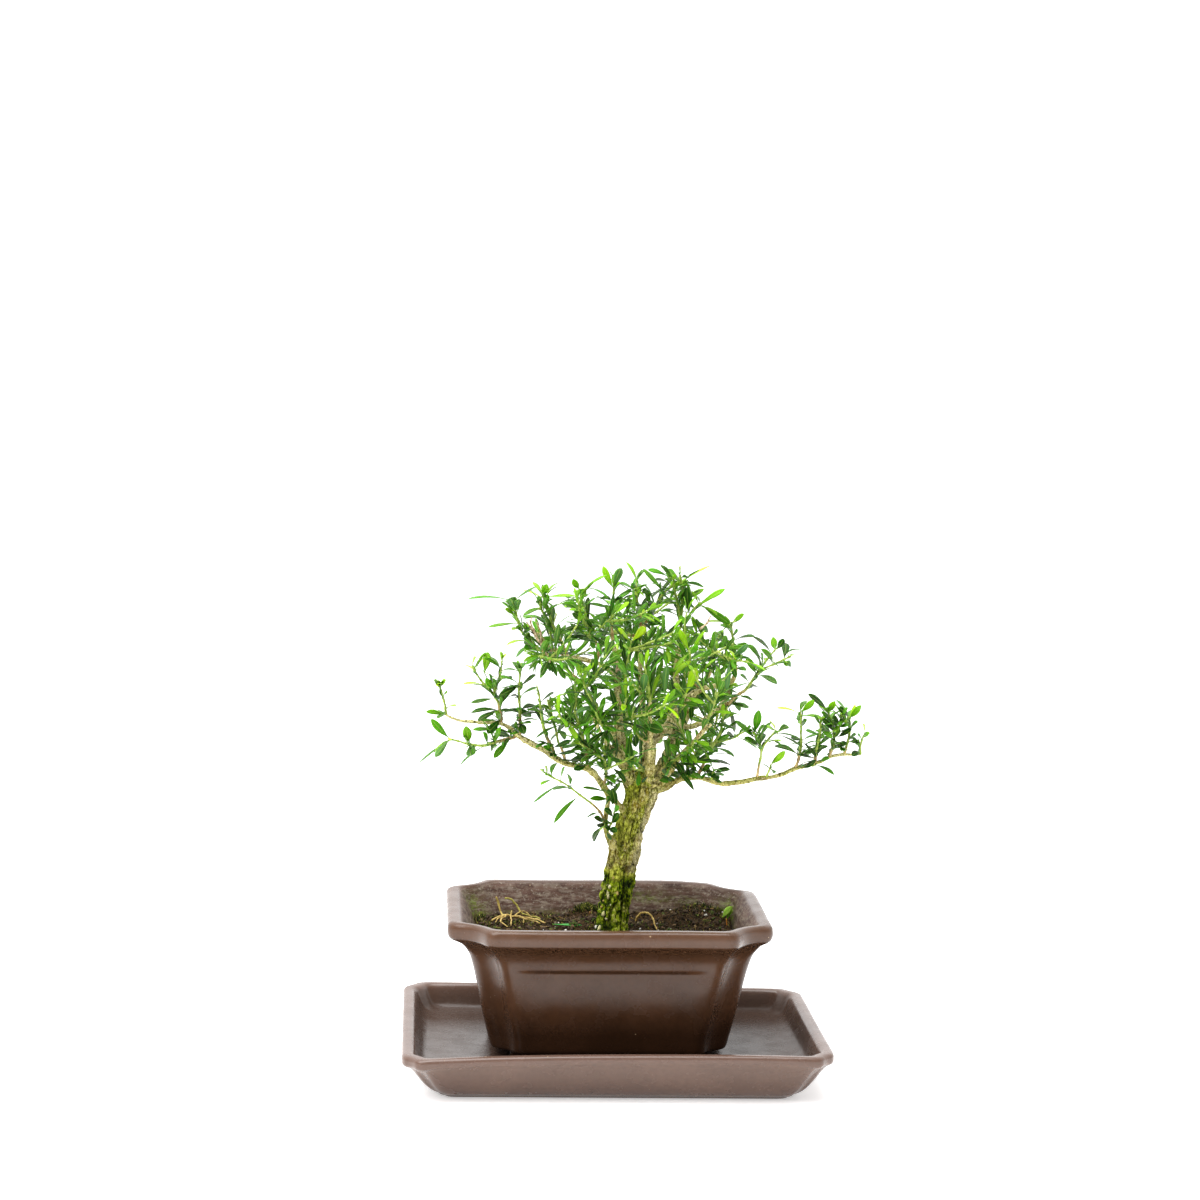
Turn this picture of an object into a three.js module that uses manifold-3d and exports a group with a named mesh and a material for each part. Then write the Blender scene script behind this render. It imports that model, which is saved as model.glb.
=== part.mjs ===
// Small boxwood bonsai in a glazed pot on a drip tray.
// Millimetres, +Z up. The tray stands on z = 0, +X is to the viewer's right
// and -Y is the front.
import * as THREE from 'three';
import { mergeVertices } from 'three/addons/utils/BufferGeometryUtils.js';
import Module from 'manifold-3d';

const wasm = await Module();
wasm.setup();

// ---------------------------------------------------------------- dimensions
const TRAY_LENGTH = 202.5;      // over the lip, along X
const TRAY_WIDTH = 158;         // over the lip, along Y
const TRAY_HEIGHT = 22.8;
const TRAY_FLOOR = 11.5;        // top of the tray's floor
const POT_LENGTH = 154;         // over the rim, along X
const POT_WIDTH = 130;          // over the rim, along Y
const POT_TOP = 78.7;           // rim above the table
const POT_UNDERSIDE = 15.1;     // underside of the pot's floor
const POT_FLOOR = 20.5;         // top of the pot's floor
const POT_CENTRE = [-3.6, 2.9]; // where the pot stands in the tray
const DRAIN_HOLE = 14;          // diameter
const DRAIN_SPACING = 48;       // centre to centre
const MESH_SIZE = 24;           // drain mesh, square
const MESH_THICKNESS = 0.9;
const SOIL_LEVEL = 64.3;        // soil at the edges
const STEM_RADIUS = 0.62;       // green shoots
const TWIG_RADIUS = 0.55;       // their side stems
const LEAF_THICKNESS = 0.6;
const GAP = 0.35;               // between pieces that touch
const BOX_CENTRE_X = 9.32;      // middle of the whole part along X, before it is centred
const BOX_CENTRE_Y = 0;

// ------------------------------------------------------------------- helpers
function toSolid(geometry) {
  const g = geometry.clone();
  g.deleteAttribute('normal');
  if (g.attributes.uv) g.deleteAttribute('uv');
  const m = mergeVertices(g, 1e-4);
  const p = m.attributes.position;
  const idx = [];
  for (let i = 0; i < m.index.count; i += 3) {
    const [a, b, c] = [m.index.getX(i), m.index.getX(i + 1), m.index.getX(i + 2)];
    if (a !== b && b !== c && a !== c) idx.push(a, b, c);
  }
  let volume = 0;
  const v = (i) => new THREE.Vector3().fromBufferAttribute(p, i);
  for (let i = 0; i < idx.length; i += 3) {
    volume += v(idx[i]).dot(v(idx[i + 1]).cross(v(idx[i + 2]))) / 6;
  }
  if (volume < 0) {
    for (let i = 0; i < idx.length; i += 3) [idx[i], idx[i + 1]] = [idx[i + 1], idx[i]];
  }
  return new wasm.Manifold(new wasm.Mesh({
    numProp: 3,
    vertProperties: new Float32Array(p.array),
    triVerts: new Uint32Array(idx),
  }));
}

function toGeometry(solid) {
  const mesh = solid.getMesh();
  const g = new THREE.BufferGeometry();
  g.setAttribute('position', new THREE.BufferAttribute(new Float32Array(mesh.vertProperties), 3));
  g.setIndex(new THREE.BufferAttribute(new Uint32Array(mesh.triVerts), 1));
  g.computeVertexNormals();
  return g;
}

function join(solids) {
  return solids.reduce((a, b) => a.add(b));
}

// Outline of a rectangle whose corners are cut at 45 degrees, with a small
// step inwards where each cut starts and the cut hollowed between the steps. Half sizes a and b, cut lengths cx, cy,
// step n. Twenty points, anticlockwise from the right side.
function outline(a, b, cx, cy, n) {
  const q = [
    [a, b - cy], [a - n, b - cy + 0.25 * n],
    [a - cx / 2 - 0.8 * n, b - cy / 2 - 0.8 * n],
    [a - cx + 0.25 * n, b - n], [a - cx, b],
  ];
  const flipX = q.map(([x, y]) => [-x, y]).reverse();
  const half = [...q, ...flipX];
  return [...half, ...half.map(([x, y]) => [-x, -y])];
}
const OUTLINE_POINTS = 20;

// A closed vessel: each station is [inset, z, cut x, cut y, step]; the first
// and the last station lie on the axis and give only their z.
function vessel(length, width, stations) {
  const profile = stations.map((s, j) => new THREE.Vector2(j === 0 || j === stations.length - 1 ? 0 : 1, j));
  const g = new THREE.LatheGeometry(profile, OUTLINE_POINTS);
  const p = g.attributes.position;
  const rings = stations.map(([inset, , cx, cy, n]) =>
    (cx === undefined ? null : outline(length / 2 - inset, width / 2 - inset, cx, cy, n)));
  for (let k = 0; k < p.count; k += 1) {
    const j = k % stations.length;
    const i = Math.floor(k / stations.length) % OUTLINE_POINTS;
    const [x, y] = rings[j] ? rings[j][i] : [0, 0];
    p.setXYZ(k, x, y, stations[j][1]);
  }
  return toSolid(g);
}

// A tapered round bar along points [x, y, z, radius].
function bar(points, sides, extra = 0) {
  const n = points.length;
  const P = points.map((q) => new THREE.Vector3(q[0], q[1], q[2]));
  const g = new THREE.CylinderGeometry(1, 1, 1, sides, n - 1);
  const T = P.map((q, i) => P[Math.min(i + 1, n - 1)].clone().sub(P[Math.max(i - 1, 0)]).normalize());
  const N = [];
  let ref = Math.abs(T[0].z) < 0.9 ? new THREE.Vector3(0, 0, 1) : new THREE.Vector3(1, 0, 0);
  for (let i = 0; i < n; i += 1) {
    ref = ref.clone().addScaledVector(T[i], -ref.dot(T[i])).normalize();
    N.push(ref);
  }
  const p = g.attributes.position;
  for (let k = 0; k < p.count; k += 1) {
    const i = Math.round((p.getY(k) + 0.5) * (n - 1));
    const r = points[i][3] + extra;
    const B = new THREE.Vector3().crossVectors(N[i], T[i]);
    const q = P[i].clone().addScaledVector(N[i], p.getX(k) * r).addScaledVector(B, p.getZ(k) * r);
    p.setXYZ(k, q.x, q.y, q.z);
  }
  return toSolid(g);
}

// A leaf: [base x, y, z, tip x, y, z, normal x, y, z, width]
function leaf(d, thickness = LEAF_THICKNESS) {
  const base = new THREE.Vector3(d[0], d[1], d[2]);
  const along = new THREE.Vector3(d[3], d[4], d[5]).sub(base);
  const length = along.length();
  along.normalize();
  const up = new THREE.Vector3(d[6], d[7], d[8]);
  up.addScaledVector(along, -up.dot(along)).normalize();
  const side = new THREE.Vector3().crossVectors(along, up);
  const w = d[9] / 2;
  const shape = new THREE.Shape([
    new THREE.Vector2(0, 0), new THREE.Vector2(w, 0.62 * length),
    new THREE.Vector2(0, length), new THREE.Vector2(-w, 0.62 * length),
  ]);
  const g = new THREE.ExtrudeGeometry(shape, { depth: thickness, bevelEnabled: false });
  g.translate(0, 0, -thickness / 2);
  g.applyMatrix4(new THREE.Matrix4().makeBasis(side, along, up).setPosition(base));
  return toSolid(g);
}

function box(x, y, z, cx, cy, cz) {
  return toSolid(new THREE.BoxGeometry(x, y, z).translate(cx, cy, cz));
}

// ------------------------------------------------------------------ materials
const glaze = new THREE.MeshStandardMaterial({ color: 0x4b382e, roughness: 0.42, metalness: 0 });
const trayGlaze = new THREE.MeshStandardMaterial({ color: 0x6a5750, roughness: 0.38, metalness: 0 });
const earth = new THREE.MeshStandardMaterial({ color: 0x241c15, roughness: 0.95, metalness: 0 });
const bark = new THREE.MeshStandardMaterial({ color: 0x8c8449, roughness: 0.9, metalness: 0 });
const green = new THREE.MeshStandardMaterial({ color: 0x3f7a22, roughness: 0.45, metalness: 0 });
const young = new THREE.MeshStandardMaterial({ color: 0x7fb52a, roughness: 0.5, metalness: 0 });
const straw = new THREE.MeshStandardMaterial({ color: 0xb59a4c, roughness: 0.8, metalness: 0 });
const white = new THREE.MeshStandardMaterial({ color: 0xe6e1d2, roughness: 0.9, metalness: 0 });
const netting = new THREE.MeshStandardMaterial({ color: 0x1d1f1e, roughness: 0.6, metalness: 0 });

const bonsai = new THREE.Group();
bonsai.position.set(-BOX_CENTRE_X, -BOX_CENTRE_Y, 0);
function piece(name, solid, material, parent = bonsai) {
  const mesh = new THREE.Mesh(toGeometry(solid), material);
  mesh.name = name;
  parent.add(mesh);
  return mesh;
}

// ----------------------------------------------------------------------- tray
// Flared walls, rolled lip, a foot ring and a hollow underside.
const tray = vessel(TRAY_LENGTH, TRAY_WIDTH, [
  [0, 7.4],
  [27, 7.4, 6, 7.5, 0.5],
  [21.5, 6, 5.5, 6.5, 0.6],
  [20, 0, 4.5, 5.5, 0.6],
  [15, 0, 4.5, 5.5, 0.9],
  [13, 1.2, 5.5, 6.6, 1.5],
  [8.4, 8.6, 8, 10, 2.5],
  [4.9, 15, 9, 12, 2.7],
  [2.8, 18.2, 8.8, 12.3, 2.3],
  [0.4, 19.4, 8, 11.4, 1],
  [0, 20.9, 7.7, 11.1, 0.8],
  [0.8, 22.3, 7.6, 11, 0.8],
  [2.6, TRAY_HEIGHT, 7.3, 10.6, 0.8],
  [4.8, 22.5, 6.8, 10, 0.7],
  [6.2, 21.2, 6.4, 9.5, 0.6],
  [8.2, 16.4, 6, 8.8, 0.5],
  [11.2, 13, 5.6, 8.2, 0.5],
  [15, TRAY_FLOOR, 5, 7.4, 0.5],
  [0, TRAY_FLOOR],
]);
piece('tray', tray, trayGlaze);

// ------------------------------------------------------------------------ pot
const potGroup = new THREE.Group();
potGroup.position.set(POT_CENTRE[0], POT_CENTRE[1], 0);
bonsai.add(potGroup);

// inside wall of the pot, from the rim down: [inset, z, cut, step]
const POT_INSIDE = [
  [7.6, 77.5, 15.6, 1.9],
  [9.6, 74.5, 14.6, 1.7],
  [11.8, 70, 13.8, 1.5],
  [14.2, 64, 13.2, 1.3],
  [17.4, 55, 12.8, 1.1],
  [22.7, 30, 12, 1],
  [26, 22.4, 11.5, 1],
];
let pot = vessel(POT_LENGTH, POT_WIDTH, [
  [0, POT_UNDERSIDE],
  [26.5, POT_UNDERSIDE, 10.6, 10.6, 2],
  [22.4, 15.3, 10.8, 10.8, 2.7],
  [21.2, 17, 11.4, 11.4, 3],
  [20, 22, 12.2, 12.2, 3.2],
  [18, 30, 12.8, 12.8, 3.3],
  [14.8, 46, 13, 13, 3.4],
  [12.8, 55, 13, 13, 3.6],
  [10.8, 62.3, 13.2, 13.2, 3.8],
  [9.3, 65.5, 13.6, 13.6, 4],
  [7.2, 68.3, 14.6, 14.6, 4.1],
  [4.4, 70, 16.2, 16.2, 4.2],
  [1.5, 71.4, 18.3, 18.3, 4.2],
  [0.3, 73, 19.3, 19.3, 4.2],
  [0, 75.2, 19.5, 19.5, 4.2],
  [0.7, 77.6, 19.4, 19.4, 3.9],
  [2.8, POT_TOP, 19, 19, 3.2],
  [5.2, 78.6, 17.4, 17.4, 2.4],
  ...POT_INSIDE.map(([d, z, c, n]) => [d, z, c, c, n]),
  [29, POT_FLOOR, 11, 11, 1],
  [0, POT_FLOOR],
]);
// low corner feet that stand on the tray's floor
for (const [sx, sy] of [[1, 1], [-1, 1], [1, -1], [-1, -1]]) {
  pot = pot.add(box(18, 12, POT_UNDERSIDE + 0.6 - TRAY_FLOOR, sx * 37, sy * 27.5,
    (POT_UNDERSIDE + 0.6 + TRAY_FLOOR) / 2));
}
// drain holes
for (const s of [-1, 1]) {
  const hole = new THREE.CylinderGeometry(DRAIN_HOLE / 2, DRAIN_HOLE / 2, 20, 20);
  hole.rotateX(Math.PI / 2).translate(s * DRAIN_SPACING / 2, 0, POT_FLOOR - 4);
  pot = pot.subtract(toSolid(hole));
}
piece('pot', pot, glaze, potGroup);

// drain meshes over the holes, a plate with nine square windows
for (const [name, s] of [['drain_mesh_left', -1], ['drain_mesh_right', 1]]) {
  const x0 = s * DRAIN_SPACING / 2;
  const z0 = POT_FLOOR + MESH_THICKNESS / 2;
  let mesh = box(MESH_SIZE, MESH_SIZE, MESH_THICKNESS, x0, 0, z0);
  for (let i = -1; i <= 1; i += 1) {
    for (let j = -1; j <= 1; j += 1) {
      mesh = mesh.subtract(box(5.2, 5.2, 4, x0 + i * 7, j * 7, z0));
    }
  }
  piece(name, mesh, netting, potGroup);
}

// ----------------------------------------------------------------- main stem
const MAIN_STEM = [[-1.04, -5, 67.8, 7.98], [3.7, -3.99, 105.07, 7.52], [12.42, -4, 136.24, 8.5], [13, -4, 141.69, 7.23]];
const [bx, by] = MAIN_STEM[0];
const ROOTS = [
  [[bx, by, 60, 7.5], [bx - 16, by - 6, 54, 4.4], [bx - 33, by - 10, 46, 2.4], [bx - 44, by - 9, 37, 1.2]],
  [[bx, by, 60, 7.5], [bx + 15, by - 8, 53, 4.2], [bx + 30, by - 15, 45, 2.3], [bx + 38, by - 17, 36, 1.2]],
  [[bx, by, 60, 7.5], [bx + 12, by + 13, 54, 4], [bx + 27, by + 24, 47, 2.2], [bx + 40, by + 26, 39, 1.2]],
  [[bx, by, 60, 7.5], [bx - 13, by + 14, 53, 4], [bx - 26, by + 25, 45, 2.2], [bx - 36, by + 28, 37, 1.2]],
  [[bx, by, 58, 6.5], [bx + 2, by - 2, 44, 3.6], [bx - 3, by + 3, 34, 1.4]],
];
const STEM_FOOT = [[bx - 0.5, by, 54, 7.2], [bx - 0.4, by, 61, 8.6], [bx - 0.2, by, 66.5, 8.4]];
const LIMBS = [
  // left limb of the fork
  [[7.17, -5, 139.84, 3.85], [0.21, -9.45, 169.05, 2.29], [-0.5, -9.67, 190.8, 1.86], [-3.07, -8, 208.94, 1.1]],
  // centre limb of the fork
  [[14.21, -1, 139.76, 4.83], [14.31, 1.54, 148.11, 3.74], [16.57, 5.87, 156.58, 3.24], [20.02, 8.32, 161.27, 3.02], [26.09, 10, 165.63, 2.58], [28.53, 12, 172.74, 2.24], [29.46, 13.14, 191.5, 1.63], [30.1, 11, 208.13, 1.16]],
  // right limb of the fork
  [[20.12, -6, 141.12, 4.82], [27.41, -6, 163.92, 3.08], [28.66, -5.87, 172.62, 2.44], [31.65, -7.57, 180.12, 1.82], [39.04, -10, 186.57, 1.44], [45.73, -10, 188.59, 1.25], [51.51, -9, 191.92, 0.96]],
  // limb that rises to the right
  [[28.67, -6, 169.42, 2.16], [36.47, -2.4, 168.06, 1.69], [48.2, 4.25, 174.77, 1.48], [53.82, 8, 181.44, 1.46], [58.02, 9, 193.1, 1.12]],
  // long low branch to the right
  [[15.41, -5, 138.47, 4.34], [27.28, -7, 141.36, 2.21], [35.36, -6.93, 143.58, 1.56], [49.21, -9.05, 141.22, 1.47], [58.15, -9, 141.7, 1.38], [67.64, -9, 143.59, 1.44], [77.02, -7, 144.59, 1.25], [91.3, -4, 149.4, 1.16], [103.79, -4, 154.19, 1], [118.12, -4, 155.32, 0.68]],
  // long low branch to the left
  [[3.45, -6, 106.29, 3.38], [-2.21, -10, 112.33, 2.4], [-4.74, -11.76, 117.19, 2.1], [-4.58, -12, 136.15, 2.01], [-12.78, -12, 147.29, 1.59], [-27.92, -12.07, 151.95, 1.55], [-55.18, -7.05, 168.66, 1.08], [-71.59, -4.14, 169.06, 0.88], [-82.34, -4, 172.41, 0.67]],
  // limb to the back left
  [[8.87, -1, 140.19, 3.38], [4.68, 13, 150.2, 2.43], [-2.18, 25, 161.65, 1.76], [-9.36, 33, 173.32, 1.28], [-15.3, 37, 184.64, 0.99]],
  // limb to the back right
  [[19.32, 3, 140.64, 3.39], [26.42, 17, 152.3, 2.25], [37.08, 30.94, 168.01, 1.57], [43.21, 37, 177.91, 1.24], [49.11, 40, 191.05, 0.89]],
  // limb to the back
  [[14.3, 2, 139.4, 3.39], [15.47, 24.33, 163.14, 1.87], [14.37, 32.46, 177.09, 1.48], [13.05, 35, 192.7, 1.13], [12.82, 30, 211.6, 0.78]],
  // limb to the front left
  [[6.45, -8, 142.26, 2.88], [-0.72, -19, 155.53, 1.72], [-8.11, -28, 165.92, 1.18], [-13.84, -34, 176.73, 0.8]],
  // limb to the front
  [[14.2, -6.3, 139, 2.88], [15.85, -20, 159.72, 1.81], [13.43, -30, 173.63, 1.23], [13.27, -36, 183.99, 0.85]],
  // limb to the front right
  [[18.6, -6, 140.2, 2.89], [36.74, -26, 165.67, 1.05], [42.89, -30, 173.03, 0.76]],
  // limb to the upper left
  [[-0.89, -9, 192.7, 1.92], [-7.64, -8, 197.31, 1.39], [-29.38, -4.55, 203.4, 1.09], [-34.78, -3.94, 207.31, 1.03], [-39.39, -4, 212.81, 0.86]],
];
const stemPath = [...STEM_FOOT, ...MAIN_STEM];
const trunk = join([
  bar(stemPath, 9),
  ...ROOTS.map((r) => bar(r, 5)),
  ...LIMBS.map((l) => bar(l, 5)),
]);
piece('trunk', trunk, bark);

// ----------------------------------------------------------------------- soil
// Height of the soil, lower at the left and heaped behind and to the right of
// the trunk.
function soilHeight(x, y) {
  const bump = (cx, cy, sx, sy, h) => h * Math.exp(-(((x - cx) / sx) ** 2) - (((y - cy) / sy) ** 2));
  return SOIL_LEVEL + bump(46, 46, 21, 26, 5.6) + bump(bx - 3, by + 12, 15, 22, 5.2)
    + bump(bx, by, 20, 16, 1.6) + 0.6 * Math.sin(x * 0.21 + 1.3) * Math.cos(y * 0.17);
}
const SOIL_TOP_ROWS = [0, 0.2, 0.4, 0.6, 0.8, 1];
function insideAt(z) {
  const s = [...POT_INSIDE, [29, POT_FLOOR, 11, 1]];
  for (let k = 0; k + 1 < s.length; k += 1) {
    if (z <= s[k][1] && z >= s[k + 1][1]) {
      const t = (s[k][1] - z) / (s[k][1] - s[k + 1][1]);
      return s[k].map((q, m) => q + (s[k + 1][m] - q) * t);
    }
  }
  return s[s.length - 1];
}
function ringAt(z, clearance) {
  const [d, , c, n] = insideAt(z);
  return outline(POT_LENGTH / 2 - d - clearance, POT_WIDTH / 2 - d - clearance, c, c, n)
    .map(([x, y]) => [x + POT_CENTRE[0], y + POT_CENTRE[1]]);
}
const SOIL_WALL_Z = [64, 55, 30, 22.4, 21.2];
const SOIL_ROWS = SOIL_TOP_ROWS.length + SOIL_WALL_Z.length;
const soilBlank = new THREE.SphereGeometry(1, OUTLINE_POINTS, SOIL_ROWS);
{
  const p = soilBlank.attributes.position;
  const edge = ringAt(64, GAP).map(([x, y]) => {
    // the soil meets the wall at its own height
    const z = Math.max(soilHeight(x, y), 64.05);
    return z;
  });
  for (let k = 0; k < p.count; k += 1) {
    const row = Math.floor(k / (OUTLINE_POINTS + 1));
    const i = (k % (OUTLINE_POINTS + 1)) % OUTLINE_POINTS;
    if (row < SOIL_TOP_ROWS.length) {
      const t = SOIL_TOP_ROWS[row];
      const [ex, ey] = ringAt(edge[i], GAP)[i];
      const x = POT_CENTRE[0] + (ex - POT_CENTRE[0]) * t;
      const y = POT_CENTRE[1] + (ey - POT_CENTRE[1]) * t;
      p.setXYZ(k, x, y, t === 1 ? edge[i] : soilHeight(x, y));
    } else if (row < SOIL_ROWS) {
      const z = SOIL_WALL_Z[row - SOIL_TOP_ROWS.length];
      const [x, y] = ringAt(z, GAP)[i];
      p.setXYZ(k, x, y, z);
    } else {
      p.setXYZ(k, POT_CENTRE[0], POT_CENTRE[1], 21.2);
    }
  }
}
let soil = toSolid(soilBlank);
for (const s of [-1, 1]) {
  soil = soil.subtract(box(MESH_SIZE + 2 * GAP, MESH_SIZE + 2 * GAP, 2,
    POT_CENTRE[0] + s * DRAIN_SPACING / 2, POT_CENTRE[1], POT_FLOOR + 0.75));
}
// sockets for the stem and the roots
soil = soil.subtract(join([bar([[bx - 0.5, by, 53, 7.2], ...stemPath.slice(1)], 9, 2 * GAP),
  ...ROOTS.map((r) => {
    const last = r[r.length - 1];
    const before = r[r.length - 2];
    const end = last.map((q, m) => (m < 3 ? q + (q - before[m]) * 0.08 : q));
    return bar([...r.slice(0, -1), end], 5, GAP * 1.35);
  })]));
piece('soil', soil, earth);

// --------------------------------------------------------------- leafy shoots
// Each shoot is one stem with its side stems and leaves. Stems are points
// [x, y, z]; leaves are as in leaf().
const SHOOTS = [
  {
    name: 'shoot_01',
    stems: [[[-82.52, -4.1, 173.89], [-85.41, -5, 185.8]]],
    leaves: [
      [-82.79, -4.28, 174.32, -92.1, -11.85, 175.57, 0.657, -0.581, 0.48, 3.43],
      [-82.76, -3.95, 174.36, -88.65, 4.91, 172.53, -0.471, -0.171, 0.865, 3.89],
      [-82.78, -4.41, 175.47, -77.81, -13.22, 177.82, -0.452, -0.034, 0.891, 3.48],
      [-85.33, -5.15, 185.29, -88.32, -13.98, 190.06, 0.957, -0.286, 0.057, 3.32],
      [-84.15, -4.83, 180.86, -82.25, -13.63, 184.06, -0.846, 0.017, 0.532, 3.72],
    ],
  },
  {
    name: 'shoot_02',
    stems: [[[-49.96, -8.26, 162.39], [-65.12, -12.15, 158.78], [-80.37, -16, 162.34]]],
    leaves: [
      [-79.95, -15.83, 162.06, -94.71, -14.74, 150.38, -0.611, -0.193, 0.768, 3.89],
      [-63.2, -11.6, 159.14, -75.39, -10.62, 149.21, -0.607, -0.237, 0.759, 3.56],
      [-79.88, -15.84, 162.35, -89.3, -16.04, 171.8, 0.028, -0.999, 0.017, 4.2],
      [-59.3, -10.83, 160.31, -56.28, -19.66, 168.92, -0.846, -0.488, -0.216, 3.7],
      [-52.16, -8.92, 161.75, -59.28, -16.25, 153.5, 0.146, -0.757, 0.636, 3.93],
      [-62.7, -11.7, 159.51, -64.85, -20.53, 166.73, 0.911, -0.372, -0.178, 3.62],
      [-50.49, -8.18, 162.31, -57.81, 0.67, 163.02, -0.54, -0.524, 0.659, 4.2],
      [-71.53, -13.9, 160.45, -72.86, -20.87, 169.67, 0.02, -0.793, -0.609, 4.2],
    ],
  },
  {
    name: 'shoot_03',
    stems: [[[-56.13, -6.74, 170.51], [-58.26, -5.15, 180.11], [-70.21, -2, 195.27]],
      [[-58.12, -5.26, 179.44], [-59.07, -6.45, 184.41], [-56.07, -10, 199.34]]],
    leaves: [
      [-56.85, -6.05, 174.77, -41.89, -7.1, 173.05, 0.044, -0.599, 0.799, 4.2],
      [-57.27, -6.14, 174.7, -70.72, -12, 174.35, 0.194, -0.482, 0.855, 3.85],
      [-57.31, -5.63, 176.41, -51.41, 3.23, 184.61, 0.125, -0.706, 0.697, 3.9],
      [-58.74, -5.07, 180.39, -70.48, -4.32, 178.14, -0.113, 0.689, 0.716, 3.96],
      [-56.88, -8.69, 194.51, -48.28, 0.15, 193.39, 0.236, -0.11, 0.966, 3.91],
      [-59.03, -6.45, 183.89, -63.64, -15.39, 191.53, 0.358, -0.685, -0.635, 3.83],
      [-56.97, -8.9, 195.53, -62.75, -0.08, 200.48, 0.308, -0.314, 0.898, 3.58],
      [-56.28, -6.86, 171.02, -59.25, -15.61, 176.73, 0.832, -0.49, -0.26, 3.74],
    ],
  },
  {
    name: 'shoot_04',
    stems: [[[-46.98, -8.91, 166.42], [-47.72, -10.76, 184.38], [-47.01, -12, 196.34]]],
    leaves: [
      [-47.65, -11.31, 188.38, -57.1, -20.17, 193.17, 0.58, -0.23, 0.782, 3.66],
      [-47.69, -11.26, 187.71, -57.43, -20.1, 183.83, 0.347, -0.666, 0.66, 4.1],
      [-47.49, -9.94, 174.91, -56.53, -18.78, 176.47, 0.353, -0.252, 0.901, 4.01],
      [-47.49, -10.69, 182.3, -39.48, -19.54, 187.81, -0.681, -0.138, 0.719, 4.01],
      [-46.99, -9.5, 170.59, -38.8, -18.33, 172.3, 0.171, 0.292, 0.941, 3.93],
      [-47.23, -11.9, 193.79, -50.09, -20.74, 200.26, 0.156, 0.532, 0.832, 3.88],
      [-47.2, -9.08, 169.78, -51.03, -0.25, 164.73, -0.915, -0.403, 0.003, 4.13],
      [-47.18, -9.89, 174.03, -42.21, -18.69, 173.75, -0.368, -0.282, 0.886, 4.2],
    ],
  },
  {
    name: 'shoot_05',
    stems: [[[-31.06, -12.39, 156.75], [-35.94, -13.8, 168.69], [-39.37, -16, 188.31]]],
    leaves: [
      [-35.41, -13.65, 166.84, -39.27, -14.95, 163.19, -0.435, -0.208, 0.876, 3.86],
      [-31.42, -12.68, 158.08, -22.48, -21.53, 162.86, -0.728, -0.463, 0.506, 3.93],
      [-31.93, -12.75, 158.58, -40.55, -21.61, 162.67, 0.147, 0.288, 0.946, 4.2],
      [-36.99, -14.74, 175.66, -28.04, -23.58, 177.49, -0.351, -0.168, 0.921, 3.81],
      [-37.8, -15.23, 180.07, -31.7, -24.07, 186.09, -0.81, -0.13, 0.572, 4.05],
    ],
  },
  {
    name: 'shoot_06',
    stems: [[[-6.95, -14.23, 126.01], [-10.21, -16.41, 130.24], [-22.54, -22.84, 140.58], [-37.29, -30, 150.1]]],
    leaves: [
      [-18.21, -20.5, 136.64, -30.24, -20.53, 123.16, -0.518, -0.718, 0.464, 3.62],
      [-27.57, -25.19, 143.57, -40.66, -25.52, 133.46, -0.564, -0.257, 0.785, 3.62],
      [-27.92, -25.64, 144.23, -26.18, -34.5, 152.32, -0.989, -0.12, 0.084, 3.96],
      [-22.32, -22.48, 140.23, -30.62, -13.72, 138.31, -0.459, -0.223, 0.86, 4.03],
      [-23.01, -23.23, 141.02, -24.58, -32.11, 148.64, 0.719, 0.378, 0.583, 3.81],
    ],
  },
  {
    name: 'shoot_07',
    stems: [[[-3.02, -14.49, 121.09], [-1.68, -20, 128.65]]],
    leaves: [
      [-2.38, -17.69, 125.35, -7.12, -26.63, 131.23, 0.898, -0.43, 0.094, 4.12],
      [-1.76, -19.68, 128.05, 0.08, -28.61, 133.03, -0.89, -0.34, -0.304, 3.54],
      [-2.89, -14.93, 121.37, 0.06, -23.23, 120.23, -0.727, -0.29, 0.622, 4.08],
    ],
  },
  {
    name: 'shoot_08',
    stems: [[[-2.61, -14.23, 134.96], [-0.68, -18, 132.68]]],
    leaves: [
      [-2.58, -14.76, 134.79, -16.5, -23.06, 140.56, 0.419, -0.215, 0.882, 3.83],
      [-0.94, -17.74, 133.09, -3.39, -26.8, 141.49, 0.173, -0.748, -0.641, 4.2],
    ],
  },
  {
    name: 'shoot_09',
    stems: [[[-14.78, -12.57, 150.53], [-15.61, -14.82, 158.94], [-21.16, -19.7, 176.23], [-21.69, -24, 191.97]],
      [[-21.49, -22.35, 185.91], [-13.12, -23.97, 192.23], [-6.05, -25.1, 201.28]],
      [[-18.81, -17.63, 168.91], [-24.31, -24.85, 171.46], [-29.22, -31.31, 176.24]]],
    leaves: [
      [-16.39, -15.22, 160.78, -27.47, -6.34, 156.67, 0.107, 0.538, 0.836, 4.2],
      [-15.27, -13.36, 154.02, -22.11, -4.49, 149.15, -0.803, -0.4, 0.443, 4.07],
      [-14.96, -12.88, 150.95, -21.24, -21.54, 149.56, 0.457, -0.414, 0.787, 4.2],
      [-26.61, -27.54, 173.58, -40.95, -23.1, 179.17, -0.317, -0.947, -0.042, 3.83],
      [-17.31, -16.44, 164.68, -11.98, -20.39, 179.11, -0.825, -0.54, 0.165, 4.08],
    ],
  },
  {
    name: 'shoot_10',
    stems: [[[-5.9, -14.03, 142.17], [-5.73, -18.06, 146.96], [-7.43, -27.5, 161.32]],
      [[-5.88, -18.88, 148.2], [5.32, -34.32, 157.41]],
      [[-6.51, -22.38, 153.53], [-18.44, -24.73, 162.09]]],
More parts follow.
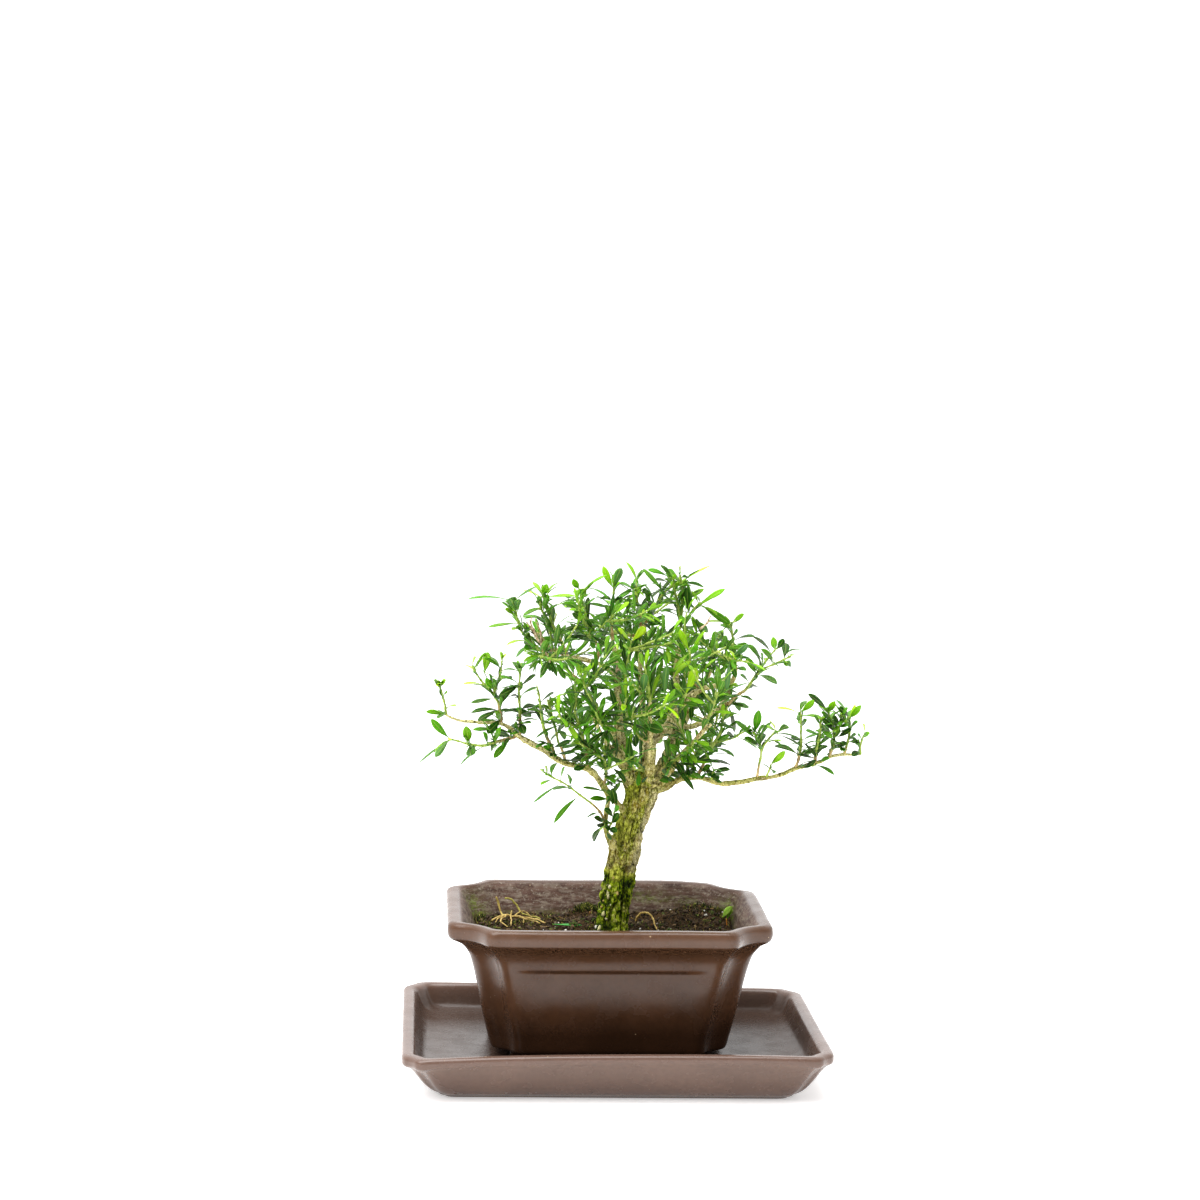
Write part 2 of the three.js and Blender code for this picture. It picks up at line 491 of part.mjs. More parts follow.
    leaves: [
      [-5.77, -14.69, 142.79, -0.85, -23.4, 145.89, -0.848, -0.298, 0.438, 3.89],
      [-6.84, -23.42, 155.36, -15.68, -20.69, 168.1, 0.355, -0.839, 0.413, 3.86],
      [5.12, -33.92, 157.18, 16.57, -42.4, 162.84, -0.516, -0.836, -0.187, 3.69],
      [-3.65, -22, 149.87, 2.55, -33.53, 144.9, -0.2, -0.495, 0.846, 4.1],
      [-5.87, -16.56, 145.44, -10.94, -13.41, 158.7, 0.382, -0.858, 0.344, 3.75],
    ],
  },
  {
    name: 'shoot_11',
    stems: [[[-25.55, -11.09, 153.92], [-28.66, -9.05, 161.2], [-33.53, -4, 180.03]]],
    leaves: [
      [-29.98, -7.77, 166.65, -25.27, -16.6, 163.52, 0.815, 0.511, -0.274, 4.1],
      [-29.33, -8.07, 164.11, -25.01, 5.71, 167.23, -0.199, -0.151, 0.968, 4.2],
      [-31.12, -6.66, 170.03, -43.65, -4, 175.86, 0.436, 0.563, 0.702, 3.51],
      [-30.79, -6.78, 170.15, -23.2, -11.13, 179.02, -0.785, -0.382, 0.488, 3.69],
      [-32.17, -5.18, 174.98, -31.23, 4.29, 179.99, 0.209, -0.466, 0.86, 3.39],
    ],
  },
  {
    name: 'shoot_12',
    stems: [[[-11.09, -33.41, 176.51], [-11.39, -34.25, 180.54], [-20.09, -38, 197.11]],
      [[-16.71, -36.54, 190.68], [-13.66, -40.72, 195.85], [-8.58, -45.58, 206.67]]],
    leaves: [
      [-19.03, -37.7, 195.5, -13.75, -42.28, 202.97, -0.721, -0.683, 0.121, 3.39],
      [-19.49, -37.54, 196.03, -21.12, -29.44, 201.27, 0.283, -0.52, 0.806, 3.65],
      [-10.91, -43.55, 201.76, -9.8, -57.78, 207.32, 0.32, 0.363, 0.875, 4.2],
      [-15.34, -38.64, 193.12, -16.29, -52.27, 199.86, 0.633, 0.309, 0.709, 4.16],
      [-10.83, -43.24, 201.86, -4.47, -37.3, 213.68, 0.478, -0.858, 0.188, 4.2],
    ],
  },
  {
    name: 'shoot_13',
    stems: [[[-7.03, -29.25, 168.49], [-0.58, -34.3, 177.29], [1.8, -38, 185.07]],
      [[-6.63, -29.57, 169.04], [-9.19, -34.97, 172.32], [-12.36, -41.24, 179.25]]],
    leaves: [
      [-6.48, -29.94, 169.35, -15.63, -38.76, 163.54, 0.02, -0.563, 0.826, 3.99],
      [-2.32, -32.9, 175.2, -5.39, -27.67, 189.24, 0.189, -0.904, 0.383, 4.2],
      [0.02, -35.62, 179.77, -8.45, -47.03, 185.01, 0.666, -0.175, 0.725, 3.99],
      [-2.07, -33.07, 174.93, 11.29, -38.87, 171.02, 0.001, -0.559, 0.829, 4.13],
      [-12.09, -41.01, 178.87, -8.45, -54.08, 185.18, -0.664, 0.148, 0.733, 3.81],
    ],
  },
  {
    name: 'shoot_14',
    stems: [[[12.19, -24.16, 164.12], [8.57, -26.76, 166.66], [6.03, -29.57, 170.55], [5.2, -32.37, 175.16], [5.78, -36, 181.05]],
      [[5.36, -33.38, 176.79], [12.47, -40.93, 179.44], [19.29, -47.54, 184.5]]],
    leaves: [
      [6.9, -28.6, 168.96, 5.44, -29.93, 152.06, -0.054, -0.994, 0.09, 4.2],
      [6.15, -29.93, 170.94, 19.51, -38.77, 170.76, -0.643, -0.735, 0.215, 4.2],
      [16, -44.08, 182.02, 27.95, -37.98, 188.13, 0.291, -0.892, 0.345, 3.53],
      [5.91, -30, 170.86, 2.26, -43.64, 168.15, -0.192, -0.14, 0.971, 3.52],
      [8.33, -36.77, 177.95, 8.06, -49.93, 180.4, 0.996, -0.01, 0.086, 3.8],
    ],
  },
  {
    name: 'shoot_15',
    stems: [[[13.13, -36.16, 185.35], [10.43, -38, 200.35]],
      [[13.03, -36.23, 185.91], [7, -40.69, 190.32], [2.7, -43.37, 196.09]]],
    leaves: [
      [13.18, -36.19, 185.87, 20.95, -35.03, 201.73, 0.056, 0.995, -0.078, 4.2],
      [12.59, -36.65, 188.28, 9.85, -45.52, 198.44, 0.088, 0.761, 0.643, 4.2],
      [12.42, -36.57, 189.76, 15.54, -29.04, 203.45, -0.442, -0.737, 0.511, 4.2],
      [3, -43.29, 195.68, -2.92, -54.53, 203.71, -0.372, 0.651, 0.662, 3.75],
      [5.16, -41.79, 192.52, -7.88, -47.68, 194.06, 0.192, -0.17, 0.966, 3.69],
    ],
  },
  {
    name: 'shoot_16',
    stems: [[[21.09, -14.88, 147.08], [32.54, -29.56, 159.46], [35.46, -35, 165.29]]],
    leaves: [
      [24, -18.38, 149.89, 36, -17.35, 138.08, 0.538, -0.672, 0.51, 4.14],
      [31.86, -28.86, 158.95, 29.9, -36.41, 169.75, 0.574, -0.681, -0.454, 3.74],
      [28.25, -24.35, 155.08, 22.26, -31.88, 161.95, 0.83, -0.536, 0.155, 3.71],
      [30.74, -27.3, 157.31, 35.05, -34.78, 153.89, 0.087, -0.442, 0.893, 3.53],
      [34.19, -32.51, 162.44, 40.84, -39.97, 162.67, -0.313, -0.302, 0.9, 3.56],
    ],
  },
  {
    name: 'shoot_17',
    stems: [[[33.44, -8.49, 146.18], [37.73, -16, 158.89]],
      [[36.93, -14.6, 156.53], [27.93, -18, 171.67]]],
    leaves: [
      [36.26, -13.24, 153.98, 48.32, -22.14, 153.19, -0.237, -0.264, 0.935, 4.08],
      [34.65, -10.24, 149.29, 48.2, -8.82, 157.25, -0.304, -0.69, 0.657, 4.14],
      [30.67, -17.06, 166.86, 20.65, -27.17, 171, 0.069, 0.322, 0.944, 3.87],
      [37.72, -15.7, 158.47, 47.98, -17.6, 166.19, -0.322, -0.917, 0.233, 3.92],
      [33.14, -15.89, 162.59, 21.27, -12.54, 165.26, 0.109, -0.36, 0.926, 3.83],
    ],
  },
  {
    name: 'shoot_18',
    stems: [[[39.64, -6.92, 145.26], [49.63, -3.84, 164.73], [53, -2, 176.93]],
      [[45.21, -5.2, 156.11], [46.89, 4.18, 161.28], [49.41, 12.07, 168.3]],
      [[47.21, -4.58, 160.02], [55.96, -7.8, 163.4], [61.17, -10, 166.99]]],
    leaves: [
      [43.14, -5.77, 151.66, 56.22, 3.08, 148.32, 0.42, -0.303, 0.855, 4.14],
      [52.91, -1.96, 176.16, 58.05, 6.89, 164, 0.826, -0.546, -0.138, 4.2],
      [46.19, -4.85, 157.58, 57.46, 1.31, 152.5, 0.142, 0.468, 0.872, 4.2],
      [57.29, -8.19, 164.09, 67.97, -2.02, 157.68, 0.598, -0.246, 0.763, 3.61],
      [47.03, -4.51, 159.33, 54.71, 4.31, 157.4, 0.373, -0.096, 0.923, 4.04],
    ],
  },
  {
    name: 'shoot_19',
    stems: [[[45.58, -10.03, 143.68], [46.31, -14, 148.52]]],
    leaves: [
      [46.16, -12.62, 146.68, 53.38, -21.54, 149.75, -0.657, -0.304, 0.69, 3.94],
      [46.13, -12.15, 146.46, 52.31, -3.24, 144.9, 0.491, -0.208, 0.846, 3.71],
      [45.64, -10.45, 144.52, 43.13, -1.6, 147.49, -0.141, -0.344, 0.928, 3.82],
      [45.86, -11.43, 145.11, 48.34, -20.29, 145.15, -0.377, -0.086, 0.922, 4.2],
    ],
  },
  {
    name: 'shoot_20',
    stems: [[[54.22, 6.94, 177.64], [62.57, 4.35, 185.41], [68.56, 1.86, 194.66], [83.36, -2, 202.6]],
      [[69.04, 1.74, 194.92], [75.32, -4, 205.64]]],
    leaves: [
      [75.71, -0.14, 198.72, 63.96, -9.03, 212.46, 0.792, -0.376, 0.482, 3.89],
      [54.7, 6.98, 177.89, 65.93, 15.91, 175.26, 0.556, -0.542, 0.63, 3.83],
      [67.34, 2.18, 193.08, 61.22, -6.69, 202.33, 0.348, -0.793, -0.5, 3.87],
      [68.01, 2.29, 193.46, 78.49, 11.17, 187.14, -0.211, 0.664, 0.717, 4.2],
      [70.71, 1.15, 196.04, 61.86, -7.73, 208.28, 0.833, -0.543, 0.111, 3.89],
      [64, 3.54, 187.89, 58.53, -5.31, 193.5, 0.855, -0.227, 0.466, 3.59],
      [74.97, -3.89, 205.26, 73.09, -12.9, 212.76, 0.169, -0.645, -0.745, 3.85],
      [80.03, -0.94, 200.93, 81.88, 7.87, 207.77, 0.089, -0.608, 0.789, 4.2],
    ],
  },
  {
    name: 'shoot_21',
    stems: [[[67.83, -9.58, 145.87], [68.93, -13.21, 158.79], [64.9, -16, 167.42]],
      [[68.89, -13.08, 158.32], [75.24, -18, 168.32]]],
    leaves: [
      [65.63, -15.51, 165.64, 54.87, -23.9, 173.74, 0.733, -0.594, 0.332, 3.87],
      [65.2, -15.93, 167.01, 66.22, -23.67, 179.13, -0.14, -0.841, -0.523, 4.2],
      [75.01, -17.83, 167.62, 85.95, -26.72, 162.48, 0.224, -0.171, 0.959, 3.94],
      [68.18, -13.78, 160.17, 59.35, -22.68, 165.39, 0.713, -0.343, 0.612, 3.57],
      [67.18, -14.59, 162.94, 72.45, -20.21, 172.93, -0.436, 0.651, 0.621, 3.74],
      [74.84, -17.97, 167.94, 69.77, -26.9, 171.29, 0.752, -0.229, 0.618, 3.72],
      [71.74, -15.38, 162.65, 77.31, -23.56, 164.19, -0.3, -0.075, 0.951, 3.24],
      [68.31, -13.47, 160.32, 70.32, -4.68, 165.3, 0.144, -0.502, 0.853, 4.2],
    ],
  },
  {
    name: 'shoot_22',
    stems: [[[72.52, -9.54, 145.8], [73.69, -14, 151.25]]],
    leaves: [
      [73.7, -13.66, 150.87, 79.7, -18.42, 158.61, -0.36, -0.897, -0.255, 3.84],
      [73.11, -11.84, 148.91, 70.04, -2.93, 150.41, 0.368, -0.052, 0.928, 3.84],
      [73.24, -12.45, 149.06, 73.95, -21.26, 148.47, 0.486, -0.043, 0.873, 3.64],
    ],
  },
  {
    name: 'shoot_23',
    stems: [[[87.06, -5.2, 150.19], [88.82, -6.27, 159.96], [87.73, -8, 175.76]]],
    leaves: [
      [88.87, -6.32, 161.8, 99.4, 2.53, 164.64, -0.087, -0.191, 0.978, 3.73],
      [87.75, -5.62, 155.14, 76.41, 1.54, 158.2, -0.148, -0.573, 0.806, 3.88],
      [88.81, -6.64, 161.76, 95.04, -15.47, 155.59, 0.379, -0.302, 0.875, 4.01],
      [87.88, -8.07, 175.26, 93.4, -15.69, 182.94, -0.485, -0.753, -0.445, 3.85],
      [87.54, -7.92, 175.25, 76.17, -7.2, 177.69, 0.126, -0.227, 0.966, 3.63],
    ],
  },
  {
    name: 'shoot_24',
    stems: [[[96.11, -5.01, 153.28], [96.76, -14, 172.35]]],
    leaves: [
      [96.29, -5.21, 153.83, 101.98, -5.94, 159.57, -0.308, -0.624, 0.718, 4.07],
      [96.43, -7.36, 158.7, 103.74, 1.52, 163.83, -0.216, -0.352, 0.911, 3.73],
      [96.4, -11.06, 165.8, 89.12, -19.92, 168.77, 0.552, -0.247, 0.797, 3.99],
      [96.63, -13.5, 171.01, 92.67, -22.39, 176.39, 0.929, -0.333, 0.161, 3.99],
      [96.14, -6.46, 156.68, 92.01, 2.47, 152.78, -0.798, -0.164, 0.58, 3.96],
    ],
  },
  {
    name: 'shoot_25',
    stems: [[[103.52, -4.19, 156.07], [104.86, -5, 165.46], [101.5, -6, 176.62]],
      [[104.64, -4.87, 163.92], [107.11, -7.05, 169.16], [107.77, -10, 176.77]]],
    leaves: [
      [101.54, -6.05, 176.1, 90.73, -13.67, 185.54, 0.689, -0.684, 0.24, 4.16],
      [104.65, -5.18, 165.9, 97.63, -14.04, 173.88, 0.809, -0.588, 0.01, 4.2],
      [104.29, -4.54, 162.23, 99.34, 4.28, 168.83, 0.015, -0.576, 0.817, 3.93],
      [105.27, -5.48, 165.06, 112.11, -14.36, 169.25, -0.886, -0.398, 0.239, 3.87],
      [107.11, -7.71, 170.48, 102.12, -16.58, 175.2, 0.891, -0.424, 0.164, 3.86],
      [107.49, -8.79, 174.25, 105.06, 0.01, 179.73, 0.722, -0.212, 0.658, 3.94],
      [107.61, -9.29, 174.55, 109.51, -18.16, 179.86, -0.973, -0.109, 0.202, 3.69],
      [103.4, -5.25, 170.57, 105.63, 3.54, 174.85, -0.47, -0.298, 0.831, 4],
    ],
  },
  {
    name: 'shoot_26',
    stems: [[[110.53, -4, 156.49], [112.46, -4, 166.03], [112.02, -4, 173.55]]],
    leaves: [
      [112.15, -4.15, 173.05, 116.56, -11.97, 180.53, -0.469, -0.732, -0.494, 3.86],
      [112.39, -4.2, 168.38, 115.08, -13, 172.42, -0.915, -0.075, 0.396, 3.84],
      [110.78, -4.21, 158.14, 107.35, -13, 158.28, 0.164, -0.081, 0.983, 3.77],
    ],
  },
  {
    name: 'shoot_27',
    stems: [[[117.84, -4.33, 157.1], [119.28, -6, 165.15]]],
    leaves: [
      [118.13, -4.97, 159.44, 112.71, -13.81, 164.71, 0.889, -0.437, 0.136, 3.94],
      [119.1, -6.01, 164.5, 117.46, -14.87, 171.75, 0.969, -0.228, -0.096, 3.18],
      [118.65, -5.55, 162.14, 115.42, -14.37, 166.29, 0.925, -0.178, 0.336, 3.68],
      [117.81, -4.63, 157.56, 112.77, -13.35, 156.37, 0.478, -0.3, 0.825, 4.09],
    ],
  },
  {
    name: 'shoot_28',
    stems: [[[92.89, -6.19, 149.76], [94.57, -9, 150.22]]],
    leaves: [
      [94.39, -8.55, 150.06, 103.73, -16.51, 147.13, 0.104, -0.32, 0.942, 3.85],
    ],
  },
  {
    name: 'shoot_29',
    stems: [[[-33.3, -5.73, 204.41], [-38.11, -6.85, 204.57], [-42.7, -8.28, 208.87], [-47.55, -10.04, 214.89], [-49.85, -12, 223.17]],
      [[-33.89, -5.86, 204.43], [-36.78, -16.91, 202.63], [-38.62, -25.6, 203.79]],
      [[-38.1, -23.11, 203.45], [-34.12, -27.27, 202.66], [-26.48, -34.82, 203.88]]],
    leaves: [
      [-49.91, -11.87, 222.65, -72.72, -12.32, 228.87, 0.017, -0.26, 0.966, 3.99],
      [-48.58, -10.73, 217.73, -62.91, -11.31, 215.76, -0.113, -0.438, 0.892, 3.56],
      [-41.46, -7.71, 207.47, -49.05, 1.15, 200.03, -0.854, -0.342, 0.392, 3.99],
      [-43.15, -8.46, 209.14, -53.9, -13.48, 207.48, -0.001, -0.274, 0.962, 3.39],
      [-49.81, -11.69, 222.72, -54.87, -2.94, 227.18, 0.262, -0.274, 0.925, 3.75],
      [-49.42, -11.71, 221.27, -55.27, -20.56, 225.46, 0.872, -0.407, 0.273, 3.26],
      [-49.66, -12.03, 222.68, -48.74, -20.94, 230.11, 0.023, 0.57, 0.821, 3.94],
      [-39.39, -7.02, 205.71, -44.8, 1.76, 208.3, -0.427, -0.521, 0.739, 3.94],
    ],
  },
  {
    name: 'shoot_30',
    stems: [[[-25.99, -5.05, 204.89], [-32.04, -4.53, 216.9], [-36.82, -4, 230.18]],
      [[-28.78, -4.81, 210.42], [-31.02, -4.71, 209.03], [-32.27, -5.07, 209.95], [-38.42, -10, 227.43]]],
    leaves: [
      [-36.26, -4.04, 229.27, -21.49, -3.89, 230.39, -0.036, -0.495, 0.868, 3.28],
      [-35.22, -4.3, 225.12, -46.36, -10.05, 221.11, -0.075, -0.497, 0.865, 3.64],
      [-35.86, -7.67, 219.6, -46.65, -0.72, 219.56, -0.221, -0.342, 0.913, 3.72],
      [-36.7, -3.85, 229.69, -41.33, 4.99, 235.73, 0.247, -0.431, 0.868, 3.41],
      [-36.43, -3.88, 229.56, -29.42, 3.85, 235.76, -0.565, -0.175, 0.807, 3.65],
      [-36.81, -3.9, 229.66, -46.16, 2.33, 232.06, 0.14, -0.21, 0.968, 3.42],
      [-36.59, -4.2, 229.75, -35.26, -12.42, 236.58, -0.301, -0.622, -0.723, 4.2],
      [-34.26, -6.78, 215.25, -38.35, -15.58, 211.75, -0.46, -0.162, 0.873, 3.88],
    ],
  },
  {
    name: 'shoot_31',
    stems: [[[-10.52, -6.82, 200.29], [-9.25, -6, 205.44], [-12.74, -6.92, 211.12], [-19.94, -10, 234.4]],
      [[-11.91, -6.7, 209.77], [-16.65, -14.65, 213.73]]],
    leaves: [
      [-17.6, -8.94, 227.38, -5.72, -0.36, 224.97, 0.443, -0.331, 0.833, 3.72],
      [-19.63, -10.07, 233.96, -6.52, -18.94, 231.17, 0.199, -0.176, 0.964, 3.58],
      [-18.28, -9.07, 228.41, -28.41, -1, 226.64, -0.296, -0.197, 0.935, 3.76],
      [-17.55, -9.02, 226.05, -27.02, -14.95, 226.24, 0.254, -0.408, 0.877, 3.26],
      [-19.82, -10.1, 233.89, -23.31, -18.94, 239.99, 0.333, -0.601, -0.726, 3.81],
    ],
  },
  {
    name: 'shoot_32',
    stems: [[[-3.19, -7.9, 210.19], [-3, -6, 234.71]]],
    leaves: [
      [-2.96, -6.21, 234.02, -0.38, -15.06, 245.22, 0.246, 0.777, 0.579, 4.2],
      [-3.26, -6.77, 223.13, -12.62, -0.59, 218.58, -0.572, -0.56, 0.599, 3.94],
      [-3.1, -6.06, 234.01, -8.42, -5.38, 245.15, -0.028, -0.998, 0.048, 3.83],
      [-3.18, -6.63, 229, -9.95, -15.44, 230.31, -0.417, 0.45, 0.789, 4.04],
      [-3.18, -7.23, 221.47, -6.86, -16.03, 225.15, 0.854, -0.164, 0.494, 3.63],
    ],
  },
  {
    name: 'shoot_33',
    stems: [[[12.67, 29.11, 212.63], [8.6, 10, 234.24]]],
    leaves: [
      [9.05, 12.66, 231.15, 0.63, 3.71, 236.23, 0.709, -0.198, 0.677, 4.06],
      [8.6, 10.45, 233.96, 3.62, 11.21, 245.54, 0.717, -0.535, 0.447, 3.59],
      [8.74, 10.81, 233.15, 5.69, 1.9, 235.98, 0.837, -0.4, -0.374, 3.93],
      [9.64, 14.23, 229.31, 14.35, 5.34, 232.87, 0.649, 0.404, 0.644, 4.02],
      [8.84, 11.02, 233.35, 11.75, 19.9, 233.79, 0.343, -0.157, 0.926, 3.94],
    ],
  },
  {
    name: 'shoot_34',
    stems: [[[13.57, 27.92, 211.53], [18.57, 14.17, 224.97], [25.26, 1.42, 235.66], [26, -2, 239.07]],
      [[15.73, 21.99, 217.33], [25.86, 23.24, 225.09], [33.24, 25.53, 231.42]]],
    leaves: [
      [25.35, 0.4, 236.69, 19.07, -8.21, 246.32, 0.422, 0.511, 0.749, 3.94],
      [22.34, 6.69, 231.42, 11.77, 7.25, 242.69, 0.518, -0.692, 0.503, 4.06],
      [24.35, 2.71, 234.38, 15.34, -6.14, 230.15, -0.322, -0.156, 0.934, 3.98],
      [24.75, 1.94, 235.16, 16.5, -6.96, 238.93, 0.496, -0.133, 0.858, 4.03],
      [25.79, -1.05, 238.42, 23.73, 7.8, 242.93, -0.491, -0.622, 0.611, 3.84],
    ],
  },
  {
    name: 'shoot_35',
    stems: [[[30.08, 10.44, 209.3], [30.69, 7.33, 215.55], [38.95, 0, 227.45]],
      [[30.98, 7.07, 215.98], [29.24, 3, 240.56]]],
    leaves: [
      [38.85, 0.27, 226.91, 53.81, 1.14, 217.35, 0.075, -0.997, 0.021, 4.2],
      [33.75, 4.45, 220.03, 22.33, 3.17, 207.89, -0.574, -0.501, 0.648, 4.05],
      [30.56, 5.9, 222.45, 32.13, -2.95, 235.37, 0.029, -0.834, -0.551, 4.2],
      [29.68, 3.55, 237.26, 43.35, 2.26, 245.17, -0.507, -0.322, 0.8, 3.35],
      [34, 4.65, 219.98, 44.38, 12.89, 211.94, 0.726, -0.673, 0.143, 3.92],
      [38.79, 0.3, 227.06, 50.67, -0.56, 234.28, -0.25, -0.909, 0.335, 3.54],
      [30.35, 5.83, 222.52, 20.58, -2.95, 223.28, 0.238, -0.183, 0.954, 3.87],
      [29.72, 3.55, 236.41, 40.06, -4.27, 235.62, 0.459, 0.419, 0.783, 4.2],
    ],
  },
  {
    name: 'shoot_36',
    stems: [[[57.82, 8.73, 194.7], [54.64, 5, 216.94]],
      [[57.44, 8.28, 197.39], [45.1, 6.51, 204.25], [38.85, 5.83, 210.04]]],
    leaves: [
      [54.52, 4.98, 216.41, 42.42, -1.68, 218.25, 0.294, -0.233, 0.927, 3.25],
      [55.95, 6.19, 209, 65.57, -2.67, 211.64, -0.406, -0.13, 0.905, 4.2],
      [54.83, 4.94, 216.45, 60.01, -3.48, 222.56, -0.869, -0.486, 0.094, 3.46],
      [54.97, 5.71, 213.96, 50.65, 14.5, 215.82, -0.035, -0.217, 0.976, 4.04],
      [55.56, 5.81, 210.92, 57.27, -2.99, 214.48, -0.948, -0.033, 0.317, 4.05],
    ],
  },
  {
    name: 'shoot_37',
    stems: [[[37.46, -10.28, 188.86], [33.22, -10.93, 194.91], [31.7, -12.61, 198.05], [32.94, -21.64, 202.47], [32.14, -30, 207.24]],
      [[32.23, -16.47, 199.94], [52.83, -21.89, 210.27]],
      [[32, -14.78, 199.12], [30.78, -14.25, 212.02], [31.46, -12.92, 223.02]]],
    leaves: [
      [32.09, -29.47, 207.15, 26.77, -28.99, 217.89, -0.032, -0.998, 0.057, 3.78],
      [32.52, -26.84, 205.45, 35.31, -35.85, 211.31, -0.512, -0.579, -0.634, 3.79],
      [31.56, -14.72, 204.67, 36.62, -25.35, 215.33, 0.001, 0.702, 0.712, 4.17],
      [31.68, -13.99, 198.77, 19.87, -19.76, 204.06, 0.529, -0.778, 0.339, 3.68],
      [47.73, -20.41, 207.61, 60.09, -15.54, 207.82, 0.372, -0.92, 0.126, 3.55],
    ],
  },
  {
    name: 'shoot_38',
    stems: [[[28.04, -9.51, 179.3], [30.36, -34, 187.74]]],
    leaves: [
      [30.27, -32.22, 187.34, 34.99, -31.87, 199.9, -0.071, -0.996, 0.057, 4.2],
      [29.26, -23.75, 184.25, 23.75, -32.75, 189.4, 0.83, -0.553, 0.075, 4.02],
      [28.35, -12.58, 180.55, 30.27, -18.05, 194.24, -0.066, -0.933, -0.355, 4.2],
      [28.5, -16.61, 181.77, 16.02, -23.27, 185.5, 0.515, -0.725, 0.457, 3.46],
      [28.89, -16.6, 181.69, 39.32, -23.22, 180.94, -0.533, -0.844, -0.059, 3.69],
    ],
  },
  {
    name: 'shoot_39',
    stems: [[[2.76, -11.45, 188.41], [4.38, -26, 211.16]],
      [[4.04, -22.97, 206.42], [23.63, -35.04, 212.36]],
      [[4.11, -23.59, 207.38], [13.66, -27.16, 211.26], [23.61, -28.59, 215.8]]],
    leaves: [
      [4.22, -25.79, 210.71, -2.48, -34.87, 218.06, 0.855, -0.34, 0.392, 4.2],
      [4.47, -25.56, 210.83, 11.48, -16.87, 217.17, 0.412, -0.716, 0.564, 4.2],
      [3.93, -22.92, 206.11, 0.34, -31.8, 209.87, 0.869, -0.183, 0.46, 3.35],
      [3.22, -16.07, 195.85, -0.12, -16.69, 211.71, 0.503, -0.861, 0.073, 4.08],
      [10.06, -26.77, 208.17, 19.6, -39.22, 206.03, 0.416, 0.166, 0.894, 3.83],
    ],
  },
  {
    name: 'shoot_40',
    stems: [[[48, 37.92, 191.49], [48.07, 22.6, 202.55], [49.9, 10, 210.95]]],
    leaves: [
      [48.23, 23.22, 202.26, 57.01, 32.15, 204.53, 0.535, -0.66, 0.527, 3.99],
      [48.7, 19.03, 205.17, 53.11, 27.93, 211.35, -0.284, 0.638, -0.716, 4.2],
      [48.3, 20.33, 204.23, 41.99, 29.28, 206.12, -0.794, -0.469, 0.387, 3.91],
      [48.05, 34.39, 193.84, 50.34, 19.14, 192.36, -0.005, -0.106, 0.994, 4.2],
      [47.87, 29.2, 197.92, 37.04, 27.25, 208.01, 0.501, -0.77, 0.394, 3.54],
    ],
  },
  {
    name: 'shoot_41',
    stems: [[[-17.19, 36.47, 184.88], [-29.11, 36.21, 196.04], [-36.62, 35.17, 205.82]],
      [[-32.49, 35.74, 200.44], [-29.06, 25, 218.41]]],
    leaves: [
      [-33.5, 35.72, 201.81, -39.9, 42.74, 213.25, -0.242, -0.879, 0.412, 3.79],
      [-30.94, 30.32, 209.3, -38.67, 19.28, 215.05, 0.322, 0.257, 0.911, 3.73],
      [-30.55, 36.13, 197.67, -43.69, 41.9, 199.78, -0.333, -0.874, 0.354, 3.54],
      [-23.11, 36.36, 190.69, -20.1, 37.85, 204.47, -0.892, -0.381, 0.243, 3.46],
      [-18.79, 36.31, 186.34, -28.4, 28.4, 193.15, -0.298, 0.796, 0.526, 3.85],
    ],
  },
  {
    name: 'shoot_42',
    stems: [[[-1.32, 27.92, 164.14], [10.19, 34.01, 165.95], [23.73, 41.63, 171.33]],
      [[-0.01, 28.62, 164.34], [7.19, 23.39, 164.45], [19.25, 15.85, 167.75]],
      [[7.02, 32.33, 165.45], [7.14, 39.35, 169.91], [7.32, 48.08, 178.99]]],
    leaves: [
      [6.11, 31.88, 165.45, 15.24, 38.54, 176.27, 0.761, 0.047, -0.647, 4.07],
      [5.89, 24.1, 164.39, 5.69, 8.64, 161.71, 0.976, -0.055, 0.212, 3.91],
      [0.81, 29.19, 164.5, 8.55, 42.38, 167.84, 0.839, -0.519, 0.16, 4.12],
      [6.16, 31.88, 165.13, 15.78, 37.3, 154.79, 0.244, 0.744, 0.622, 3.75],
      [10.53, 34.39, 166.1, 14.47, 48.66, 168.17, 0.947, -0.28, 0.161, 4.2],
    ],
  },
  {
    name: 'shoot_43',
    stems: [[[44.86, 36.47, 185.04], [34.84, 24.4, 174.87], [28.3, 18.74, 169.83]],
      [[36.34, 26.21, 176.4], [31.94, 28.63, 167.24], [25.41, 31.81, 158]],
      [[35.15, 26.87, 173.92], [41.46, 30.29, 168.25], [50, 35.41, 165.95]]],
    leaves: [
      [31.93, 21.76, 172.37, 35.68, 17, 158.82, -0.93, -0.339, -0.143, 3.71],
      [44.88, 32.55, 167.31, 46.25, 46.36, 165.6, 0.865, -0.131, -0.484, 3.81],
      [35.1, 24.93, 175.21, 23.38, 23.53, 167.67, 0.344, -0.853, -0.392, 3.46],
      [31.21, 29.21, 166.21, 31.17, 42.72, 166.17, -0.601, 0, -0.799, 3.81],
      [31.09, 28.88, 166.17, 20.97, 24.5, 158.82, 0.49, 0.245, -0.837, 4],
    ],
  },
  {
    name: 'shoot_44',
    stems: [[[36.76, 30.24, 171.09], [34.89, 27.6, 186.05], [32.86, 27, 201.22]],
      [[35.08, 27.88, 184.51], [37.39, 42.05, 202.75]]],
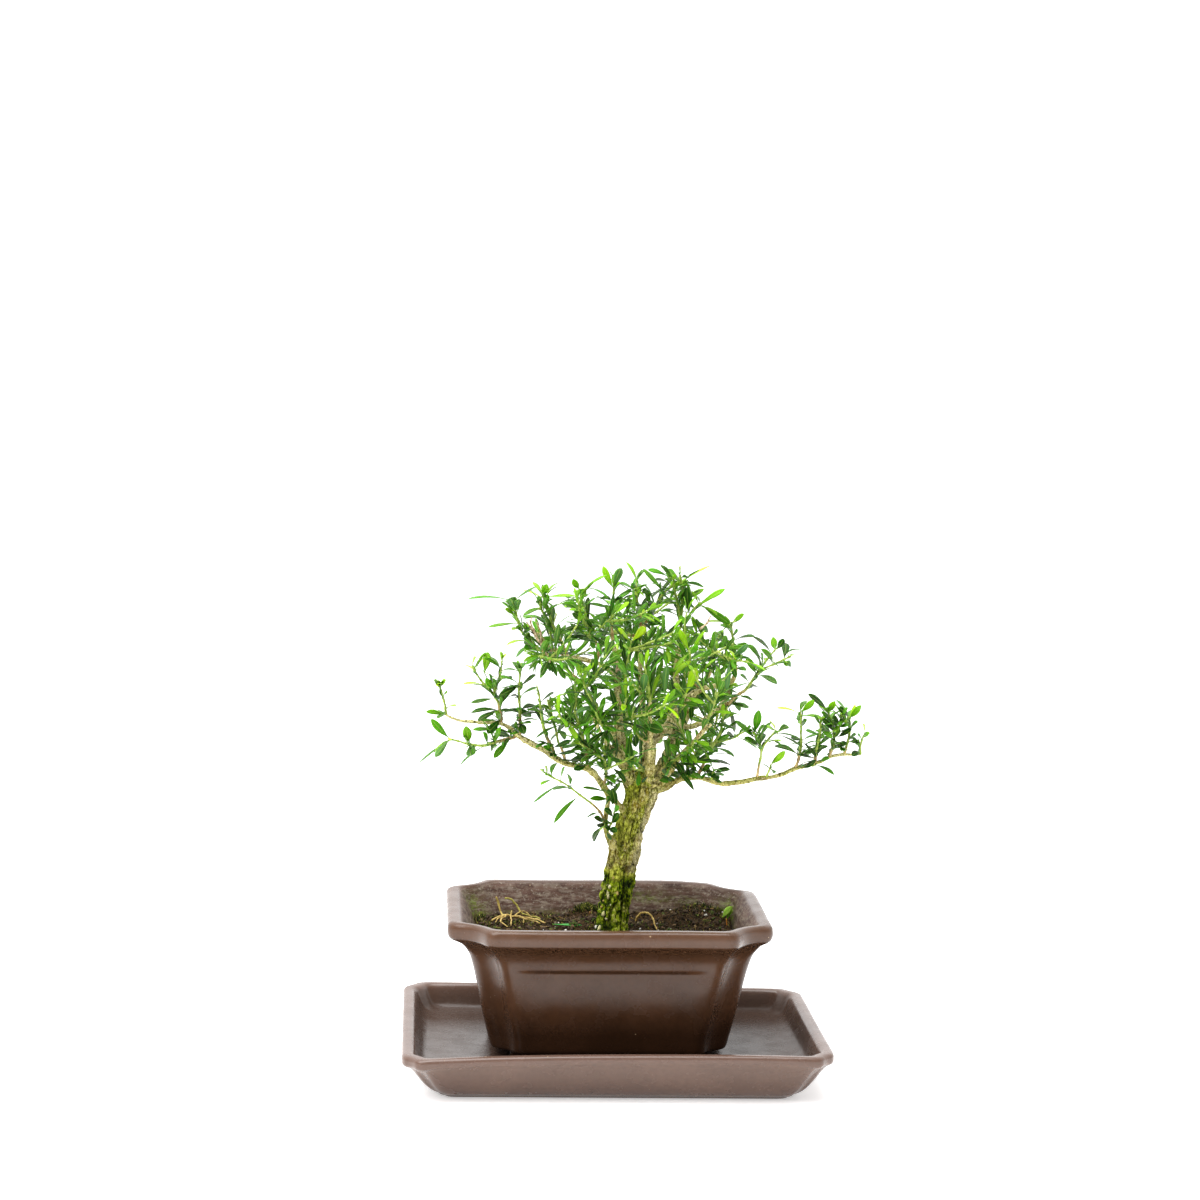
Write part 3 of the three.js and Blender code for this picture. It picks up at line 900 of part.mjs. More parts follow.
    leaves: [
      [35.74, 31.98, 189.49, 37.22, 47.41, 188.85, 0.041, 0.037, 0.998, 3.99],
      [36.4, 29.87, 174.22, 36.68, 39.64, 185.45, -0.122, -0.741, 0.661, 4.06],
      [36.1, 34.85, 193.7, 28.54, 33.68, 206.18, 0.76, 0.4, 0.513, 3.98],
      [36.76, 38.36, 198.3, 34.28, 34.37, 212.05, 0.791, 0.526, 0.313, 3.89],
      [35.94, 28.81, 179.38, 48.29, 29.21, 186.88, -0.265, -0.825, 0.498, 4.17],
    ],
  },
  {
    name: 'shoot_45',
    stems: [[[11.04, 29.94, 207.9], [2.83, 24.75, 209.27], [-8, 18.66, 213.64]],
      [[3.25, 25.01, 209.2], [-3.81, 29.18, 210.64], [-15.04, 35.33, 216.03]]],
    leaves: [
      [-1.35, 27.98, 210.17, 1.46, 42.78, 211.91, -0.963, 0.16, 0.219, 4.2],
      [-4.05, 20.75, 212.13, -9.65, 9.42, 219.96, -0.621, 0.624, 0.474, 3.87],
      [-10.67, 32.76, 213.75, -24.13, 28.89, 208.66, -0.422, 0.703, 0.573, 3.96],
      [4.42, 25.53, 209.12, 6.41, 12.65, 215.73, -0.975, -0.202, -0.087, 4.01],
      [-0.3, 22.99, 210.31, -9.22, 18.12, 199.77, -0.576, -0.442, 0.688, 3.7],
    ],
  },
  {
    name: 'shoot_46',
    stems: [[[15.59, 35.34, 182.42], [17.06, 41.32, 193.57], [17.17, 48.05, 206.67]],
      [[15.85, 36.38, 184.37], [1.34, 42.08, 199.96]],
      [[17.1, 43.56, 197.94], [10.49, 45.24, 204.1], [2.74, 46.05, 213.22]]],
    leaves: [
      [15.85, 35.63, 182.8, 29.48, 41.45, 183.16, -0.313, 0.674, 0.669, 3.79],
      [16.41, 38.25, 188.1, 22.38, 36.47, 201.68, -0.055, 0.985, 0.161, 3.59],
      [14.31, 44.14, 200.56, 5.29, 37.99, 210.2, -0.389, 0.894, 0.223, 4.18],
      [10.16, 45.29, 204.69, 8.4, 46.29, 218.82, -0.853, 0.504, -0.134, 3.75],
      [8.51, 39.13, 192.06, -5.13, 36.7, 195.2, 0.204, 0.158, 0.966, 4.03],
    ],
  },
  {
    name: 'shoot_47',
    stems: [[[-29.44, -2.65, 202.47], [-30.18, 10.84, 197.01], [-32.33, 25.18, 192.44]],
      [[-30.45, 12.64, 196.43], [-39.25, 25.89, 210.38]],
      [[-30.08, 8.92, 197.78], [-20.98, 14.67, 198.52], [-12.6, 20.2, 202.28]]],
    leaves: [
      [-30.7, 14.88, 195.84, -27.22, 30, 199.6, -0.322, 0.31, -0.895, 4.11],
      [-21.4, 14.38, 198.64, -11.81, 18.8, 210.39, 0.58, 0.505, -0.639, 3.71],
      [-25.99, 11.33, 198.03, -11.43, 8.79, 193.4, 0.333, 0.358, 0.872, 4.2],
      [-29.63, -0.9, 201.83, -36.89, 12.13, 200.92, 0.714, 0.367, -0.597, 3.94],
      [-32.28, 24.69, 192.54, -35.74, 37.45, 185.16, 0.296, 0.543, 0.786, 3.56],
    ],
  },
  {
    name: 'shoot_48',
    stems: [[[41.02, -30.46, 174.17], [46.45, -37.46, 192.98]],
      [[43.72, -33.94, 183.54], [38.18, -38.9, 189.93], [32.93, -44.11, 200.04]],
      [[41.34, -30.87, 175.28], [46.34, -21.13, 191.08]]],
    leaves: [
      [37.7, -39.43, 191.12, 39.16, -42.16, 206.49, -0.962, -0.268, 0.053, 4.03],
      [43.52, -33.87, 183.26, 39.34, -41.04, 196.03, 0.852, 0.284, 0.44, 3.85],
      [41.01, -36.59, 186.71, 41.11, -51.33, 189.63, -0.634, 0.139, 0.761, 3.9],
      [41.33, -30.72, 174.54, 53.26, -38.27, 172.48, -0.193, -0.475, 0.859, 4.01],
      [43.55, -26.48, 182.03, 48.12, -12.87, 181.42, 0.335, -0.057, 0.941, 4.07],
    ],
  },
];
for (const s of SHOOTS) {
  const stems = s.stems.map((pts, k) => bar(pts.map((q) => [...q, k ? TWIG_RADIUS : STEM_RADIUS]), 4));
  piece(s.name, join([...stems, ...s.leaves.map((d) => leaf(d))]), green);
}

// ------------------------------------------------------- things on the soil
// A dropped leaf, a seedling and dry rootlets.
const lift = 0.45;
piece('fallen_leaf', leaf([-28.2, 22, 66.2 + lift, -17.2, 12.3, 67.6 + lift, 0.1, -0.25, 1, 3.4]), young);
piece('seedling', join([
  bar([[58, 23.5, 67.85, 0.5], [57.8, 23.5, 69.2, 0.5], [57.6, 23.5, 70.4, 0.5]], 6),
  leaf([57.6, 23.5, 69.9, 60.6, 22.9, 75.2, -0.1, -1, 0.1, 4.2]),
]), young);
const ROOTLETS = [
  ['dry_rootlet_1', [
    [[-57.9, 28, 65.7, 0.6], [-51.1, 30, 67.6, 0.6], [-44.7, 30, 67, 0.6], [-38.9, 29, 66.5, 0.6], [-32, 22, 65.9, 0.6]],
    [[-48.6, 31, 69.6, 0.55], [-48.7, 29.9, 67.4, 0.6], [-48.8, 16, 65.9, 0.55]],
  ]],
  ['dry_rootlet_2', [
    [[-55.5, 42.5, 74.4, 0.55], [-54.2, 41.5, 70.6, 0.6], [-53.2, 39.5, 67.6, 0.6], [-52.2, 36.5, 65.6, 0.55]],
  ]],
  ['dry_rootlet_3', [
    [[-51.2, 45.5, 73.3, 0.6], [-47.6, 45, 72.7, 0.6], [-44.6, 43, 69, 0.6], [-41.4, 40.5, 66.3, 0.6], [-33, 35, 65.7, 0.55]],
  ]],
  ['arching_rootlet', [
    [[13, 27, 66.9, 0.55], [14.6, 23.5, 70.3, 0.6], [18.6, 20.5, 71.5, 0.6], [20.4, 18.5, 70, 0.6], [21.4, 14, 68.2, 0.6], [22, 9, 66.3, 0.55]],
  ]],
];
for (const [name, bars] of ROOTLETS) {
  piece(name, join(bars.map((b) => bar(b, 6))), straw);
}

export default bonsai;
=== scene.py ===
import math

import bpy
import numpy as np
from mathutils.geometry import tessellate_polygon
from mathutils import Matrix, Vector


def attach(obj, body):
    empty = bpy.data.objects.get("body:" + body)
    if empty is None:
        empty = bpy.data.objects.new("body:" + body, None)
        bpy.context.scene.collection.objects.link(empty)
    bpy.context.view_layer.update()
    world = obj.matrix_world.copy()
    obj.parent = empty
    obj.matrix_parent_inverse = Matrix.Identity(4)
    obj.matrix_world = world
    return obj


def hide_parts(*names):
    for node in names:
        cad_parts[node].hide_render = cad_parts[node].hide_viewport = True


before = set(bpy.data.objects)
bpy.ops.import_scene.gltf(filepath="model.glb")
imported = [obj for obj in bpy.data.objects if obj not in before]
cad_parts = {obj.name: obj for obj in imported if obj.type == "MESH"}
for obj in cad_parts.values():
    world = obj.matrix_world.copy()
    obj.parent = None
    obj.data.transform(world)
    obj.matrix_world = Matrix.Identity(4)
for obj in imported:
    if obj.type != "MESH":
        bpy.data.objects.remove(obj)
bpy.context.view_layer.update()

# Lengths below are millimetres in the tray-centred layout; to_row() turns them
# into the row's metres.
SHIFT_X = 9.32
POT_X, POT_Y = -3.6, 2.9
POT_LENGTH, POT_WIDTH = 154.0, 130.0
TRAY_LENGTH, TRAY_WIDTH = 202.5, 158.0
SOIL_LEVEL = 64.3
rng = np.random.default_rng(20)


def to_row(v):
    v = np.array(v, float).reshape(-1, 3)
    v[:, 0] -= SHIFT_X
    return v * 0.001


def srgb(r, g, b):
    out = []
    for c in (r, g, b):
        c = c / 255.0
        out.append(c / 12.92 if c <= 0.04045 else ((c + 0.055) / 1.055) ** 2.4)
    return tuple(out)


def rgba(r, g, b):
    return (*srgb(r, g, b), 1.0)


# ----------------------------------------------------------------- noise
def _hash(ix, iy, iz, seed):
    h = (ix * 73856093) ^ (iy * 19349663) ^ (iz * 83492791) ^ (seed * 374761393 + 1013904223)
    h &= 0xFFFFFFFF
    h = ((h ^ (h >> 15)) * 2246822519) & 0xFFFFFFFF
    h = ((h ^ (h >> 13)) * 3266489917) & 0xFFFFFFFF
    return ((h ^ (h >> 16)) & 0xFFFFFFFF) / 4294967295.0


def noise(p, scale, seed=0):
    """Smooth value noise from -1 to 1 at points p (N, 3); scale in cycles per unit, may be a 3-tuple."""
    q = np.asarray(p, float) * np.asarray(scale, float)
    i = np.floor(q).astype(np.int64)
    f = q - i
    f = f * f * (3 - 2 * f)
    out = np.zeros(len(q))
    for dx in (0, 1):
        wx = f[:, 0] if dx else 1 - f[:, 0]
        for dy in (0, 1):
            wy = f[:, 1] if dy else 1 - f[:, 1]
            for dz in (0, 1):
                wz = f[:, 2] if dz else 1 - f[:, 2]
                out += wx * wy * wz * _hash(i[:, 0] + dx, i[:, 1] + dy, i[:, 2] + dz, seed)
    return out * 2 - 1


def fbm(p, scale, octaves=3, seed=0):
    s = np.asarray(scale, float)
    out, amp, tot = 0.0, 1.0, 0.0
    for k in range(octaves):
        out = out + amp * noise(p, s * 2**k, seed + 31 * k)
        tot += amp
        amp *= 0.5
    return out / tot


def cells(p, scale, seed=0):
    """Cellular noise: distance to the nearest and second nearest point, and the cell's own number."""
    q = np.asarray(p, float) * np.asarray(scale, float)
    i = np.floor(q).astype(np.int64)
    d1 = np.full(len(q), 9.0)
    d2 = np.full(len(q), 9.0)
    own = np.zeros(len(q))
    for dx in (-1, 0, 1):
        for dy in (-1, 0, 1):
            for dz in (-1, 0, 1):
                c = i + (dx, dy, dz)
                pt = c + np.stack([_hash(c[:, 0], c[:, 1], c[:, 2], seed + k) for k in (1, 2, 3)], 1)
                d = np.linalg.norm(q - pt, axis=1)
                num = _hash(c[:, 0], c[:, 1], c[:, 2], seed + 9)
                near = d < d1
                d2 = np.where(near, d1, np.minimum(d2, d))
                own = np.where(near, num, own)
                d1 = np.where(near, d, d1)
    return d1, d2, own


def smooth(a, b, x):
    t = np.clip((np.asarray(x, float) - a) / (b - a), 0, 1)
    return t * t * (3 - 2 * t)


# ----------------------------------------------------------------- curves
def spline(pts, step):
    """Smooth curve through pts (N, k), sampled about every step of its first three columns."""
    p = np.asarray(pts, float)
    if len(p) == 2:
        n = max(2, int(math.ceil(np.linalg.norm(p[1, :3] - p[0, :3]) / step)) + 1)
        t = np.linspace(0, 1, n)[:, None]
        return p[0] + (p[1] - p[0]) * t
    q = np.vstack([2 * p[0] - p[1], p, 2 * p[-1] - p[-2]])
    out = []
    for i in range(1, len(q) - 2):
        p0, p1, p2, p3 = q[i - 1:i + 3]
        n = max(1, int(math.ceil(np.linalg.norm((p2 - p1)[:3]) / step)))
        t = (np.arange(n) / n)[:, None]
        out.append(0.5 * (2 * p1 + (p2 - p0) * t + (2 * p0 - 5 * p1 + 4 * p2 - p3) * t**2
                          + (3 * p1 - p0 - 3 * p2 + p3) * t**3))
    out.append(p[-1:])
    return np.vstack(out)


def frames(p):
    t = np.gradient(p, axis=0)
    t /= np.linalg.norm(t, axis=1)[:, None] + 1e-12
    n = np.zeros_like(p)
    ref = np.array([0, 0, 1.0]) if abs(t[0, 2]) < 0.9 else np.array([1.0, 0, 0])
    for i in range(len(p)):
        ref = ref - t[i] * (ref @ t[i])
        ref /= np.linalg.norm(ref) + 1e-12
        n[i] = ref
    return t, n, np.cross(t, n)


class Shape:
    """Collects vertices, faces, face materials and point attributes of one piece."""

    def __init__(self, names=()):
        self.v, self.f, self.m, self.a, self.n = [], [], [], {k: [] for k in names}, 0

    def add(self, v, faces, mat=0, **attrs):
        v = np.asarray(v, float).reshape(-1, 3)
        self.v.append(v)
        o = self.n
        if isinstance(faces, np.ndarray):
            self.f.extend((faces + o).tolist())
        else:
            self.f.extend([[i + o for i in q] for q in faces])
        self.m.extend([mat] * len(faces))
        for k in self.a:
            d = np.asarray(attrs[k], float)
            if d.ndim == 0:
                d = np.full(len(v), float(d))
            elif d.ndim == 1 and len(d) != len(v):
                d = np.tile(d, (len(v), 1))
            self.a[k].append(d)
        self.n += len(v)

    def piece(self, name, mats, slot, nodes=(), flat=False):
        me = bpy.data.meshes.new(name)
        me.from_pydata(to_row(np.vstack(self.v)).tolist(), [], self.f)
        for k, parts in self.a.items():
            d = np.concatenate(parts)
            if d.ndim == 1:
                me.attributes.new(k, "FLOAT", "POINT").data.foreach_set("value", d.astype(np.float32))
            else:
                me.attributes.new(k, "FLOAT_VECTOR", "POINT").data.foreach_set("vector", d.astype(np.float32).ravel())
        for m in mats:
            me.materials.append(m)
        me.polygons.foreach_set("material_index", np.array(self.m, np.int32))
        me.polygons.foreach_set("use_smooth", np.full(len(me.polygons), not flat))
        me.update()
        ob = bpy.data.objects.new(name, me)
        bpy.context.scene.collection.objects.link(ob)
        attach(ob, "root")
        if nodes:
            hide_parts(*nodes)
        return ob


def rings_to_faces(n_rings, n_sides, flip=False):
    i = np.arange(n_rings - 1)[:, None]
    j = np.arange(n_sides)[None]
    k = (j + 1) % n_sides
    a, b, c, d = i * n_sides + j, i * n_sides + k, (i + 1) * n_sides + k, (i + 1) * n_sides + j
    f = np.stack([a, b, c, d], -1).reshape(-1, 4)
    return f[:, ::-1].copy() if flip else f


def sweep(path, radii, sides, squareness=0.0, bulge=None):
    """Closed tube along path. Gives vertices, faces, and for each vertex its distance along and its angle."""
    path = np.asarray(path, float)
    radii = np.broadcast_to(np.asarray(radii, float), (len(path),))
    t, n, b = frames(path)
    ang = np.arange(sides) * 2 * math.pi / sides
    rad = 1 + squareness * np.cos(4 * ang)
    v = (path[:, None] + (radii[:, None] * rad)[..., None]
         * (np.cos(ang)[None, :, None] * n[:, None] + np.sin(ang)[None, :, None] * b[:, None]))
    if bulge is not None:
        v = bulge(v, path)
    v = v.reshape(-1, 3)
    k = len(path)
    f = [list(q) for q in rings_to_faces(k, sides)]
    v = np.vstack([v, path[0] - t[0] * radii[0] * 0.35, path[-1] + t[-1] * radii[-1] * 0.5])
    for j in range(sides):
        f.append([k * sides, (j + 1) % sides, j])
        f.append([k * sides + 1, (k - 1) * sides + j, (k - 1) * sides + (j + 1) % sides])
    s = np.concatenate([[0], np.cumsum(np.linalg.norm(np.diff(path, axis=0), axis=1))])
    along = np.concatenate([np.repeat(s, sides), [0, s[-1]]])
    angle = np.concatenate([np.tile(ang, k), [0, 0]])
    return v, f, along, angle


# ------------------------------------------------------------- materials
class Mat:
    def __init__(self, name):
        self.m = bpy.data.materials.new(name)
        self.m.use_nodes = True
        self.t = self.m.node_tree
        self.t.nodes.clear()
        self.out = self.t.nodes.new("ShaderNodeOutputMaterial")
        self.b = self.t.nodes.new("ShaderNodeBsdfPrincipled")
        self.t.links.new(self.b.outputs[0], self.out.inputs[0])

    def put(self, sock, val):
        if isinstance(val, bpy.types.NodeSocket):
            self.t.links.new(val, sock)
        elif val is not None:
            sock.default_value = val

    def node(self, kind, props=None, **ins):
        n = self.t.nodes.new(kind)
        for k, v in (props or {}).items():
            setattr(n, k, v)
        for k, v in ins.items():
            self.put(n.inputs[k.replace("_", " ")], v)
        return n

    def coord(self):
        if not hasattr(self, "_co"):
            self._co = self.t.nodes.new("ShaderNodeTexCoord").outputs["Object"]
        return self._co

    def attr(self, name, part="Fac"):
        n = self.t.nodes.new("ShaderNodeAttribute")
        n.attribute_name = name
        return n.outputs[part]

    def xyz(self, vec):
        return self.node("ShaderNodeSeparateXYZ", Vector=vec).outputs

    def scaled(self, s, vec=None, loc=(0, 0, 0)):
        n = self.t.nodes.new("ShaderNodeMapping")
        self.put(n.inputs["Vector"], vec if vec is not None else self.coord())
        n.inputs["Scale"].default_value = s
        n.inputs["Location"].default_value = loc
        return n.outputs[0]

    def noise(self, scale, detail=2.0, rough=0.5, vec=None, distortion=0.0):
        n = self.t.nodes.new("ShaderNodeTexNoise")
        self.put(n.inputs["Vector"], vec if vec is not None else self.coord())
        n.inputs["Scale"].default_value = scale
        n.inputs["Detail"].default_value = detail
        n.inputs["Roughness"].default_value = rough
        n.inputs["Distortion"].default_value = distortion
        return n.outputs[0]

    def voronoi(self, scale, feature="F1", vec=None, out="Distance", rand=1.0):
        n = self.t.nodes.new("ShaderNodeTexVoronoi")
        n.feature = feature
        self.put(n.inputs["Vector"], vec if vec is not None else self.coord())
        n.inputs["Scale"].default_value = scale
        n.inputs["Randomness"].default_value = rand
        return n.outputs[out]

    def math(self, op, a, b=None, c=None, clamp=False):
        n = self.t.nodes.new("ShaderNodeMath")
        n.operation = op
        n.use_clamp = clamp
        for i, v in enumerate((a, b, c)):
            if v is not None:
                self.put(n.inputs[i], v)
        return n.outputs[0]

    def range(self, v, a, b, lo=0.0, hi=1.0, soft=True):
        n = self.t.nodes.new("ShaderNodeMapRange")
        n.interpolation_type = "SMOOTHSTEP" if soft else "LINEAR"
        self.put(n.inputs["Value"], v)
        n.inputs["From Min"].default_value = a
        n.inputs["From Max"].default_value = b
        n.inputs["To Min"].default_value = lo
        n.inputs["To Max"].default_value = hi
        return n.outputs[0]

    def mix(self, fac, a, b, blend="MIX"):
        n = self.t.nodes.new("ShaderNodeMix")
        n.data_type = "RGBA"
        n.blend_type = blend
        ins = [s for s in n.inputs if s.enabled]
        self.put(ins[0], fac)
        self.put(ins[1], a)
        self.put(ins[2], b)
        return [s for s in n.outputs if s.enabled][0]

    def ramp(self, fac, stops, mode="LINEAR"):
        n = self.t.nodes.new("ShaderNodeValToRGB")
        n.color_ramp.interpolation = mode
        e = n.color_ramp.elements
        while len(e) > 1:
            e.remove(e[-1])
        e[0].position, e[0].color = stops[0]
        for pos, col in stops[1:]:
            k = e.new(pos)
            k.color = col
        self.put(n.inputs[0], fac)
        return n.outputs[0]

    def bump(self, height, strength, distance, normal=None):
        n = self.t.nodes.new("ShaderNodeBump")
        n.inputs["Strength"].default_value = strength
        n.inputs["Distance"].default_value = distance
        self.put(n.inputs["Height"], height)
        if normal is not None:
            self.put(n.inputs["Normal"], normal)
        return n.outputs[0]

    def finish(self, color=None, rough=None, normal=None, **sockets):
        if color is not None:
            self.put(self.b.inputs["Base Color"], color)
        if rough is not None:
            self.put(self.b.inputs["Roughness"], rough)
        if normal is not None:
            self.put(self.b.inputs["Normal"], normal)
        for k, v in sockets.items():
            self.put(self.b.inputs[k.replace("_", " ")], v)
        return self.m


# The glaze: satin, worn paler along the edges, with small pale pinholes.
POT_MID = ((POT_X - SHIFT_X) * 0.001, POT_Y * 0.001)


def glaze(name, top, low, worn, z_low, z_high, inside):
    m = Mat(name)
    z = m.xyz(m.coord())[2]
    cloud = m.noise(38, 3, 0.55)
    fine = m.noise(420, 3, 0.6)
    # The base colour darkens towards the bottom: partly the glaze's own tone, partly painted shade.
    height = m.math("ADD", m.range(z, z_low, z_high), m.math("MULTIPLY", m.math("SUBTRACT", cloud, 0.5), 0.5))
    col = m.mix(m.range(height, 0.0, 1.0), rgba(*low), rgba(*top))
    col = m.mix(m.range(cloud, 0.42, 0.72, 0, 0.3), col, rgba(*[c * 1.16 for c in top]))
    col = m.mix(m.range(fine, 0.35, 0.75, 0.0, 0.22), col, rgba(*[c * 0.72 for c in low]))
    wear = m.math("MULTIPLY", m.attr("wear"), m.range(m.noise(160, 3, 0.6), 0.25, 0.7, 0.45, 1.0))
    col = m.mix(wear, col, rgba(*worn))
    rough = m.range(m.noise(90, 3, 0.6), 0.3, 0.7, 0.20, 0.30)
    if not inside:
        # Painted shade: the tray's inside is painted darker than its outside.
        col = m.mix(m.math("MULTIPLY", m.attr("inner"), 0.8), col, rgba(*[c * 0.66 for c in top]))
    else:
        # Painted shade: a dark band on the wall just under the overhanging rim.
        under = m.math("MULTIPLY", m.range(z, 0.0600, 0.0680), m.range(z, 0.0705, 0.0722, 1, 0))
        col = m.mix(m.math("MULTIPLY", under, 0.62), col, rgba(38, 24, 13))
        px, py, _ = m.xyz(m.coord())
        across = m.math("ABSOLUTE", m.math("SUBTRACT", px, POT_MID[0]))
        along = m.math("ABSOLUTE", m.math("SUBTRACT", py, POT_MID[1]))
        # Painted shadow: a dark line under the top ledge of the sunk front and back panels.
        ledge_shadow = m.math("MULTIPLY", m.range(z, 0.0556, 0.0570), m.range(z, 0.0574, 0.0584, 1, 0))
        ledge_shadow = m.math("MULTIPLY", ledge_shadow, m.math("MULTIPLY", m.range(across, 0.034, 0.0405, 1, 0), m.range(along, 0.024, 0.028)))
        col = m.mix(m.math("MULTIPLY", ledge_shadow, 0.6), col, rgba(30, 18, 10))
    if inside:
        # bare clay inside, with lime bands and green algae
        inner = m.attr("inner")
        band = m.noise(1, 5, 0.75, vec=m.scaled((80, 90, 340)))
        grain = m.noise(900, 2, 0.6)
        clay = m.mix(m.range(band, 0.38, 0.62), rgba(64, 42, 34), rgba(100, 76, 66))
        clay = m.mix(m.math("MULTIPLY", m.attr("lime"), m.range(m.noise(1, 5, 0.75, vec=m.scaled((160, 160, 620))), 0.44, 0.62)), clay, rgba(138, 124, 110))
        clay = m.mix(m.range(grain, 0.58, 0.72, 0, 0.6), clay, rgba(168, 156, 142))
        clay = m.mix(m.range(grain, 0.3, 0.42, 0.5, 0), clay, rgba(50, 34, 26))
        alga = m.math("MULTIPLY", m.attr("algae"), m.range(m.noise(1, 5, 0.8, vec=m.scaled((240, 300, 620))), 0.40, 0.66))
        clay = m.mix(alga, clay, m.mix(m.noise(300, 2), rgba(66, 90, 12), rgba(140, 162, 40)))
        col = m.mix(inner, col, clay)
        rough = m.math("ADD", rough, m.math("MULTIPLY", inner, 0.34), clamp=True)
    hole = m.voronoi(210, out="Distance")
    pick = m.voronoi(210, out="Color")
    keep = m.math("GREATER_THAN", m.xyz(pick)[0], 0.955)
    dot = m.math("MULTIPLY", m.range(hole, 0.05, 0.085, 1, 0), keep)
    col = m.mix(m.math("MULTIPLY", dot, 0.75), col, rgba(190, 165, 130))
    bump = m.math("ADD", m.math("MULTIPLY", cloud, 0.6), m.math("MULTIPLY", m.math("MULTIPLY", fine, m.attr("inner")), 0.9))
    bump = m.math("SUBTRACT", bump, m.math("MULTIPLY", dot, 0.25))
    gloss = 0.15 if inside else m.range(m.xyz(m.coord())[0], -0.04, 0.07, 0.18, 0.06)
    part = m.attr("inner")
    spec = m.math("ADD", m.math("MULTIPLY", m.math("SUBTRACT", 1.0, part), 0.35 if inside else 0.4), m.math("MULTIPLY", part, gloss))
    return m.finish(col, rough, m.bump(bump, 0.3, 0.0003), Specular_IOR_Level=spec)


mat_pot = glaze("glaze_dark_brown", (74, 48, 31), (57, 35, 20), (90, 64, 48), 0.018, 0.066, True)
mat_tray = glaze("glaze_grey_brown", (91, 70, 59), (84, 63, 53), (105, 81, 71), 0.0, 0.02, False)


def leaf_material(name, upper):
    m = Mat(name)
    la = m.xyz(m.attr("la", "Vector"))
    tone = m.attr("tone", "Vector")
    cloud = m.noise(260, 2, 0.5)
    across = m.math("ABSOLUTE", la[0])
    rib = m.range(across, 0.05, 0.16, 1, 0)
    vein = m.math("SINE", m.math("MULTIPLY", m.math("SUBTRACT", la[1], m.math("MULTIPLY", across, 0.22)), 74))
    vein = m.math("MULTIPLY", m.range(vein, 0.72, 1.0), m.range(across, 0.1, 0.4))
    base = tone if upper else m.mix(0.5, tone, rgba(92, 132, 62))
    col = m.mix(m.range(cloud, 0.3, 0.7, 0.0, 0.4), base, m.mix(1.0, base, rgba(206, 226, 120), "MULTIPLY"))
    pale = m.mix(0.5, base, rgba(176, 200, 88))
    col = m.mix(m.math("MULTIPLY", rib, 0.42 if upper else 0.7), col, pale)
    col = m.mix(m.math("MULTIPLY", vein, 0.13), col, pale)
    col = m.mix(m.range(across, 0.86, 1.0, 0, 0.25), col, pale)
    rough = m.range(cloud, 0.3, 0.7, 0.34, 0.46) if upper else m.range(cloud, 0.3, 0.7, 0.55, 0.7)
    h = m.math("ADD", m.math("MULTIPLY", vein, -0.35), m.math("MULTIPLY", m.noise(1500, 2, 0.5), 0.3))
    h = m.math("ADD", h, m.math("MULTIPLY", rib, -0.5 if upper else 0.6))
    return m.finish(col, rough, m.bump(h, 0.5, 0.00012), Specular_IOR_Level=0.24 if upper else 0.1,
                    Specular_Tint=(0.86, 1.0, 0.45, 1.0), Subsurface_Weight=0.25, Subsurface_Scale=0.0009,
                    Subsurface_Radius=(0.55, 1.0, 0.2))


mat_leaf = leaf_material("leaf", True)
mat_under = leaf_material("leaf_under", False)


def twig_material():
    m = Mat("twig")
    age = m.attr("age")
    streak = m.noise(1, 3, 0.6, vec=m.scaled((900, 900, 260)))
    green = m.mix(m.range(streak, 0.3, 0.7), rgba(112, 146, 30), rgba(184, 200, 96))
    brown = m.mix(m.range(streak, 0.35, 0.65), rgba(120, 92, 46), rgba(206, 182, 120))
    fac = m.math("ADD", age, m.math("MULTIPLY", m.math("SUBTRACT", streak, 0.5), 0.5), clamp=True)
    col = m.mix(m.range(fac, 0.25, 0.75), green, brown)
    return m.finish(col, 0.6, m.bump(streak, 0.6, 0.0002), Specular_IOR_Level=0.35)


mat_twig = twig_material()


def bud_material():
    m = Mat("bud")
    n = m.noise(1400, 2)
    col = m.mix(m.range(n, 0.3, 0.7), rgba(150, 186, 70), rgba(214, 218, 140))
    return m.finish(col, 0.55, m.bump(n, 0.4, 0.0001))


mat_bud = bud_material()


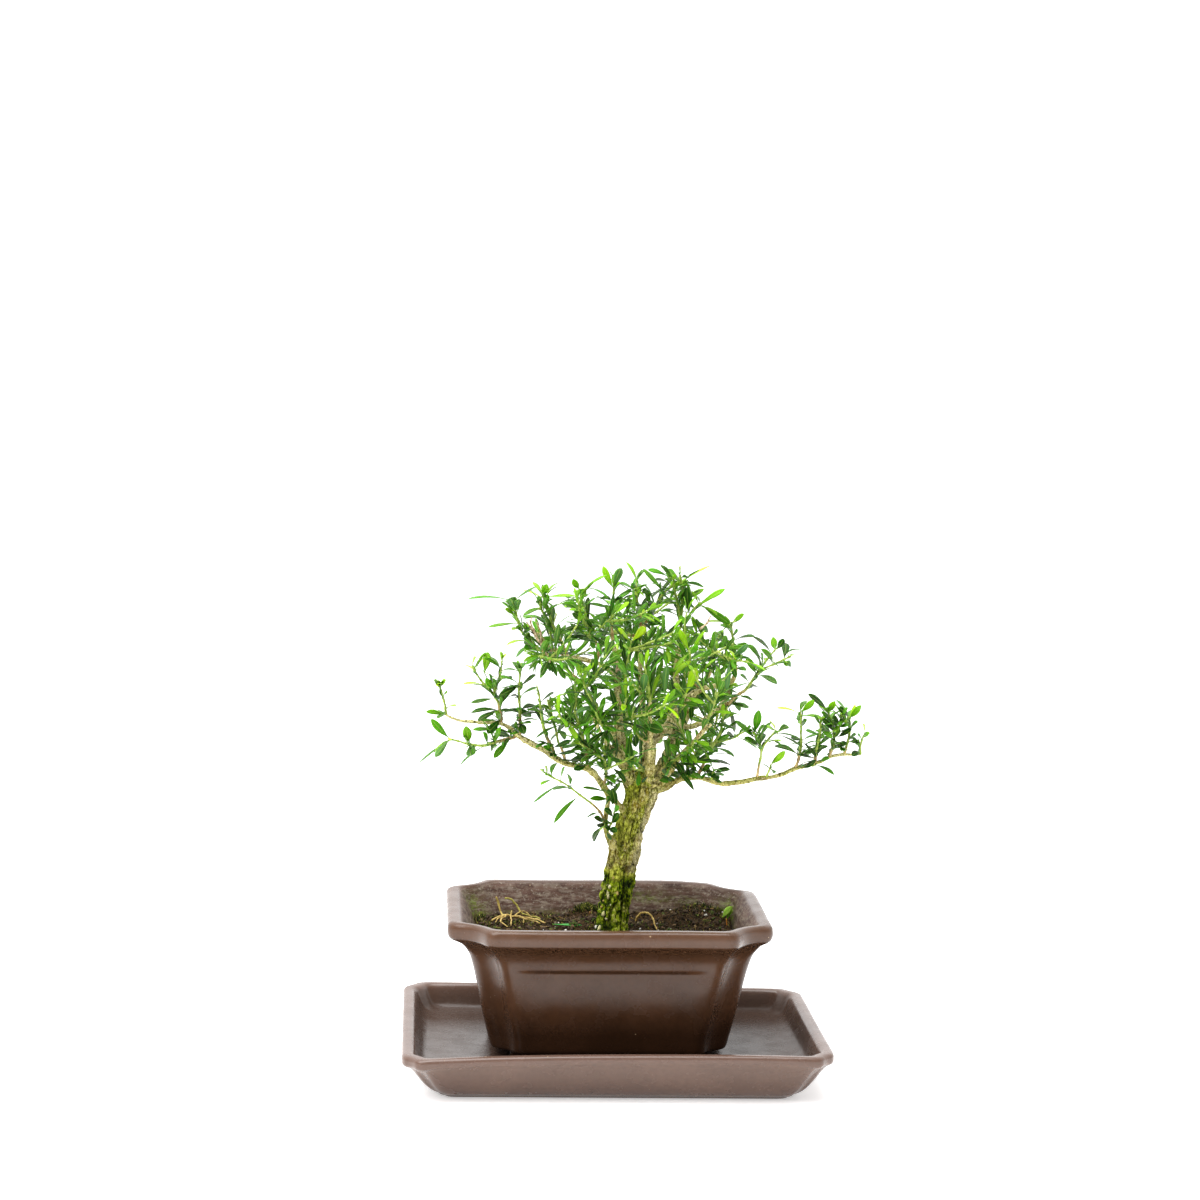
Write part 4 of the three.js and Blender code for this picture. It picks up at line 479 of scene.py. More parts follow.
def bark_material():
    m = Mat("bark")
    groove = m.attr("groove")
    plate = m.attr("plate")
    moss = m.attr("moss")
    painted_lit_side = m.attr("pale")
    c1 = m.noise(260, 4, 0.7)
    c2 = m.noise(1, 4, 0.7, vec=m.scaled((1100, 1100, 620)))
    c3 = m.noise(1900, 2, 0.6)
    tan = m.mix(m.range(c1, 0.42, 0.58), rgba(148, 134, 42), rgba(230, 220, 128))
    olive = m.mix(m.range(c2, 0.42, 0.58), rgba(94, 104, 10), rgba(194, 200, 58))
    col = m.mix(m.range(m.math("ADD", plate, m.math("MULTIPLY", c1, 0.6)), 0.45, 0.95), olive, tan)
    # Painted highlight: paler bark where the light falls, on the stem's right-facing side and the limbs' upper faces.
    col = m.mix(m.math("MULTIPLY", painted_lit_side, m.range(c2, 0.40, 0.56, 0.1, 1.0)), col, rgba(238, 226, 172))
    col = m.mix(m.range(c2, 0.55, 0.66, 0, 0.9), col, rgba(238, 228, 176))
    col = m.mix(m.range(c2, 0.34, 0.43, 0.9, 0), col, rgba(66, 52, 10))
    col = m.mix(m.range(c3, 0.36, 0.45, 0.8, 0), col, rgba(54, 44, 10))
    # The cracks are painted near black: the bark's own dark fissures, deepened with painted shade; moss and lichen in
    # them are darkened the same way.
    deep = m.math("MULTIPLY", groove, m.range(c2, 0.3, 0.6, 1.0, 0.65))
    col = m.mix(deep, col, rgba(34, 26, 4))
    lichen = m.mix(m.range(c2, 0.42, 0.6), rgba(122, 134, 14), rgba(228, 232, 90))
    lfac = m.math("MULTIPLY", m.range(m.math("ADD", moss, m.math("MULTIPLY", m.math("SUBTRACT", c1, 0.5), 0.7)), 0.10, 0.36), 0.85)
    lichen = m.mix(m.math("MULTIPLY", deep, 0.9), lichen, rgba(34, 36, 4))
    col = m.mix(lfac, col, lichen)
    c0 = m.noise(130, 3, 0.6)
    mc = m.ramp(m.math("ADD", m.math("ADD", m.math("MULTIPLY", c1, 0.5), m.math("MULTIPLY", c2, 0.6)), m.math("MULTIPLY", m.math("SUBTRACT", c0, 0.5), 0.35)),
                [(0.40, rgba(8, 14, 1)), (0.48, rgba(44, 64, 3)), (0.55, rgba(112, 140, 8)), (0.62, rgba(172, 192, 24)), (0.70, rgba(228, 228, 130))])
    mfac = m.range(m.math("ADD", moss, m.math("MULTIPLY", m.math("SUBTRACT", c2, 0.5), 1.1)), 0.58, 0.78)
    mc = m.mix(m.math("MULTIPLY", groove, 0.85), mc, rgba(10, 16, 1))
    col = m.mix(mfac, col, mc)
    h = m.math("ADD", m.math("MULTIPLY", c2, 1.0), m.math("MULTIPLY", c1, 0.5))
    h = m.math("SUBTRACT", h, m.math("MULTIPLY", groove, 0.4))
    return m.finish(col, m.range(c1, 0.3, 0.7, 0.75, 0.95), m.bump(h, 1.0, 0.0009), Specular_IOR_Level=0.12)


mat_bark = bark_material()


def simple(name, low, high, scale, rough, depth=0.0003, spec=0.3, by="shade"):
    m = Mat(name)
    n = m.noise(scale, 4, 0.65)
    col = m.mix(m.range(n, 0.32, 0.68), rgba(*low), rgba(*high))
    if by:
        col = m.mix(1.0, col, m.attr(by, "Vector"), "MULTIPLY")
    return m.finish(col, m.range(n, 0.3, 0.7, rough - 0.08, min(1.0, rough + 0.08)), m.bump(n, 0.7, depth), Specular_IOR_Level=spec)


mat_earth = simple("potting_mix", (12, 7, 3), (76, 58, 35), 1100, 0.88, spec=0.06)
mat_crumb = simple("crumbs", (120, 120, 118), (225, 220, 210), 1300, 0.85, spec=0.12)
mat_moss = simple("moss_tufts", (150, 150, 140), (235, 235, 225), 1500, 0.8, spec=0.1)
mat_perlite = simple("perlite", (206, 200, 186), (246, 243, 234), 1500, 0.9, by=None)
mat_flake = simple("lichen_flake", (188, 186, 130), (232, 228, 190), 1200, 0.85, by="shade")
mat_root = simple("dry_root", (150, 124, 66), (214, 192, 128), 900, 0.7, by="shade")
mat_net = simple("drain_net", (26, 28, 27), (44, 46, 45), 700, 0.6, by=None)
mat_stalk = simple("orange_stalk", (196, 120, 40), (226, 160, 70), 900, 0.5, by=None)


def floor_material():
    m = Mat("pale_floor")
    n = m.noise(6, 2)
    col = m.mix(m.range(n, 0.2, 0.8), rgba(250, 250, 250), rgba(253, 253, 253))
    return m.finish(col, 0.8, Specular_IOR_Level=0.1, Emission_Color=(1, 1, 1, 1), Emission_Strength=0.42)

mat_dead = simple("dead_wood", (104, 76, 48), (222, 200, 164), 1100, 0.85, by=None, spec=0.15)


# ------------------------------------------------------------ pot and tray
def outline(a, b, cx, cy, n, fil, long_n, side_n):
    """Points round a rectangle whose corners are cut and scooped in, softly rounded. Evenly ordered for lofting."""
    m = 0.8 * n
    q = [(a, b - cy), (a - cx / 2 - m, b - cy / 2 - m), (a - cx, b)]
    half = q + [(-x, y) for x, y in reversed(q)]
    poly = np.array(half + [(-x, -y) for x, y in half])
    f = np.tile(np.array([fil[0], fil[1], fil[0]]), 4)
    k = len(poly)
    nxt = np.roll(poly, -1, 0)
    seg = nxt - poly
    ln = np.linalg.norm(seg, axis=1)
    u = seg / ln[:, None]
    out = []
    for i in range(k):
        p = (i - 1) % k
        fa = min(f[i], ln[p] * 0.48)
        fb = min(f[i], ln[i] * 0.48)
        A, V, B = poly[i] - u[p] * fa, poly[i], poly[i] + u[i] * fb
        for t in np.linspace(0, 1, 8):
            out.append((1 - t) ** 2 * A + 2 * t * (1 - t) * V + t * t * B)
        j = (i + 1) % k
        C = poly[j] - u[i] * min(f[j], ln[i] * 0.48)
        m = (long_n if (i // 3) % 2 == 0 else side_n) if i % 3 == 2 else 2
        for s in range(1, m + 1):
            out.append(B + (C - B) * s / (m + 1))
    return np.array(out)


def resample(stations, step_at):
    """Stations [inset, z, cx, cy, n] smoothed along the profile. step_at(z, k) gives the spacing."""
    s = np.array(stations, float)
    d = np.concatenate([[0], np.cumsum(np.hypot(np.diff(s[:, 0]), np.diff(s[:, 1])))])
    # monotone cubic through the stations
    def tang(y):
        h = np.diff(d)
        m = np.diff(y) / h
        t = np.zeros(len(y))
        t[0], t[-1] = m[0], m[-1]
        for i in range(1, len(y) - 1):
            if m[i - 1] * m[i] > 0:
                w1, w2 = 2 * h[i] + h[i - 1], h[i] + 2 * h[i - 1]
                t[i] = (w1 + w2) / (w1 / m[i - 1] + w2 / m[i])
        return t
    T = [tang(s[:, c]) for c in range(s.shape[1])]
    out = []
    for i in range(len(s) - 1):
        h = d[i + 1] - d[i]
        n = max(1, int(round(h / step_at(0.5 * (s[i, 1] + s[i + 1, 1]), i))))
        for k in range(n):
            t = k / n
            a, b, c, e = 2 * t**3 - 3 * t**2 + 1, t**3 - 2 * t**2 + t, -2 * t**3 + 3 * t**2, t**3 - t**2
            out.append([a * s[i, q] + b * h * T[q][i] + c * s[i + 1, q] + e * h * T[q][i + 1] for q in range(s.shape[1])] + [i + t])
    out.append(list(s[-1]) + [len(s) - 1])
    return np.array(out)


POT_OUT = [
    [26.5, 15.1, 11.2, 11.2, 2], [23.5, 15.15, 11.4, 11.4, 2.5], [22.2, 15.5, 11.8, 11.8, 2.8], [21.4, 16.6, 12.4, 12.4, 3],
    [20.7, 19, 12.9, 12.9, 3.1], [20, 22, 13.4, 13.4, 3.2], [18, 30, 13.9, 13.9, 3.3],
    [14.8, 46, 14.3, 14.3, 3.4], [12.8, 55, 14.5, 14.5, 3.6], [10.6, 62.3, 14.8, 14.8, 3.8], [8.9, 65.4, 15.2, 15.2, 4],
    [6.8, 67.7, 15.9, 15.9, 4.1], [4.2, 69.2, 16.9, 16.9, 4.2], [1.9, 70.3, 18.3, 18.3, 4.2], [0.5, 71.8, 19.2, 19.2, 4.2],
    [0, 74.4, 19.5, 19.5, 4.2], [0.25, 76.9, 19.45, 19.45, 4.0], [1.2, 78.25, 19.3, 19.3, 3.6], [2.8, 78.8, 18.9, 18.9, 3.1],
    [5.4, 78.7, 17.4, 17.4, 2.4],
]
POT_IN = [[7.4, 77.7, 15.7, 15.7, 1.9], [9.4, 75.0, 14.7, 14.7, 1.7], [11.8, 70, 13.8, 13.8, 1.5], [14.2, 64, 13.2, 13.2, 1.3],
          [17.4, 55, 12.8, 12.8, 1.1], [22.7, 30, 12, 12, 1], [26, 22.4, 11.5, 11.5, 1], [29, 20.5, 11, 11, 1]]


def panel_mask(u, z, half, top, bottom, notch):
    """1 inside a sunk panel with scooped corners, soft at its edge."""
    d = np.maximum(np.maximum(np.abs(u) - half, z - top), bottom - z)
    for zc in (top, bottom):
        r = np.hypot(np.abs(u) - half, z - zc)
        d = np.maximum(d, notch - r)
    return smooth(0.42, -0.42, d)


def loft(name, length, width, stations, first_in, centre, spec, mats, slot, node, fil, long_n, side_n, relief=None,
         extra_attrs=None, holes=(), warp=None):
    st = resample(stations, spec)
    rings, wear, inner = [], [], []
    for inset, z, cx, cy, n, k in st:
        o = outline(length / 2 - inset, width / 2 - inset, cx, cy, n, fil, long_n, side_n)
        rings.append(np.column_stack([o, np.full(len(o), z)]))
    R = np.array(rings)
    kk = st[:, 5]
    if relief is not None:
        R = relief(R, st)
    if warp is not None:
        R = warp(R, st)
    nr, ns = R.shape[:2]
    V = R.reshape(-1, 3).copy()
    P = V.copy()
    V += np.array([centre[0], centre[1], 0])
    shape = Shape(["wear", "inner", "lime", "algae"])
    F = rings_to_faces(nr, ns)
    at = extra_attrs(P, np.repeat(kk, ns))
    faces = [list(q) for q in F]
    # caps, with holes through the floor if asked
    base = len(V)
    extra = []
    loops = {0: [], 1: []}
    z0, z1 = R[0, 0, 2], R[-1, 0, 2]
    m = 28
    for hx, hy, hr in holes:
        for side, z in ((0, z0), (1, z1)):
            a = np.arange(m) * 2 * math.pi / m
            loops[side].append(base + len(extra) * 1)
            extra.extend([[centre[0] + hx + hr * math.cos(t), centre[1] + hy + hr * math.sin(t), z] for t in a])
    allv = np.vstack([V, np.array(extra).reshape(-1, 3)]) if extra else V
    for side, ring0 in ((0, 0), (1, (nr - 1) * ns)):
        ids = [list(range(ring0, ring0 + ns))] + [list(range(s, s + m)) for s in loops[side]]
        polys = [[Vector(allv[i]) for i in loop] for loop in ids]
        flat_ids = [i for loop in ids for i in loop]
        want = -1 if side == 0 else 1
        for tri in tessellate_polygon(polys):
            t = [flat_ids[i] for i in tri]
            a, b, c = allv[t[0]], allv[t[1]], allv[t[2]]
            up = (b[0] - a[0]) * (c[1] - a[1]) - (b[1] - a[1]) * (c[0] - a[0])
            if abs(up) < 1e-9:
                continue
            faces.append(t if up * want > 0 else t[::-1])
    for s0, s1 in zip(loops[0], loops[1]):
        for j in range(m):
            k = (j + 1) % m
            faces.append([s0 + j, s1 + j, s1 + k, s0 + k])
    pad = len(allv) - len(V)
    at = {k: np.concatenate([v, np.zeros(pad)]) for k, v in at.items()}
    shape.add(allv, faces, 0, **at)
    return shape.piece(name, mats, slot, [node])


def pot_relief(R, st):
    R = R.copy()
    for r, (inset, z, cx, cy, n, k) in zip(R, st):
        if k > 10.5 or z < 17:
            continue
        a, b = POT_LENGTH / 2 - inset, POT_WIDTH / 2 - inset
        deep = 0.5 * smooth(35, 54, z)
        for ax, face, half in ((1, b, a - cx - 4.3), (0, a, b - cy - 4.3)):
            other = 1 - ax
            on = np.abs(np.abs(r[:, ax]) - face) < 0.02
            d = panel_mask(r[:, other], np.full(len(r), z), half, 57.3, 23.5, 0.4) * deep * smooth(half + 0.5, half - 9.0, np.abs(r[:, other]))
            r[on, ax] -= np.sign(r[on, ax]) * d[on]
    return R


def pot_attrs(P, k):
    z = P[:, 2]
    inner = smooth(19.2, 20.2, k)
    rim = smooth(13.2, 14.5, k) * (1 - smooth(18.5, 19.8, k))
    edge = np.exp(-((k - 17.2) / 1.3) ** 2)
    wear = 0.5 * rim + 0.3 * edge
    # corner creases of the walls
    ax = np.abs(P[:, 0])
    ay = np.abs(P[:, 1])
    wear += 0.25 * (1 - inner) * smooth(24, 60, z) * np.exp(-((ax - 0.0 - (POT_LENGTH / 2 - 30)) / 6) ** 2)
    def blob(x, y, zz, sx, sy, sz):
        return np.exp(-((P[:, 0] - x) / sx) ** 2 - ((P[:, 1] - y) / sy) ** 2 - ((z - zz) / sz) ** 2)
    algae = (1.0 * blob(-64, 38, 69, 8, 9, 6) + 1.1 * blob(24, 60, 72, 12, 8, 2.6) + 0.7 * blob(44, 60, 70, 8, 8, 2.5) + 1.0 * blob(64, 40, 68, 8, 9, 5)
             + 0.5 * blob(-55, -30, 67, 16, 20, 5) + 0.5 * blob(55, -35, 67, 16, 16, 5) + 0.35 * np.exp(-((z - 64.0) / 1.8) ** 2))
    lime = smooth(60, 66, z) * (0.5 + 0.5 * np.exp(-((z - 71) / 3.5) ** 2))
    return dict(wear=np.clip(wear, 0, 1), inner=inner, lime=np.clip(lime, 0, 1), algae=np.clip(algae, 0, 1) * inner)


def pot_step(z, k):
    if k < 10:
        return 0.82
    if k < 21:
        return 0.45
    return 1.1 if z > 60 else 5.0


def pot_warp(R, st):
    # the rim has settled a little at its back right corner
    R = R.copy()
    x, y = R[..., 0], R[..., 1]
    g = smooth(35, 75, R[..., 2])
    z = R[..., 2]
    R[..., 0] += smooth(5, 62, x) * (2.3 - 1.6 * smooth(66, 71.5, z))
    R[..., 2] += g * (0.55 * smooth(20, 60, y) - 1.7 * smooth(30, 75, x) * smooth(25, 62, y) + 0.2 * np.sin(x * 0.05))
    return R


loft("pot_glazed", POT_LENGTH, POT_WIDTH, POT_OUT + POT_IN, 20, (POT_X, POT_Y), pot_step, [mat_pot], "pot_glaze", "pot",
     (4.2, 6.5), 76, 54, warp=pot_warp, relief=pot_relief, extra_attrs=pot_attrs,
     holes=((-24, 0, 7), (24, 0, 7)))

TRAY_ST = [
    [27, 7.4, 6, 7.5, 0.5], [23.4, 7.3, 5.6, 7, 0.6], [22.5, 6, 5.5, 6.5, 0.6], [21.9, 0.8, 4.8, 5.8, 0.6], [21.2, 0, 4.5, 5.5, 0.6],
    [17.7, 0, 4.5, 5.5, 0.8], [17.2, 0.5, 4.6, 5.6, 0.9], [16.5, 0.95, 5.0, 6.0, 1.1], [14.2, 2.2, 5.6, 6.8, 1.4], [12.1, 3.9, 6.1, 7.4, 1.6],
    [9.6, 6.7, 6.8, 8.4, 1.8], [6.8, 10.6, 7.6, 9.4, 1.9], [4.5, 14.4, 8.0, 10.0, 1.9], [2.8, 16.9, 8.0, 10.1, 1.8], [1.6, 18.0, 7.9, 10.0, 1.6],
    [0.5, 18.8, 7.8, 9.9, 1.3], [0.0, 20.0, 7.6, 9.7, 0.9], [0.1, 21.3, 7.5, 9.6, 0.8], [0.8, 22.25, 7.4, 9.5, 0.8],
    [2.0, 22.65, 7.3, 9.4, 0.8], [3.6, 22.65, 7.1, 9.2, 0.7], [4.9, 22.3, 6.9, 9.0, 0.7], [6.0, 21.2, 6.7, 8.8, 0.6], [7.0, 18.8, 6.4, 8.6, 0.5],
    [8.6, 15.3, 6.2, 8.3, 0.5], [10.2, 13.2, 6.0, 8.1, 0.5], [12.4, 12.0, 5.7, 7.8, 0.5], [15.2, 11.5, 5.4, 7.4, 0.5], [24, 11.45, 5, 7, 0.4], [40, 11.45, 4, 6, 0.3],
]


def tray_attrs(P, k):
    z = P[:, 2]
    zero = np.zeros(len(P))
    deep = smooth(22.0, 24.5, k)
    rim = smooth(14.5, 16.5, k) * (1 - smooth(21.5, 23.5, k))
    return dict(wear=np.clip(0.6 * rim, 0, 1), inner=deep, lime=zero, algae=zero)


def tray_warp(R, st):
    # fired a little out of true: two opposite corners up, the front lip bowed
    R = R.copy()
    k = st[:, 5]
    g = (smooth(8.5, 15, k) * (1 - 0.45 * smooth(23, 27, k)))[:, None]
    lip = (smooth(10.5, 13.5, k) * (1 - smooth(15.0, 17.5, k)))[:, None]
    x, y = R[..., 0], R[..., 1]
    front = smooth(-58, -76, y)
    lift = 1.75 * np.clip(1 - (x / 92) ** 2, 0, 1) * front - 1.25 * (x / 100) * (y / 79)
    lift = lift + 0.15 * np.sin(x * 0.045 + 1.0) * np.cos(y * 0.05)
    R[..., 2] += lift * g - 1.3 * lip * smooth(82, 97, np.abs(x)) * smooth(-52, -68, y)
    return R


def tray_step(z, k):
    if k < 5:
        return 2.0
    if k < 13:
        return 0.7
    if k < 26:
        return 0.5
    return 3.0


loft("tray_glazed", TRAY_LENGTH, TRAY_WIDTH, TRAY_ST, 17, (0.0, 0.0), tray_step, [mat_tray], "tray_glaze", "tray",
     (5.5, 6.0), 76, 56, extra_attrs=tray_attrs, warp=tray_warp)

# four feet under the pot
feet = Shape(["wear", "inner", "lime", "algae"])
for sx in (-1, 1):
    for sy in (-1, 1):
        prof = [(1.2, 11.55), (0.4, 11.8), (0, 12.6), (0, 15.5)]
        rings = []
        for inset, z in prof:
            a, b, r = 9 - inset, 6 - inset, 1.6
            ring = []
            for qx, qy, a0 in ((1, 1, 0), (-1, 1, 90), (-1, -1, 180), (1, -1, 270)):
                for t in range(5):
                    g = math.radians(a0 + t * 22.5)
                    ring.append((POT_X + sx * 37 + qx * (a - r) + r * math.cos(g), POT_Y + sy * 27.5 + qy * (b - r) + r * math.sin(g), z))
            rings.append(ring)
        V = np.array(rings).reshape(-1, 3)
        n = 20
        F = [list(q) for q in rings_to_faces(len(prof), n)] + [list(range(n))[::-1], list(range(3 * n, 4 * n))]
        feet.add(V, F, 0, wear=0.1, inner=0.0, lime=0.0, algae=0.0)
feet.piece("pot_feet", [mat_pot], "pot_glaze", ["pot"])

for n in ("drain_mesh_left", "drain_mesh_right"):
    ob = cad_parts[n]
    ob.data.materials.clear()
    ob.data.materials.append(mat_net)


# ------------------------------------------------------------------- soil
BX, BY = -1.04, -5.0


def soil_height(x, y):
    def bump(cx, cy, sx, sy, h):
        return h * np.exp(-((x - cx) / sx) ** 2 - ((y - cy) / sy) ** 2)
    return (SOIL_LEVEL + bump(46, 46, 21, 26, 5.6) + bump(BX - 3, BY + 12, 15, 22, 5.2) + bump(BX, BY, 20, 16, 1.6) + bump(-9.5, 53, 8, 11, 3.8)
            + 0.6 * np.sin(x * 0.21 + 1.3) * np.cos(y * 0.17))


def pot_inside(z):
    s = np.array(POT_IN)
    return np.array([np.interp(-z, -s[:, 1], s[:, c]) for c in (0, 2, 3, 4)])


def inside_ring(z, clearance, long_n=60, side_n=44):
    inset, cx, cy, n = pot_inside(z)
    o = outline(POT_LENGTH / 2 - inset - clearance, POT_WIDTH / 2 - inset - clearance, cx, cy, n, (2.5, 3.0), long_n, side_n)
    return o + (POT_X, POT_Y)


soil = Shape(["shade"])
edge = inside_ring(64.6, 0.02)
edge_z = soil_height(edge[:, 0], edge[:, 1])
edge = np.array([inside_ring(z, 0.05)[i] for i, z in enumerate(edge_z)])
rows = 74
T = (np.arange(rows) + 0.5) / (rows - 0.5)
centre = np.array([POT_X, POT_Y])
G = centre + (edge - centre)[None] * T[:, None, None]
X, Y = G[..., 0].ravel(), G[..., 1].ravel()
Z = soil_height(X, Y)
P = np.column_stack([X, Y, Z])
d1, d2, own = cells(P, (0.42, 0.42, 0.0), 5)
e1, e2, own2 = cells(P, (0.95, 0.95, 0.0), 8)
lump = 1.5 * (0.6 - d1) * (0.4 + own) + 0.7 * (0.55 - e1) * own2 + 0.8 * fbm(P, 0.12, 3, 3)
Z = Z + lump * np.repeat(1 - 0.5 * smooth(0.96, 1.0, T), len(edge)) - 0.35
top = np.column_stack([X, Y, Z])
walls = []
for z, c in ((60, 0.2), (45, 0.35), (30, 0.35), (21.4, 0.4)):
    r = inside_ring(z, c)
    walls.append(np.column_stack([r, np.full(len(r), float(z))]))
V = np.vstack([top] + walls)
n = len(edge)
F = [list(q) for q in rings_to_faces(rows + len(walls), n, True)]
F.append(list(range(n)))
F.append(list(range((rows + len(walls) - 1) * n, (rows + len(walls)) * n))[::-1])
tint = 0.65 + 0.5 * np.repeat(own[:, None], 3, 1) * (1.0, 0.93, 0.85)
tint = np.vstack([tint, np.full((len(walls) * n, 3), 0.6)])
soil.add(V, F, 0, shade=tint)
soil.piece("soil_bed", [mat_earth], "soil", ["soil"])

ICO_V = np.array([(0, 0, 1), *[(math.cos(a) * 0.894, math.sin(a) * 0.894, 0.447) for a in np.arange(5) * 2 * math.pi / 5],
                  *[(math.cos(a) * 0.894, math.sin(a) * 0.894, -0.447) for a in (np.arange(5) + 0.5) * 2 * math.pi / 5], (0, 0, -1)])
ICO_F = [[0, 1 + j, 1 + (j + 1) % 5] for j in range(5)] + [[1 + j, 6 + j, 1 + (j + 1) % 5] for j in range(5)] + \
        [[1 + (j + 1) % 5, 6 + j, 6 + (j + 1) % 5] for j in range(5)] + [[11, 6 + (j + 1) % 5, 6 + j] for j in range(5)]


def finer(v, f):
    v = [tuple(p) for p in v]
    mid = {}
    out = []
    def m(i, j):
        k = (min(i, j), max(i, j))
        if k not in mid:
            p = np.array(v[i]) + np.array(v[j])
            v.append(tuple(p / np.linalg.norm(p)))
            mid[k] = len(v) - 1
        return mid[k]
    for a, b, c in f:
        ab, bc, ca = m(a, b), m(b, c), m(c, a)
        out += [[a, ab, ca], [ab, b, bc], [ca, bc, c], [ab, bc, ca]]
    return np.array(v), out


ICO2_V, ICO2_F = finer(ICO_V, ICO_F)


def turn(r):
    q = r.normal(size=4)
    q /= np.linalg.norm(q)
    w, x, y, z = q
    return np.array([[1 - 2 * (y * y + z * z), 2 * (x * y - z * w), 2 * (x * z + y * w)],
                     [2 * (x * y + z * w), 1 - 2 * (x * x + z * z), 2 * (y * z - x * w)],
                     [2 * (x * z - y * w), 2 * (y * z + x * w), 1 - 2 * (x * x + y * y)]])


def grain(r, size, fine, rough=0.35, flat=(1, 1, 1)):
    v, f = (ICO2_V, ICO2_F) if fine else (ICO_V, ICO_F)
    k = 1 + rough * noise(v * 1.3 + r.uniform(0, 90, 3), 1.0, 4)
    v = v * k[:, None] * (np.array(flat) * size * r.uniform(0.75, 1.3, 3))
    return v @ turn(r).T, f


def in_pot(x, y, margin):
    inset, cx, cy, n = pot_inside(66)
    a, b = POT_LENGTH / 2 - inset - margin, POT_WIDTH / 2 - inset - margin
    dx, dy = abs(x - POT_X), abs(y - POT_Y)
    return dx < a and dy < b and (a - dx) + (b - dy) > cx


crumbs = Shape(["shade"])
perlite = Shape()
r = np.random.default_rng(7)
tones = [((0.16, 0.11, 0.075), 50), ((0.10, 0.07, 0.05), 46), ((0.26, 0.17, 0.10), 14), ((0.50, 0.27, 0.10), 4), ((0.12, 0.16, 0.04), 12), ((0.36, 0.30, 0.22), 5)]
tc = np.array([t[0] for t in tones])
tp = np.array([t[1] for t in tones], float)
tp /= tp.sum()
made = 0
while made < 2500:
    x, y = r.uniform(-68, 62), r.uniform(-52, 53)
    if not in_pot(x, y, 0.8) or math.hypot(x - BX, y - BY) < 7.5:
        continue
    near_moss = math.exp(-((x - (BX - 10)) / 11) ** 2 - ((y - (BY + 16)) / 12) ** 2)
    size = 0.3 + 0.75 * r.random() ** 2.2
    fine = size > 0.75
    v, f = grain(r, size, fine, 0.4, (1, 1, 0.8))
    z = float(soil_height(np.array([x]), np.array([y]))[0]) + size * 0.25 + r.uniform(-0.1, 0.5) + near_moss * r.uniform(0, 2.0)
    c = tc[r.choice(len(tc), p=tp)] * r.uniform(0.7, 1.25)
    if r.random() < 0.5 * near_moss:
        c = np.array([0.10, 0.15, 0.03]) * r.uniform(0.5, 1.4)
    crumbs.add(v + (x, y, z), f, 0, shade=c)
    made += 1
# bits of bark and short fibres lying about
for _ in range(170):
    x, y = r.uniform(-66, 60), r.uniform(-50, 51)
    if not in_pot(x, y, 3) or math.hypot(x - BX, y - BY) < 9:
        continue
    a, ln = r.uniform(0, 2 * math.pi), r.uniform(1.6, 4.6)
    z = float(soil_height(np.array([x]), np.array([y]))[0]) + r.uniform(0.35, 1.0)
    p = np.array([[x, y, z], [x + math.cos(a) * ln / 2, y + math.sin(a) * ln / 2, z + r.uniform(0, 0.7)],
                  [x + math.cos(a + 0.4) * ln, y + math.sin(a + 0.4) * ln, z + r.uniform(-0.4, 0.7)]])
    if not in_pot(p[2, 0], p[2, 1], 1):
        continue
    v, f, _, _ = sweep(spline(p, 0.8), r.uniform(0.12, 0.3), 5)
    c = [(0.42, 0.30, 0.15), (0.30, 0.21, 0.11), (0.55, 0.36, 0.14), (0.30, 0.34, 0.08)][r.integers(4)]
    crumbs.add(v, f, 0, shade=np.array(c) * r.uniform(0.7, 1.2))
crumbs.piece("soil_crumbs", [mat_crumb], "soil")
spots = [(-7.4, -5.3, 1.3), (-5.6, -7.7, 1), (-5.8, -3.5, 0.8), (48.3, 32, 0.7), (-22.5, 3, 0.6), (-26.7, 18.5, 0.5), (13.9, 7, 0.7), (29.6, 13.9, 0.6)]
for x, y, s in spots:
    v, f = grain(r, s, True, 0.35)
    z = float(soil_height(np.array([x]), np.array([y]))[0])
    perlite.add(v + (x, y, z + s * 0.5), f)
for _ in range(26):
    x, y = r.uniform(-64, 58), r.uniform(-50, 50)
    if not in_pot(x, y, 3) or math.hypot(x - BX, y - BY) < 10:
        continue
    s = r.uniform(0.25, 0.65)
    v, f = grain(r, s, True, 0.35)
    perlite.add(v + (x, y, float(soil_height(np.array([x]), np.array([y]))[0]) + s * 0.4 + 0.2), f)
perlite.piece("perlite_grains", [mat_perlite], "soil")

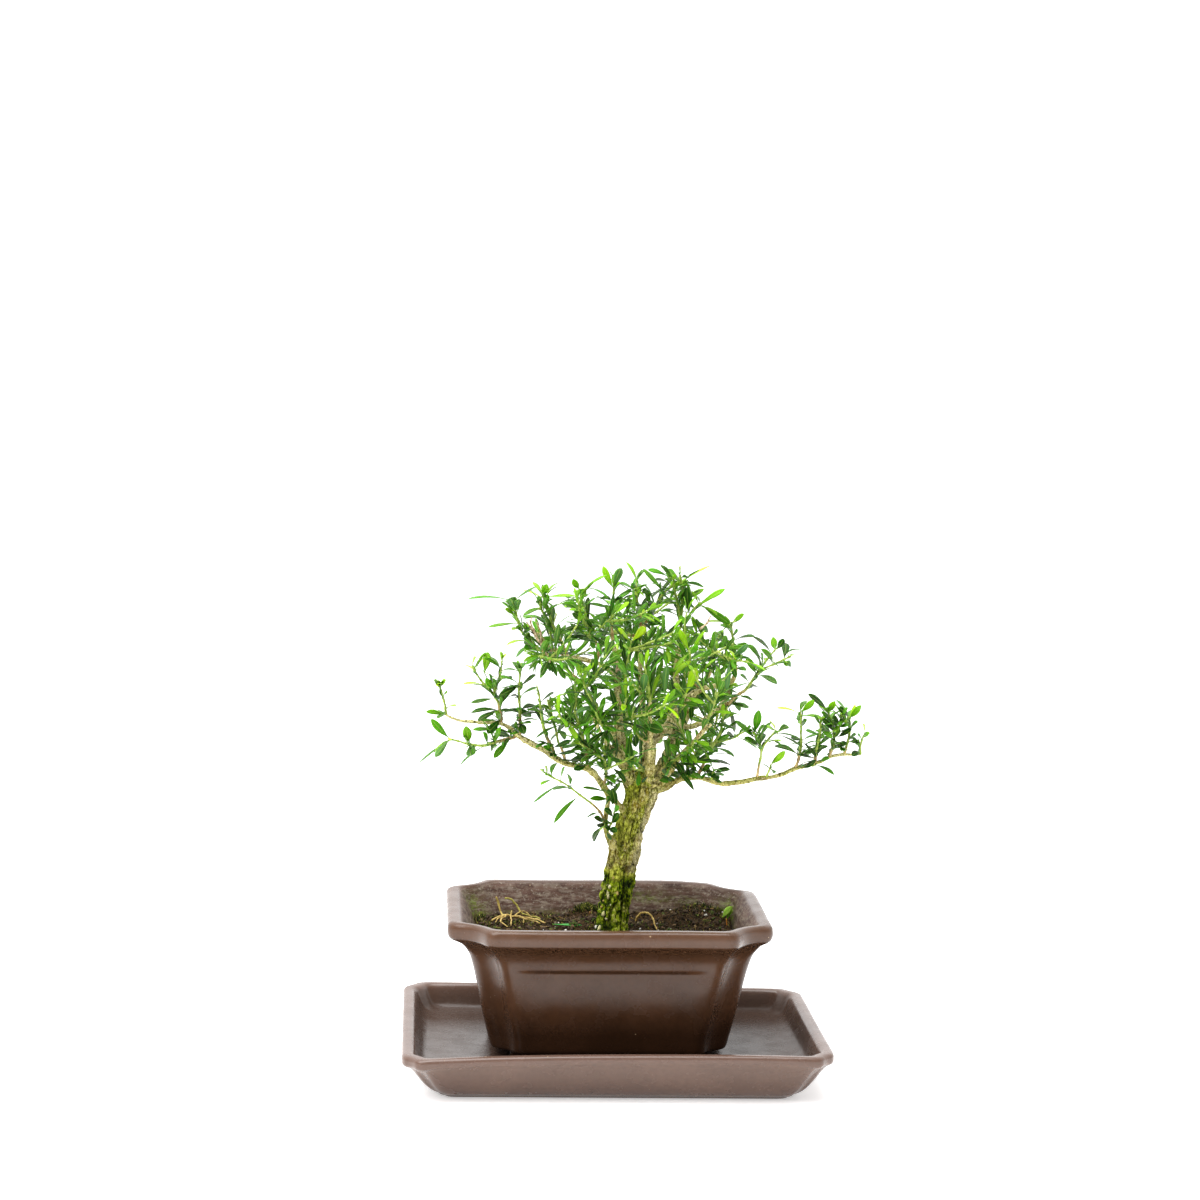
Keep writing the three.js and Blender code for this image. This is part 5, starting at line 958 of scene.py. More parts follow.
# little moss tufts and threads on the soil, along the walls and round the stem
moss = Shape(["shade"])
r = np.random.default_rng(31)
beds = [(-66, 40, 5, 9, 150, 1.7), (-60, 20, 6, 12, 50, 1.4), (62, 34, 6, 12, 150, 1.7), (50, 44, 12, 7, 130, 1.4), (-9.5, 51, 6, 5, 420, 1.6),
        (-30, 36, 16, 9, 70, 1.1), (34, 12, 16, 16, 110, 1.0), (10, -14, 10, 6, 80, 1.0), (-44, 26, 12, 14, 90, 1.2), (-2, -5, 10, 9, 330, 1.2)]
for bx_, by_, sx, sy, count, tall in beds:
    for _ in range(count):
        x, y = bx_ + r.normal() * sx * 0.6, by_ + r.normal() * sy * 0.6
        if not in_pot(x, y, 0.4) or math.hypot(x - BX, y - BY) < 7.2:
            continue
        z = float(soil_height(np.array([x]), np.array([y]))[0]) + 0.1
        a, lean, ln = r.uniform(0, 6.283), r.uniform(0.1, 0.9), tall * r.uniform(0.5, 1.4)
        tip = np.array([x + math.cos(a) * lean * ln, y + math.sin(a) * lean * ln, z + ln])
        if not in_pot(tip[0], tip[1], 0.3):
            continue
        p = np.array([[x, y, z], [(x + tip[0]) / 2, (y + tip[1]) / 2, z + ln * 0.62], tip])
        v, f, _, _ = sweep(p, np.array([0.17, 0.2, 0.06]) * r.uniform(0.7, 1.3), 4)
        c = [(0.03, 0.045, 0.008), (0.06, 0.09, 0.012), (0.2, 0.22, 0.03), (0.42, 0.38, 0.10)][min(3, int(r.random() ** 1.3 * 4))]
        moss.add(v, f, 0, shade=np.array(c) * r.uniform(0.7, 1.3))
moss.piece("soil_moss", [mat_moss], "soil")


# ------------------------------------------------------------ stem and limbs
LIMBS = {
    "stem": [[-1.04, -5, 67.8, 7.98], [-0.47, -5, 75.67, 7.55], [1.04, -4.5, 86.38, 7.45], [2.54, -4, 97.58, 7.44], [4.04, -4, 106.91, 7.54], [6.27, -4, 116.23, 7.53], [9, -4, 124.57, 7.72], [11.28, -4, 131.43, 8.01], [12.61, -4, 137.3, 8.49], [13, -4, 141.69, 7.23]],
    "L1": [[7.17, -5, 139.84, 3.85], [5.5, -6, 147.77, 3.13], [2.76, -8, 157.77, 2.55], [0.63, -9, 165.16, 2.4], [-0.12, -10, 175.46, 2.11], [-0.33, -10, 186.08, 1.91], [-0.99, -9, 198, 1.72], [-3.07, -8, 208.94, 1.1]],
    "L2": [[14.21, -1, 139.76, 4.83], [14.2, 1, 146.77, 3.87], [15.23, 4, 153.17, 3.39], [17.75, 7, 158.62, 3.15], [21.7, 9, 162.78, 2.91], [26.09, 10, 165.63, 2.58], [28.53, 12, 172.74, 2.24], [28.9, 13, 181.44, 1.95], [29.59, 13, 194.19, 1.56], [30.1, 11, 208.13, 1.16]],
    "L3": [[20.12, -6, 141.12, 4.82], [22.85, -6, 148.94, 3.85], [25.55, -6, 157.73, 3.37], [27.79, -6, 165.53, 2.98], [29.05, -6, 174.28, 2.31], [32.58, -8, 181.39, 1.73], [39.04, -10, 186.57, 1.44], [45.73, -10, 188.59, 1.25], [51.51, -9, 191.92, 0.96]],
    "L4": [[28.67, -6, 169.42, 2.16], [35.22, -3, 167.86, 1.74], [41.23, 0, 170.18, 1.59], [46.27, 3, 173.23, 1.5], [50.82, 6, 177.27, 1.45], [53.82, 8, 181.44, 1.46], [55.74, 9, 186.71, 1.41], [58.02, 9, 193.1, 1.12]],
    "R": [[15.41, -5, 138.47, 4.34], [22.09, -6, 139.44, 3.37], [27.28, -7, 141.36, 2.21], [31.59, -7, 143.11, 1.73], [37.86, -7, 143.67, 1.49], [42.62, -8, 143.15, 1.49], [46.42, -9, 141.89, 1.49], [51.27, -9, 140.97, 1.44], [57.06, -9, 141.52, 1.4], [62.35, -9, 142.55, 1.35], [67.64, -9, 143.59, 1.44], [72.1, -8, 143.72, 1.3], [77.02, -7, 144.59, 1.25], [81.93, -6, 146.44, 1.25], [86.36, -5, 148.28, 1.3], [91.3, -4, 149.4, 1.16], [96.12, -4, 150.92, 1.16], [99.49, -4, 152.18, 1.01], [102.84, -4, 153.93, 1.01], [108.16, -4, 154.96, 0.92], [113.02, -4, 155.02, 0.82], [118.12, -4, 155.32, 0.68]],
    "Ls": [[3.45, -6, 106.29, 3.38], [-2.21, -10, 112.33, 2.4], [-5.1, -12, 118.5, 2.06], [-5.24, -12, 125.79, 2.02], [-4.18, -12, 133.09, 2.11], [-5.24, -12, 137.93, 1.92], [-8.21, -12, 142.26, 1.73], [-11.16, -12, 145.86, 1.63], [-14.08, -12, 148.01, 1.58], [-18.9, -12, 149.17, 1.58], [-24.67, -12, 150.31, 1.58], [-29.99, -12, 153.15, 1.53], [-34.8, -11, 155.85, 1.48], [-39.6, -10, 158.79, 1.44], [-45.38, -9, 161.96, 1.44], [-49.23, -8, 164.67, 1.34], [-52.6, -7, 167.14, 1.2], [-55.98, -7, 168.89, 1.05], [-61.23, -6, 169.07, 0.96], [-66.96, -5, 168.62, 0.96], [-72.71, -4, 169.23, 0.86], [-78, -4, 170.43, 0.77], [-82.34, -4, 172.41, 0.67]],
    "B1": [[8.87, -1, 140.19, 3.38], [4.68, 13, 150.2, 2.43], [-2.18, 25, 161.65, 1.76], [-9.36, 33, 173.32, 1.28], [-15.3, 37, 184.64, 0.99]],
    "B2": [[19.32, 3, 140.64, 3.39], [26.42, 17, 152.3, 2.25], [35.41, 29, 165.49, 1.67], [43.21, 37, 177.91, 1.24], [49.11, 40, 191.05, 0.89]],
    "B3": [[14.55, 5, 142.72, 3.39], [15.69, 19, 156.81, 2.15], [14.67, 31, 173.4, 1.57], [13.05, 35, 192.7, 1.13], [12.82, 30, 211.6, 0.78]],
    "F1": [[6.45, -8, 142.26, 2.88], [-0.72, -19, 155.53, 1.72], [-8.11, -28, 165.92, 1.18], [-13.84, -34, 176.73, 0.8]],
    "F2": [[15.03, -9, 143.49, 2.88], [15.85, -20, 159.72, 1.81], [13.43, -30, 173.63, 1.23], [13.27, -36, 183.99, 0.85]],
    "F3": [[22.32, -8, 144.38, 2.89], [30.42, -18, 156.7, 1.53], [36.74, -26, 165.67, 1.05], [42.89, -30, 173.03, 0.76]],
    "L5": [[-0.89, -9, 192.7, 1.92], [-7.64, -8, 197.31, 1.39], [-17.18, -6, 199.83, 1.2], [-26.29, -5, 202.01, 1.1], [-33.52, -4, 206.14, 1.05], [-39.39, -4, 212.81, 0.86]],
    "Lt": [[2.9, -8, 128, 1.9], [-1.6, -9, 134, 1.6], [-5, -9.5, 138, 1.45], [-8.2, -12, 142.3, 1.5]],
}

skel = []


def skeleton(path, rad, kind):
    t, n, b = frames(path)
    s = np.concatenate([[0], np.cumsum(np.linalg.norm(np.diff(path, axis=0), axis=1))])
    skel.append(dict(p=path, r=rad, t=t, n=n, b=b, s=s, kind=kind))


core = Shape()
for number, (name, pts) in enumerate(LIMBS.items()):
    pts = np.array(pts, float)
    if name == "Ls":
        pts[1:6, 3] = (1.8, 1.35, 1.2, 1.25, 1.45)
    if name == "stem":
        low = np.clip((97 - pts[:, 2]) / 29, 0, 1)
        belly = np.exp(-((pts[:, 2] - 107) / 11) ** 2)
        pts[:, 0] += 0.55 * belly - 0.3 * low
        pts[:, 3] += 0.5 * belly
        pts = np.vstack([[[BX - 0.5, BY, 56, 7.6], [BX - 0.4, BY, 61, 8.3], [BX - 0.3, BY, 65, 8.2]], pts])
    else:
        best = (1e9, None)
        for sk in skel:
            d = np.linalg.norm(sk["p"] - pts[0, :3], axis=1)
            i = int(d.argmin())
            if d[i] < best[0]:
                j = max(0, i - 2)
                best = (d[i], np.append(sk["p"][j], min(pts[0, 3], 0.85 * sk["r"][j])))
        if best[0] > 0.4:
            pts = np.vstack([best[1], pts])
    p = spline(pts, 0.9)
    path, rad = p[:, :3].copy(), p[:, 3].copy()
    if name != "stem":
        # gentle wander and swollen joints
        w = np.column_stack([noise(path + 50 * number, 0.16, 3), noise(path + 50 * number, 0.16, 4), noise(path + 50 * number, 0.16, 5)])
        fade = np.minimum(1, np.arange(len(path)) / 8.0)[:, None]
        path += 0.35 * w * fade
        s = np.arange(len(path)) * 0.9
        rad *= 1 + 0.13 * noise(np.column_stack([s, s * 0 + number * 7.7, s * 0]), 0.22, 6)
        knots = (np.sin(s * 0.62 + number) > 0.93)
        rad[knots] *= 1.14
    skeleton(path, rad, name)
    v, f, _, _ = sweep(path, np.maximum(rad, 0.62), int(max(8, min(26, rad.max() * 5))))
    core.add(v, f)

tmp = bpy.data.meshes.new("core_tmp")
tmp.from_pydata(np.vstack(core.v).tolist(), [], core.f)
tob = bpy.data.objects.new("core_tmp", tmp)
bpy.context.scene.collection.objects.link(tob)
mod = tob.modifiers.new("r", "REMESH")
mod.mode = "VOXEL"
mod.voxel_size = 0.53
dg = bpy.context.evaluated_depsgraph_get()
ev = tob.evaluated_get(dg)
em = ev.to_mesh()
V = np.zeros(len(em.vertices) * 3)
em.vertices.foreach_get("co", V)
V = V.reshape(-1, 3)
q = np.zeros(len(em.loops), np.int32)
em.loops.foreach_get("vertex_index", q)
Q = q.reshape(-1, 4)
ev.to_mesh_clear()
bpy.data.objects.remove(tob)
bpy.data.meshes.remove(tmp)

# relax the voxel steps
edges = np.vstack([Q[:, [0, 1]], Q[:, [1, 2]], Q[:, [2, 3]], Q[:, [3, 0]]])
deg = np.bincount(edges.ravel(), minlength=len(V)).astype(float)


def relax(V, rounds, w):
    for _ in range(rounds):
        acc = np.zeros_like(V)
        for c in range(3):
            acc[:, c] = np.bincount(edges[:, 0], V[edges[:, 1], c], len(V)) + np.bincount(edges[:, 1], V[edges[:, 0], c], len(V))
        V = V + w * (acc / deg[:, None] - V)
    return V


V = relax(V, 3, 0.6)


def vertex_normals(V, Q):
    n = np.cross(V[Q[:, 2]] - V[Q[:, 0]], V[Q[:, 3]] - V[Q[:, 1]])
    out = np.zeros_like(V)
    for k in range(Q.shape[1]):
        for c in range(3):
            out[:, c] += np.bincount(Q[:, k], n[:, c], len(V))
    return out / (np.linalg.norm(out, axis=1)[:, None] + 1e-12)


N = vertex_normals(V, Q)
SP = np.vstack([s["p"] for s in skel])
SR = np.concatenate([s["r"] for s in skel])
ST = np.vstack([s["t"] for s in skel])
SN = np.vstack([s["n"] for s in skel])
SB = np.vstack([s["b"] for s in skel])
SS = np.concatenate([s["s"] for s in skel])
SK = np.concatenate([np.full(len(s["p"]), k) for k, s in enumerate(skel)])
near = np.zeros(len(V), np.int64)
for a in range(0, len(V), 3000):
    d = np.linalg.norm(V[a:a + 3000, None] - SP[None], axis=2) / np.maximum(SR[None], 0.8)
    near[a:a + 3000] = d.argmin(1)
D = V - SP[near]
along = SS[near] + (D * ST[near]).sum(1)
cx_, cy_ = (D * SN[near]).sum(1), (D * SB[near]).sum(1)
theta = np.arctan2(cy_, cx_)
R = SR[near]
K = SK[near]
theta = theta + 0.010 * along
U = np.column_stack([np.cos(theta) * R, np.sin(theta) * R, along]) + K[:, None] * 37.0
stem = (K == 0).astype(float)
thick = np.clip((R - 0.8) / 4.0, 0.0, 1.0)
flute = noise(U, (0.21, 0.21, 0.014), 11) + 0.55 * noise(U, (0.42, 0.42, 0.03), 12)
scale = fbm(U, (0.9, 0.9, 0.30), 2, 19)
crack = smooth(0.20, 0.0, np.abs(noise(U, (0.50, 0.50, 0.055), 13)))
crack2 = smooth(0.22, 0.0, np.abs(noise(U, (0.95, 0.95, 0.14), 14)))
c1, c2, own = cells(U, (0.42, 0.42, 0.15), 15)
seam = smooth(0.16, 0.0, c2 - c1)
fine = fbm(U, (1.5, 1.5, 0.7), 2, 16)
amp = thick
h = amp * (0.9 * flute - 1.0 * crack - 0.7 * crack2 - 0.5 * seam + 0.6 * (own - 0.5) + 0.7 * scale) + (0.12 + 0.3 * amp) * fine
h += (1 - amp) * R * (0.22 * noise(U, (0.7, 0.7, 0.16), 17) + 0.13 * noise(U, (1.6, 1.6, 0.5), 18))
zz = V[:, 2]
mossy = stem * smooth(101, 88, zz + 5 * noise(V, 0.16, 21))
patch = stem * (0.26 + 0.26 * smooth(108, 120, zz)) * (0.7 + 1.1 * fbm(V, 0.16, 3, 22)) * smooth(0.95, 0.1, N[:, 0])
moss = np.clip(mossy * 0.95 + patch + 0.3 * (1 - stem) * smooth(0.1, 0.7, N[:, 2]) * smooth(0.0, 0.6, noise(V, 0.2, 23)), 0, 1)
tuft = np.maximum(0, fbm(V, 0.85, 2, 24)) * 0.9 + 0.25 * noise(V, 1.6, 25)
h = h + (mossy * 1.05 + 0.5 * np.clip(patch, 0, 1)) * tuft
V = V + N * h[:, None]
V = relax(V, 1, 0.25)
# groove marks cracks and flutes; the bark material paints them near black, partly as painted shade.
groove = np.clip(crack * 0.95 * amp + 0.6 * crack2 * amp + 0.6 * seam * amp + 0.35 * smooth(0.1, -0.7, flute) * amp
                 + (1 - amp) * 0.5 * smooth(0.1, -0.6, noise(U, (0.7, 0.7, 0.16), 17)), 0, 1)
# pale: painted highlight on the stem's right-facing side above about 95 mm and on the limbs' upper faces above 150 mm;
# the limbs are also a little paler all over.
pale = np.clip(stem * smooth(92, 104, zz) * smooth(0.25, 0.75, N[:, 0]) + (1 - stem) * (0.45 + 0.3 * N[:, 2]) * smooth(150, 156, zz + 0 * zz)
               + (1 - stem) * 0.3, 0, 1)
dark_arm = (K == list(LIMBS).index("R")) * smooth(26, 10, along)
pale *= 1 - 0.9 * dark_arm
groove = np.clip(groove + 0.35 * dark_arm, 0, 1)
trunk = Shape(["groove", "plate", "moss", "pale"])
trunk.add(V, [list(map(int, q)) for q in Q], 0, groove=groove, plate=own, moss=moss, pale=pale)
trunk.piece("trunk_bark", [mat_bark], "bark", ["trunk"])

# chips of pale lichen and bark on the mossy foot
chips = Shape(["shade"])
r = np.random.default_rng(4)
TR = [s for s in skel if s["kind"] == "stem"][0]
vk = np.where((K == 0) & (V[:, 2] > 68) & (V[:, 2] < 135))[0]
NV = vertex_normals(V, Q)
CHIPS = [[-5.7, -11.5, 77.5, 2.1, 0.95], [-3, -11.5, 91.1, 1.6, 0.95], [-5.3, -11.5, 87.4, 1.2, 0.9], [-3.2, -11.5, 85.5, 1.8, 0.85], [1.6, -11.5, 87.4, 1.5, 0.9], [-7.4, -11.5, 70.8, 1.8, 1], [-6.5, -11.5, 79.9, 1, 0.9], [-1.7, -11.5, 81.9, 0.9, 0.9], [-4, -11.5, 74.5, 1, 0.8], [-8.2, -11.5, 84.3, 0.9, 0.9], [-1.5, -11.5, 95.1, 1, 0.8]]
places = [(np.array(c[:3]), c[3], c[4]) for c in CHIPS]
for _ in range(110):
    i = vk[r.integers(len(vk))]
    if V[i, 2] > 98 and r.random() < 0.75:
        continue
    places.append((V[i], r.uniform(0.2, 0.55), r.uniform(0.5, 0.95)))
for at, size, shade in places:
    i = vk[np.linalg.norm(V[vk] - at, axis=1).argmin()]
    n_, p_ = NV[i], V[i]
    up = np.array([0.18, 0, 1.0])
    up -= n_ * (up @ n_)
    up /= np.linalg.norm(up)
    sd = np.cross(up, n_)
    k = 9
    a = np.arange(k) * 2 * math.pi / k
    rr = size * 0.8 * (1 + 0.4 * r.uniform(-1, 1, k))
    ring = p_ + n_ * 0.1 + (np.cos(a) * rr * 0.5)[:, None] * sd + (np.sin(a) * rr)[:, None] * up
    top_ = p_ + n_ * (0.3 + 0.06 * size) + ((ring - p_) - ((ring - p_) @ n_)[:, None] * n_) * 0.8
    v = np.vstack([ring - n_ * 0.7, top_])
    f = [list(range(k))[::-1], list(range(k, 2 * k))] + [[j, (j + 1) % k, k + (j + 1) % k, k + j] for j in range(k)]
    col = np.array([1.0, 0.98, 0.82]) * shade if r.random() < 0.8 else np.array([0.95, 0.72, 0.42]) * shade
    chips.add(v, f, 0, shade=col)
chips.piece("bark_chips", [mat_flake], "bark")


# ---------------------------------------------------------------- foliage
LEAF_T = np.array([0, 0.06, 0.15, 0.29, 0.45, 0.62, 0.78, 0.9, 0.98])
LEAF_W = np.array([0.10, 0.13, 0.29, 0.62, 0.89, 0.99, 0.84, 0.49, 0.15])
LEAF_O = np.array([0.10, 0.12, 0.24, 0.52, 0.79, 0.97, 0.97, 0.72, 0.34])
LEAF_X = np.array([-1, -0.5, 0, 0.5, 1.0])
# Leaf tones: y young yellow-green, b big bright yellow-green, g green, d dark blue-green, u grey-green, partly leaf
# undersides and partly a painted blue-grey sheen, p pale yellow-green, painted light on leaves washed out by strong
# light.
TONES = {"y": (104, 150, 14), "b": (146, 188, 18), "g": (58, 112, 8), "d": (22, 60, 10), "u": (64, 98, 62), "p": (150, 176, 60)}


def leaf(shape, base, tip, normal, width, camber, colour, r, obovate=None):
    d = tip - base
    L = np.linalg.norm(d)
    d = d / L
    n = normal - (normal @ d) * d
    n /= np.linalg.norm(n)
    s = np.cross(d, n)
    twist = math.radians(r.uniform(-9, 9))
    fold = r.uniform(0.10, 0.30)
    sway = r.uniform(-0.03, 0.03) * L
    q = LEAF_T
    mid = base + np.outer(q, d) * L - np.outer(camber * L * 4 * (q - 0.5) ** 2 - camber * L, n) + np.outer(sway * np.sin(q * math.pi), s)
    ca, sa = np.cos(twist * (q - 0.3)), np.sin(twist * (q - 0.3))
    sv = s[None] * ca[:, None] + n[None] * sa[:, None]
    nv = n[None] * ca[:, None] - s[None] * sa[:, None]
    o = r.uniform(0.3, 1.0) if obovate is None else obovate
    half = 0.5 * width * ((1 - o) * LEAF_W + o * LEAF_O)
    k = len(q)
    X = LEAF_X[None] * half[:, None]
    lift = fold * np.abs(LEAF_X)[None] * half[:, None] - 0.07 * half[:, None] * (np.abs(LEAF_X) == 1)
    lift = lift + 0.03 * half[:, None] * np.sin(q * 23 + twist * 50)[:, None] * (np.abs(LEAF_X)[None] == 1)
    thick = np.array([0, 0.09, 0.05, 0.09, 0])
    top = mid[:, None] + X[..., None] * sv[:, None] + (lift + thick)[..., None] * nv[:, None]
    under_t = np.array([0.10, 0.20, 0.10])
    bot = mid[:, None] + X[:, 1:4, None] * sv[:, None] + (lift[:, 1:4] - under_t)[..., None] * nv[:, None]
    tipv = base + d * L + s * 0 - n * 0.0
    v = np.vstack([top.reshape(-1, 3), bot.reshape(-1, 3), tipv])
    T0, B0, E = 0, 5 * k, 8 * k

    def t_(i, j):
        return T0 + i * 5 + j

    def b_(i, j):
        return t_(i, j) if j in (0, 4) else B0 + i * 3 + j - 1
    if not hasattr(leaf, "faces"):
        up, dn = [], []
        for i in range(k - 1):
            for j in range(4):
                up.append([t_(i, j), t_(i, j + 1), t_(i + 1, j + 1), t_(i + 1, j)])
                dn.append([b_(i, j), b_(i + 1, j), b_(i + 1, j + 1), b_(i, j + 1)])
        for j in range(4):
            up.append([t_(k - 1, j), t_(k - 1, j + 1), E])
            dn.append([b_(k - 1, j + 1), b_(k - 1, j), E])
        dn.append([t_(0, 4), t_(0, 3), t_(0, 2), t_(0, 1), t_(0, 0), b_(0, 1), b_(0, 2), b_(0, 3)])
        leaf.faces = up, dn
    up, dn = leaf.faces
    across = np.concatenate([np.tile(LEAF_X, k), np.tile(LEAF_X[1:4], k), [0]])
    alongs = np.concatenate([np.repeat(q, 5), np.repeat(q, 3), [1]])
    grad = 0.86 + 0.24 * alongs
    tone = np.asarray(colour)[None] * grad[:, None]
    tone = tone * np.where(alongs < 0.14, 1.25, 1.0)[:, None]
    la = np.column_stack([across, alongs, np.zeros(len(v))])
    shape.add(v, up, 0, la=la, tone=tone, age=0.0)
    shape.f.extend([[i + shape.n - len(v) for i in f] for f in dn])
    shape.m.extend([1] * len(dn))


def tint(kind, r):
    c = np.array(srgb(*TONES[kind]))
    k = r.uniform(0.79, 1.28) + 0.5 * r.random() ** 3
    warm = r.uniform(-0.14, 0.16)
    return c * k * np.array([1 + warm, 1.0, 1 - warm])


def bud(shape, at, d, size, r):
    t_ = np.array([[0, 0.35], [0.3, 0.9], [0.62, 0.8], [0.88, 0.4]])
    path = at + np.outer(t_[:, 0], d) * size * 2.6
    v, f, _, _ = sweep(path, t_[:, 1] * size, 6)
    shape.add(v, f, 3, la=np.zeros(3), tone=np.zeros(3), age=0.0)


def nearest_limb(p):
    d = np.linalg.norm(SP - p, axis=1) - SR
    i = int(d.argmin())
    return d[i], SP[i]


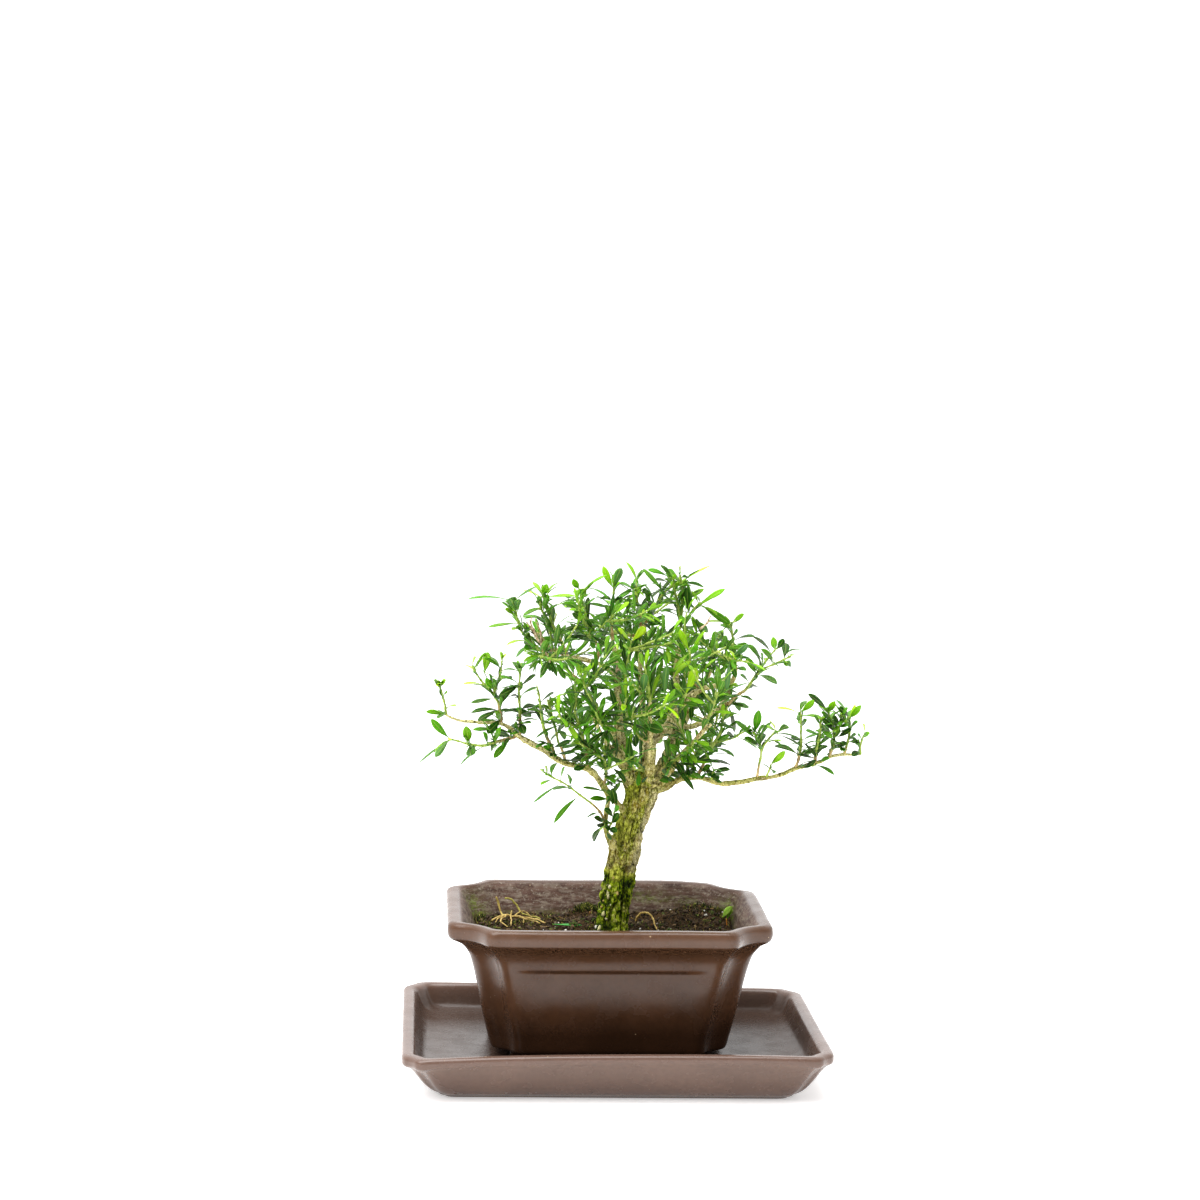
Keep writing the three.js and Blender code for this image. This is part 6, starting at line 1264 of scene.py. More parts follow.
GROUPS = {
    "l1": ("shoot_01",
           [[[-82.3, -4, 172.4], [-82.9, -4.3, 176.6], [-83.9, -4.6, 180.9], [-85.4, -5, 185.8]]],
           [
            ([-85.4, -5, 185.8], [-88.4, -14, 190.3], [0.96, -0.29, 0.06], 2.9, 0.02, "y", [-85.4, -5, 185.8]),
            ([-85.4, -5, 185.8], [-82.7, -14, 190.4], [-0.96, -0.28, 0.02], 2.9, 0.03, "y", [-85.4, -5, 185.8]),
            ([-83.9, -4.6, 180.9], [-82.1, -13.6, 184.1], [-0.85, 0.02, 0.53], 3.2, 0.06, "y", [-83.9, -4.6, 180.9]),
            ([-82.9, -4.2, 175.6], [-77.7, -13.2, 177.8], [-0.45, -0.03, 0.89], 3, 0.08, "p", [-82.7, -4.2, 175.5]),
            ([-82.8, -4, 173.1], [-88.5, 5, 171.8], [-0.47, -0.17, 0.87], 3.3, 0.06, "g", [-82.4, -4, 172.9]),
            ([-82.3, -4, 172.2], [-86.2, -13, 171.7], [-0.06, -0.03, 1], 3.5, 0.06, "g", [-82.3, -4, 172.4]),
            ([-83.3, -4, 172.2], [-92, -11.8, 174.6], [0.66, -0.58, 0.48], 2.9, 0.08, "y", [-82.3, -4, 172.4]),
            ([-85.4, -5.8, 185.4], [-86.7, -11.1, 187], [0.16, 0.25, 0.96], 1.5, 0.08, "g", [-85.2, -5, 185.2]),
            ([-85.4, -5.8, 185.4], [-87, -15.5, 187.7], [0.2, 0.19, 0.96], 2.2, 0.09, "b", [-85.2, -5, 185.2]),
            ([-83.6, -5.3, 179.4], [-84.7, -11.9, 181.6], [0.92, -0.02, 0.38], 1.3, 0.06, "g", [-83.5, -4.5, 179.2]),
            ([-85.1, -5.7, 185.6], [-83.7, -12.8, 190.1], [-0.5, 0.39, 0.77], 1.7, 0.08, "y", [-85.2, -5, 185.2]),
            ([-85.2, -5.7, 185], [-86.4, -15.2, 188.6], [0.09, 0.35, 0.93], 2.6, 0.12, "b", [-85.1, -4.9, 184.7]),
            ([-82.7, -5, 173.5], [-84, -11.4, 173.4], [0.22, -0.06, 0.97], 2, 0.09, "g", [-82.5, -4.1, 173.5]),
            ([-85.1, -5.7, 185.2], [-85.6, -11.7, 189], [0.1, 0.53, 0.84], 1.8, 0.12, "y", [-85.1, -4.9, 184.7]),
            ([-85.1, -4, 184], [-87.4, 1.9, 186.2], [-0.04, -0.36, 0.93], 1.2, 0.12, "g", [-84.8, -4.8, 183.7]),
            ([-85.2, -5.7, 185.1], [-86.7, -14.7, 190.3], [0, 0.5, 0.87], 1.7, 0.08, "p", [-85.1, -4.9, 184.7]),
            ([-83.8, -5.2, 180.7], [-84.8, -12.2, 187.7], [-0.96, 0.26, 0.13], 2.6, 0.09, "d", [-83.7, -4.6, 180]),
           ]),
    "l2": ("shoot_02",
           [[[-48.5, -8.2, 164.1], [-49.7, -8.2, 162.5], [-54, -9.3, 161.4], [-58.8, -10.5, 160.3], [-62.6, -11.5, 159], [-66.9, -12.6, 158.9], [-71.7, -13.8, 159.7], [-76.5, -15, 161.3], [-80.4, -16, 162.3]]],
           [
            ([-80.4, -16, 162.3], [-89.5, -16.1, 171.9], [0.03, -1, 0.02], 3.7, 0.04, "g", [-80.4, -16, 162.3]),
            ([-80.8, -16, 161.9], [-87.4, -25, 155], [-0.36, 0.72, -0.59], 3.3, 0.03, "u", [-80.4, -16, 162.3]),
            ([-80.8, -16, 161.4], [-94.9, -14.8, 150.4], [-0.61, -0.19, 0.77], 3.3, 0.04, "g", [-80.4, -16, 162.3]),
            ([-71.7, -13.8, 160.2], [-72.9, -20.9, 169.4], [0.02, -0.79, -0.61], 4.5, 0.06, "y", [-71.7, -13.8, 159.7]),
            ([-71.2, -13.6, 159.2], [-70.4, -22.6, 155.3], [0.26, 0.41, -0.88], 4.5, 0.02, "u", [-71.1, -13.6, 159.6]),
            ([-62.6, -11.5, 159], [-64.8, -20.5, 166.5], [0.91, -0.37, -0.18], 3.1, 0.08, "g", [-62.6, -11.5, 159]),
            ([-63.1, -11.7, 158.5], [-75.3, -10.6, 149], [-0.61, -0.24, 0.76], 3.1, 0.07, "g", [-63.1, -11.7, 158.9]),
            ([-59.3, -10.7, 160.3], [-56.3, -19.7, 168.9], [-0.85, -0.49, -0.22], 3.2, 0.03, "g", [-59.3, -10.7, 160.2]),
            ([-58.8, -10.7, 159.4], [-60.8, -19.7, 157.8], [-0.92, 0.26, -0.3], 3.2, 0.03, "u", [-59.3, -10.7, 160.2]),
            ([-52.1, -8.8, 160.6], [-59.3, -16.2, 153.5], [0.15, -0.76, 0.64], 3.4, 0.07, "g", [-52.2, -8.8, 161.8]),
            ([-50.1, -8.3, 162], [-57.6, 0.7, 163.1], [-0.54, -0.52, 0.66], 3.7, 0.04, "d", [-50.1, -8.3, 162.4]),
            ([-54.6, -10.3, 161.1], [-55.4, -17.7, 159.4], [-0.03, -0.22, 0.98], 1.4, 0.05, "g", [-54.5, -9.4, 161.3]),
            ([-49.5, -7.5, 163], [-54.2, 0.8, 159.4], [-0.13, 0.33, 0.93], 3, 0.04, "g", [-49.1, -8.2, 163.4]),
            ([-66.7, -11.8, 158.8], [-71.6, -7, 157.8], [-0.5, -0.36, 0.79], 1.4, 0.05, "g", [-66, -12.4, 158.9]),
            ([-57.2, -9.4, 160.3], [-60.7, -5.1, 156.4], [-0.66, 0.13, 0.74], 1.5, 0.07, "d", [-56.7, -10, 160.8]),
            ([-70.3, -14, 159.9], [-74.6, -19.8, 164.3], [0.26, 0.46, 0.85], 2, 0.1, "g", [-69.9, -13.3, 159.4]),
            ([-59.5, -11.1, 160.9], [-64.2, -17.8, 169.8], [0.72, 0.31, 0.62], 2, 0.06, "g", [-59.1, -10.6, 160.2]),
            ([-51.4, -9.3, 162.6], [-53.2, -14.8, 166.2], [0.8, 0.13, 0.59], 1.5, 0.1, "g", [-51.2, -8.6, 162.1]),
            ([-57.1, -9.2, 160.5], [-60.6, -3.5, 158.5], [-0.69, -0.16, 0.71], 1.5, 0.04, "g", [-56.7, -10, 160.8]),
            ([-59.3, -11.4, 160.5], [-61.2, -18.3, 162.8], [0.69, 0.05, 0.72], 2.2, 0.08, "u", [-59.1, -10.6, 160.2]),
            ([-61.8, -12.2, 159.4], [-62.8, -18.7, 159.5], [-0.34, 0.08, 0.94], 1.3, 0.04, "g", [-61.6, -11.3, 159.3]),
            ([-55, -8.8, 160.9], [-59.4, -3.2, 157.3], [-0.2, 0.42, 0.89], 2.4, 0.08, "d", [-54.5, -9.4, 161.3]),
            ([-51.8, -8.2, 161.6], [-59.1, -2.9, 155.6], [-0.65, -0.05, 0.76], 2.4, 0.08, "g", [-51.2, -8.6, 162.1]),
            ([-77.3, -15.7, 161.3], [-84.3, -23.2, 161.2], [-0.24, 0.2, 0.95], 2.5, 0.09, "g", [-76.7, -15.1, 161.3]),
            ([-59.1, -11.5, 160.2], [-59.5, -23, 159.7], [0.73, 0, -0.68], 2.4, 0.05, "g", [-59.1, -10.6, 160.2]),
            ([-51.7, -9.2, 161.8], [-56.3, -14.6, 158.5], [0.55, -0.72, 0.42], 1.6, 0.07, "d", [-51.2, -8.6, 162.1]),
            ([-49.9, -8, 163.5], [-60.8, -5.4, 165.8], [0.03, -0.58, 0.82], 2, 0.07, "d", [-49.1, -8.2, 163.4]),
            ([-66.5, -11.6, 158.8], [-71.5, -3.5, 158], [0.18, 0.21, 0.96], 2.2, 0.05, "d", [-66, -12.4, 158.9]),
            ([-59, -10.8, 161.1], [-65, -16.3, 171.1], [0.61, 0.48, 0.63], 2.1, 0.07, "g", [-58.6, -10.5, 160.4]),
            ([-49.2, -9.1, 163.4], [-50.9, -15, 163], [-0.21, -0.01, 0.98], 1.1, 0.11, "u", [-49, -8.2, 163.5]),
            ([-73.6, -13.4, 160.1], [-77, -8.2, 159.8], [0.44, 0.34, 0.83], 1.8, 0.06, "g", [-73.1, -14.1, 160.1]),
            ([-50.8, -9.2, 162.7], [-52.7, -16.4, 167.4], [0.71, 0.25, 0.66], 2.1, 0.08, "d", [-50.7, -8.5, 162.3]),
            ([-68.4, -13.8, 159], [-69.6, -19.2, 158.6], [-0.96, 0.19, 0.19], 1.7, 0.07, "g", [-68.3, -12.9, 159.1]),
            ([-80.2, -15.9, 161.6], [-88, -17.5, 155.8], [-0.57, -0.16, 0.81], 2.6, 0.1, "y", [-79.5, -15.8, 162.1]),
            ([-68.4, -13.8, 158.8], [-69.6, -22.9, 156.3], [0.66, -0.28, 0.7], 2.6, 0.04, "g", [-68.3, -12.9, 159.1]),
            ([-73, -15, 160.2], [-71.6, -24.5, 161.3], [0.57, 0.17, 0.8], 1.8, 0.12, "g", [-73.1, -14.1, 160.1]),
            ([-65, -11.3, 158.7], [-71.1, -3.7, 156.5], [-0.6, -0.26, 0.76], 1.9, 0.1, "d", [-64.4, -12, 158.9]),
            ([-59.7, -11.6, 160.2], [-60.8, -17.3, 161], [0.54, 0.02, 0.84], 1.2, 0.12, "u", [-59.6, -10.7, 160.1]),
            ([-50.8, -9.2, 162.7], [-52.6, -16.8, 167.1], [-0.17, 0.52, 0.84], 1.9, 0.13, "g", [-50.7, -8.5, 162.3]),
            ([-53.8, -8.5, 161.7], [-63.4, 0.2, 162.2], [-0.09, -0.16, 0.98], 2.1, 0.13, "u", [-53.2, -9.1, 161.6]),
            ([-72.8, -13.5, 159.9], [-78.1, -11.3, 160.9], [-0.1, -0.61, 0.79], 1.1, 0.05, "g", [-71.9, -13.8, 159.8]),
            ([-79.7, -16.7, 162.2], [-81, -23.5, 162.8], [0.43, -0.01, 0.9], 2.2, 0.08, "b", [-79.5, -15.8, 162.1]),
            ([-51, -9.3, 162.1], [-54.1, -15.8, 160.7], [0.25, -0.32, 0.92], 2.1, 0.09, "d", [-50.7, -8.5, 162.3]),
            ([-70, -14.2, 159.4], [-72.2, -21.8, 159.4], [-0.56, 0.17, 0.81], 2.5, 0.05, "g", [-69.7, -13.3, 159.3]),
            ([-58.9, -9.7, 160.1], [-62.6, -0.8, 157.2], [0.36, 0.42, 0.83], 2.3, 0.05, "g", [-58.6, -10.5, 160.4]),
            ([-65.3, -11.8, 158.7], [-71, -10.3, 157.4], [-0.33, -0.7, 0.64], 1.6, 0.1, "u", [-64.4, -12, 158.9]),
           ]),
    "l3": ("shoot_03",
           [[[-56, -7, 168.9], [-56.5, -6.1, 174.2], [-57.5, -5.4, 178.5], [-59, -4.9, 181.3], [-61.9, -4.1, 185], [-64.4, -3.6, 187.3], [-67.3, -2.8, 191.1], [-70.2, -2, 195.3]],
            [[-57.9, -5.3, 179.5], [-59.1, -6.3, 183.9], [-58.2, -7.3, 187.9], [-56.9, -8.3, 191.9], [-56.5, -9.2, 195.9], [-56.1, -10, 199.3]]],
           [
            ([-64.3, -3.7, 186.9], [-74.4, -4.3, 187.3], [0.06, -0.26, 0.96], 2.8, 0.08, "p", [-64, -3.7, 187]),
            ([-70.2, -2, 195.3], [-68.5, -11, 201.2], [-0.99, -0.15, 0.05], 2.9, 0.05, "p", [-70.2, -2, 195.3]),
            ([-69.2, -2.3, 193.9], [-73.5, 6.7, 195.1], [0.16, -0.06, 0.98], 2.8, 0.05, "p", [-69.1, -2.3, 193.7]),
            ([-58, -5.1, 180.8], [-70.5, -4.3, 178.2], [-0.11, 0.69, 0.72], 3.4, 0.02, "u", [-58.5, -5.1, 180.6]),
            ([-57, -6.1, 174.7], [-70.5, -12, 174.4], [0.19, -0.48, 0.85], 3.3, 0.09, "d", [-56.6, -6.1, 174.8]),
            ([-57.5, -6.1, 174.7], [-67.2, -15.1, 171], [0.05, -0.42, 0.91], 3.6, 0.08, "d", [-56.6, -6.1, 174.8]),
            ([-56.5, -6.1, 174.7], [-41.7, -7.1, 173.1], [0.04, -0.6, 0.8], 3.7, 0.07, "d", [-56.6, -6.1, 174.8]),
            ([-57, -5.8, 176.6], [-51.2, 3.2, 184.7], [0.13, -0.71, 0.7], 3.4, 0.09, "d", [-57, -5.8, 176.5]),
            ([-56, -6.7, 170.9], [-62.8, -15.7, 165.4], [0.45, -0.69, 0.57], 4.1, 0.03, "d", [-56.2, -6.7, 170.9]),
            ([-56, -6.9, 169.5], [-59.2, -15.7, 176], [0.83, -0.49, -0.26], 3.2, 0.05, "y", [-56, -6.9, 169.6]),
            ([-55.5, -7, 168.1], [-59.4, -16, 161.1], [-0.34, -0.47, 0.81], 3.1, 0.03, "g", [-56, -7, 168.9]),
            ([-59.3, -7, 166.1], [-69.5, -14.9, 166.6], [0.37, -0.41, 0.83], 3.3, 0.04, "g", [-56, -7, 168.9]),
            ([-59.6, -6.4, 184.4], [-63.7, -15.4, 191.8], [0.36, -0.68, -0.64], 3.3, 0.07, "g", [-59.1, -6.4, 184.4]),
            ([-60.6, -6.7, 185.9], [-62.3, -15.7, 193.7], [0.95, -0.29, -0.12], 3.2, 0.03, "g", [-58.9, -6.7, 185.4]),
            ([-64.3, -7.9, 193.2], [-62.7, -3.1, 202.7], [0, -0.89, 0.45], 4.1, 0.03, "y", [-57.3, -7.9, 190.4]),
            ([-56.9, -9.1, 195.4], [-62.6, -0.1, 200.4], [0.31, -0.31, 0.9], 3.1, 0.09, "g", [-56.5, -9.1, 195.4]),
            ([-56.4, -8.8, 194.4], [-48, 0.2, 193.3], [0.24, -0.11, 0.97], 3.4, 0.07, "g", [-56.6, -8.8, 194.4]),
            ([-56.1, -10, 199.3], [-57.3, -19, 204.7], [0.87, -0.34, -0.37], 2.8, 0.08, "p", [-56.1, -10, 199.3]),
            ([-57.8, -7.8, 189.9], [-50.8, 1.2, 189.8], [-0.39, 0.31, 0.87], 3.5, 0.04, "u", [-57.5, -7.8, 189.9]),
            ([-56.1, -10, 199.3], [-54.5, -19, 203.3], [-0.94, -0.01, 0.35], 3, 0.05, "p", [-56.1, -10, 199.3]),
            ([-62.3, -3.5, 184.9], [-67.4, 2.5, 186.1], [0.14, -0.07, 0.99], 1.9, 0.08, "g", [-61.8, -4.2, 184.8]),
            ([-56, -6, 170], [-54.7, 4.1, 173.7], [-0.6, -0.2, 0.77], 2, 0.07, "d", [-56.1, -6.9, 169.7]),
            ([-56.6, -6.8, 175.1], [-56.7, -16.2, 183.7], [0.26, 0.65, 0.72], 2, 0.07, "g", [-56.6, -6.1, 174.5]),
            ([-57.5, -5.5, 181.2], [-47.9, -4.8, 187.4], [-0.4, 0.75, 0.52], 1.8, 0.09, "g", [-58.3, -5.5, 180.7]),
            ([-57, -7.3, 191.5], [-55, 0.8, 196.9], [-0.94, 0.01, 0.33], 2, 0.1, "g", [-57.2, -8, 191]),
            ([-69.1, -2.8, 194.8], [-65.2, -9, 201.1], [-0.67, 0.28, 0.69], 1.8, 0.04, "y", [-69.5, -2.2, 194.2]),
            ([-58.9, -5.2, 182.9], [-61.2, 7.3, 188.6], [0.91, -0.01, 0.4], 1.9, 0.1, "d", [-58.7, -6, 182.5]),
            ([-58.9, -7.4, 185.4], [-59.7, -18.8, 190.1], [-0.26, 0.38, 0.89], 2.8, 0.04, "g", [-58.8, -6.6, 185.1]),
            ([-58.7, -5.6, 180.6], [-62.1, -9.8, 186.3], [-0.76, 0.65, 0.02], 1.8, 0.03, "d", [-58.3, -5.2, 179.9]),
            ([-68.1, -1.9, 192.3], [-69.8, 3.9, 195.3], [0.92, 0.07, 0.39], 1.8, 0.06, "y", [-67.8, -2.7, 191.8]),
            ([-62.2, -3.4, 184.9], [-66.3, 3.9, 185.9], [0.27, 0.02, 0.96], 2.1, 0.09, "g", [-61.8, -4.2, 184.8]),
            ([-56, -6, 169.8], [-55.5, 2.7, 171.5], [0.92, -0.12, 0.38], 2.1, 0.08, "g", [-56.1, -6.9, 169.7]),
            ([-58.2, -8, 187.8], [-57.3, -17.8, 191.8], [-0.98, 0, 0.22], 3, 0.05, "d", [-58.3, -7.2, 187.4]),
            ([-59.8, -4.2, 183.1], [-59.6, -0.1, 189.8], [0.07, -0.85, 0.53], 2.3, 0.04, "g", [-59.9, -4.7, 182.4]),
            ([-68.9, -1.8, 194.7], [-63.4, 2.7, 199.7], [-0.59, -0.17, 0.79], 2.5, 0.07, "b", [-69.5, -2.2, 194.2]),
            ([-58.5, -7.3, 185.6], [-54.8, -16, 192.4], [-0.71, 0.22, 0.67], 2.4, 0.06, "d", [-58.8, -6.6, 185.1]),
            ([-68, -3.5, 192.1], [-69.8, -10.5, 193.9], [0.87, -0.09, 0.48], 1.8, 0.05, "g", [-67.8, -2.7, 191.8]),
            ([-56.7, -7.3, 170.2], [-62.6, -11.2, 174.7], [0.62, -0.04, 0.78], 1.7, 0.06, "d", [-56.1, -6.9, 169.7]),
            ([-58.9, -5.7, 181.3], [-66, -7.2, 187.2], [0.65, -0.32, 0.69], 2.2, 0.04, "u", [-58.3, -5.5, 180.7]),
            ([-56.9, -5, 177.6], [-53, 5.3, 185], [-0.18, -0.53, 0.83], 2.7, 0.09, "d", [-57.2, -5.7, 177.1]),
            ([-58.7, -6.9, 182.4], [-58.2, -18.5, 181.7], [0.07, -0.06, 1], 2.9, 0.07, "u", [-58.7, -6, 182.5]),
            ([-59.6, -7.1, 185.3], [-69.9, -13.8, 188.4], [0.12, 0.25, 0.96], 2.4, 0.04, "d", [-58.8, -6.6, 185.1]),
            ([-68, -1.9, 192.2], [-69.8, 4.2, 195.2], [-0.5, -0.49, 0.71], 1.6, 0.08, "g", [-67.8, -2.7, 191.8]),
            ([-61.4, -3.4, 185.1], [-57.6, 6, 188.3], [0.2, -0.39, 0.9], 2, 0.05, "g", [-61.8, -4.2, 184.8]),
            ([-63.3, -3, 186.1], [-65.3, 5.5, 185.8], [0.75, 0.2, 0.63], 2.6, 0.09, "d", [-63.1, -3.9, 186.1]),
            ([-56.8, -9.4, 193], [-56.7, -17.8, 194.2], [0.11, 0.14, 0.98], 1.6, 0.09, "g", [-56.8, -8.5, 192.8]),
            ([-68.9, -2, 194.9], [-65.4, -0.2, 199.7], [-0.31, -0.79, 0.52], 1.3, 0.07, "g", [-69.5, -2.2, 194.2]),
            ([-59.2, -6, 185.6], [-65.2, 2.6, 194.2], [-0.85, -0.08, -0.51], 2.8, 0.03, "g", [-58.8, -6.6, 185.1]),
            ([-56.9, -5.5, 173.5], [-60.4, 0, 173.7], [-0.28, -0.21, 0.94], 1.8, 0.07, "d", [-56.5, -6.3, 173.5]),
            ([-58.3, -6.4, 180.7], [-59.4, -18.8, 184.3], [-0.21, 0.29, 0.93], 1.8, 0.05, "g", [-58.2, -5.5, 180.4]),
            ([-66.2, -3.8, 189.7], [-69.4, -7.8, 193.4], [0.85, -0.28, 0.44], 1.1, 0.08, "g", [-65.8, -3.2, 189.1]),
            ([-62.1, -4.7, 184.5], [-68.3, -7.5, 187.2], [0.32, 0.17, 0.93], 1.8, 0.13, "y", [-61.3, -4.3, 184.2]),
            ([-68.3, -2.7, 193.8], [-63.6, -5.8, 202.9], [-0.51, 0.7, 0.5], 2.2, 0.11, "b", [-68.7, -2.4, 193.1]),
            ([-57.9, -8.2, 188.7], [-55.6, -19.2, 192.5], [-0.95, -0.09, 0.31], 1.7, 0.05, "y", [-58, -7.4, 188.4]),
            ([-62.5, -3.4, 185.5], [-66.4, 3.2, 188.2], [0.7, 0.11, 0.71], 1.4, 0.07, "g", [-62.1, -4.1, 185.2]),
            ([-57.9, -6.8, 185.3], [-45.7, -8.6, 186.2], [-0.04, 0.24, 0.97], 2.5, 0.09, "g", [-58.8, -6.6, 185.2]),
            ([-57.3, -8.5, 190.9], [-55.7, -16.2, 198.6], [-0.85, 0.27, 0.45], 2.3, 0.08, "d", [-57.4, -7.9, 190.2]),
            ([-57, -9, 191.5], [-56.5, -15.2, 191.7], [0.28, 0.06, 0.96], 1.1, 0.06, "g", [-57, -8.1, 191.4]),
            ([-57.1, -9.5, 195.5], [-64.6, -15.5, 201.5], [0.72, -0.66, 0.22], 2, 0.08, "g", [-56.6, -9, 195]),
            ([-56.9, -6.4, 169.9], [-67.3, -1.4, 169.8], [-0.34, -0.68, 0.65], 1.7, 0.05, "g", [-56.1, -6.8, 169.9]),
            ([-58.1, -5.3, 181.3], [-56.3, -3, 192.8], [-0.99, 0.08, 0.13], 2.1, 0.05, "g", [-58.2, -5.5, 180.4]),
            ([-56.8, -7.4, 170], [-61.2, -11, 171], [-0.14, 0.4, 0.9], 1.2, 0.13, "d", [-56.1, -6.8, 169.9]),
            ([-55.8, -5.8, 171.4], [-51.8, 2.5, 173.6], [-0.7, 0.15, 0.7], 2.4, 0.1, "u", [-56.2, -6.6, 171.2]),
            ([-57.8, -7.1, 189.2], [-56.6, -4.9, 194.6], [0.46, -0.85, 0.24], 1.5, 0.08, "g", [-58, -7.4, 188.4]),
            ([-58.9, -7, 183], [-58.6, -16, 182.5], [-0.87, -0.06, 0.5], 2.3, 0.08, "d", [-58.9, -6.1, 183.1]),
           ]),
    "l5": ("shoot_04",
           [[[-47.1, -8.6, 163.1], [-46.9, -9.2, 169], [-47.1, -9.9, 175.8], [-47.7, -10.6, 183.2], [-47.6, -11.2, 189], [-47.4, -11.6, 192.9], [-47, -12, 196.3]]],
           [
            ([-47.3, -11.1, 187.6], [-57.5, -20.1, 183.8], [0.35, -0.67, 0.66], 3.5, 0.07, "d", [-47.6, -11.1, 187.7]),
            ([-47.3, -11.2, 188.5], [-57.2, -20.2, 193.2], [0.58, -0.23, 0.78], 3.1, 0.08, "g", [-47.6, -11.2, 188.4]),
            ([-47, -11.7, 193.9], [-50.2, -20.7, 200.3], [0.16, 0.53, 0.83], 3.3, 0.06, "u", [-47.3, -11.7, 193.8]),
            ([-47, -11.9, 194.9], [-45, -20.9, 199.4], [-0.96, -0.08, 0.28], 3.3, 0.1, "g", [-47.2, -11.9, 195.1]),
            ([-46.8, -11.1, 187.6], [-40.1, -20.1, 194.1], [-0.85, -0.35, 0.4], 3.3, 0.02, "d", [-47.6, -11.1, 187.7]),
            ([-47.2, -10.5, 182.2], [-52.2, -1.5, 180.9], [-0.38, -0.08, 0.92], 3.4, 0.07, "d", [-47.7, -10.5, 182.3]),
            ([-46.7, -10.5, 182.7], [-39.5, -19.5, 187.8], [-0.68, -0.14, 0.72], 3.5, 0.07, "g", [-47.7, -10.5, 182.3]),
            ([-47.1, -9.8, 175.3], [-56.4, -18.8, 176.5], [0.35, -0.25, 0.9], 3.4, 0.03, "d", [-47, -9.8, 174.9]),
            ([-47.1, -9.9, 175.8], [-39.6, -0.9, 177.1], [0.25, -0.34, 0.91], 3.7, 0.06, "d", [-47.1, -9.9, 175.8]),
            ([-47.5, -9.7, 174.4], [-42.1, -18.7, 173.8], [-0.37, -0.28, 0.89], 3.7, 0.03, "d", [-47, -9.7, 174.1]),
            ([-47, -9.2, 169.9], [-50.9, -0.2, 164.7], [-0.92, -0.4, 0], 3.6, 0.08, "d", [-46.9, -9.2, 169.8]),
            ([-47, -9.2, 169.9], [-44.8, -18.2, 165.5], [-0.39, -0.48, 0.78], 4.1, 0.09, "d", [-46.9, -9.2, 169.8]),
            ([-46.5, -9.3, 170.9], [-38.7, -18.3, 172.3], [0.17, 0.29, 0.94], 3.4, 0.06, "u", [-46.9, -9.3, 170.6]),
            ([-46.5, -9.2, 169], [-42, -18.2, 170.8], [-0.5, -0.07, 0.86], 3.2, 0.07, "g", [-46.9, -9.2, 169]),
            ([-46.9, -9.9, 168.1], [-45.8, -19.6, 171.1], [0.32, 0.31, 0.9], 2.9, 0.08, "g", [-47, -9.1, 167.9]),
            ([-48.2, -11.6, 186.8], [-52.6, -16.5, 188.7], [0.5, -0.12, 0.86], 1.5, 0.05, "g", [-47.6, -11, 186.5]),
            ([-47, -11.1, 196], [-46.5, -4.8, 198], [-0.25, -0.28, 0.93], 1.9, 0.07, "y", [-47.1, -11.9, 195.7]),
            ([-47.5, -10, 184.2], [-46.3, -4.4, 189], [-0.69, -0.38, 0.62], 1.6, 0.08, "g", [-47.7, -10.7, 183.7]),
            ([-47.2, -10.4, 172.2], [-48.6, -18.3, 172.7], [0.21, 0.03, 0.98], 1.9, 0.08, "g", [-47, -9.5, 172.1]),
            ([-47.3, -9.3, 165.1], [-49.4, -15.2, 171.1], [-0.57, 0.68, 0.45], 2.2, 0.05, "g", [-47, -8.7, 164.5]),
            ([-46.9, -8.5, 170.3], [-46.3, -2.5, 173.6], [-0.59, -0.36, 0.73], 1.5, 0.05, "d", [-47, -9.3, 169.9]),
            ([-47.9, -11.4, 193.5], [-51.3, -10, 199.2], [0.71, 0.66, 0.25], 2, 0.09, "g", [-47.4, -11.6, 192.8]),
            ([-47.5, -10, 184.2], [-46.2, -3.5, 188.7], [0.76, -0.47, 0.44], 2.4, 0.05, "y", [-47.7, -10.7, 183.7]),
            ([-47.1, -8.3, 165.2], [-47.8, -4.4, 172.3], [0.97, -0.15, 0.17], 2.2, 0.03, "d", [-47, -8.7, 164.5]),
            ([-47.1, -10.1, 170.1], [-48.5, -18.3, 173], [-0.87, 0.29, 0.4], 1.8, 0.09, "d", [-47, -9.3, 169.9]),
            ([-46.7, -11.2, 196.1], [-44, -5.4, 199.3], [-0.66, -0.09, 0.74], 1.9, 0.06, "y", [-47.1, -11.9, 195.7]),
            ([-46.3, -9.5, 172.7], [-37, -10.2, 179.2], [-0.58, -0.21, 0.79], 2, 0.05, "g", [-47, -9.5, 172.1]),
            ([-47.7, -11.3, 181.3], [-49.7, -23.8, 183.6], [0.17, 0.15, 0.97], 1.9, 0.04, "d", [-47.5, -10.4, 181.1]),
            ([-47.5, -11, 193.4], [-48.5, -5.9, 199.3], [0.03, -0.75, 0.66], 1.8, 0.07, "y", [-47.4, -11.6, 192.8]),
            ([-47.2, -10.7, 176], [-48.5, -19, 177.6], [0.53, 0.08, 0.85], 2.3, 0.05, "g", [-47.1, -9.9, 175.9]),
            ([-47.4, -12.5, 193.1], [-47.7, -22.9, 197.4], [0.02, 0.38, 0.92], 2.5, 0.06, "y", [-47.4, -11.6, 192.8]),
            ([-47.5, -9.5, 164.4], [-51.3, -16.2, 164.9], [0.43, -0.18, 0.89], 2, 0.1, "g", [-47, -8.7, 164.3]),
            ([-47.3, -9.7, 165.4], [-49.9, -16.3, 165.7], [0.34, -0.08, 0.94], 1.3, 0.05, "g", [-47, -8.8, 165.3]),
            ([-47.5, -9.4, 180.2], [-48.2, -2, 182.7], [0.72, -0.16, 0.68], 2.2, 0.12, "g", [-47.4, -10.3, 180]),
            ([-47.2, -10.8, 176.4], [-47.5, -16.7, 176.9], [-0.33, 0.09, 0.94], 1.3, 0.07, "u", [-47.1, -9.9, 176.4]),
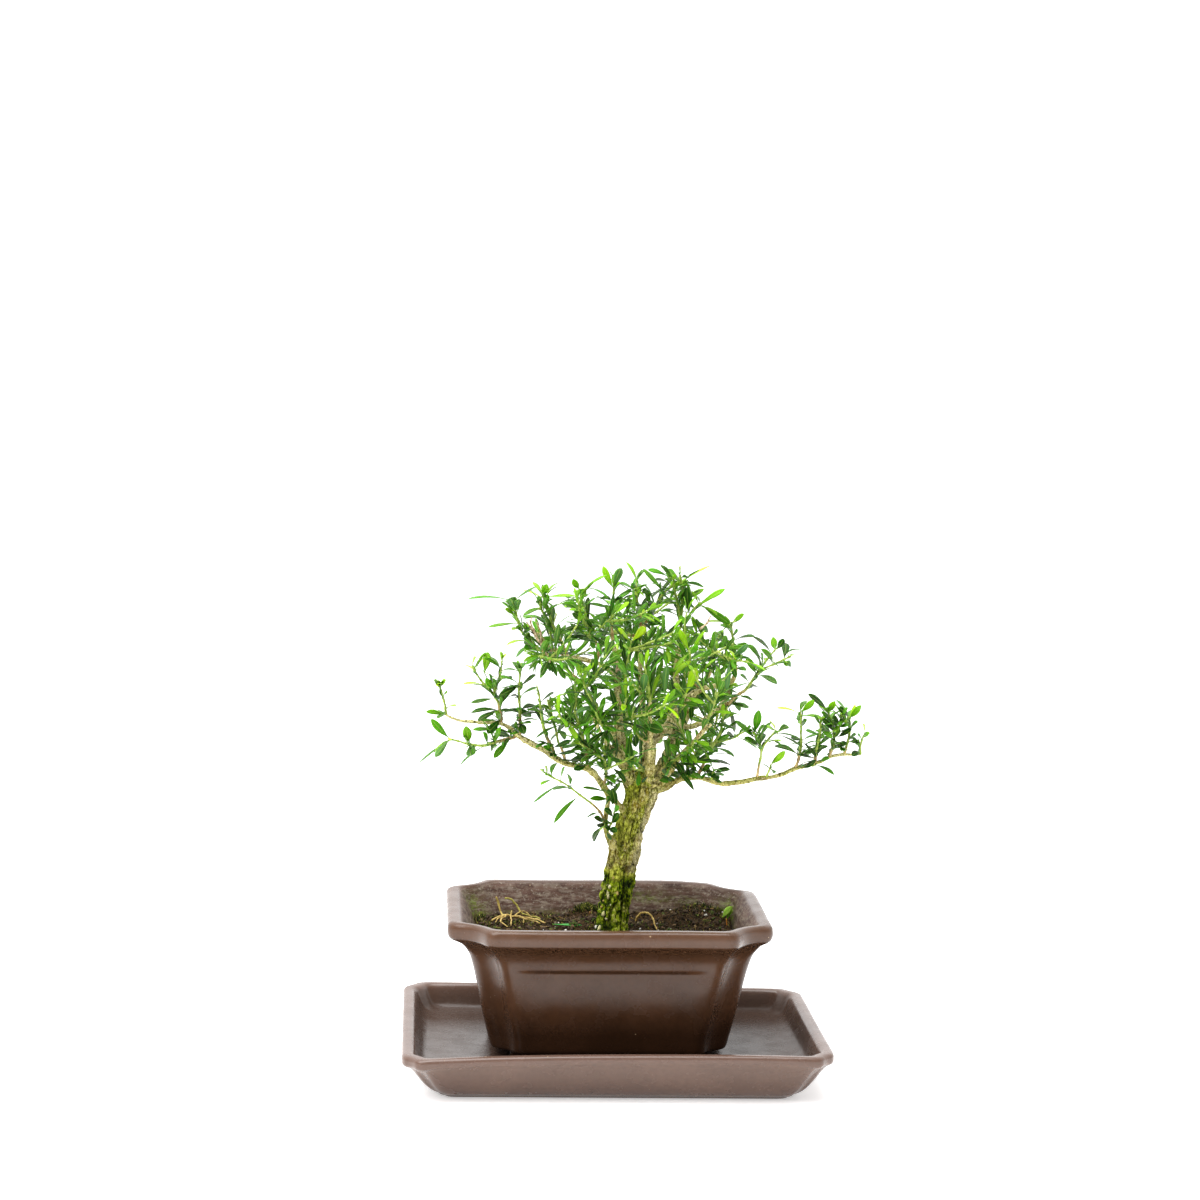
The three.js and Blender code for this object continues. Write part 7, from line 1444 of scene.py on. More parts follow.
            ([-47, -8.5, 171], [-47.5, 0.3, 172.7], [-0.3, -0.2, 0.93], 2.3, 0.08, "d", [-47, -9.3, 170.8]),
            ([-47.1, -10, 168.8], [-48.1, -15.5, 169.3], [0.22, 0.05, 0.97], 1.3, 0.06, "d", [-46.9, -9.1, 168.7]),
            ([-47.8, -11.9, 187], [-49.3, -19.3, 188.3], [0.52, 0.05, 0.85], 2.4, 0.07, "d", [-47.6, -11, 186.8]),
            ([-47.5, -9.6, 165.4], [-50.6, -14.1, 166], [0.18, 0, 0.98], 1.2, 0.12, "d", [-47, -8.8, 165.3]),
            ([-47.5, -11.1, 180.3], [-48.4, -22.4, 184.8], [-0.68, 0.32, 0.67], 1.7, 0.07, "d", [-47.4, -10.3, 180]),
            ([-47.1, -10.8, 176.5], [-47.2, -17.9, 177.2], [0.17, 0.1, 0.98], 1.6, 0.12, "g", [-47.1, -9.9, 176.4]),
            ([-47.3, -9.5, 164.6], [-50, -16.5, 167.5], [0.94, -0.34, 0.03], 1.3, 0.07, "u", [-47, -8.7, 164.3]),
           ]),
    "l6": ("shoot_05",
           [[[-30, -12, 153.2], [-31.5, -12.5, 158.1], [-34, -13.1, 162.9], [-36.1, -13.9, 169.3], [-37.2, -14.6, 175.6], [-37.8, -15.2, 181.5], [-38.9, -15.8, 186.4], [-39.4, -16, 188.3]]],
           [
            ([-37.3, -15.1, 180], [-31.6, -24.1, 186.1], [-0.81, -0.13, 0.57], 3.5, 0.03, "d", [-37.6, -15.1, 180.1]),
            ([-37.2, -14.6, 175.6], [-28.1, -23.6, 177.5], [-0.35, -0.17, 0.92], 3.3, 0.02, "g", [-37.2, -14.6, 175.6]),
            ([-37.2, -14.5, 175.1], [-46.4, -5.5, 173.8], [-0.3, -0.17, 0.94], 3.3, 0.02, "d", [-37.1, -14.5, 174.9]),
            ([-31.6, -12.6, 158.5], [-40.5, -21.6, 162.7], [0.15, 0.29, 0.95], 3.7, 0.05, "u", [-31.8, -12.6, 158.7]),
            ([-31.5, -12.5, 158.1], [-22.5, -21.5, 162.9], [-0.73, -0.46, 0.51], 3.4, 0.04, "d", [-31.5, -12.5, 158.1]),
            ([-33, -12.9, 161], [-27.5, -3.9, 164.6], [-0.45, -0.07, 0.89], 3.2, 0.05, "g", [-33.1, -12.9, 161]),
            ([-36.1, -14, 170.3], [-27.1, -5, 169.6], [-0.45, 0.51, 0.74], 3.4, 0.03, "u", [-36.3, -14, 170.1]),
            ([-30, -12.1, 154.6], [-20.9, -21.1, 157.5], [-0.51, -0.26, 0.82], 3.4, 0.03, "d", [-30.4, -12.1, 154.4]),
            ([-33, -12.8, 160.5], [-39.5, -21.8, 159.4], [0, -0.13, 0.99], 3.1, 0.08, "g", [-32.8, -12.8, 160.4]),
            ([-26.5, -13.6, 169.8], [-39.4, -15, 163.1], [-0.44, -0.21, 0.88], 3.3, 0.06, "g", [-35.4, -13.6, 166.8]),
            ([-30.5, -12.3, 156.1], [-36.2, -21.3, 159.8], [0.81, -0.31, 0.5], 3.4, 0.09, "g", [-30.9, -12.3, 156.2]),
            ([-37, -15.1, 174.2], [-38.6, -21.7, 178.2], [0.5, 0.35, 0.79], 1.9, 0.1, "d", [-36.9, -14.4, 173.7]),
            ([-30.5, -13.1, 154.9], [-30.5, -21.5, 155.2], [0.55, 0.04, 0.83], 2.2, 0.1, "g", [-30.5, -12.2, 154.8]),
            ([-35.3, -13.5, 169.4], [-29.9, -10.7, 173], [-0.27, -0.52, 0.81], 1.4, 0.06, "g", [-36, -13.8, 168.9]),
            ([-37.3, -15.6, 176.7], [-36.8, -27.3, 178.2], [-0.41, 0.1, 0.91], 3, 0.04, "d", [-37.3, -14.7, 176.6]),
            ([-34.5, -14.1, 164.1], [-36.2, -20.8, 166.1], [0.37, 0.19, 0.91], 1.7, 0.09, "g", [-34.3, -13.2, 163.8]),
            ([-36.1, -14.4, 169.6], [-37.6, -20.6, 176.2], [0.71, 0.43, 0.56], 2.1, 0.08, "g", [-36, -13.8, 168.9]),
            ([-36.7, -13.4, 171.5], [-39.3, -7.6, 176.7], [0.48, -0.45, 0.75], 2.2, 0.05, "d", [-36.4, -14, 170.9]),
            ([-34.4, -14.1, 163.9], [-35.2, -21.1, 164.9], [0.78, 0, 0.62], 1.3, 0.05, "d", [-34.3, -13.2, 163.8]),
            ([-37.4, -15.3, 177.2], [-38.3, -20.1, 181.8], [0.99, -0.11, 0.07], 1.4, 0.06, "y", [-37.3, -14.7, 176.6]),
            ([-30.5, -13.1, 155], [-30.5, -24.4, 157.9], [-0.85, 0.13, 0.52], 2.3, 0.07, "d", [-30.5, -12.2, 154.8]),
            ([-36.1, -13.2, 169.6], [-37.4, -5.5, 177.8], [0.84, -0.33, 0.44], 2.5, 0.04, "g", [-36, -13.8, 168.9]),
            ([-30.8, -13.2, 155.9], [-30.7, -19.4, 156.6], [-0.4, 0.1, 0.91], 1.8, 0.06, "d", [-30.8, -12.3, 155.8]),
            ([-37.8, -13.9, 175.6], [-42.3, -9.5, 176.8], [0.02, -0.24, 0.97], 1.7, 0.08, "u", [-37.2, -14.6, 175.4]),
            ([-38.9, -16.5, 185.6], [-41, -22.3, 187.2], [0.01, 0.27, 0.96], 1.8, 0.07, "b", [-38.6, -15.7, 185.3]),
            ([-31.4, -13.1, 157.5], [-32.8, -17.7, 161.5], [0.77, 0.27, 0.58], 1.1, 0.05, "g", [-31.2, -12.4, 156.9]),
            ([-38.5, -16.4, 184.3], [-39.5, -22.1, 185], [0.3, 0.07, 0.95], 1, 0.08, "b", [-38.4, -15.5, 184.1]),
            ([-32.8, -13.7, 160.2], [-33.9, -24.2, 159.6], [0.49, -0.1, 0.87], 2.3, 0.1, "g", [-32.7, -12.8, 160.2]),
            ([-31, -13.2, 155.8], [-33, -21.8, 155.5], [0.67, -0.18, 0.72], 1.9, 0.05, "d", [-30.8, -12.3, 155.8]),
            ([-36.1, -13.3, 168.8], [-40.3, -8.3, 176.4], [0.39, -0.66, 0.65], 2, 0.04, "d", [-35.7, -13.7, 168.1]),
            ([-37.5, -13.9, 177.8], [-38.3, -4.5, 180.7], [0.34, -0.25, 0.91], 1.8, 0.07, "y", [-37.4, -14.8, 177.5]),
            ([-31.3, -13.2, 157.3], [-32.5, -24.5, 161.7], [-0.13, 0.38, 0.92], 2, 0.08, "d", [-31.2, -12.4, 156.9]),
            ([-36.3, -14.9, 170.5], [-36.2, -21.9, 171], [-0.55, 0.05, 0.84], 2, 0.1, "y", [-36.3, -14, 170.4]),
            ([-33.8, -12.3, 162.7], [-34.4, -6.8, 165.3], [0.03, -0.42, 0.91], 1.6, 0.11, "g", [-33.7, -13.1, 162.4]),
            ([-30.4, -13, 154.7], [-30.4, -22.7, 157], [0.78, 0.15, 0.61], 1.9, 0.05, "u", [-30.4, -12.1, 154.4]),
            ([-38, -14.3, 175.6], [-44, -12.1, 176.4], [0.31, 0.58, 0.75], 2, 0.05, "g", [-37.2, -14.6, 175.4]),
           ]),
    "l7": ("shoot_06",
           [[[-5.4, -12.1, 121.3], [-7.6, -14.8, 127.2], [-12.1, -17.4, 132], [-18.1, -20.5, 136.8], [-23.1, -23.1, 141], [-28, -25.5, 144.2], [-32.9, -27.8, 146.9], [-37.3, -30, 150.1]]],
           [
            ([-22.6, -22.8, 140.5], [-30.8, -13.8, 138.4], [-0.46, -0.22, 0.86], 3.5, 0.05, "g", [-22.5, -22.8, 140.5]),
            ([-23.1, -23.1, 141], [-24.6, -32.1, 148.7], [0.72, 0.38, 0.58], 3.3, 0.07, "u", [-23.1, -23.1, 141]),
            ([-28, -25.5, 143.7], [-26.2, -34.5, 152.4], [-0.99, -0.12, 0.08], 3.4, 0.03, "g", [-28, -25.5, 144.2]),
            ([-32.4, -27.5, 146.9], [-29.8, -18.5, 151.7], [-0.48, -0.3, 0.82], 3.5, 0.07, "g", [-32.3, -27.5, 146.6]),
            ([-33.9, -28.3, 147.5], [-35.7, -37.3, 153.2], [0.97, -0.25, -0.08], 3, 0.04, "p", [-34, -28.3, 147.7]),
            ([-35.8, -29.2, 149], [-37.4, -20.2, 149], [0.02, 0, 1], 3.1, 0.06, "y", [-35.7, -29.2, 148.9]),
            ([-31.4, -26.9, 144.9], [-37.4, -35.9, 143.9], [-0.05, -0.08, 1], 3, 0.06, "y", [-31.1, -26.9, 145.9]),
            ([-18.1, -20.5, 136.8], [-30.3, -20.5, 123.1], [-0.52, -0.72, 0.46], 3.1, 0.05, "g", [-18.1, -20.5, 136.8]),
            ([-28, -25.2, 142.7], [-40.6, -25.5, 133.5], [-0.56, -0.26, 0.78], 3.1, 0.03, "g", [-27.4, -25.2, 143.8]),
            ([-7.6, -15.1, 127.8], [-15.2, -24.1, 126.3], [-0.63, 0.43, 0.65], 3.2, 0.06, "u", [-8, -15.1, 127.9]),
            ([-6.3, -12.1, 120.5], [-10.5, -3.1, 111.5], [-0.86, -0.51, -0.11], 3.7, 0.08, "d", [-5.4, -12.1, 121.3]),
            ([-5.9, -12.8, 122.5], [-11.3, -21.8, 126], [0.85, -0.36, 0.39], 3.5, 0.05, "d", [-5.9, -12.8, 122.8]),
            ([-5.4, -12.5, 122], [-9.3, -21.5, 121.6], [0.39, -0.21, 0.9], 3.3, 0.02, "d", [-5.7, -12.5, 122.1]),
            ([-34.1, -29.1, 147.9], [-36.8, -35.9, 150.3], [0.32, 0.2, 0.93], 2.1, 0.04, "g", [-33.8, -28.3, 147.6]),
            ([-22.3, -23.5, 140.3], [-23.4, -30.7, 141.1], [-0.47, 0.17, 0.87], 1.5, 0.05, "d", [-22.1, -22.6, 140.2]),
            ([-32.6, -28.4, 147.1], [-33.5, -34.5, 150.3], [-0.96, 0.22, 0.16], 1.8, 0.06, "y", [-32.5, -27.6, 146.7]),
            ([-31.7, -27.9, 146.4], [-34, -34.4, 148.1], [0.57, 0.03, 0.82], 2.2, 0.1, "y", [-31.4, -27.1, 146.1]),
            ([-5.6, -13.3, 121.8], [-4.5, -21.4, 119.7], [0.34, -0.2, 0.92], 2.6, 0.12, "d", [-5.7, -12.5, 122]),
            ([-34.4, -29.3, 148], [-35.6, -36.3, 148.9], [0.95, -0.13, 0.27], 1.5, 0.06, "y", [-34.2, -28.5, 147.9]),
            ([-23.1, -24, 141.1], [-23.3, -32.6, 141.9], [-0.74, 0.09, 0.66], 2.7, 0.06, "u", [-23, -23.1, 141]),
            ([-6.4, -14.1, 123.8], [-7.7, -22.8, 124.4], [0.36, 0.02, 0.93], 2, 0.09, "u", [-6.3, -13.2, 123.7]),
            ([-5.6, -13.4, 122.1], [-4.9, -20.7, 122.4], [-0.46, 0, 0.89], 1.4, 0.1, "g", [-5.7, -12.5, 122]),
           ]),
    "l8": ("shoot_07",
           [[[-4.7, -11.8, 117.2], [-3.1, -14.3, 120.9], [-1.9, -16.9, 124.2], [-1.7, -20, 128.7]]],
           [
            ([-3.5, -13.7, 119.8], [-0.2, -22.7, 119.5], [-0.73, -0.29, 0.62], 3.5, 0.05, "d", [-3.5, -13.7, 120]),
            ([-2.7, -15.3, 122], [0.5, -24.3, 128.9], [-0.76, -0.54, -0.36], 3.6, 0.07, "d", [-2.6, -15.3, 122.1]),
            ([-2, -17.6, 125.3], [-6.9, -26.6, 131.2], [0.9, -0.43, 0.09], 3.5, 0.08, "d", [-1.8, -17.6, 125.3]),
            ([-1.6, -19.6, 128.1], [0.1, -28.6, 133], [-0.89, -0.34, -0.3], 3, 0.04, "g", [-1.7, -19.6, 128.1]),
            ([-4, -13.9, 119.3], [-5.3, -25.8, 122.6], [-0.61, 0.27, 0.74], 2.6, 0.07, "d", [-3.9, -13.1, 119.1]),
            ([-3.2, -15.9, 122.2], [-7.9, -22.2, 123.6], [0.03, 0.19, 0.98], 1.3, 0.05, "g", [-2.7, -15.2, 122]),
            ([-3.4, -15, 121.1], [-4.9, -21.6, 124.4], [0.61, 0.24, 0.76], 2.2, 0.11, "g", [-3.2, -14.2, 120.7]),
            ([-2.7, -16.8, 123], [-8.5, -27.3, 120.8], [-0.53, 0.12, 0.84], 2.8, 0.04, "y", [-2.3, -16, 123.1]),
            ([-4.4, -13.1, 117.7], [-3.1, -24.1, 115.8], [-0.24, -0.19, 0.95], 2, 0.04, "u", [-4.5, -12.2, 117.8]),
            ([-3.2, -15.9, 122.3], [-6.3, -20.8, 124.4], [-0.09, 0.44, 0.89], 1.7, 0.05, "d", [-2.7, -15.2, 122]),
           ]),
    "l9": ("shoot_08",
           [[[-4.2, -12, 133.1], [-2.4, -14.5, 135], [-0.7, -18, 132.7]]],
           [
            ([-4.2, -12.6, 134.2], [-13.4, -21.6, 135.1], [0.57, -0.51, 0.65], 3.1, 0.05, "g", [-3.8, -12.6, 133.7]),
            ([-5.3, -13.5, 137.2], [-16.8, -22.5, 140.5], [0.42, -0.22, 0.88], 3.3, 0.03, "g", [-3.1, -13.5, 134.6]),
            ([-0.2, -18, 131.7], [-3.3, -27, 141.4], [0.17, -0.75, -0.64], 3.7, 0.05, "d", [-0.7, -18, 132.7]),
            ([-2.4, -14.5, 135], [-5.8, -23.5, 132.6], [-0.91, 0.25, 0.33], 3.4, 0.07, "u", [-2.4, -14.5, 135]),
            ([-3.2, -12.8, 134.4], [1.5, -13, 141.9], [-0.29, 0.93, 0.21], 2.6, 0.08, "d", [-3.6, -12.8, 133.7]),
            ([-2.4, -16.3, 134.1], [-5.2, -21.2, 132.8], [-0.81, 0.35, 0.47], 1.2, 0.1, "g", [-1.9, -15.5, 134.3]),
            ([-3, -14.7, 135.2], [-4.9, -19.7, 139.4], [-0.43, 0.67, 0.6], 2.2, 0.07, "d", [-2.8, -14, 134.6]),
            ([-3.8, -13.7, 133.9], [-5.3, -23.7, 135.7], [0.22, 0.15, 0.97], 1.9, 0.12, "g", [-3.6, -12.8, 133.7]),
            ([-2.4, -16.2, 134.7], [-8.7, -26, 140.1], [0.47, 0.17, 0.87], 2.1, 0.11, "g", [-1.9, -15.5, 134.3]),
            ([-3.6, -13.7, 133.7], [-2.7, -25.8, 133.1], [0.07, -0.04, 1], 2.3, 0.13, "d", [-3.6, -12.8, 133.7]),
           ]),
    "m1": ("shoot_09",
           [[[-14.9, -12, 148.3], [-14.7, -13.5, 154], [-15.9, -15.1, 160.1], [-18, -16.8, 166.1], [-19.6, -18.4, 171.6], [-21.2, -19.8, 176.6], [-20.9, -21.4, 182.5], [-21.1, -22.8, 187.5], [-21.7, -24, 192]],
            [[-18.8, -17.6, 168.9], [-21.9, -21.1, 170], [-24.3, -24.8, 171.5], [-27, -28.1, 173.6], [-29.2, -31.3, 176.2]],
            [[-21, -22.3, 185.9], [-16.7, -23.3, 189.1], [-12.6, -24.1, 192.7], [-9.2, -24.9, 196.8], [-6, -25.1, 201.3]],
            [[-16.2, -15.4, 161.1], [-17.2, -12.4, 164.4], [-18.4, -9.5, 167.8], [-19.5, -6.8, 171.3], [-20.6, -4.1, 174.8]]],
           [
            ([-14.1, -12.4, 149.5], [-21.2, -21.4, 148.9], [0.46, -0.41, 0.79], 3.6, 0.07, "d", [-14.8, -12.4, 149.7]),
            ([-14.7, -13.5, 154], [-21.9, -4.5, 149.2], [-0.8, -0.4, 0.44], 3.5, 0.08, "d", [-14.7, -13.5, 154]),
            ([-16.4, -15.3, 161.1], [-27.4, -6.3, 156.7], [0.11, 0.54, 0.84], 3.7, 0.03, "u", [-16.1, -15.3, 160.8]),
            ([-15.3, -14.5, 157.6], [-7.8, -23.5, 161.4], [-0.78, -0.48, 0.41], 3, 0.08, "g", [-15.3, -14.5, 157.8]),
            ([-21.7, -24, 192], [-27.1, -30.8, 199.2], [0.41, 0.49, 0.77], 2.4, 0.01, "y", [-21.7, -24, 192]),
            ([-21.7, -24, 192], [-17.3, -22.7, 200.2], [-0.8, -0.35, 0.48], 2.5, 0.07, "y", [-21.7, -24, 192]),
            ([-21, -22.6, 186.9], [-12.5, -29.2, 191], [-0.45, -0.04, 0.89], 2.3, 0.03, "y", [-21, -22.6, 186.9]),
            ([-21, -22.6, 186.9], [-26.9, -20.6, 196.4], [0.8, -0.25, 0.55], 2.4, 0.05, "y", [-21, -22.6, 186.9]),
            ([-21, -21, 181.1], [-16.7, -16.7, 194.4], [-0.2, -0.91, 0.36], 2.9, 0.06, "g", [-21, -21, 181.1]),
            ([-21, -21, 181.1], [-25.2, -32.5, 189.7], [0.25, 0.52, 0.82], 2.8, 0.1, "g", [-21, -21, 181.1]),
            ([-21.1, -19.6, 175.9], [-32.7, -16.9, 182.6], [0.3, -0.59, 0.75], 2.8, 0.1, "g", [-21.1, -19.6, 175.9]),
            ([-21.1, -19.6, 175.9], [-17.2, -26.2, 185], [-0.33, 0.69, 0.64], 2.6, 0.04, "g", [-21.1, -19.6, 175.9]),
            ([-19.2, -18, 170.3], [-26.5, -26, 178.9], [0.19, 0.64, 0.75], 2.8, 0.04, "g", [-19.2, -18, 170.3]),
            ([-19.2, -18, 170.3], [-12.5, -14.5, 179.6], [-0.68, -0.38, 0.63], 2.8, 0.02, "g", [-19.2, -18, 170.3]),
            ([-17.5, -16.4, 164.6], [-12, -20.4, 179.1], [-0.88, 0.25, 0.4], 3, 0.05, "d", [-17.5, -16.4, 164.6]),
            ([-17.5, -16.4, 164.6], [-27.1, -8.6, 173.5], [0.08, -0.7, 0.71], 3, 0.08, "d", [-17.5, -16.4, 164.6]),
            ([-29.2, -31.3, 176.2], [-29.3, -34, 187], [-0.43, -0.87, -0.22], 2.3, 0.06, "y", [-29.2, -31.3, 176.2]),
            ([-29.2, -31.3, 176.2], [-34.4, -41.2, 175.6], [-0.14, 0.01, 0.99], 2.3, 0.08, "y", [-29.2, -31.3, 176.2]),
            ([-26.7, -27.7, 173.3], [-41.1, -23.1, 179.1], [-0.38, -0.02, -0.93], 2.8, 0.06, "d", [-26.7, -27.7, 173.3]),
            ([-26.7, -27.7, 173.3], [-20, -36.6, 177.6], [-0.36, 0.17, 0.92], 3, 0.08, "d", [-26.7, -27.7, 173.3]),
            ([-23.4, -23.5, 170.8], [-22, -32.1, 183.8], [-0.46, 0.72, 0.52], 2.9, 0.05, "d", [-23.4, -23.5, 170.8]),
            ([-6, -25.1, 201.3], [0.9, -18.3, 206.8], [0.11, -0.69, 0.72], 2.4, 0.07, "y", [-6, -25.1, 201.3]),
            ([-6, -25.1, 201.3], [-3.1, -31.4, 206.8], [-0.07, 0.64, 0.77], 2.4, 0.09, "y", [-6, -25.1, 201.3]),
            ([-9.6, -24.8, 196.3], [-10.4, -24.7, 209.9], [0.98, -0.2, 0.06], 2.9, 0.03, "g", [-9.6, -24.8, 196.3]),
            ([-9.6, -24.8, 196.3], [2.2, -26.2, 193.5], [0.24, 0.12, 0.96], 2.6, 0.02, "g", [-9.6, -24.8, 196.3]),
            ([-12.6, -24.1, 192.7], [-8.7, -36, 199.3], [-0.04, 0.47, 0.88], 2.9, 0.08, "d", [-12.6, -24.1, 192.7]),
            ([-12.6, -24.1, 192.7], [-3.8, -15.9, 201.2], [0.36, -0.83, 0.42], 2.9, 0.07, "d", [-12.6, -24.1, 192.7]),
            ([-16.7, -23.3, 189.1], [-3.4, -28.5, 190.6], [-0.12, -0.02, 0.99], 2.9, 0.03, "g", [-16.7, -23.3, 189.1]),
            ([-16.7, -23.3, 189.1], [-11.9, -23.2, 202.3], [0.73, -0.63, -0.26], 2.8, 0.1, "g", [-16.7, -23.3, 189.1]),
            ([-20.6, -4.1, 174.8], [-26.4, 4.8, 179.9], [0.24, -0.36, 0.9], 2.9, 0.09, "g", [-20.6, -4.1, 174.8]),
            ([-20.6, -4.1, 174.8], [-21.3, 0.7, 187.3], [-0.56, 0.76, -0.32], 2.7, 0.03, "g", [-20.6, -4.1, 174.8]),
            ([-19.5, -6.8, 171.3], [-26.7, -9.6, 183.4], [0.7, 0.48, 0.53], 2.9, 0.05, "g", [-19.5, -6.8, 171.3]),
            ([-19.5, -6.8, 171.3], [-16.5, 3.2, 178], [-0.74, -0.21, 0.64], 2.7, 0.04, "g", [-19.5, -6.8, 171.3]),
            ([-17.9, -10.6, 166.5], [-17.9, -13.7, 179.5], [0.13, 0.96, 0.23], 2.7, 0.09, "g", [-17.9, -10.6, 166.5]),
            ([-17.9, -10.6, 166.5], [-21.5, -0.1, 168.1], [0.01, -0.15, 0.99], 2.7, 0.06, "g", [-17.9, -10.6, 166.5]),
            ([-17.6, -9.9, 166.3], [-13.6, 2.7, 165.9], [0.86, -0.26, 0.43], 2.9, 0.1, "u", [-17.8, -10.8, 166.3]),
            ([-15.2, -13.9, 152.5], [-18.7, -20.5, 152.6], [0.29, -0.13, 0.95], 1.7, 0.04, "d", [-14.8, -13.1, 152.4]),
            ([-20.9, -4.1, 174.1], [-26.9, 2.6, 175.6], [0.07, -0.16, 0.98], 2.5, 0.05, "y", [-20.3, -4.8, 173.9]),
            ([-17, -14.2, 161.5], [-22, -8.8, 160.5], [-0.03, 0.17, 0.98], 1.7, 0.04, "d", [-16.4, -14.9, 161.7]),
            ([-17.6, -17.2, 164.7], [-19.2, -23.4, 166.9], [-0.76, 0.37, 0.53], 1.7, 0.1, "g", [-17.4, -16.4, 164.4]),
            ([-19.6, -22.3, 186], [-13.4, -20.9, 182.7], [0.5, -0.34, 0.8], 1.6, 0.05, "g", [-20.3, -22.5, 186.4]),
            ([-19.2, -9.2, 168.8], [-27.2, -9.2, 174.8], [0.45, -0.66, 0.6], 2.6, 0.07, "d", [-18.5, -9.2, 168.3]),
            ([-20.8, -21, 169.5], [-18.2, -29.2, 167.2], [0.85, 0.13, 0.51], 2, 0.1, "d", [-21.1, -20.2, 169.7]),
            ([-21, -19.3, 177.8], [-19.1, -12.9, 182.7], [0.54, -0.61, 0.59], 2.4, 0.04, "g", [-21.2, -20, 177.3]),
            ([-15.8, -14.7, 157.2], [-21.7, -20.8, 163.3], [-0.02, 0.72, 0.7], 2.8, 0.11, "g", [-15.3, -14.2, 156.7]),
            ([-15.2, -13.4, 156], [-17.8, -8.2, 165.3], [0.97, 0.04, 0.24], 2, 0.05, "d", [-15, -13.8, 155.2]),
            ([-26.4, -27.4, 173.8], [-28, -30.2, 181.4], [0.16, 0.92, 0.37], 1.8, 0.09, "g", [-26.2, -27.1, 173]),
            ([-20.4, -19.1, 171.9], [-28.4, -25.8, 171.4], [-0.09, 0.04, 1], 2.7, 0.04, "g", [-19.7, -18.5, 171.9]),
            ([-27.6, -29.9, 174.1], [-26.5, -37, 171.2], [0.65, -0.21, 0.73], 2, 0.1, "y", [-27.7, -29, 174.4]),
            ([-23.7, -25.1, 170.9], [-20.4, -33.6, 166], [-0.46, -0.57, 0.68], 2.2, 0.09, "y", [-24, -24.4, 171.3]),
            ([-18.2, -17.7, 168.7], [-12.8, -22.4, 180.1], [0.31, 0.92, 0.24], 2.4, 0.09, "g", [-18.6, -17.4, 167.9]),
            ([-21.3, -23.6, 188.5], [-22.9, -31.2, 193.9], [0.96, 0, 0.29], 1.8, 0.04, "y", [-21.2, -22.9, 188]),
            ([-19.8, -18.8, 170.3], [-24.6, -24.7, 169.2], [0.69, -0.44, -0.57], 2, 0.08, "y", [-19.3, -18.1, 170.4]),
            ([-8.5, -25.4, 198], [-3.2, -33, 207.9], [-0.84, 0.12, 0.53], 2.9, 0.07, "g", [-8.8, -24.9, 197.3]),
            ([-16.1, -14.4, 160.7], [-18.1, -4.8, 165.5], [-0.25, -0.47, 0.84], 2.8, 0.05, "u", [-16, -15.2, 160.3]),
            ([-16.8, -11.6, 164.8], [-10.6, 0, 169.2], [-0.8, 0.21, 0.57], 2.5, 0.05, "d", [-17.2, -12.4, 164.5]),
            ([-29.2, -30.9, 175.4], [-35.8, -36.8, 174.8], [-0.58, 0.59, 0.57], 1.6, 0.05, "y", [-28.6, -30.3, 175.5]),
            ([-10.7, -25, 194], [-4.6, -32.1, 189.6], [0.04, -0.5, 0.86], 2.9, 0.09, "y", [-11.3, -24.4, 194.3]),
            ([-19.5, -5.7, 171.4], [-19.6, 1.7, 171], [-0.77, 0.03, 0.64], 1.8, 0.04, "g", [-19.5, -6.6, 171.4]),
            ([-17.3, -23.7, 188.7], [-12.8, -30.2, 193.2], [0.29, 0.67, 0.68], 1.9, 0.06, "g", [-17.8, -23.1, 188.3]),
            ([-14.8, -14, 152.4], [-14.9, -22.2, 151.7], [-0.25, -0.07, 0.97], 1.8, 0.09, "g", [-14.8, -13.1, 152.4]),
            ([-21.9, -20.4, 170], [-31.8, -23, 173.2], [-0.05, 0.85, 0.53], 2.8, 0.04, "g", [-21.1, -20.2, 169.7]),
            ([-20.5, -18.2, 172.2], [-31.6, -13.8, 176.2], [0.45, 0.43, 0.78], 2.7, 0.1, "y", [-19.7, -18.5, 171.9]),
            ([-21.1, -23, 186.1], [-22.4, -30.9, 191.5], [0.75, 0.29, 0.59], 2.5, 0.05, "y", [-21, -22.2, 185.6]),
            ([-20.4, -6.9, 171.5], [-28.6, -8.9, 172.6], [0.17, -0.19, 0.97], 1.8, 0.1, "g", [-19.5, -6.6, 171.4]),
            ([-21.4, -24.6, 191.3], [-19.2, -34.2, 192.9], [-0.94, -0.17, 0.3], 2.9, 0.09, "y", [-21.6, -23.8, 191.1]),
            ([-15.5, -12.7, 152.8], [-20.8, -9.8, 155.6], [-0.17, -0.83, 0.53], 1.4, 0.08, "u", [-14.8, -13.1, 152.4]),
            ([-14.7, -23.5, 189.9], [-6.5, -22.9, 188.6], [0.07, -1, 0.02], 1.6, 0.04, "d", [-15.6, -23.5, 190.1]),
            ([-9.8, -25.3, 195.2], [-6.1, -30.3, 193.1], [0.05, -0.35, 0.94], 1.4, 0.04, "g", [-10.3, -24.6, 195.5]),
            ([-19.5, -22.6, 186.2], [-12, -23.4, 184.5], [0.24, 0.26, 0.94], 2, 0.09, "g", [-20.3, -22.5, 186.4]),
            ([-21.2, -20.9, 177.4], [-21.5, -29, 178.4], [0.12, 0.12, 0.99], 2.1, 0.07, "g", [-21.2, -20, 177.3]),
            ([-15.4, -13.1, 155.5], [-18.8, -7.4, 157.6], [-0.38, -0.52, 0.77], 1.4, 0.06, "g", [-15, -13.8, 155.2]),
            ([-21.1, -18.9, 175.9], [-25.3, -11.4, 186.6], [0.12, -0.79, 0.6], 2.3, 0.04, "g", [-20.8, -19.4, 175.2]),
            ([-22, -24.4, 191.6], [-24.4, -28.1, 194.2], [-0.21, 0.66, 0.72], 1.5, 0.04, "y", [-21.6, -23.8, 191.1]),
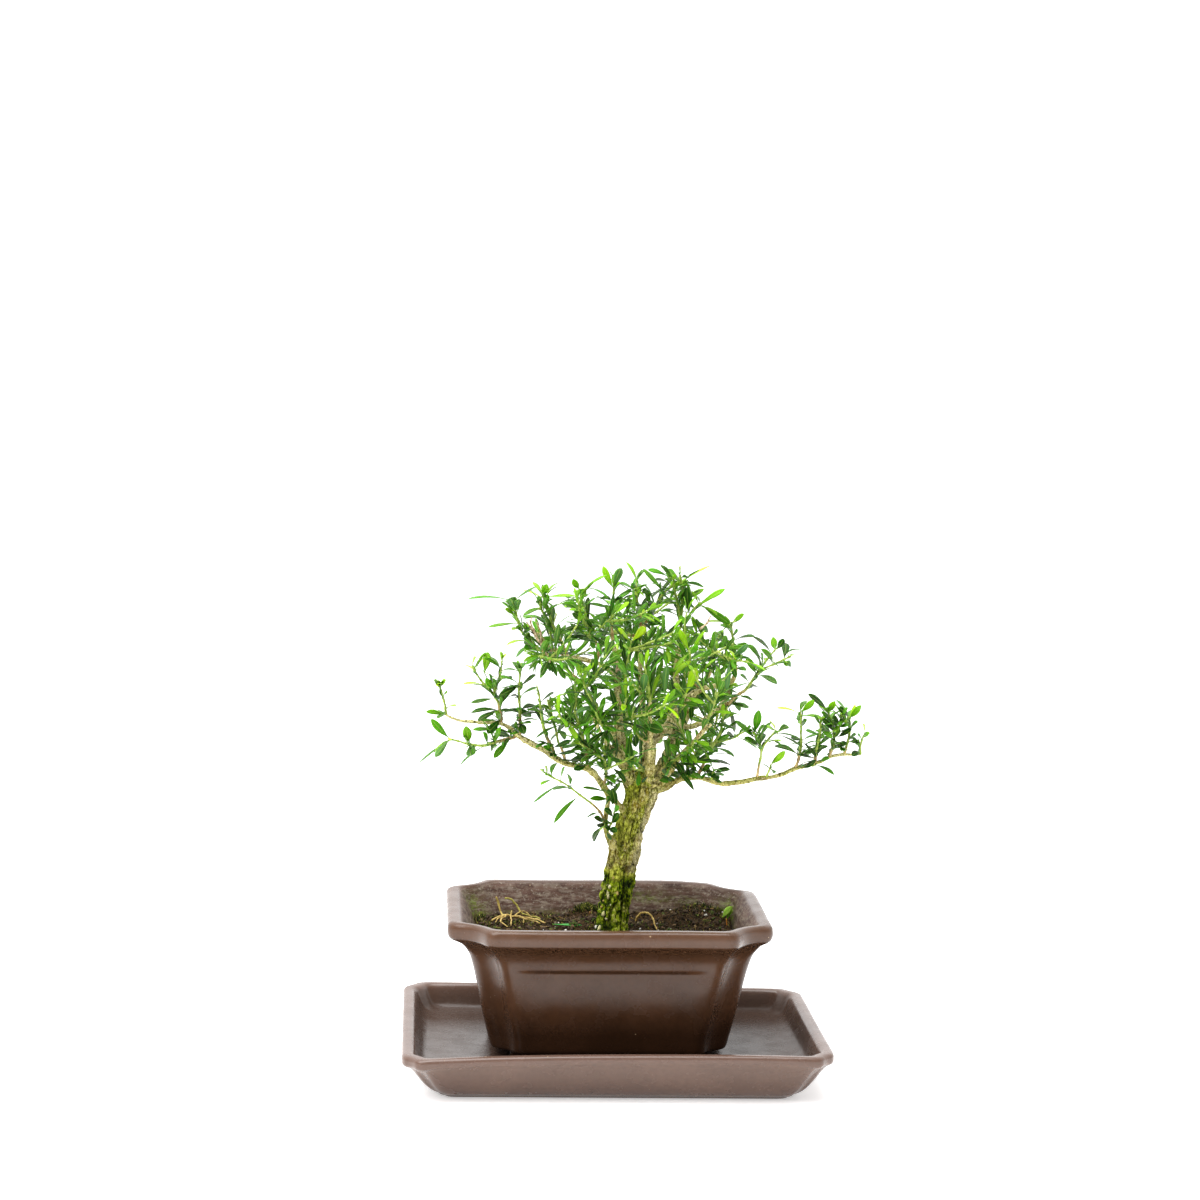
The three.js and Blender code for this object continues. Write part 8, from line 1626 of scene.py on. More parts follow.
            ([-20.2, -20.6, 180.1], [-10.9, -18.8, 181.8], [-0.19, 0.07, 0.98], 2.2, 0.04, "g", [-21, -20.7, 180]),
            ([-28.1, -29.1, 175.2], [-31.3, -29.5, 181.7], [0, -1, -0.06], 1.7, 0.08, "y", [-27.7, -29, 174.4]),
            ([-15.5, -13.1, 150.2], [-20.8, -18.5, 150.7], [0.06, 0.04, 1], 1.9, 0.1, "g", [-14.9, -12.5, 150.1]),
            ([-19.7, -7.1, 172.1], [-22.1, -11.4, 179.1], [0.94, 0.05, 0.35], 1.6, 0.07, "g", [-19.5, -6.6, 171.4]),
            ([-20.7, -22.6, 183.5], [-17.8, -31.7, 183], [0.04, -0.05, 1], 2.4, 0.1, "g", [-21, -21.7, 183.6]),
            ([-19.9, -7.3, 171.8], [-22.9, -11.4, 175], [-0.01, 0.63, 0.78], 1.8, 0.1, "g", [-19.5, -6.7, 171.3]),
            ([-15.3, -12.9, 149.5], [-17.8, -17.7, 151.7], [-0.07, 0.45, 0.89], 1, 0.12, "g", [-14.9, -12.2, 149.1]),
            ([-24.3, -25.5, 171.3], [-25.6, -31.9, 170.8], [0.77, -0.2, 0.61], 1.7, 0.08, "g", [-24.1, -24.6, 171.4]),
            ([-15.8, -15.8, 159.3], [-15.8, -23.6, 158.5], [0.27, -0.1, 0.96], 1.3, 0.09, "g", [-15.8, -14.9, 159.4]),
            ([-16.2, -13.7, 161.9], [-13.1, -6, 160.5], [-0.56, 0.36, 0.74], 2.2, 0.1, "g", [-16.5, -14.6, 162]),
            ([-15.4, -15.3, 157.5], [-15.7, -27.3, 159.1], [-0.98, 0.05, 0.2], 2.8, 0.13, "d", [-15.4, -14.4, 157.4]),
            ([-22.1, -23, 170.2], [-17.1, -28.3, 168.5], [-0.25, -0.51, 0.83], 1.4, 0.08, "g", [-22.7, -22.3, 170.5]),
            ([-28.5, -31.5, 175.4], [-25.5, -37.8, 172.2], [0.1, -0.41, 0.9], 2.3, 0.09, "y", [-28.9, -30.8, 175.8]),
            ([-18, -16.9, 167.9], [-15.4, -14.7, 174.1], [-0.67, -0.58, 0.47], 2.1, 0.11, "g", [-18.3, -17.1, 167.1]),
            ([-20.6, -21.3, 179.5], [-15.1, -30, 182.2], [0.03, 0.32, 0.95], 2.4, 0.05, "y", [-21.1, -20.5, 179.2]),
            ([-16.9, -15, 160.4], [-22.5, -13.9, 161], [0.2, 0.48, 0.86], 1.2, 0.09, "g", [-16, -15.2, 160.3]),
            ([-19.7, -5, 174.5], [-16, -6.1, 178.6], [-0.69, 0.24, 0.69], 1.7, 0.12, "p", [-20.3, -4.8, 173.9]),
            ([-19.5, -19.2, 172.3], [-18.6, -23.9, 175.2], [-0.24, 0.48, 0.85], 1.5, 0.07, "g", [-19.7, -18.4, 171.8]),
            ([-21, -22.4, 183.4], [-21.3, -31.1, 186.9], [-0.22, 0.36, 0.9], 1.9, 0.06, "p", [-20.9, -21.6, 183.1]),
            ([-17.5, -10.3, 167.7], [-9.7, -12.8, 176.7], [0.26, 0.96, 0.04], 2.1, 0.08, "g", [-18.1, -10.2, 167.1]),
            ([-14.8, -13.1, 149.4], [-14.6, -18.6, 151], [-0.09, 0.28, 0.96], 1.2, 0.1, "d", [-14.9, -12.2, 149.1]),
            ([-21.2, -18.9, 175.4], [-25.9, -15.7, 180.5], [0.66, -0.18, 0.73], 1.9, 0.12, "g", [-20.6, -19.3, 174.8]),
            ([-16.8, -12.5, 164.9], [-14.2, -10.8, 171.8], [-0.27, -0.91, 0.32], 2.4, 0.12, "g", [-17.1, -12.7, 164.1]),
            ([-13.4, -23.9, 191], [-5.2, -25.2, 188.3], [0.29, 0.83, 0.47], 2.7, 0.13, "g", [-14.3, -23.8, 191.2]),
            ([-19.4, -7.5, 169.2], [-23.6, -2.6, 165.5], [-0.29, 0.42, 0.86], 1.5, 0.11, "g", [-18.9, -8.1, 169.7]),
            ([-16, -15.8, 162.7], [-10.5, -16.3, 168.4], [-0.2, 0.94, 0.28], 1.5, 0.09, "d", [-16.6, -15.7, 162.1]),
            ([-20.6, -19.5, 168.6], [-23, -21.7, 162.6], [0.05, -0.95, 0.32], 1.3, 0.1, "g", [-20.3, -19.2, 169.4]),
            ([-21.5, -22.5, 189.9], [-22.2, -17.1, 192.7], [0.47, -0.36, 0.81], 1.6, 0.12, "g", [-21.4, -23.3, 189.5]),
            ([-19.5, -5.9, 171], [-19.7, 3.8, 168.2], [0.61, 0.24, 0.76], 1.6, 0.12, "g", [-19.5, -6.7, 171.3]),
            ([-8, -25.6, 197.5], [-4.4, -30.6, 196.2], [-0.02, -0.27, 0.96], 1.7, 0.06, "y", [-8.5, -24.9, 197.7]),
            ([-18.3, -22, 187.8], [-15.9, -16.1, 189.2], [-0.28, -0.1, 0.96], 1.7, 0.05, "g", [-18.7, -22.9, 187.6]),
            ([-15.7, -12.4, 149.4], [-26.6, -14.8, 152.4], [0.28, -0.09, 0.95], 2.5, 0.09, "d", [-14.9, -12.2, 149.1]),
            ([-21.8, -20.1, 179.5], [-26.9, -17.6, 181.5], [-0.15, -0.77, 0.62], 1.8, 0.05, "d", [-21.1, -20.5, 179.2]),
            ([-27.4, -28.4, 174.4], [-32.5, -33.1, 184.4], [0.87, -0.43, 0.24], 2.1, 0.1, "g", [-27, -28, 173.6]),
           ]),
    "m2": ("shoot_10",
           [[[-6.3, -12, 139.7], [-5.6, -15.5, 145.3], [-6.4, -19, 150.6], [-6.7, -22.5, 156], [-7.4, -26, 161.3]],
            [[-6.5, -21.3, 154.2], [-9.6, -22.4, 155.9], [-12.6, -23.2, 157.8], [-15.6, -24, 159.9], [-18.4, -24.7, 162.1]],
            [[-6.1, -17.8, 148.9], [-3.4, -22.2, 150.8], [-0.7, -26.5, 152.9], [2.4, -30.4, 155], [5.3, -34.3, 157.4]]],
           [
            ([-5, -19.4, 151.2], [0.2, -10.4, 157.1], [-0.25, -0.43, 0.87], 3.2, 0.03, "g", [-6.4, -19.4, 151.3]),
            ([-5.5, -14.2, 143.1], [-0.8, -23.2, 146.1], [-0.85, -0.3, 0.44], 3.3, 0.08, "g", [-5.7, -14.2, 143.2]),
            ([-7.4, -26, 161.3], [-5.2, -30.9, 169.6], [-0.97, -0.13, 0.19], 2.5, 0.06, "y", [-7.4, -26, 161.3]),
            ([-7.4, -26, 161.3], [-13.8, -29, 167.9], [0.75, -0.32, 0.58], 2.2, 0.08, "y", [-7.4, -26, 161.3]),
            ([-6.7, -22.5, 156], [-15.7, -20.2, 168.5], [0.73, -0.34, 0.59], 2.9, 0.06, "d", [-6.7, -22.5, 156]),
            ([-6.7, -22.5, 156], [-7, -36.9, 156.3], [-0.04, 0.02, 1], 2.8, 0.08, "d", [-6.7, -22.5, 156]),
            ([-5.6, -15.9, 146], [-2, -29.3, 144], [-0.14, -0.18, 0.97], 2.9, 0.09, "g", [-5.6, -15.9, 146]),
            ([-5.6, -15.9, 146], [-10.9, -13, 159], [0.71, -0.57, 0.41], 2.8, 0.04, "g", [-5.6, -15.9, 146]),
            ([-18.4, -24.7, 162.1], [-26.2, -30.4, 166.8], [0.17, 0.47, 0.86], 2.2, 0.08, "y", [-18.4, -24.7, 162.1]),
            ([-18.4, -24.7, 162.1], [-24.4, -24.1, 169.5], [-0.72, -0.43, -0.54], 2.2, 0.03, "y", [-18.4, -24.7, 162.1]),
            ([-14.1, -23.6, 158.8], [-16, -27.5, 170], [0.18, 0.92, 0.35], 2.5, 0.09, "g", [-14.1, -23.6, 158.8]),
            ([-14.1, -23.6, 158.8], [-24, -15.9, 156.4], [-0.4, -0.23, 0.89], 2.8, 0.1, "g", [-14.1, -23.6, 158.8]),
            ([-9.6, -22.4, 155.9], [-17.9, -15.7, 162.5], [0.02, -0.69, 0.73], 3, 0.09, "d", [-9.6, -22.4, 155.9]),
            ([-9.6, -22.4, 155.9], [-18.9, -32.2, 159.1], [-0.16, 0.44, 0.88], 2.8, 0.04, "d", [-9.6, -22.4, 155.9]),
            ([5.3, -34.3, 157.4], [16.7, -42.6, 162.9], [-0.36, 0.13, 0.93], 2.7, 0.05, "g", [5.3, -34.3, 157.4]),
            ([5.3, -34.3, 157.4], [6.3, -47.6, 162.4], [0.45, 0.35, 0.83], 2.7, 0.06, "g", [5.3, -34.3, 157.4]),
            ([2, -29.9, 154.7], [3.3, -29.5, 166.8], [0.8, -0.59, -0.07], 2.8, 0.05, "g", [2, -29.9, 154.7]),
            ([2, -29.9, 154.7], [8.1, -40.1, 153.6], [0.04, -0.08, 1], 2.9, 0.08, "g", [2, -29.9, 154.7]),
            ([-1.1, -25.9, 152.6], [-6.7, -36.8, 158.8], [0.7, 0.05, 0.71], 2.9, 0.07, "d", [-1.1, -25.9, 152.6]),
            ([-1.1, -25.9, 152.6], [11.4, -26.5, 157.2], [-0.35, -0.08, 0.93], 2.8, 0.03, "d", [-1.1, -25.9, 152.6]),
            ([-3.7, -21.6, 150.6], [2.5, -33.4, 145.2], [0, -0.42, 0.91], 3, 0.08, "d", [-3.7, -21.6, 150.6]),
            ([-3.7, -21.6, 150.6], [-1.7, -24.3, 165], [0.84, -0.5, -0.21], 2.7, 0.1, "d", [-3.7, -21.6, 150.6]),
            ([-7.5, -25.7, 159.8], [-9.7, -32.4, 161.1], [0.95, -0.32, 0.01], 1.6, 0.06, "y", [-7.2, -24.9, 159.6]),
            ([-1.8, -26.1, 153], [-9.8, -33, 161.6], [0.29, 0.6, 0.75], 2, 0.04, "d", [-1.2, -25.6, 152.4]),
            ([-7.4, -22.9, 156], [-15.9, -27.9, 156.8], [-0.12, 0.35, 0.93], 2.7, 0.06, "g", [-6.7, -22.5, 156]),
            ([-6.2, -19.1, 149.6], [-10.8, -24.9, 153.9], [-0.29, 0.71, 0.64], 2.1, 0.04, "g", [-5.7, -18.5, 149.2]),
            ([-12.3, -23.9, 157.6], [-15, -31.1, 159.2], [0.26, 0.11, 0.96], 1.8, 0.07, "g", [-12, -23.1, 157.4]),
            ([-5.7, -13.5, 140.8], [-0.9, -23.3, 140.6], [0.22, 0.09, 0.97], 2.8, 0.04, "d", [-6.1, -12.7, 140.8]),
            ([-6.1, -19.2, 152], [-3.8, -17.6, 159.7], [-0.79, 0.6, 0.12], 2.4, 0.05, "g", [-6.4, -19.3, 151.1]),
            ([-10.6, -22.6, 155.7], [-20.7, -24.4, 151.7], [-0.39, 0.18, 0.9], 2.1, 0.04, "g", [-9.8, -22.4, 156]),
            ([-7.4, -23.6, 158.8], [-14.7, -20, 169.8], [0.82, -0.07, 0.57], 2.9, 0.09, "y", [-7, -23.9, 158.1]),
            ([3.2, -32.3, 156], [3, -40.5, 159.3], [0.95, 0.1, 0.3], 2.1, 0.11, "g", [3.2, -31.4, 155.6]),
            ([-6.5, -20.5, 154], [-6.7, -19.9, 161.4], [-0.41, -0.91, 0.07], 2.2, 0.06, "g", [-6.5, -20.6, 153.1]),
            ([1, -29.9, 154.5], [-5.1, -40.8, 157.1], [0.87, -0.43, 0.22], 2.4, 0.05, "d", [1.4, -29.1, 154.3]),
            ([-5.6, -15, 146], [-5.9, -10.2, 152], [0.63, -0.59, 0.51], 1.9, 0.1, "u", [-5.6, -15.5, 145.3]),
            ([-5.3, -13, 141], [3.2, -16.4, 142.1], [-0.11, 0.07, 0.99], 2.7, 0.08, "g", [-6.1, -12.7, 140.8]),
            ([-5.7, -15.4, 143.5], [-4.7, -22.8, 142.4], [0.54, -0.06, 0.84], 1.9, 0.05, "g", [-5.8, -14.5, 143.7]),
            ([-11.8, -23.7, 158.1], [-8.5, -32.4, 166.7], [-0.43, 0.55, 0.72], 2.9, 0.1, "d", [-12, -23.1, 157.4]),
            ([-5.5, -13.3, 140.9], [0.4, -19.3, 141.4], [-0.02, 0.06, 1], 1.8, 0.08, "g", [-6.1, -12.7, 140.8]),
            ([-6.5, -21.4, 153.4], [-6.9, -28.2, 156], [-1, 0.05, -0.01], 1.4, 0.06, "d", [-6.5, -20.6, 153.1]),
            ([-5.6, -16.4, 145.6], [-6.1, -27.4, 149.5], [-0.91, 0.18, 0.38], 2.8, 0.08, "g", [-5.6, -15.5, 145.3]),
            ([-5.5, -15.3, 143.5], [-3, -22.4, 141.9], [0.18, -0.15, 0.97], 1.9, 0.05, "d", [-5.8, -14.5, 143.7]),
            ([-6.6, -17.9, 148.5], [-14.9, -25.1, 153.7], [0.58, -0.09, 0.81], 1.9, 0.06, "g", [-6, -17.4, 148.1]),
            ([-13.9, -23, 158], [-19.8, -20.8, 156.8], [-0.18, 0.05, 0.98], 2, 0.07, "y", [-13.1, -23.3, 158.1]),
            ([-6.9, -24.6, 160.3], [-3.5, -22.7, 170.7], [-0.81, 0.57, 0.16], 2.2, 0.05, "y", [-7.2, -24.8, 159.4]),
            ([-15, -24.6, 159.3], [-17.4, -31.3, 160.2], [0.28, 0.03, 0.96], 1.6, 0.12, "g", [-14.7, -23.7, 159.2]),
            ([-6.1, -23.2, 157], [-1.6, -25.3, 160.2], [0.18, 0.92, 0.35], 1.6, 0.07, "u", [-6.7, -22.8, 156.5]),
            ([-5.7, -17, 146.4], [-5.3, -23, 147.3], [0.51, 0.16, 0.84], 1.1, 0.11, "g", [-5.7, -16.1, 146.2]),
            ([-4.7, -21, 150.4], [-5.3, -31.9, 157.1], [0.06, 0.52, 0.85], 2.4, 0.05, "g", [-4.6, -20.2, 149.9]),
            ([-13.1, -24.2, 158.3], [-13, -31.1, 159.9], [-1, 0.01, 0.09], 1.2, 0.04, "g", [-13.1, -23.3, 158.1]),
            ([-18.1, -23.7, 161.4], [-22.7, -14.3, 160.6], [-0.74, -0.3, 0.6], 2, 0.1, "y", [-17.7, -24.5, 161.5]),
            ([-6.6, -24.8, 160.1], [-2.8, -25.2, 164.4], [-0.69, 0.33, 0.64], 1.8, 0.12, "y", [-7.2, -24.8, 159.4]),
            ([-7.3, -22.1, 155.4], [-5.8, -27.8, 163.7], [0.59, 0.71, 0.38], 2, 0.08, "d", [-7.4, -21.6, 154.7]),
            ([-5.5, -14.5, 144.6], [-1.6, -14.7, 154.7], [-0.8, 0.52, 0.31], 1.6, 0.04, "g", [-5.8, -14.5, 143.7]),
            ([-6.3, -21.8, 154.1], [-3.7, -32.4, 159.6], [0.38, 0.5, 0.78], 2.7, 0.1, "d", [-6.5, -21, 153.7]),
            ([-5.9, -19.4, 149.4], [-9.1, -31, 152.5], [-0.86, 0.34, 0.39], 2.5, 0.08, "d", [-5.6, -18.6, 149.2]),
            ([-5.7, -15.9, 144.5], [-5.3, -24.8, 145.5], [-0.32, 0.09, 0.94], 2.3, 0.1, "g", [-5.7, -15, 144.4]),
            ([-6.8, -26, 161.6], [-1.5, -27.7, 167.1], [-0.72, 0, 0.69], 2, 0.06, "g", [-7.4, -25.8, 161]),
            ([4, -33.6, 156.6], [2, -45.1, 158.2], [-0.67, 0.22, 0.71], 1.6, 0.04, "b", [4.1, -32.7, 156.4]),
            ([-7, -18.5, 149.6], [-18.7, -23.3, 152], [0.06, 0.33, 0.94], 2.8, 0.06, "d", [-6.2, -18.2, 149.4]),
            ([4.3, -34, 157.6], [0.5, -38.5, 164.1], [-0.9, 0.19, -0.39], 2.5, 0.11, "y", [4.7, -33.5, 156.9]),
            ([-6, -13.3, 140.6], [-4.5, -21.2, 142.8], [0.98, 0.21, 0.06], 2.2, 0.05, "g", [-6.2, -12.4, 140.4]),
            ([-0.1, -28.1, 153.5], [0, -38.3, 156.1], [-0.06, 0.25, 0.97], 1.6, 0.1, "g", [-0.1, -27.2, 153.3]),
            ([-5.1, -15.1, 143.7], [2.2, -21.7, 143.4], [-0.05, -0.1, 0.99], 2.5, 0.04, "d", [-5.8, -14.5, 143.7]),
           ]),
    "m3": ("shoot_11",
           [[[-24.7, -12, 150.3], [-26.2, -10.6, 155.9], [-28.6, -9.1, 161], [-29.6, -7.8, 166.1], [-31.1, -6.5, 170.7], [-32.5, -5, 176.3], [-33.5, -4, 180]]],
           [
            ([-29.6, -7.6, 167], [-25.1, -16.6, 163.6], [0.81, 0.51, -0.27], 3.5, 0.09, "u", [-29.7, -7.6, 166.7]),
            ([-32.2, -5.3, 175], [-31.2, 4.3, 180], [-0.02, -0.46, 0.89], 2.5, 0.07, "y", [-32.2, -5.3, 175]),
            ([-32.2, -5.3, 175], [-36.5, -11.8, 179], [0.13, 0.46, 0.88], 2.3, 0.02, "y", [-32.2, -5.3, 175]),
            ([-30.9, -6.7, 170.1], [-43.6, -4, 175.9], [0.45, 0.31, 0.84], 2.6, 0.09, "g", [-30.9, -6.7, 170.1]),
            ([-30.9, -6.7, 170.1], [-23.2, -11.1, 179], [-0.69, 0.2, 0.7], 2.7, 0.05, "g", [-30.9, -6.7, 170.1]),
            ([-29.2, -8.3, 164.2], [-35.3, -11.4, 177.2], [0.67, 0.59, 0.45], 3, 0.05, "d", [-29.2, -8.3, 164.2]),
            ([-29.2, -8.3, 164.2], [-24.9, 5.7, 167.3], [-0.1, -0.18, 0.98], 3.2, 0.05, "d", [-29.2, -8.3, 164.2]),
            ([-32.6, -5.9, 173.9], [-39.4, -6.8, 176.9], [0.41, -0.07, 0.91], 2.2, 0.04, "d", [-31.8, -5.8, 173.5]),
            ([-32.5, -4.3, 176.2], [-33.3, 1.7, 179.1], [-0.87, -0.3, 0.4], 1.7, 0.05, "b", [-32.4, -5.1, 175.8]),
            ([-29.9, -7.9, 168.6], [-27, -15, 173.3], [0.9, 0.43, 0.09], 2.1, 0.04, "y", [-30.2, -7.2, 168.1]),
            ([-31.6, -5, 174], [-29.8, 1.2, 178.2], [-0.85, -0.1, 0.52], 2.2, 0.07, "d", [-31.8, -5.8, 173.5]),
            ([-33.2, -5.6, 176], [-40.8, -10, 177.1], [0.31, -0.29, 0.91], 2.5, 0.05, "g", [-32.4, -5.1, 175.8]),
            ([-25, -10.9, 154.9], [-12.3, -11.1, 160.5], [-0.27, -0.76, 0.6], 2.8, 0.1, "d", [-25.8, -10.9, 154.6]),
            ([-33.1, -3.4, 179.2], [-31.7, 3.6, 180.3], [0.64, -0.25, 0.73], 2, 0.1, "g", [-33.3, -4.3, 179]),
            ([-31, -6.7, 168.3], [-36.9, -2.5, 169.8], [-0.11, -0.46, 0.88], 2.1, 0.05, "g", [-30.2, -7.2, 168.1]),
            ([-31.8, -4.5, 176.1], [-26.9, 0.1, 177.7], [-0.68, 0.55, 0.48], 1.4, 0.06, "g", [-32.4, -5.1, 175.8]),
            ([-32.2, -4.6, 174.6], [-33.5, 6.7, 174.1], [0.06, 0.05, 1], 1.7, 0.11, "g", [-32.1, -5.5, 174.6]),
            ([-32.6, -3.7, 179.7], [-24.4, 1.6, 182.5], [-0.22, -0.15, 0.96], 2.8, 0.04, "p", [-33.4, -4.2, 179.4]),
            ([-30.1, -6.3, 169.5], [-26.9, -1.2, 172.7], [-0.86, 0.5, 0.08], 1.5, 0.13, "g", [-30.6, -6.9, 169.1]),
            ([-24.1, -11.5, 151.3], [-12.4, -7.7, 155.1], [-0.03, -0.65, 0.76], 2.7, 0.07, "u", [-24.9, -11.8, 151.1]),
            ([-32.7, -4.9, 174.8], [-38.7, 0.8, 176.7], [0.68, 0.57, 0.45], 1.6, 0.06, "p", [-32.1, -5.5, 174.6]),
            ([-32.2, -4.2, 176.5], [-29.7, 1.2, 177.9], [0.28, -0.35, 0.89], 1.4, 0.12, "y", [-32.5, -5, 176.3]),
            ([-33, -3.8, 177.9], [-33.6, 2.6, 179.2], [-0.31, -0.23, 0.92], 1.6, 0.04, "y", [-32.9, -4.6, 177.7]),
           ]),
    "f1": ("shoot_12",
           [[[-12.7, -32.8, 174.6], [-11.8, -32.8, 173.7], [-11.1, -34, 179.6], [-15.1, -35.6, 186.4], [-18.1, -36.9, 192.3], [-20.1, -38, 197.1]],
            [[-17.2, -36.5, 190.4], [-14.8, -39.5, 193.9], [-12.5, -41.8, 197.9], [-10.6, -43.8, 202.3], [-8.6, -45.6, 206.7]]],
           [
            ([-19.6, -37.6, 195.2], [-13.8, -42.3, 202.9], [-0.72, -0.68, 0.12], 2.9, 0.02, "y", [-19.4, -37.6, 195.3]),
            ([-20.5, -37.7, 195.7], [-21.2, -29.4, 201.2], [0.28, -0.52, 0.81], 3.1, 0.04, "y", [-19.6, -37.7, 195.9]),
            ([-17.7, -36.8, 191.6], [-17, -30.9, 199.5], [0.1, -0.8, 0.59], 2.2, 0.01, "y", [-17.7, -36.8, 191.6]),
            ([-17.7, -36.8, 191.6], [-21.6, -43.9, 195.6], [-0.21, 0.56, 0.8], 2.2, 0.05, "y", [-17.7, -36.8, 191.6]),
            ([-15.5, -35.8, 187.2], [-27.7, -37.7, 188], [0.09, -0.13, 0.99], 3.1, 0.04, "d", [-15.5, -35.8, 187.2]),
            ([-15.5, -35.8, 187.2], [-11.3, -38.9, 200.9], [-0.95, 0.04, 0.3], 2.9, 0.05, "d", [-15.5, -35.8, 187.2]),
            ([-12.3, -34.6, 182.2], [-13.9, -45.7, 190.5], [-0.11, 0.61, 0.79], 2.7, 0.09, "g", [-12.3, -34.6, 182.2]),
            ([-12.3, -34.6, 182.2], [-12.4, -23.6, 190.8], [-0.08, -0.61, 0.79], 2.6, 0.03, "g", [-12.3, -34.6, 182.2]),
            ([-11, -33.5, 177.1], [2.8, -38.6, 180.3], [-0.04, 0.45, 0.89], 3, 0.03, "u", [-11, -33.5, 177.1]),
            ([-11, -33.5, 177.1], [-19.6, -26.7, 186.7], [0.47, -0.46, 0.75], 3.1, 0.08, "u", [-11, -33.5, 177.1]),
            ([-8.6, -45.6, 206.7], [-2.7, -49.6, 213.3], [-0.77, -0.11, 0.62], 2.3, 0.07, "y", [-8.6, -45.6, 206.7]),
            ([-8.6, -45.6, 206.7], [-7.5, -48.4, 216.8], [-0.18, 0.94, 0.28], 2.3, 0.08, "y", [-8.6, -45.6, 206.7]),
            ([-10.9, -43.5, 201.7], [-4.5, -37.4, 213.6], [-0.08, -0.87, 0.49], 3.1, 0.02, "d", [-10.9, -43.5, 201.7]),
            ([-10.9, -43.5, 201.7], [-9.8, -57.9, 207.3], [0.06, 0.36, 0.93], 3.1, 0.05, "d", [-10.9, -43.5, 201.7]),
            ([-13, -41.3, 196.9], [-14.2, -42.8, 209.2], [0.68, -0.73, -0.03], 2.8, 0.09, "g", [-13, -41.3, 196.9]),
            ([-13, -41.3, 196.9], [-2.1, -50, 195.2], [0.09, -0.07, 0.99], 2.9, 0.1, "g", [-13, -41.3, 196.9]),
            ([-15.4, -38.8, 193], [-16.4, -52.4, 199.8], [0.09, 0.44, 0.89], 3.1, 0.08, "u", [-15.4, -38.8, 193]),
            ([-15.4, -38.8, 193], [-4.9, -35, 200.9], [0.62, -0.09, -0.78], 2.9, 0.1, "u", [-15.4, -38.8, 193]),
            ([-12.9, -40.8, 195.6], [-6, -42.7, 195.3], [0.18, 0.48, 0.86], 1.3, 0.08, "g", [-13.8, -40.5, 195.7]),
            ([-19.4, -36.8, 195.9], [-18.8, -29.9, 198.9], [-0.05, -0.39, 0.92], 1.7, 0.08, "y", [-19.4, -37.7, 195.5]),
            ([-15.3, -39.5, 192.5], [-13.9, -44.7, 188.8], [0.02, -0.57, 0.82], 1.9, 0.05, "d", [-15.5, -38.7, 193]),
            ([-10.6, -34.8, 179.5], [-3.8, -45.6, 180.3], [-0.06, 0.04, 1], 2.4, 0.04, "d", [-11.1, -34, 179.5]),
            ([-9.4, -44.6, 206.2], [-12.2, -40, 212.2], [-0.71, -0.68, 0.19], 1.5, 0.1, "g", [-9.1, -45.1, 205.5]),
            ([-10.8, -33.6, 176.6], [-3.5, -35.8, 181.4], [-0.39, -0.9, 0.17], 2.1, 0.08, "d", [-11.5, -33.3, 176.2]),
            ([-12.3, -42.5, 197.7], [-7.6, -55, 195.9], [-0.93, -0.36, 0.11], 1.8, 0.07, "d", [-12.6, -41.7, 197.8]),
            ([-16.8, -37.3, 190.9], [-14.5, -42.6, 194.1], [0.59, 0.58, 0.55], 1.9, 0.06, "g", [-17.1, -36.5, 190.5]),
            ([-18.7, -38, 193.6], [-21.4, -50.8, 197.4], [0.38, 0.19, 0.9], 2.2, 0.07, "g", [-18.5, -37.2, 193.3]),
            ([-14.3, -35.6, 186.7], [-5.8, -36.2, 196.5], [-0.75, -0.02, 0.66], 2.1, 0.04, "g", [-14.8, -35.5, 186.1]),
            ([-11.9, -33.8, 174.3], [-12.7, -41.6, 174.2], [0.78, -0.09, 0.62], 2.1, 0.1, "g", [-11.8, -33, 174.3]),
            ([-10.3, -43.4, 201.2], [0.4, -45.5, 203.5], [-0.02, 0.7, 0.72], 1.8, 0.03, "g", [-11.1, -43.2, 201]),
            ([-15.5, -38.1, 191.7], [-8.1, -41.5, 191.3], [0.06, 0.01, 1], 1.9, 0.05, "d", [-16.3, -37.7, 191.8]),
            ([-12.6, -35.1, 181.1], [-21.7, -44.8, 179.6], [0.41, -0.5, 0.76], 2.7, 0.09, "u", [-12, -34.4, 181.2]),
            ([-14.2, -34.3, 184.6], [-17.1, -25.8, 186.5], [-0.61, -0.36, 0.7], 2, 0.05, "g", [-13.9, -35.2, 184.4]),
            ([-16.1, -37, 188.6], [-15.5, -50.6, 189.4], [0.2, 0.07, 0.98], 2.7, 0.06, "g", [-16.1, -36.1, 188.6]),
            ([-10.4, -43.3, 201.5], [-1.3, -44.9, 207], [0.03, 0.97, 0.23], 2.9, 0.04, "g", [-11.1, -43.2, 201]),
            ([-19.5, -38.5, 195.7], [-20.4, -45.3, 196.7], [-0.15, 0.17, 0.97], 1.4, 0.1, "g", [-19.4, -37.7, 195.5]),
            ([-15.7, -39.6, 193.1], [-17.4, -46.8, 193.6], [-0.87, 0.24, 0.43], 1.5, 0.11, "d", [-15.5, -38.7, 193]),
            ([-10.6, -33.4, 176.3], [2.3, -34, 178.5], [-0.17, -0.37, 0.91], 2.6, 0.05, "g", [-11.5, -33.3, 176.2]),
            ([-17.1, -37.3, 190.9], [-16.2, -47.7, 196.7], [-0.22, 0.46, 0.86], 2.8, 0.09, "g", [-17.1, -36.5, 190.5]),
            ([-12.3, -33.7, 174.5], [-16.6, -39.7, 176.9], [0.11, 0.29, 0.95], 1.7, 0.03, "d", [-11.8, -33, 174.3]),
            ([-12.7, -34, 182.5], [-15, -30.6, 186.9], [0.26, -0.69, 0.68], 1.1, 0.06, "d", [-12.4, -34.6, 181.8]),
            ([-14.6, -40.7, 194.7], [-14.6, -51.6, 198.4], [0.41, 0.29, 0.86], 2.9, 0.05, "g", [-14.6, -39.8, 194.4]),
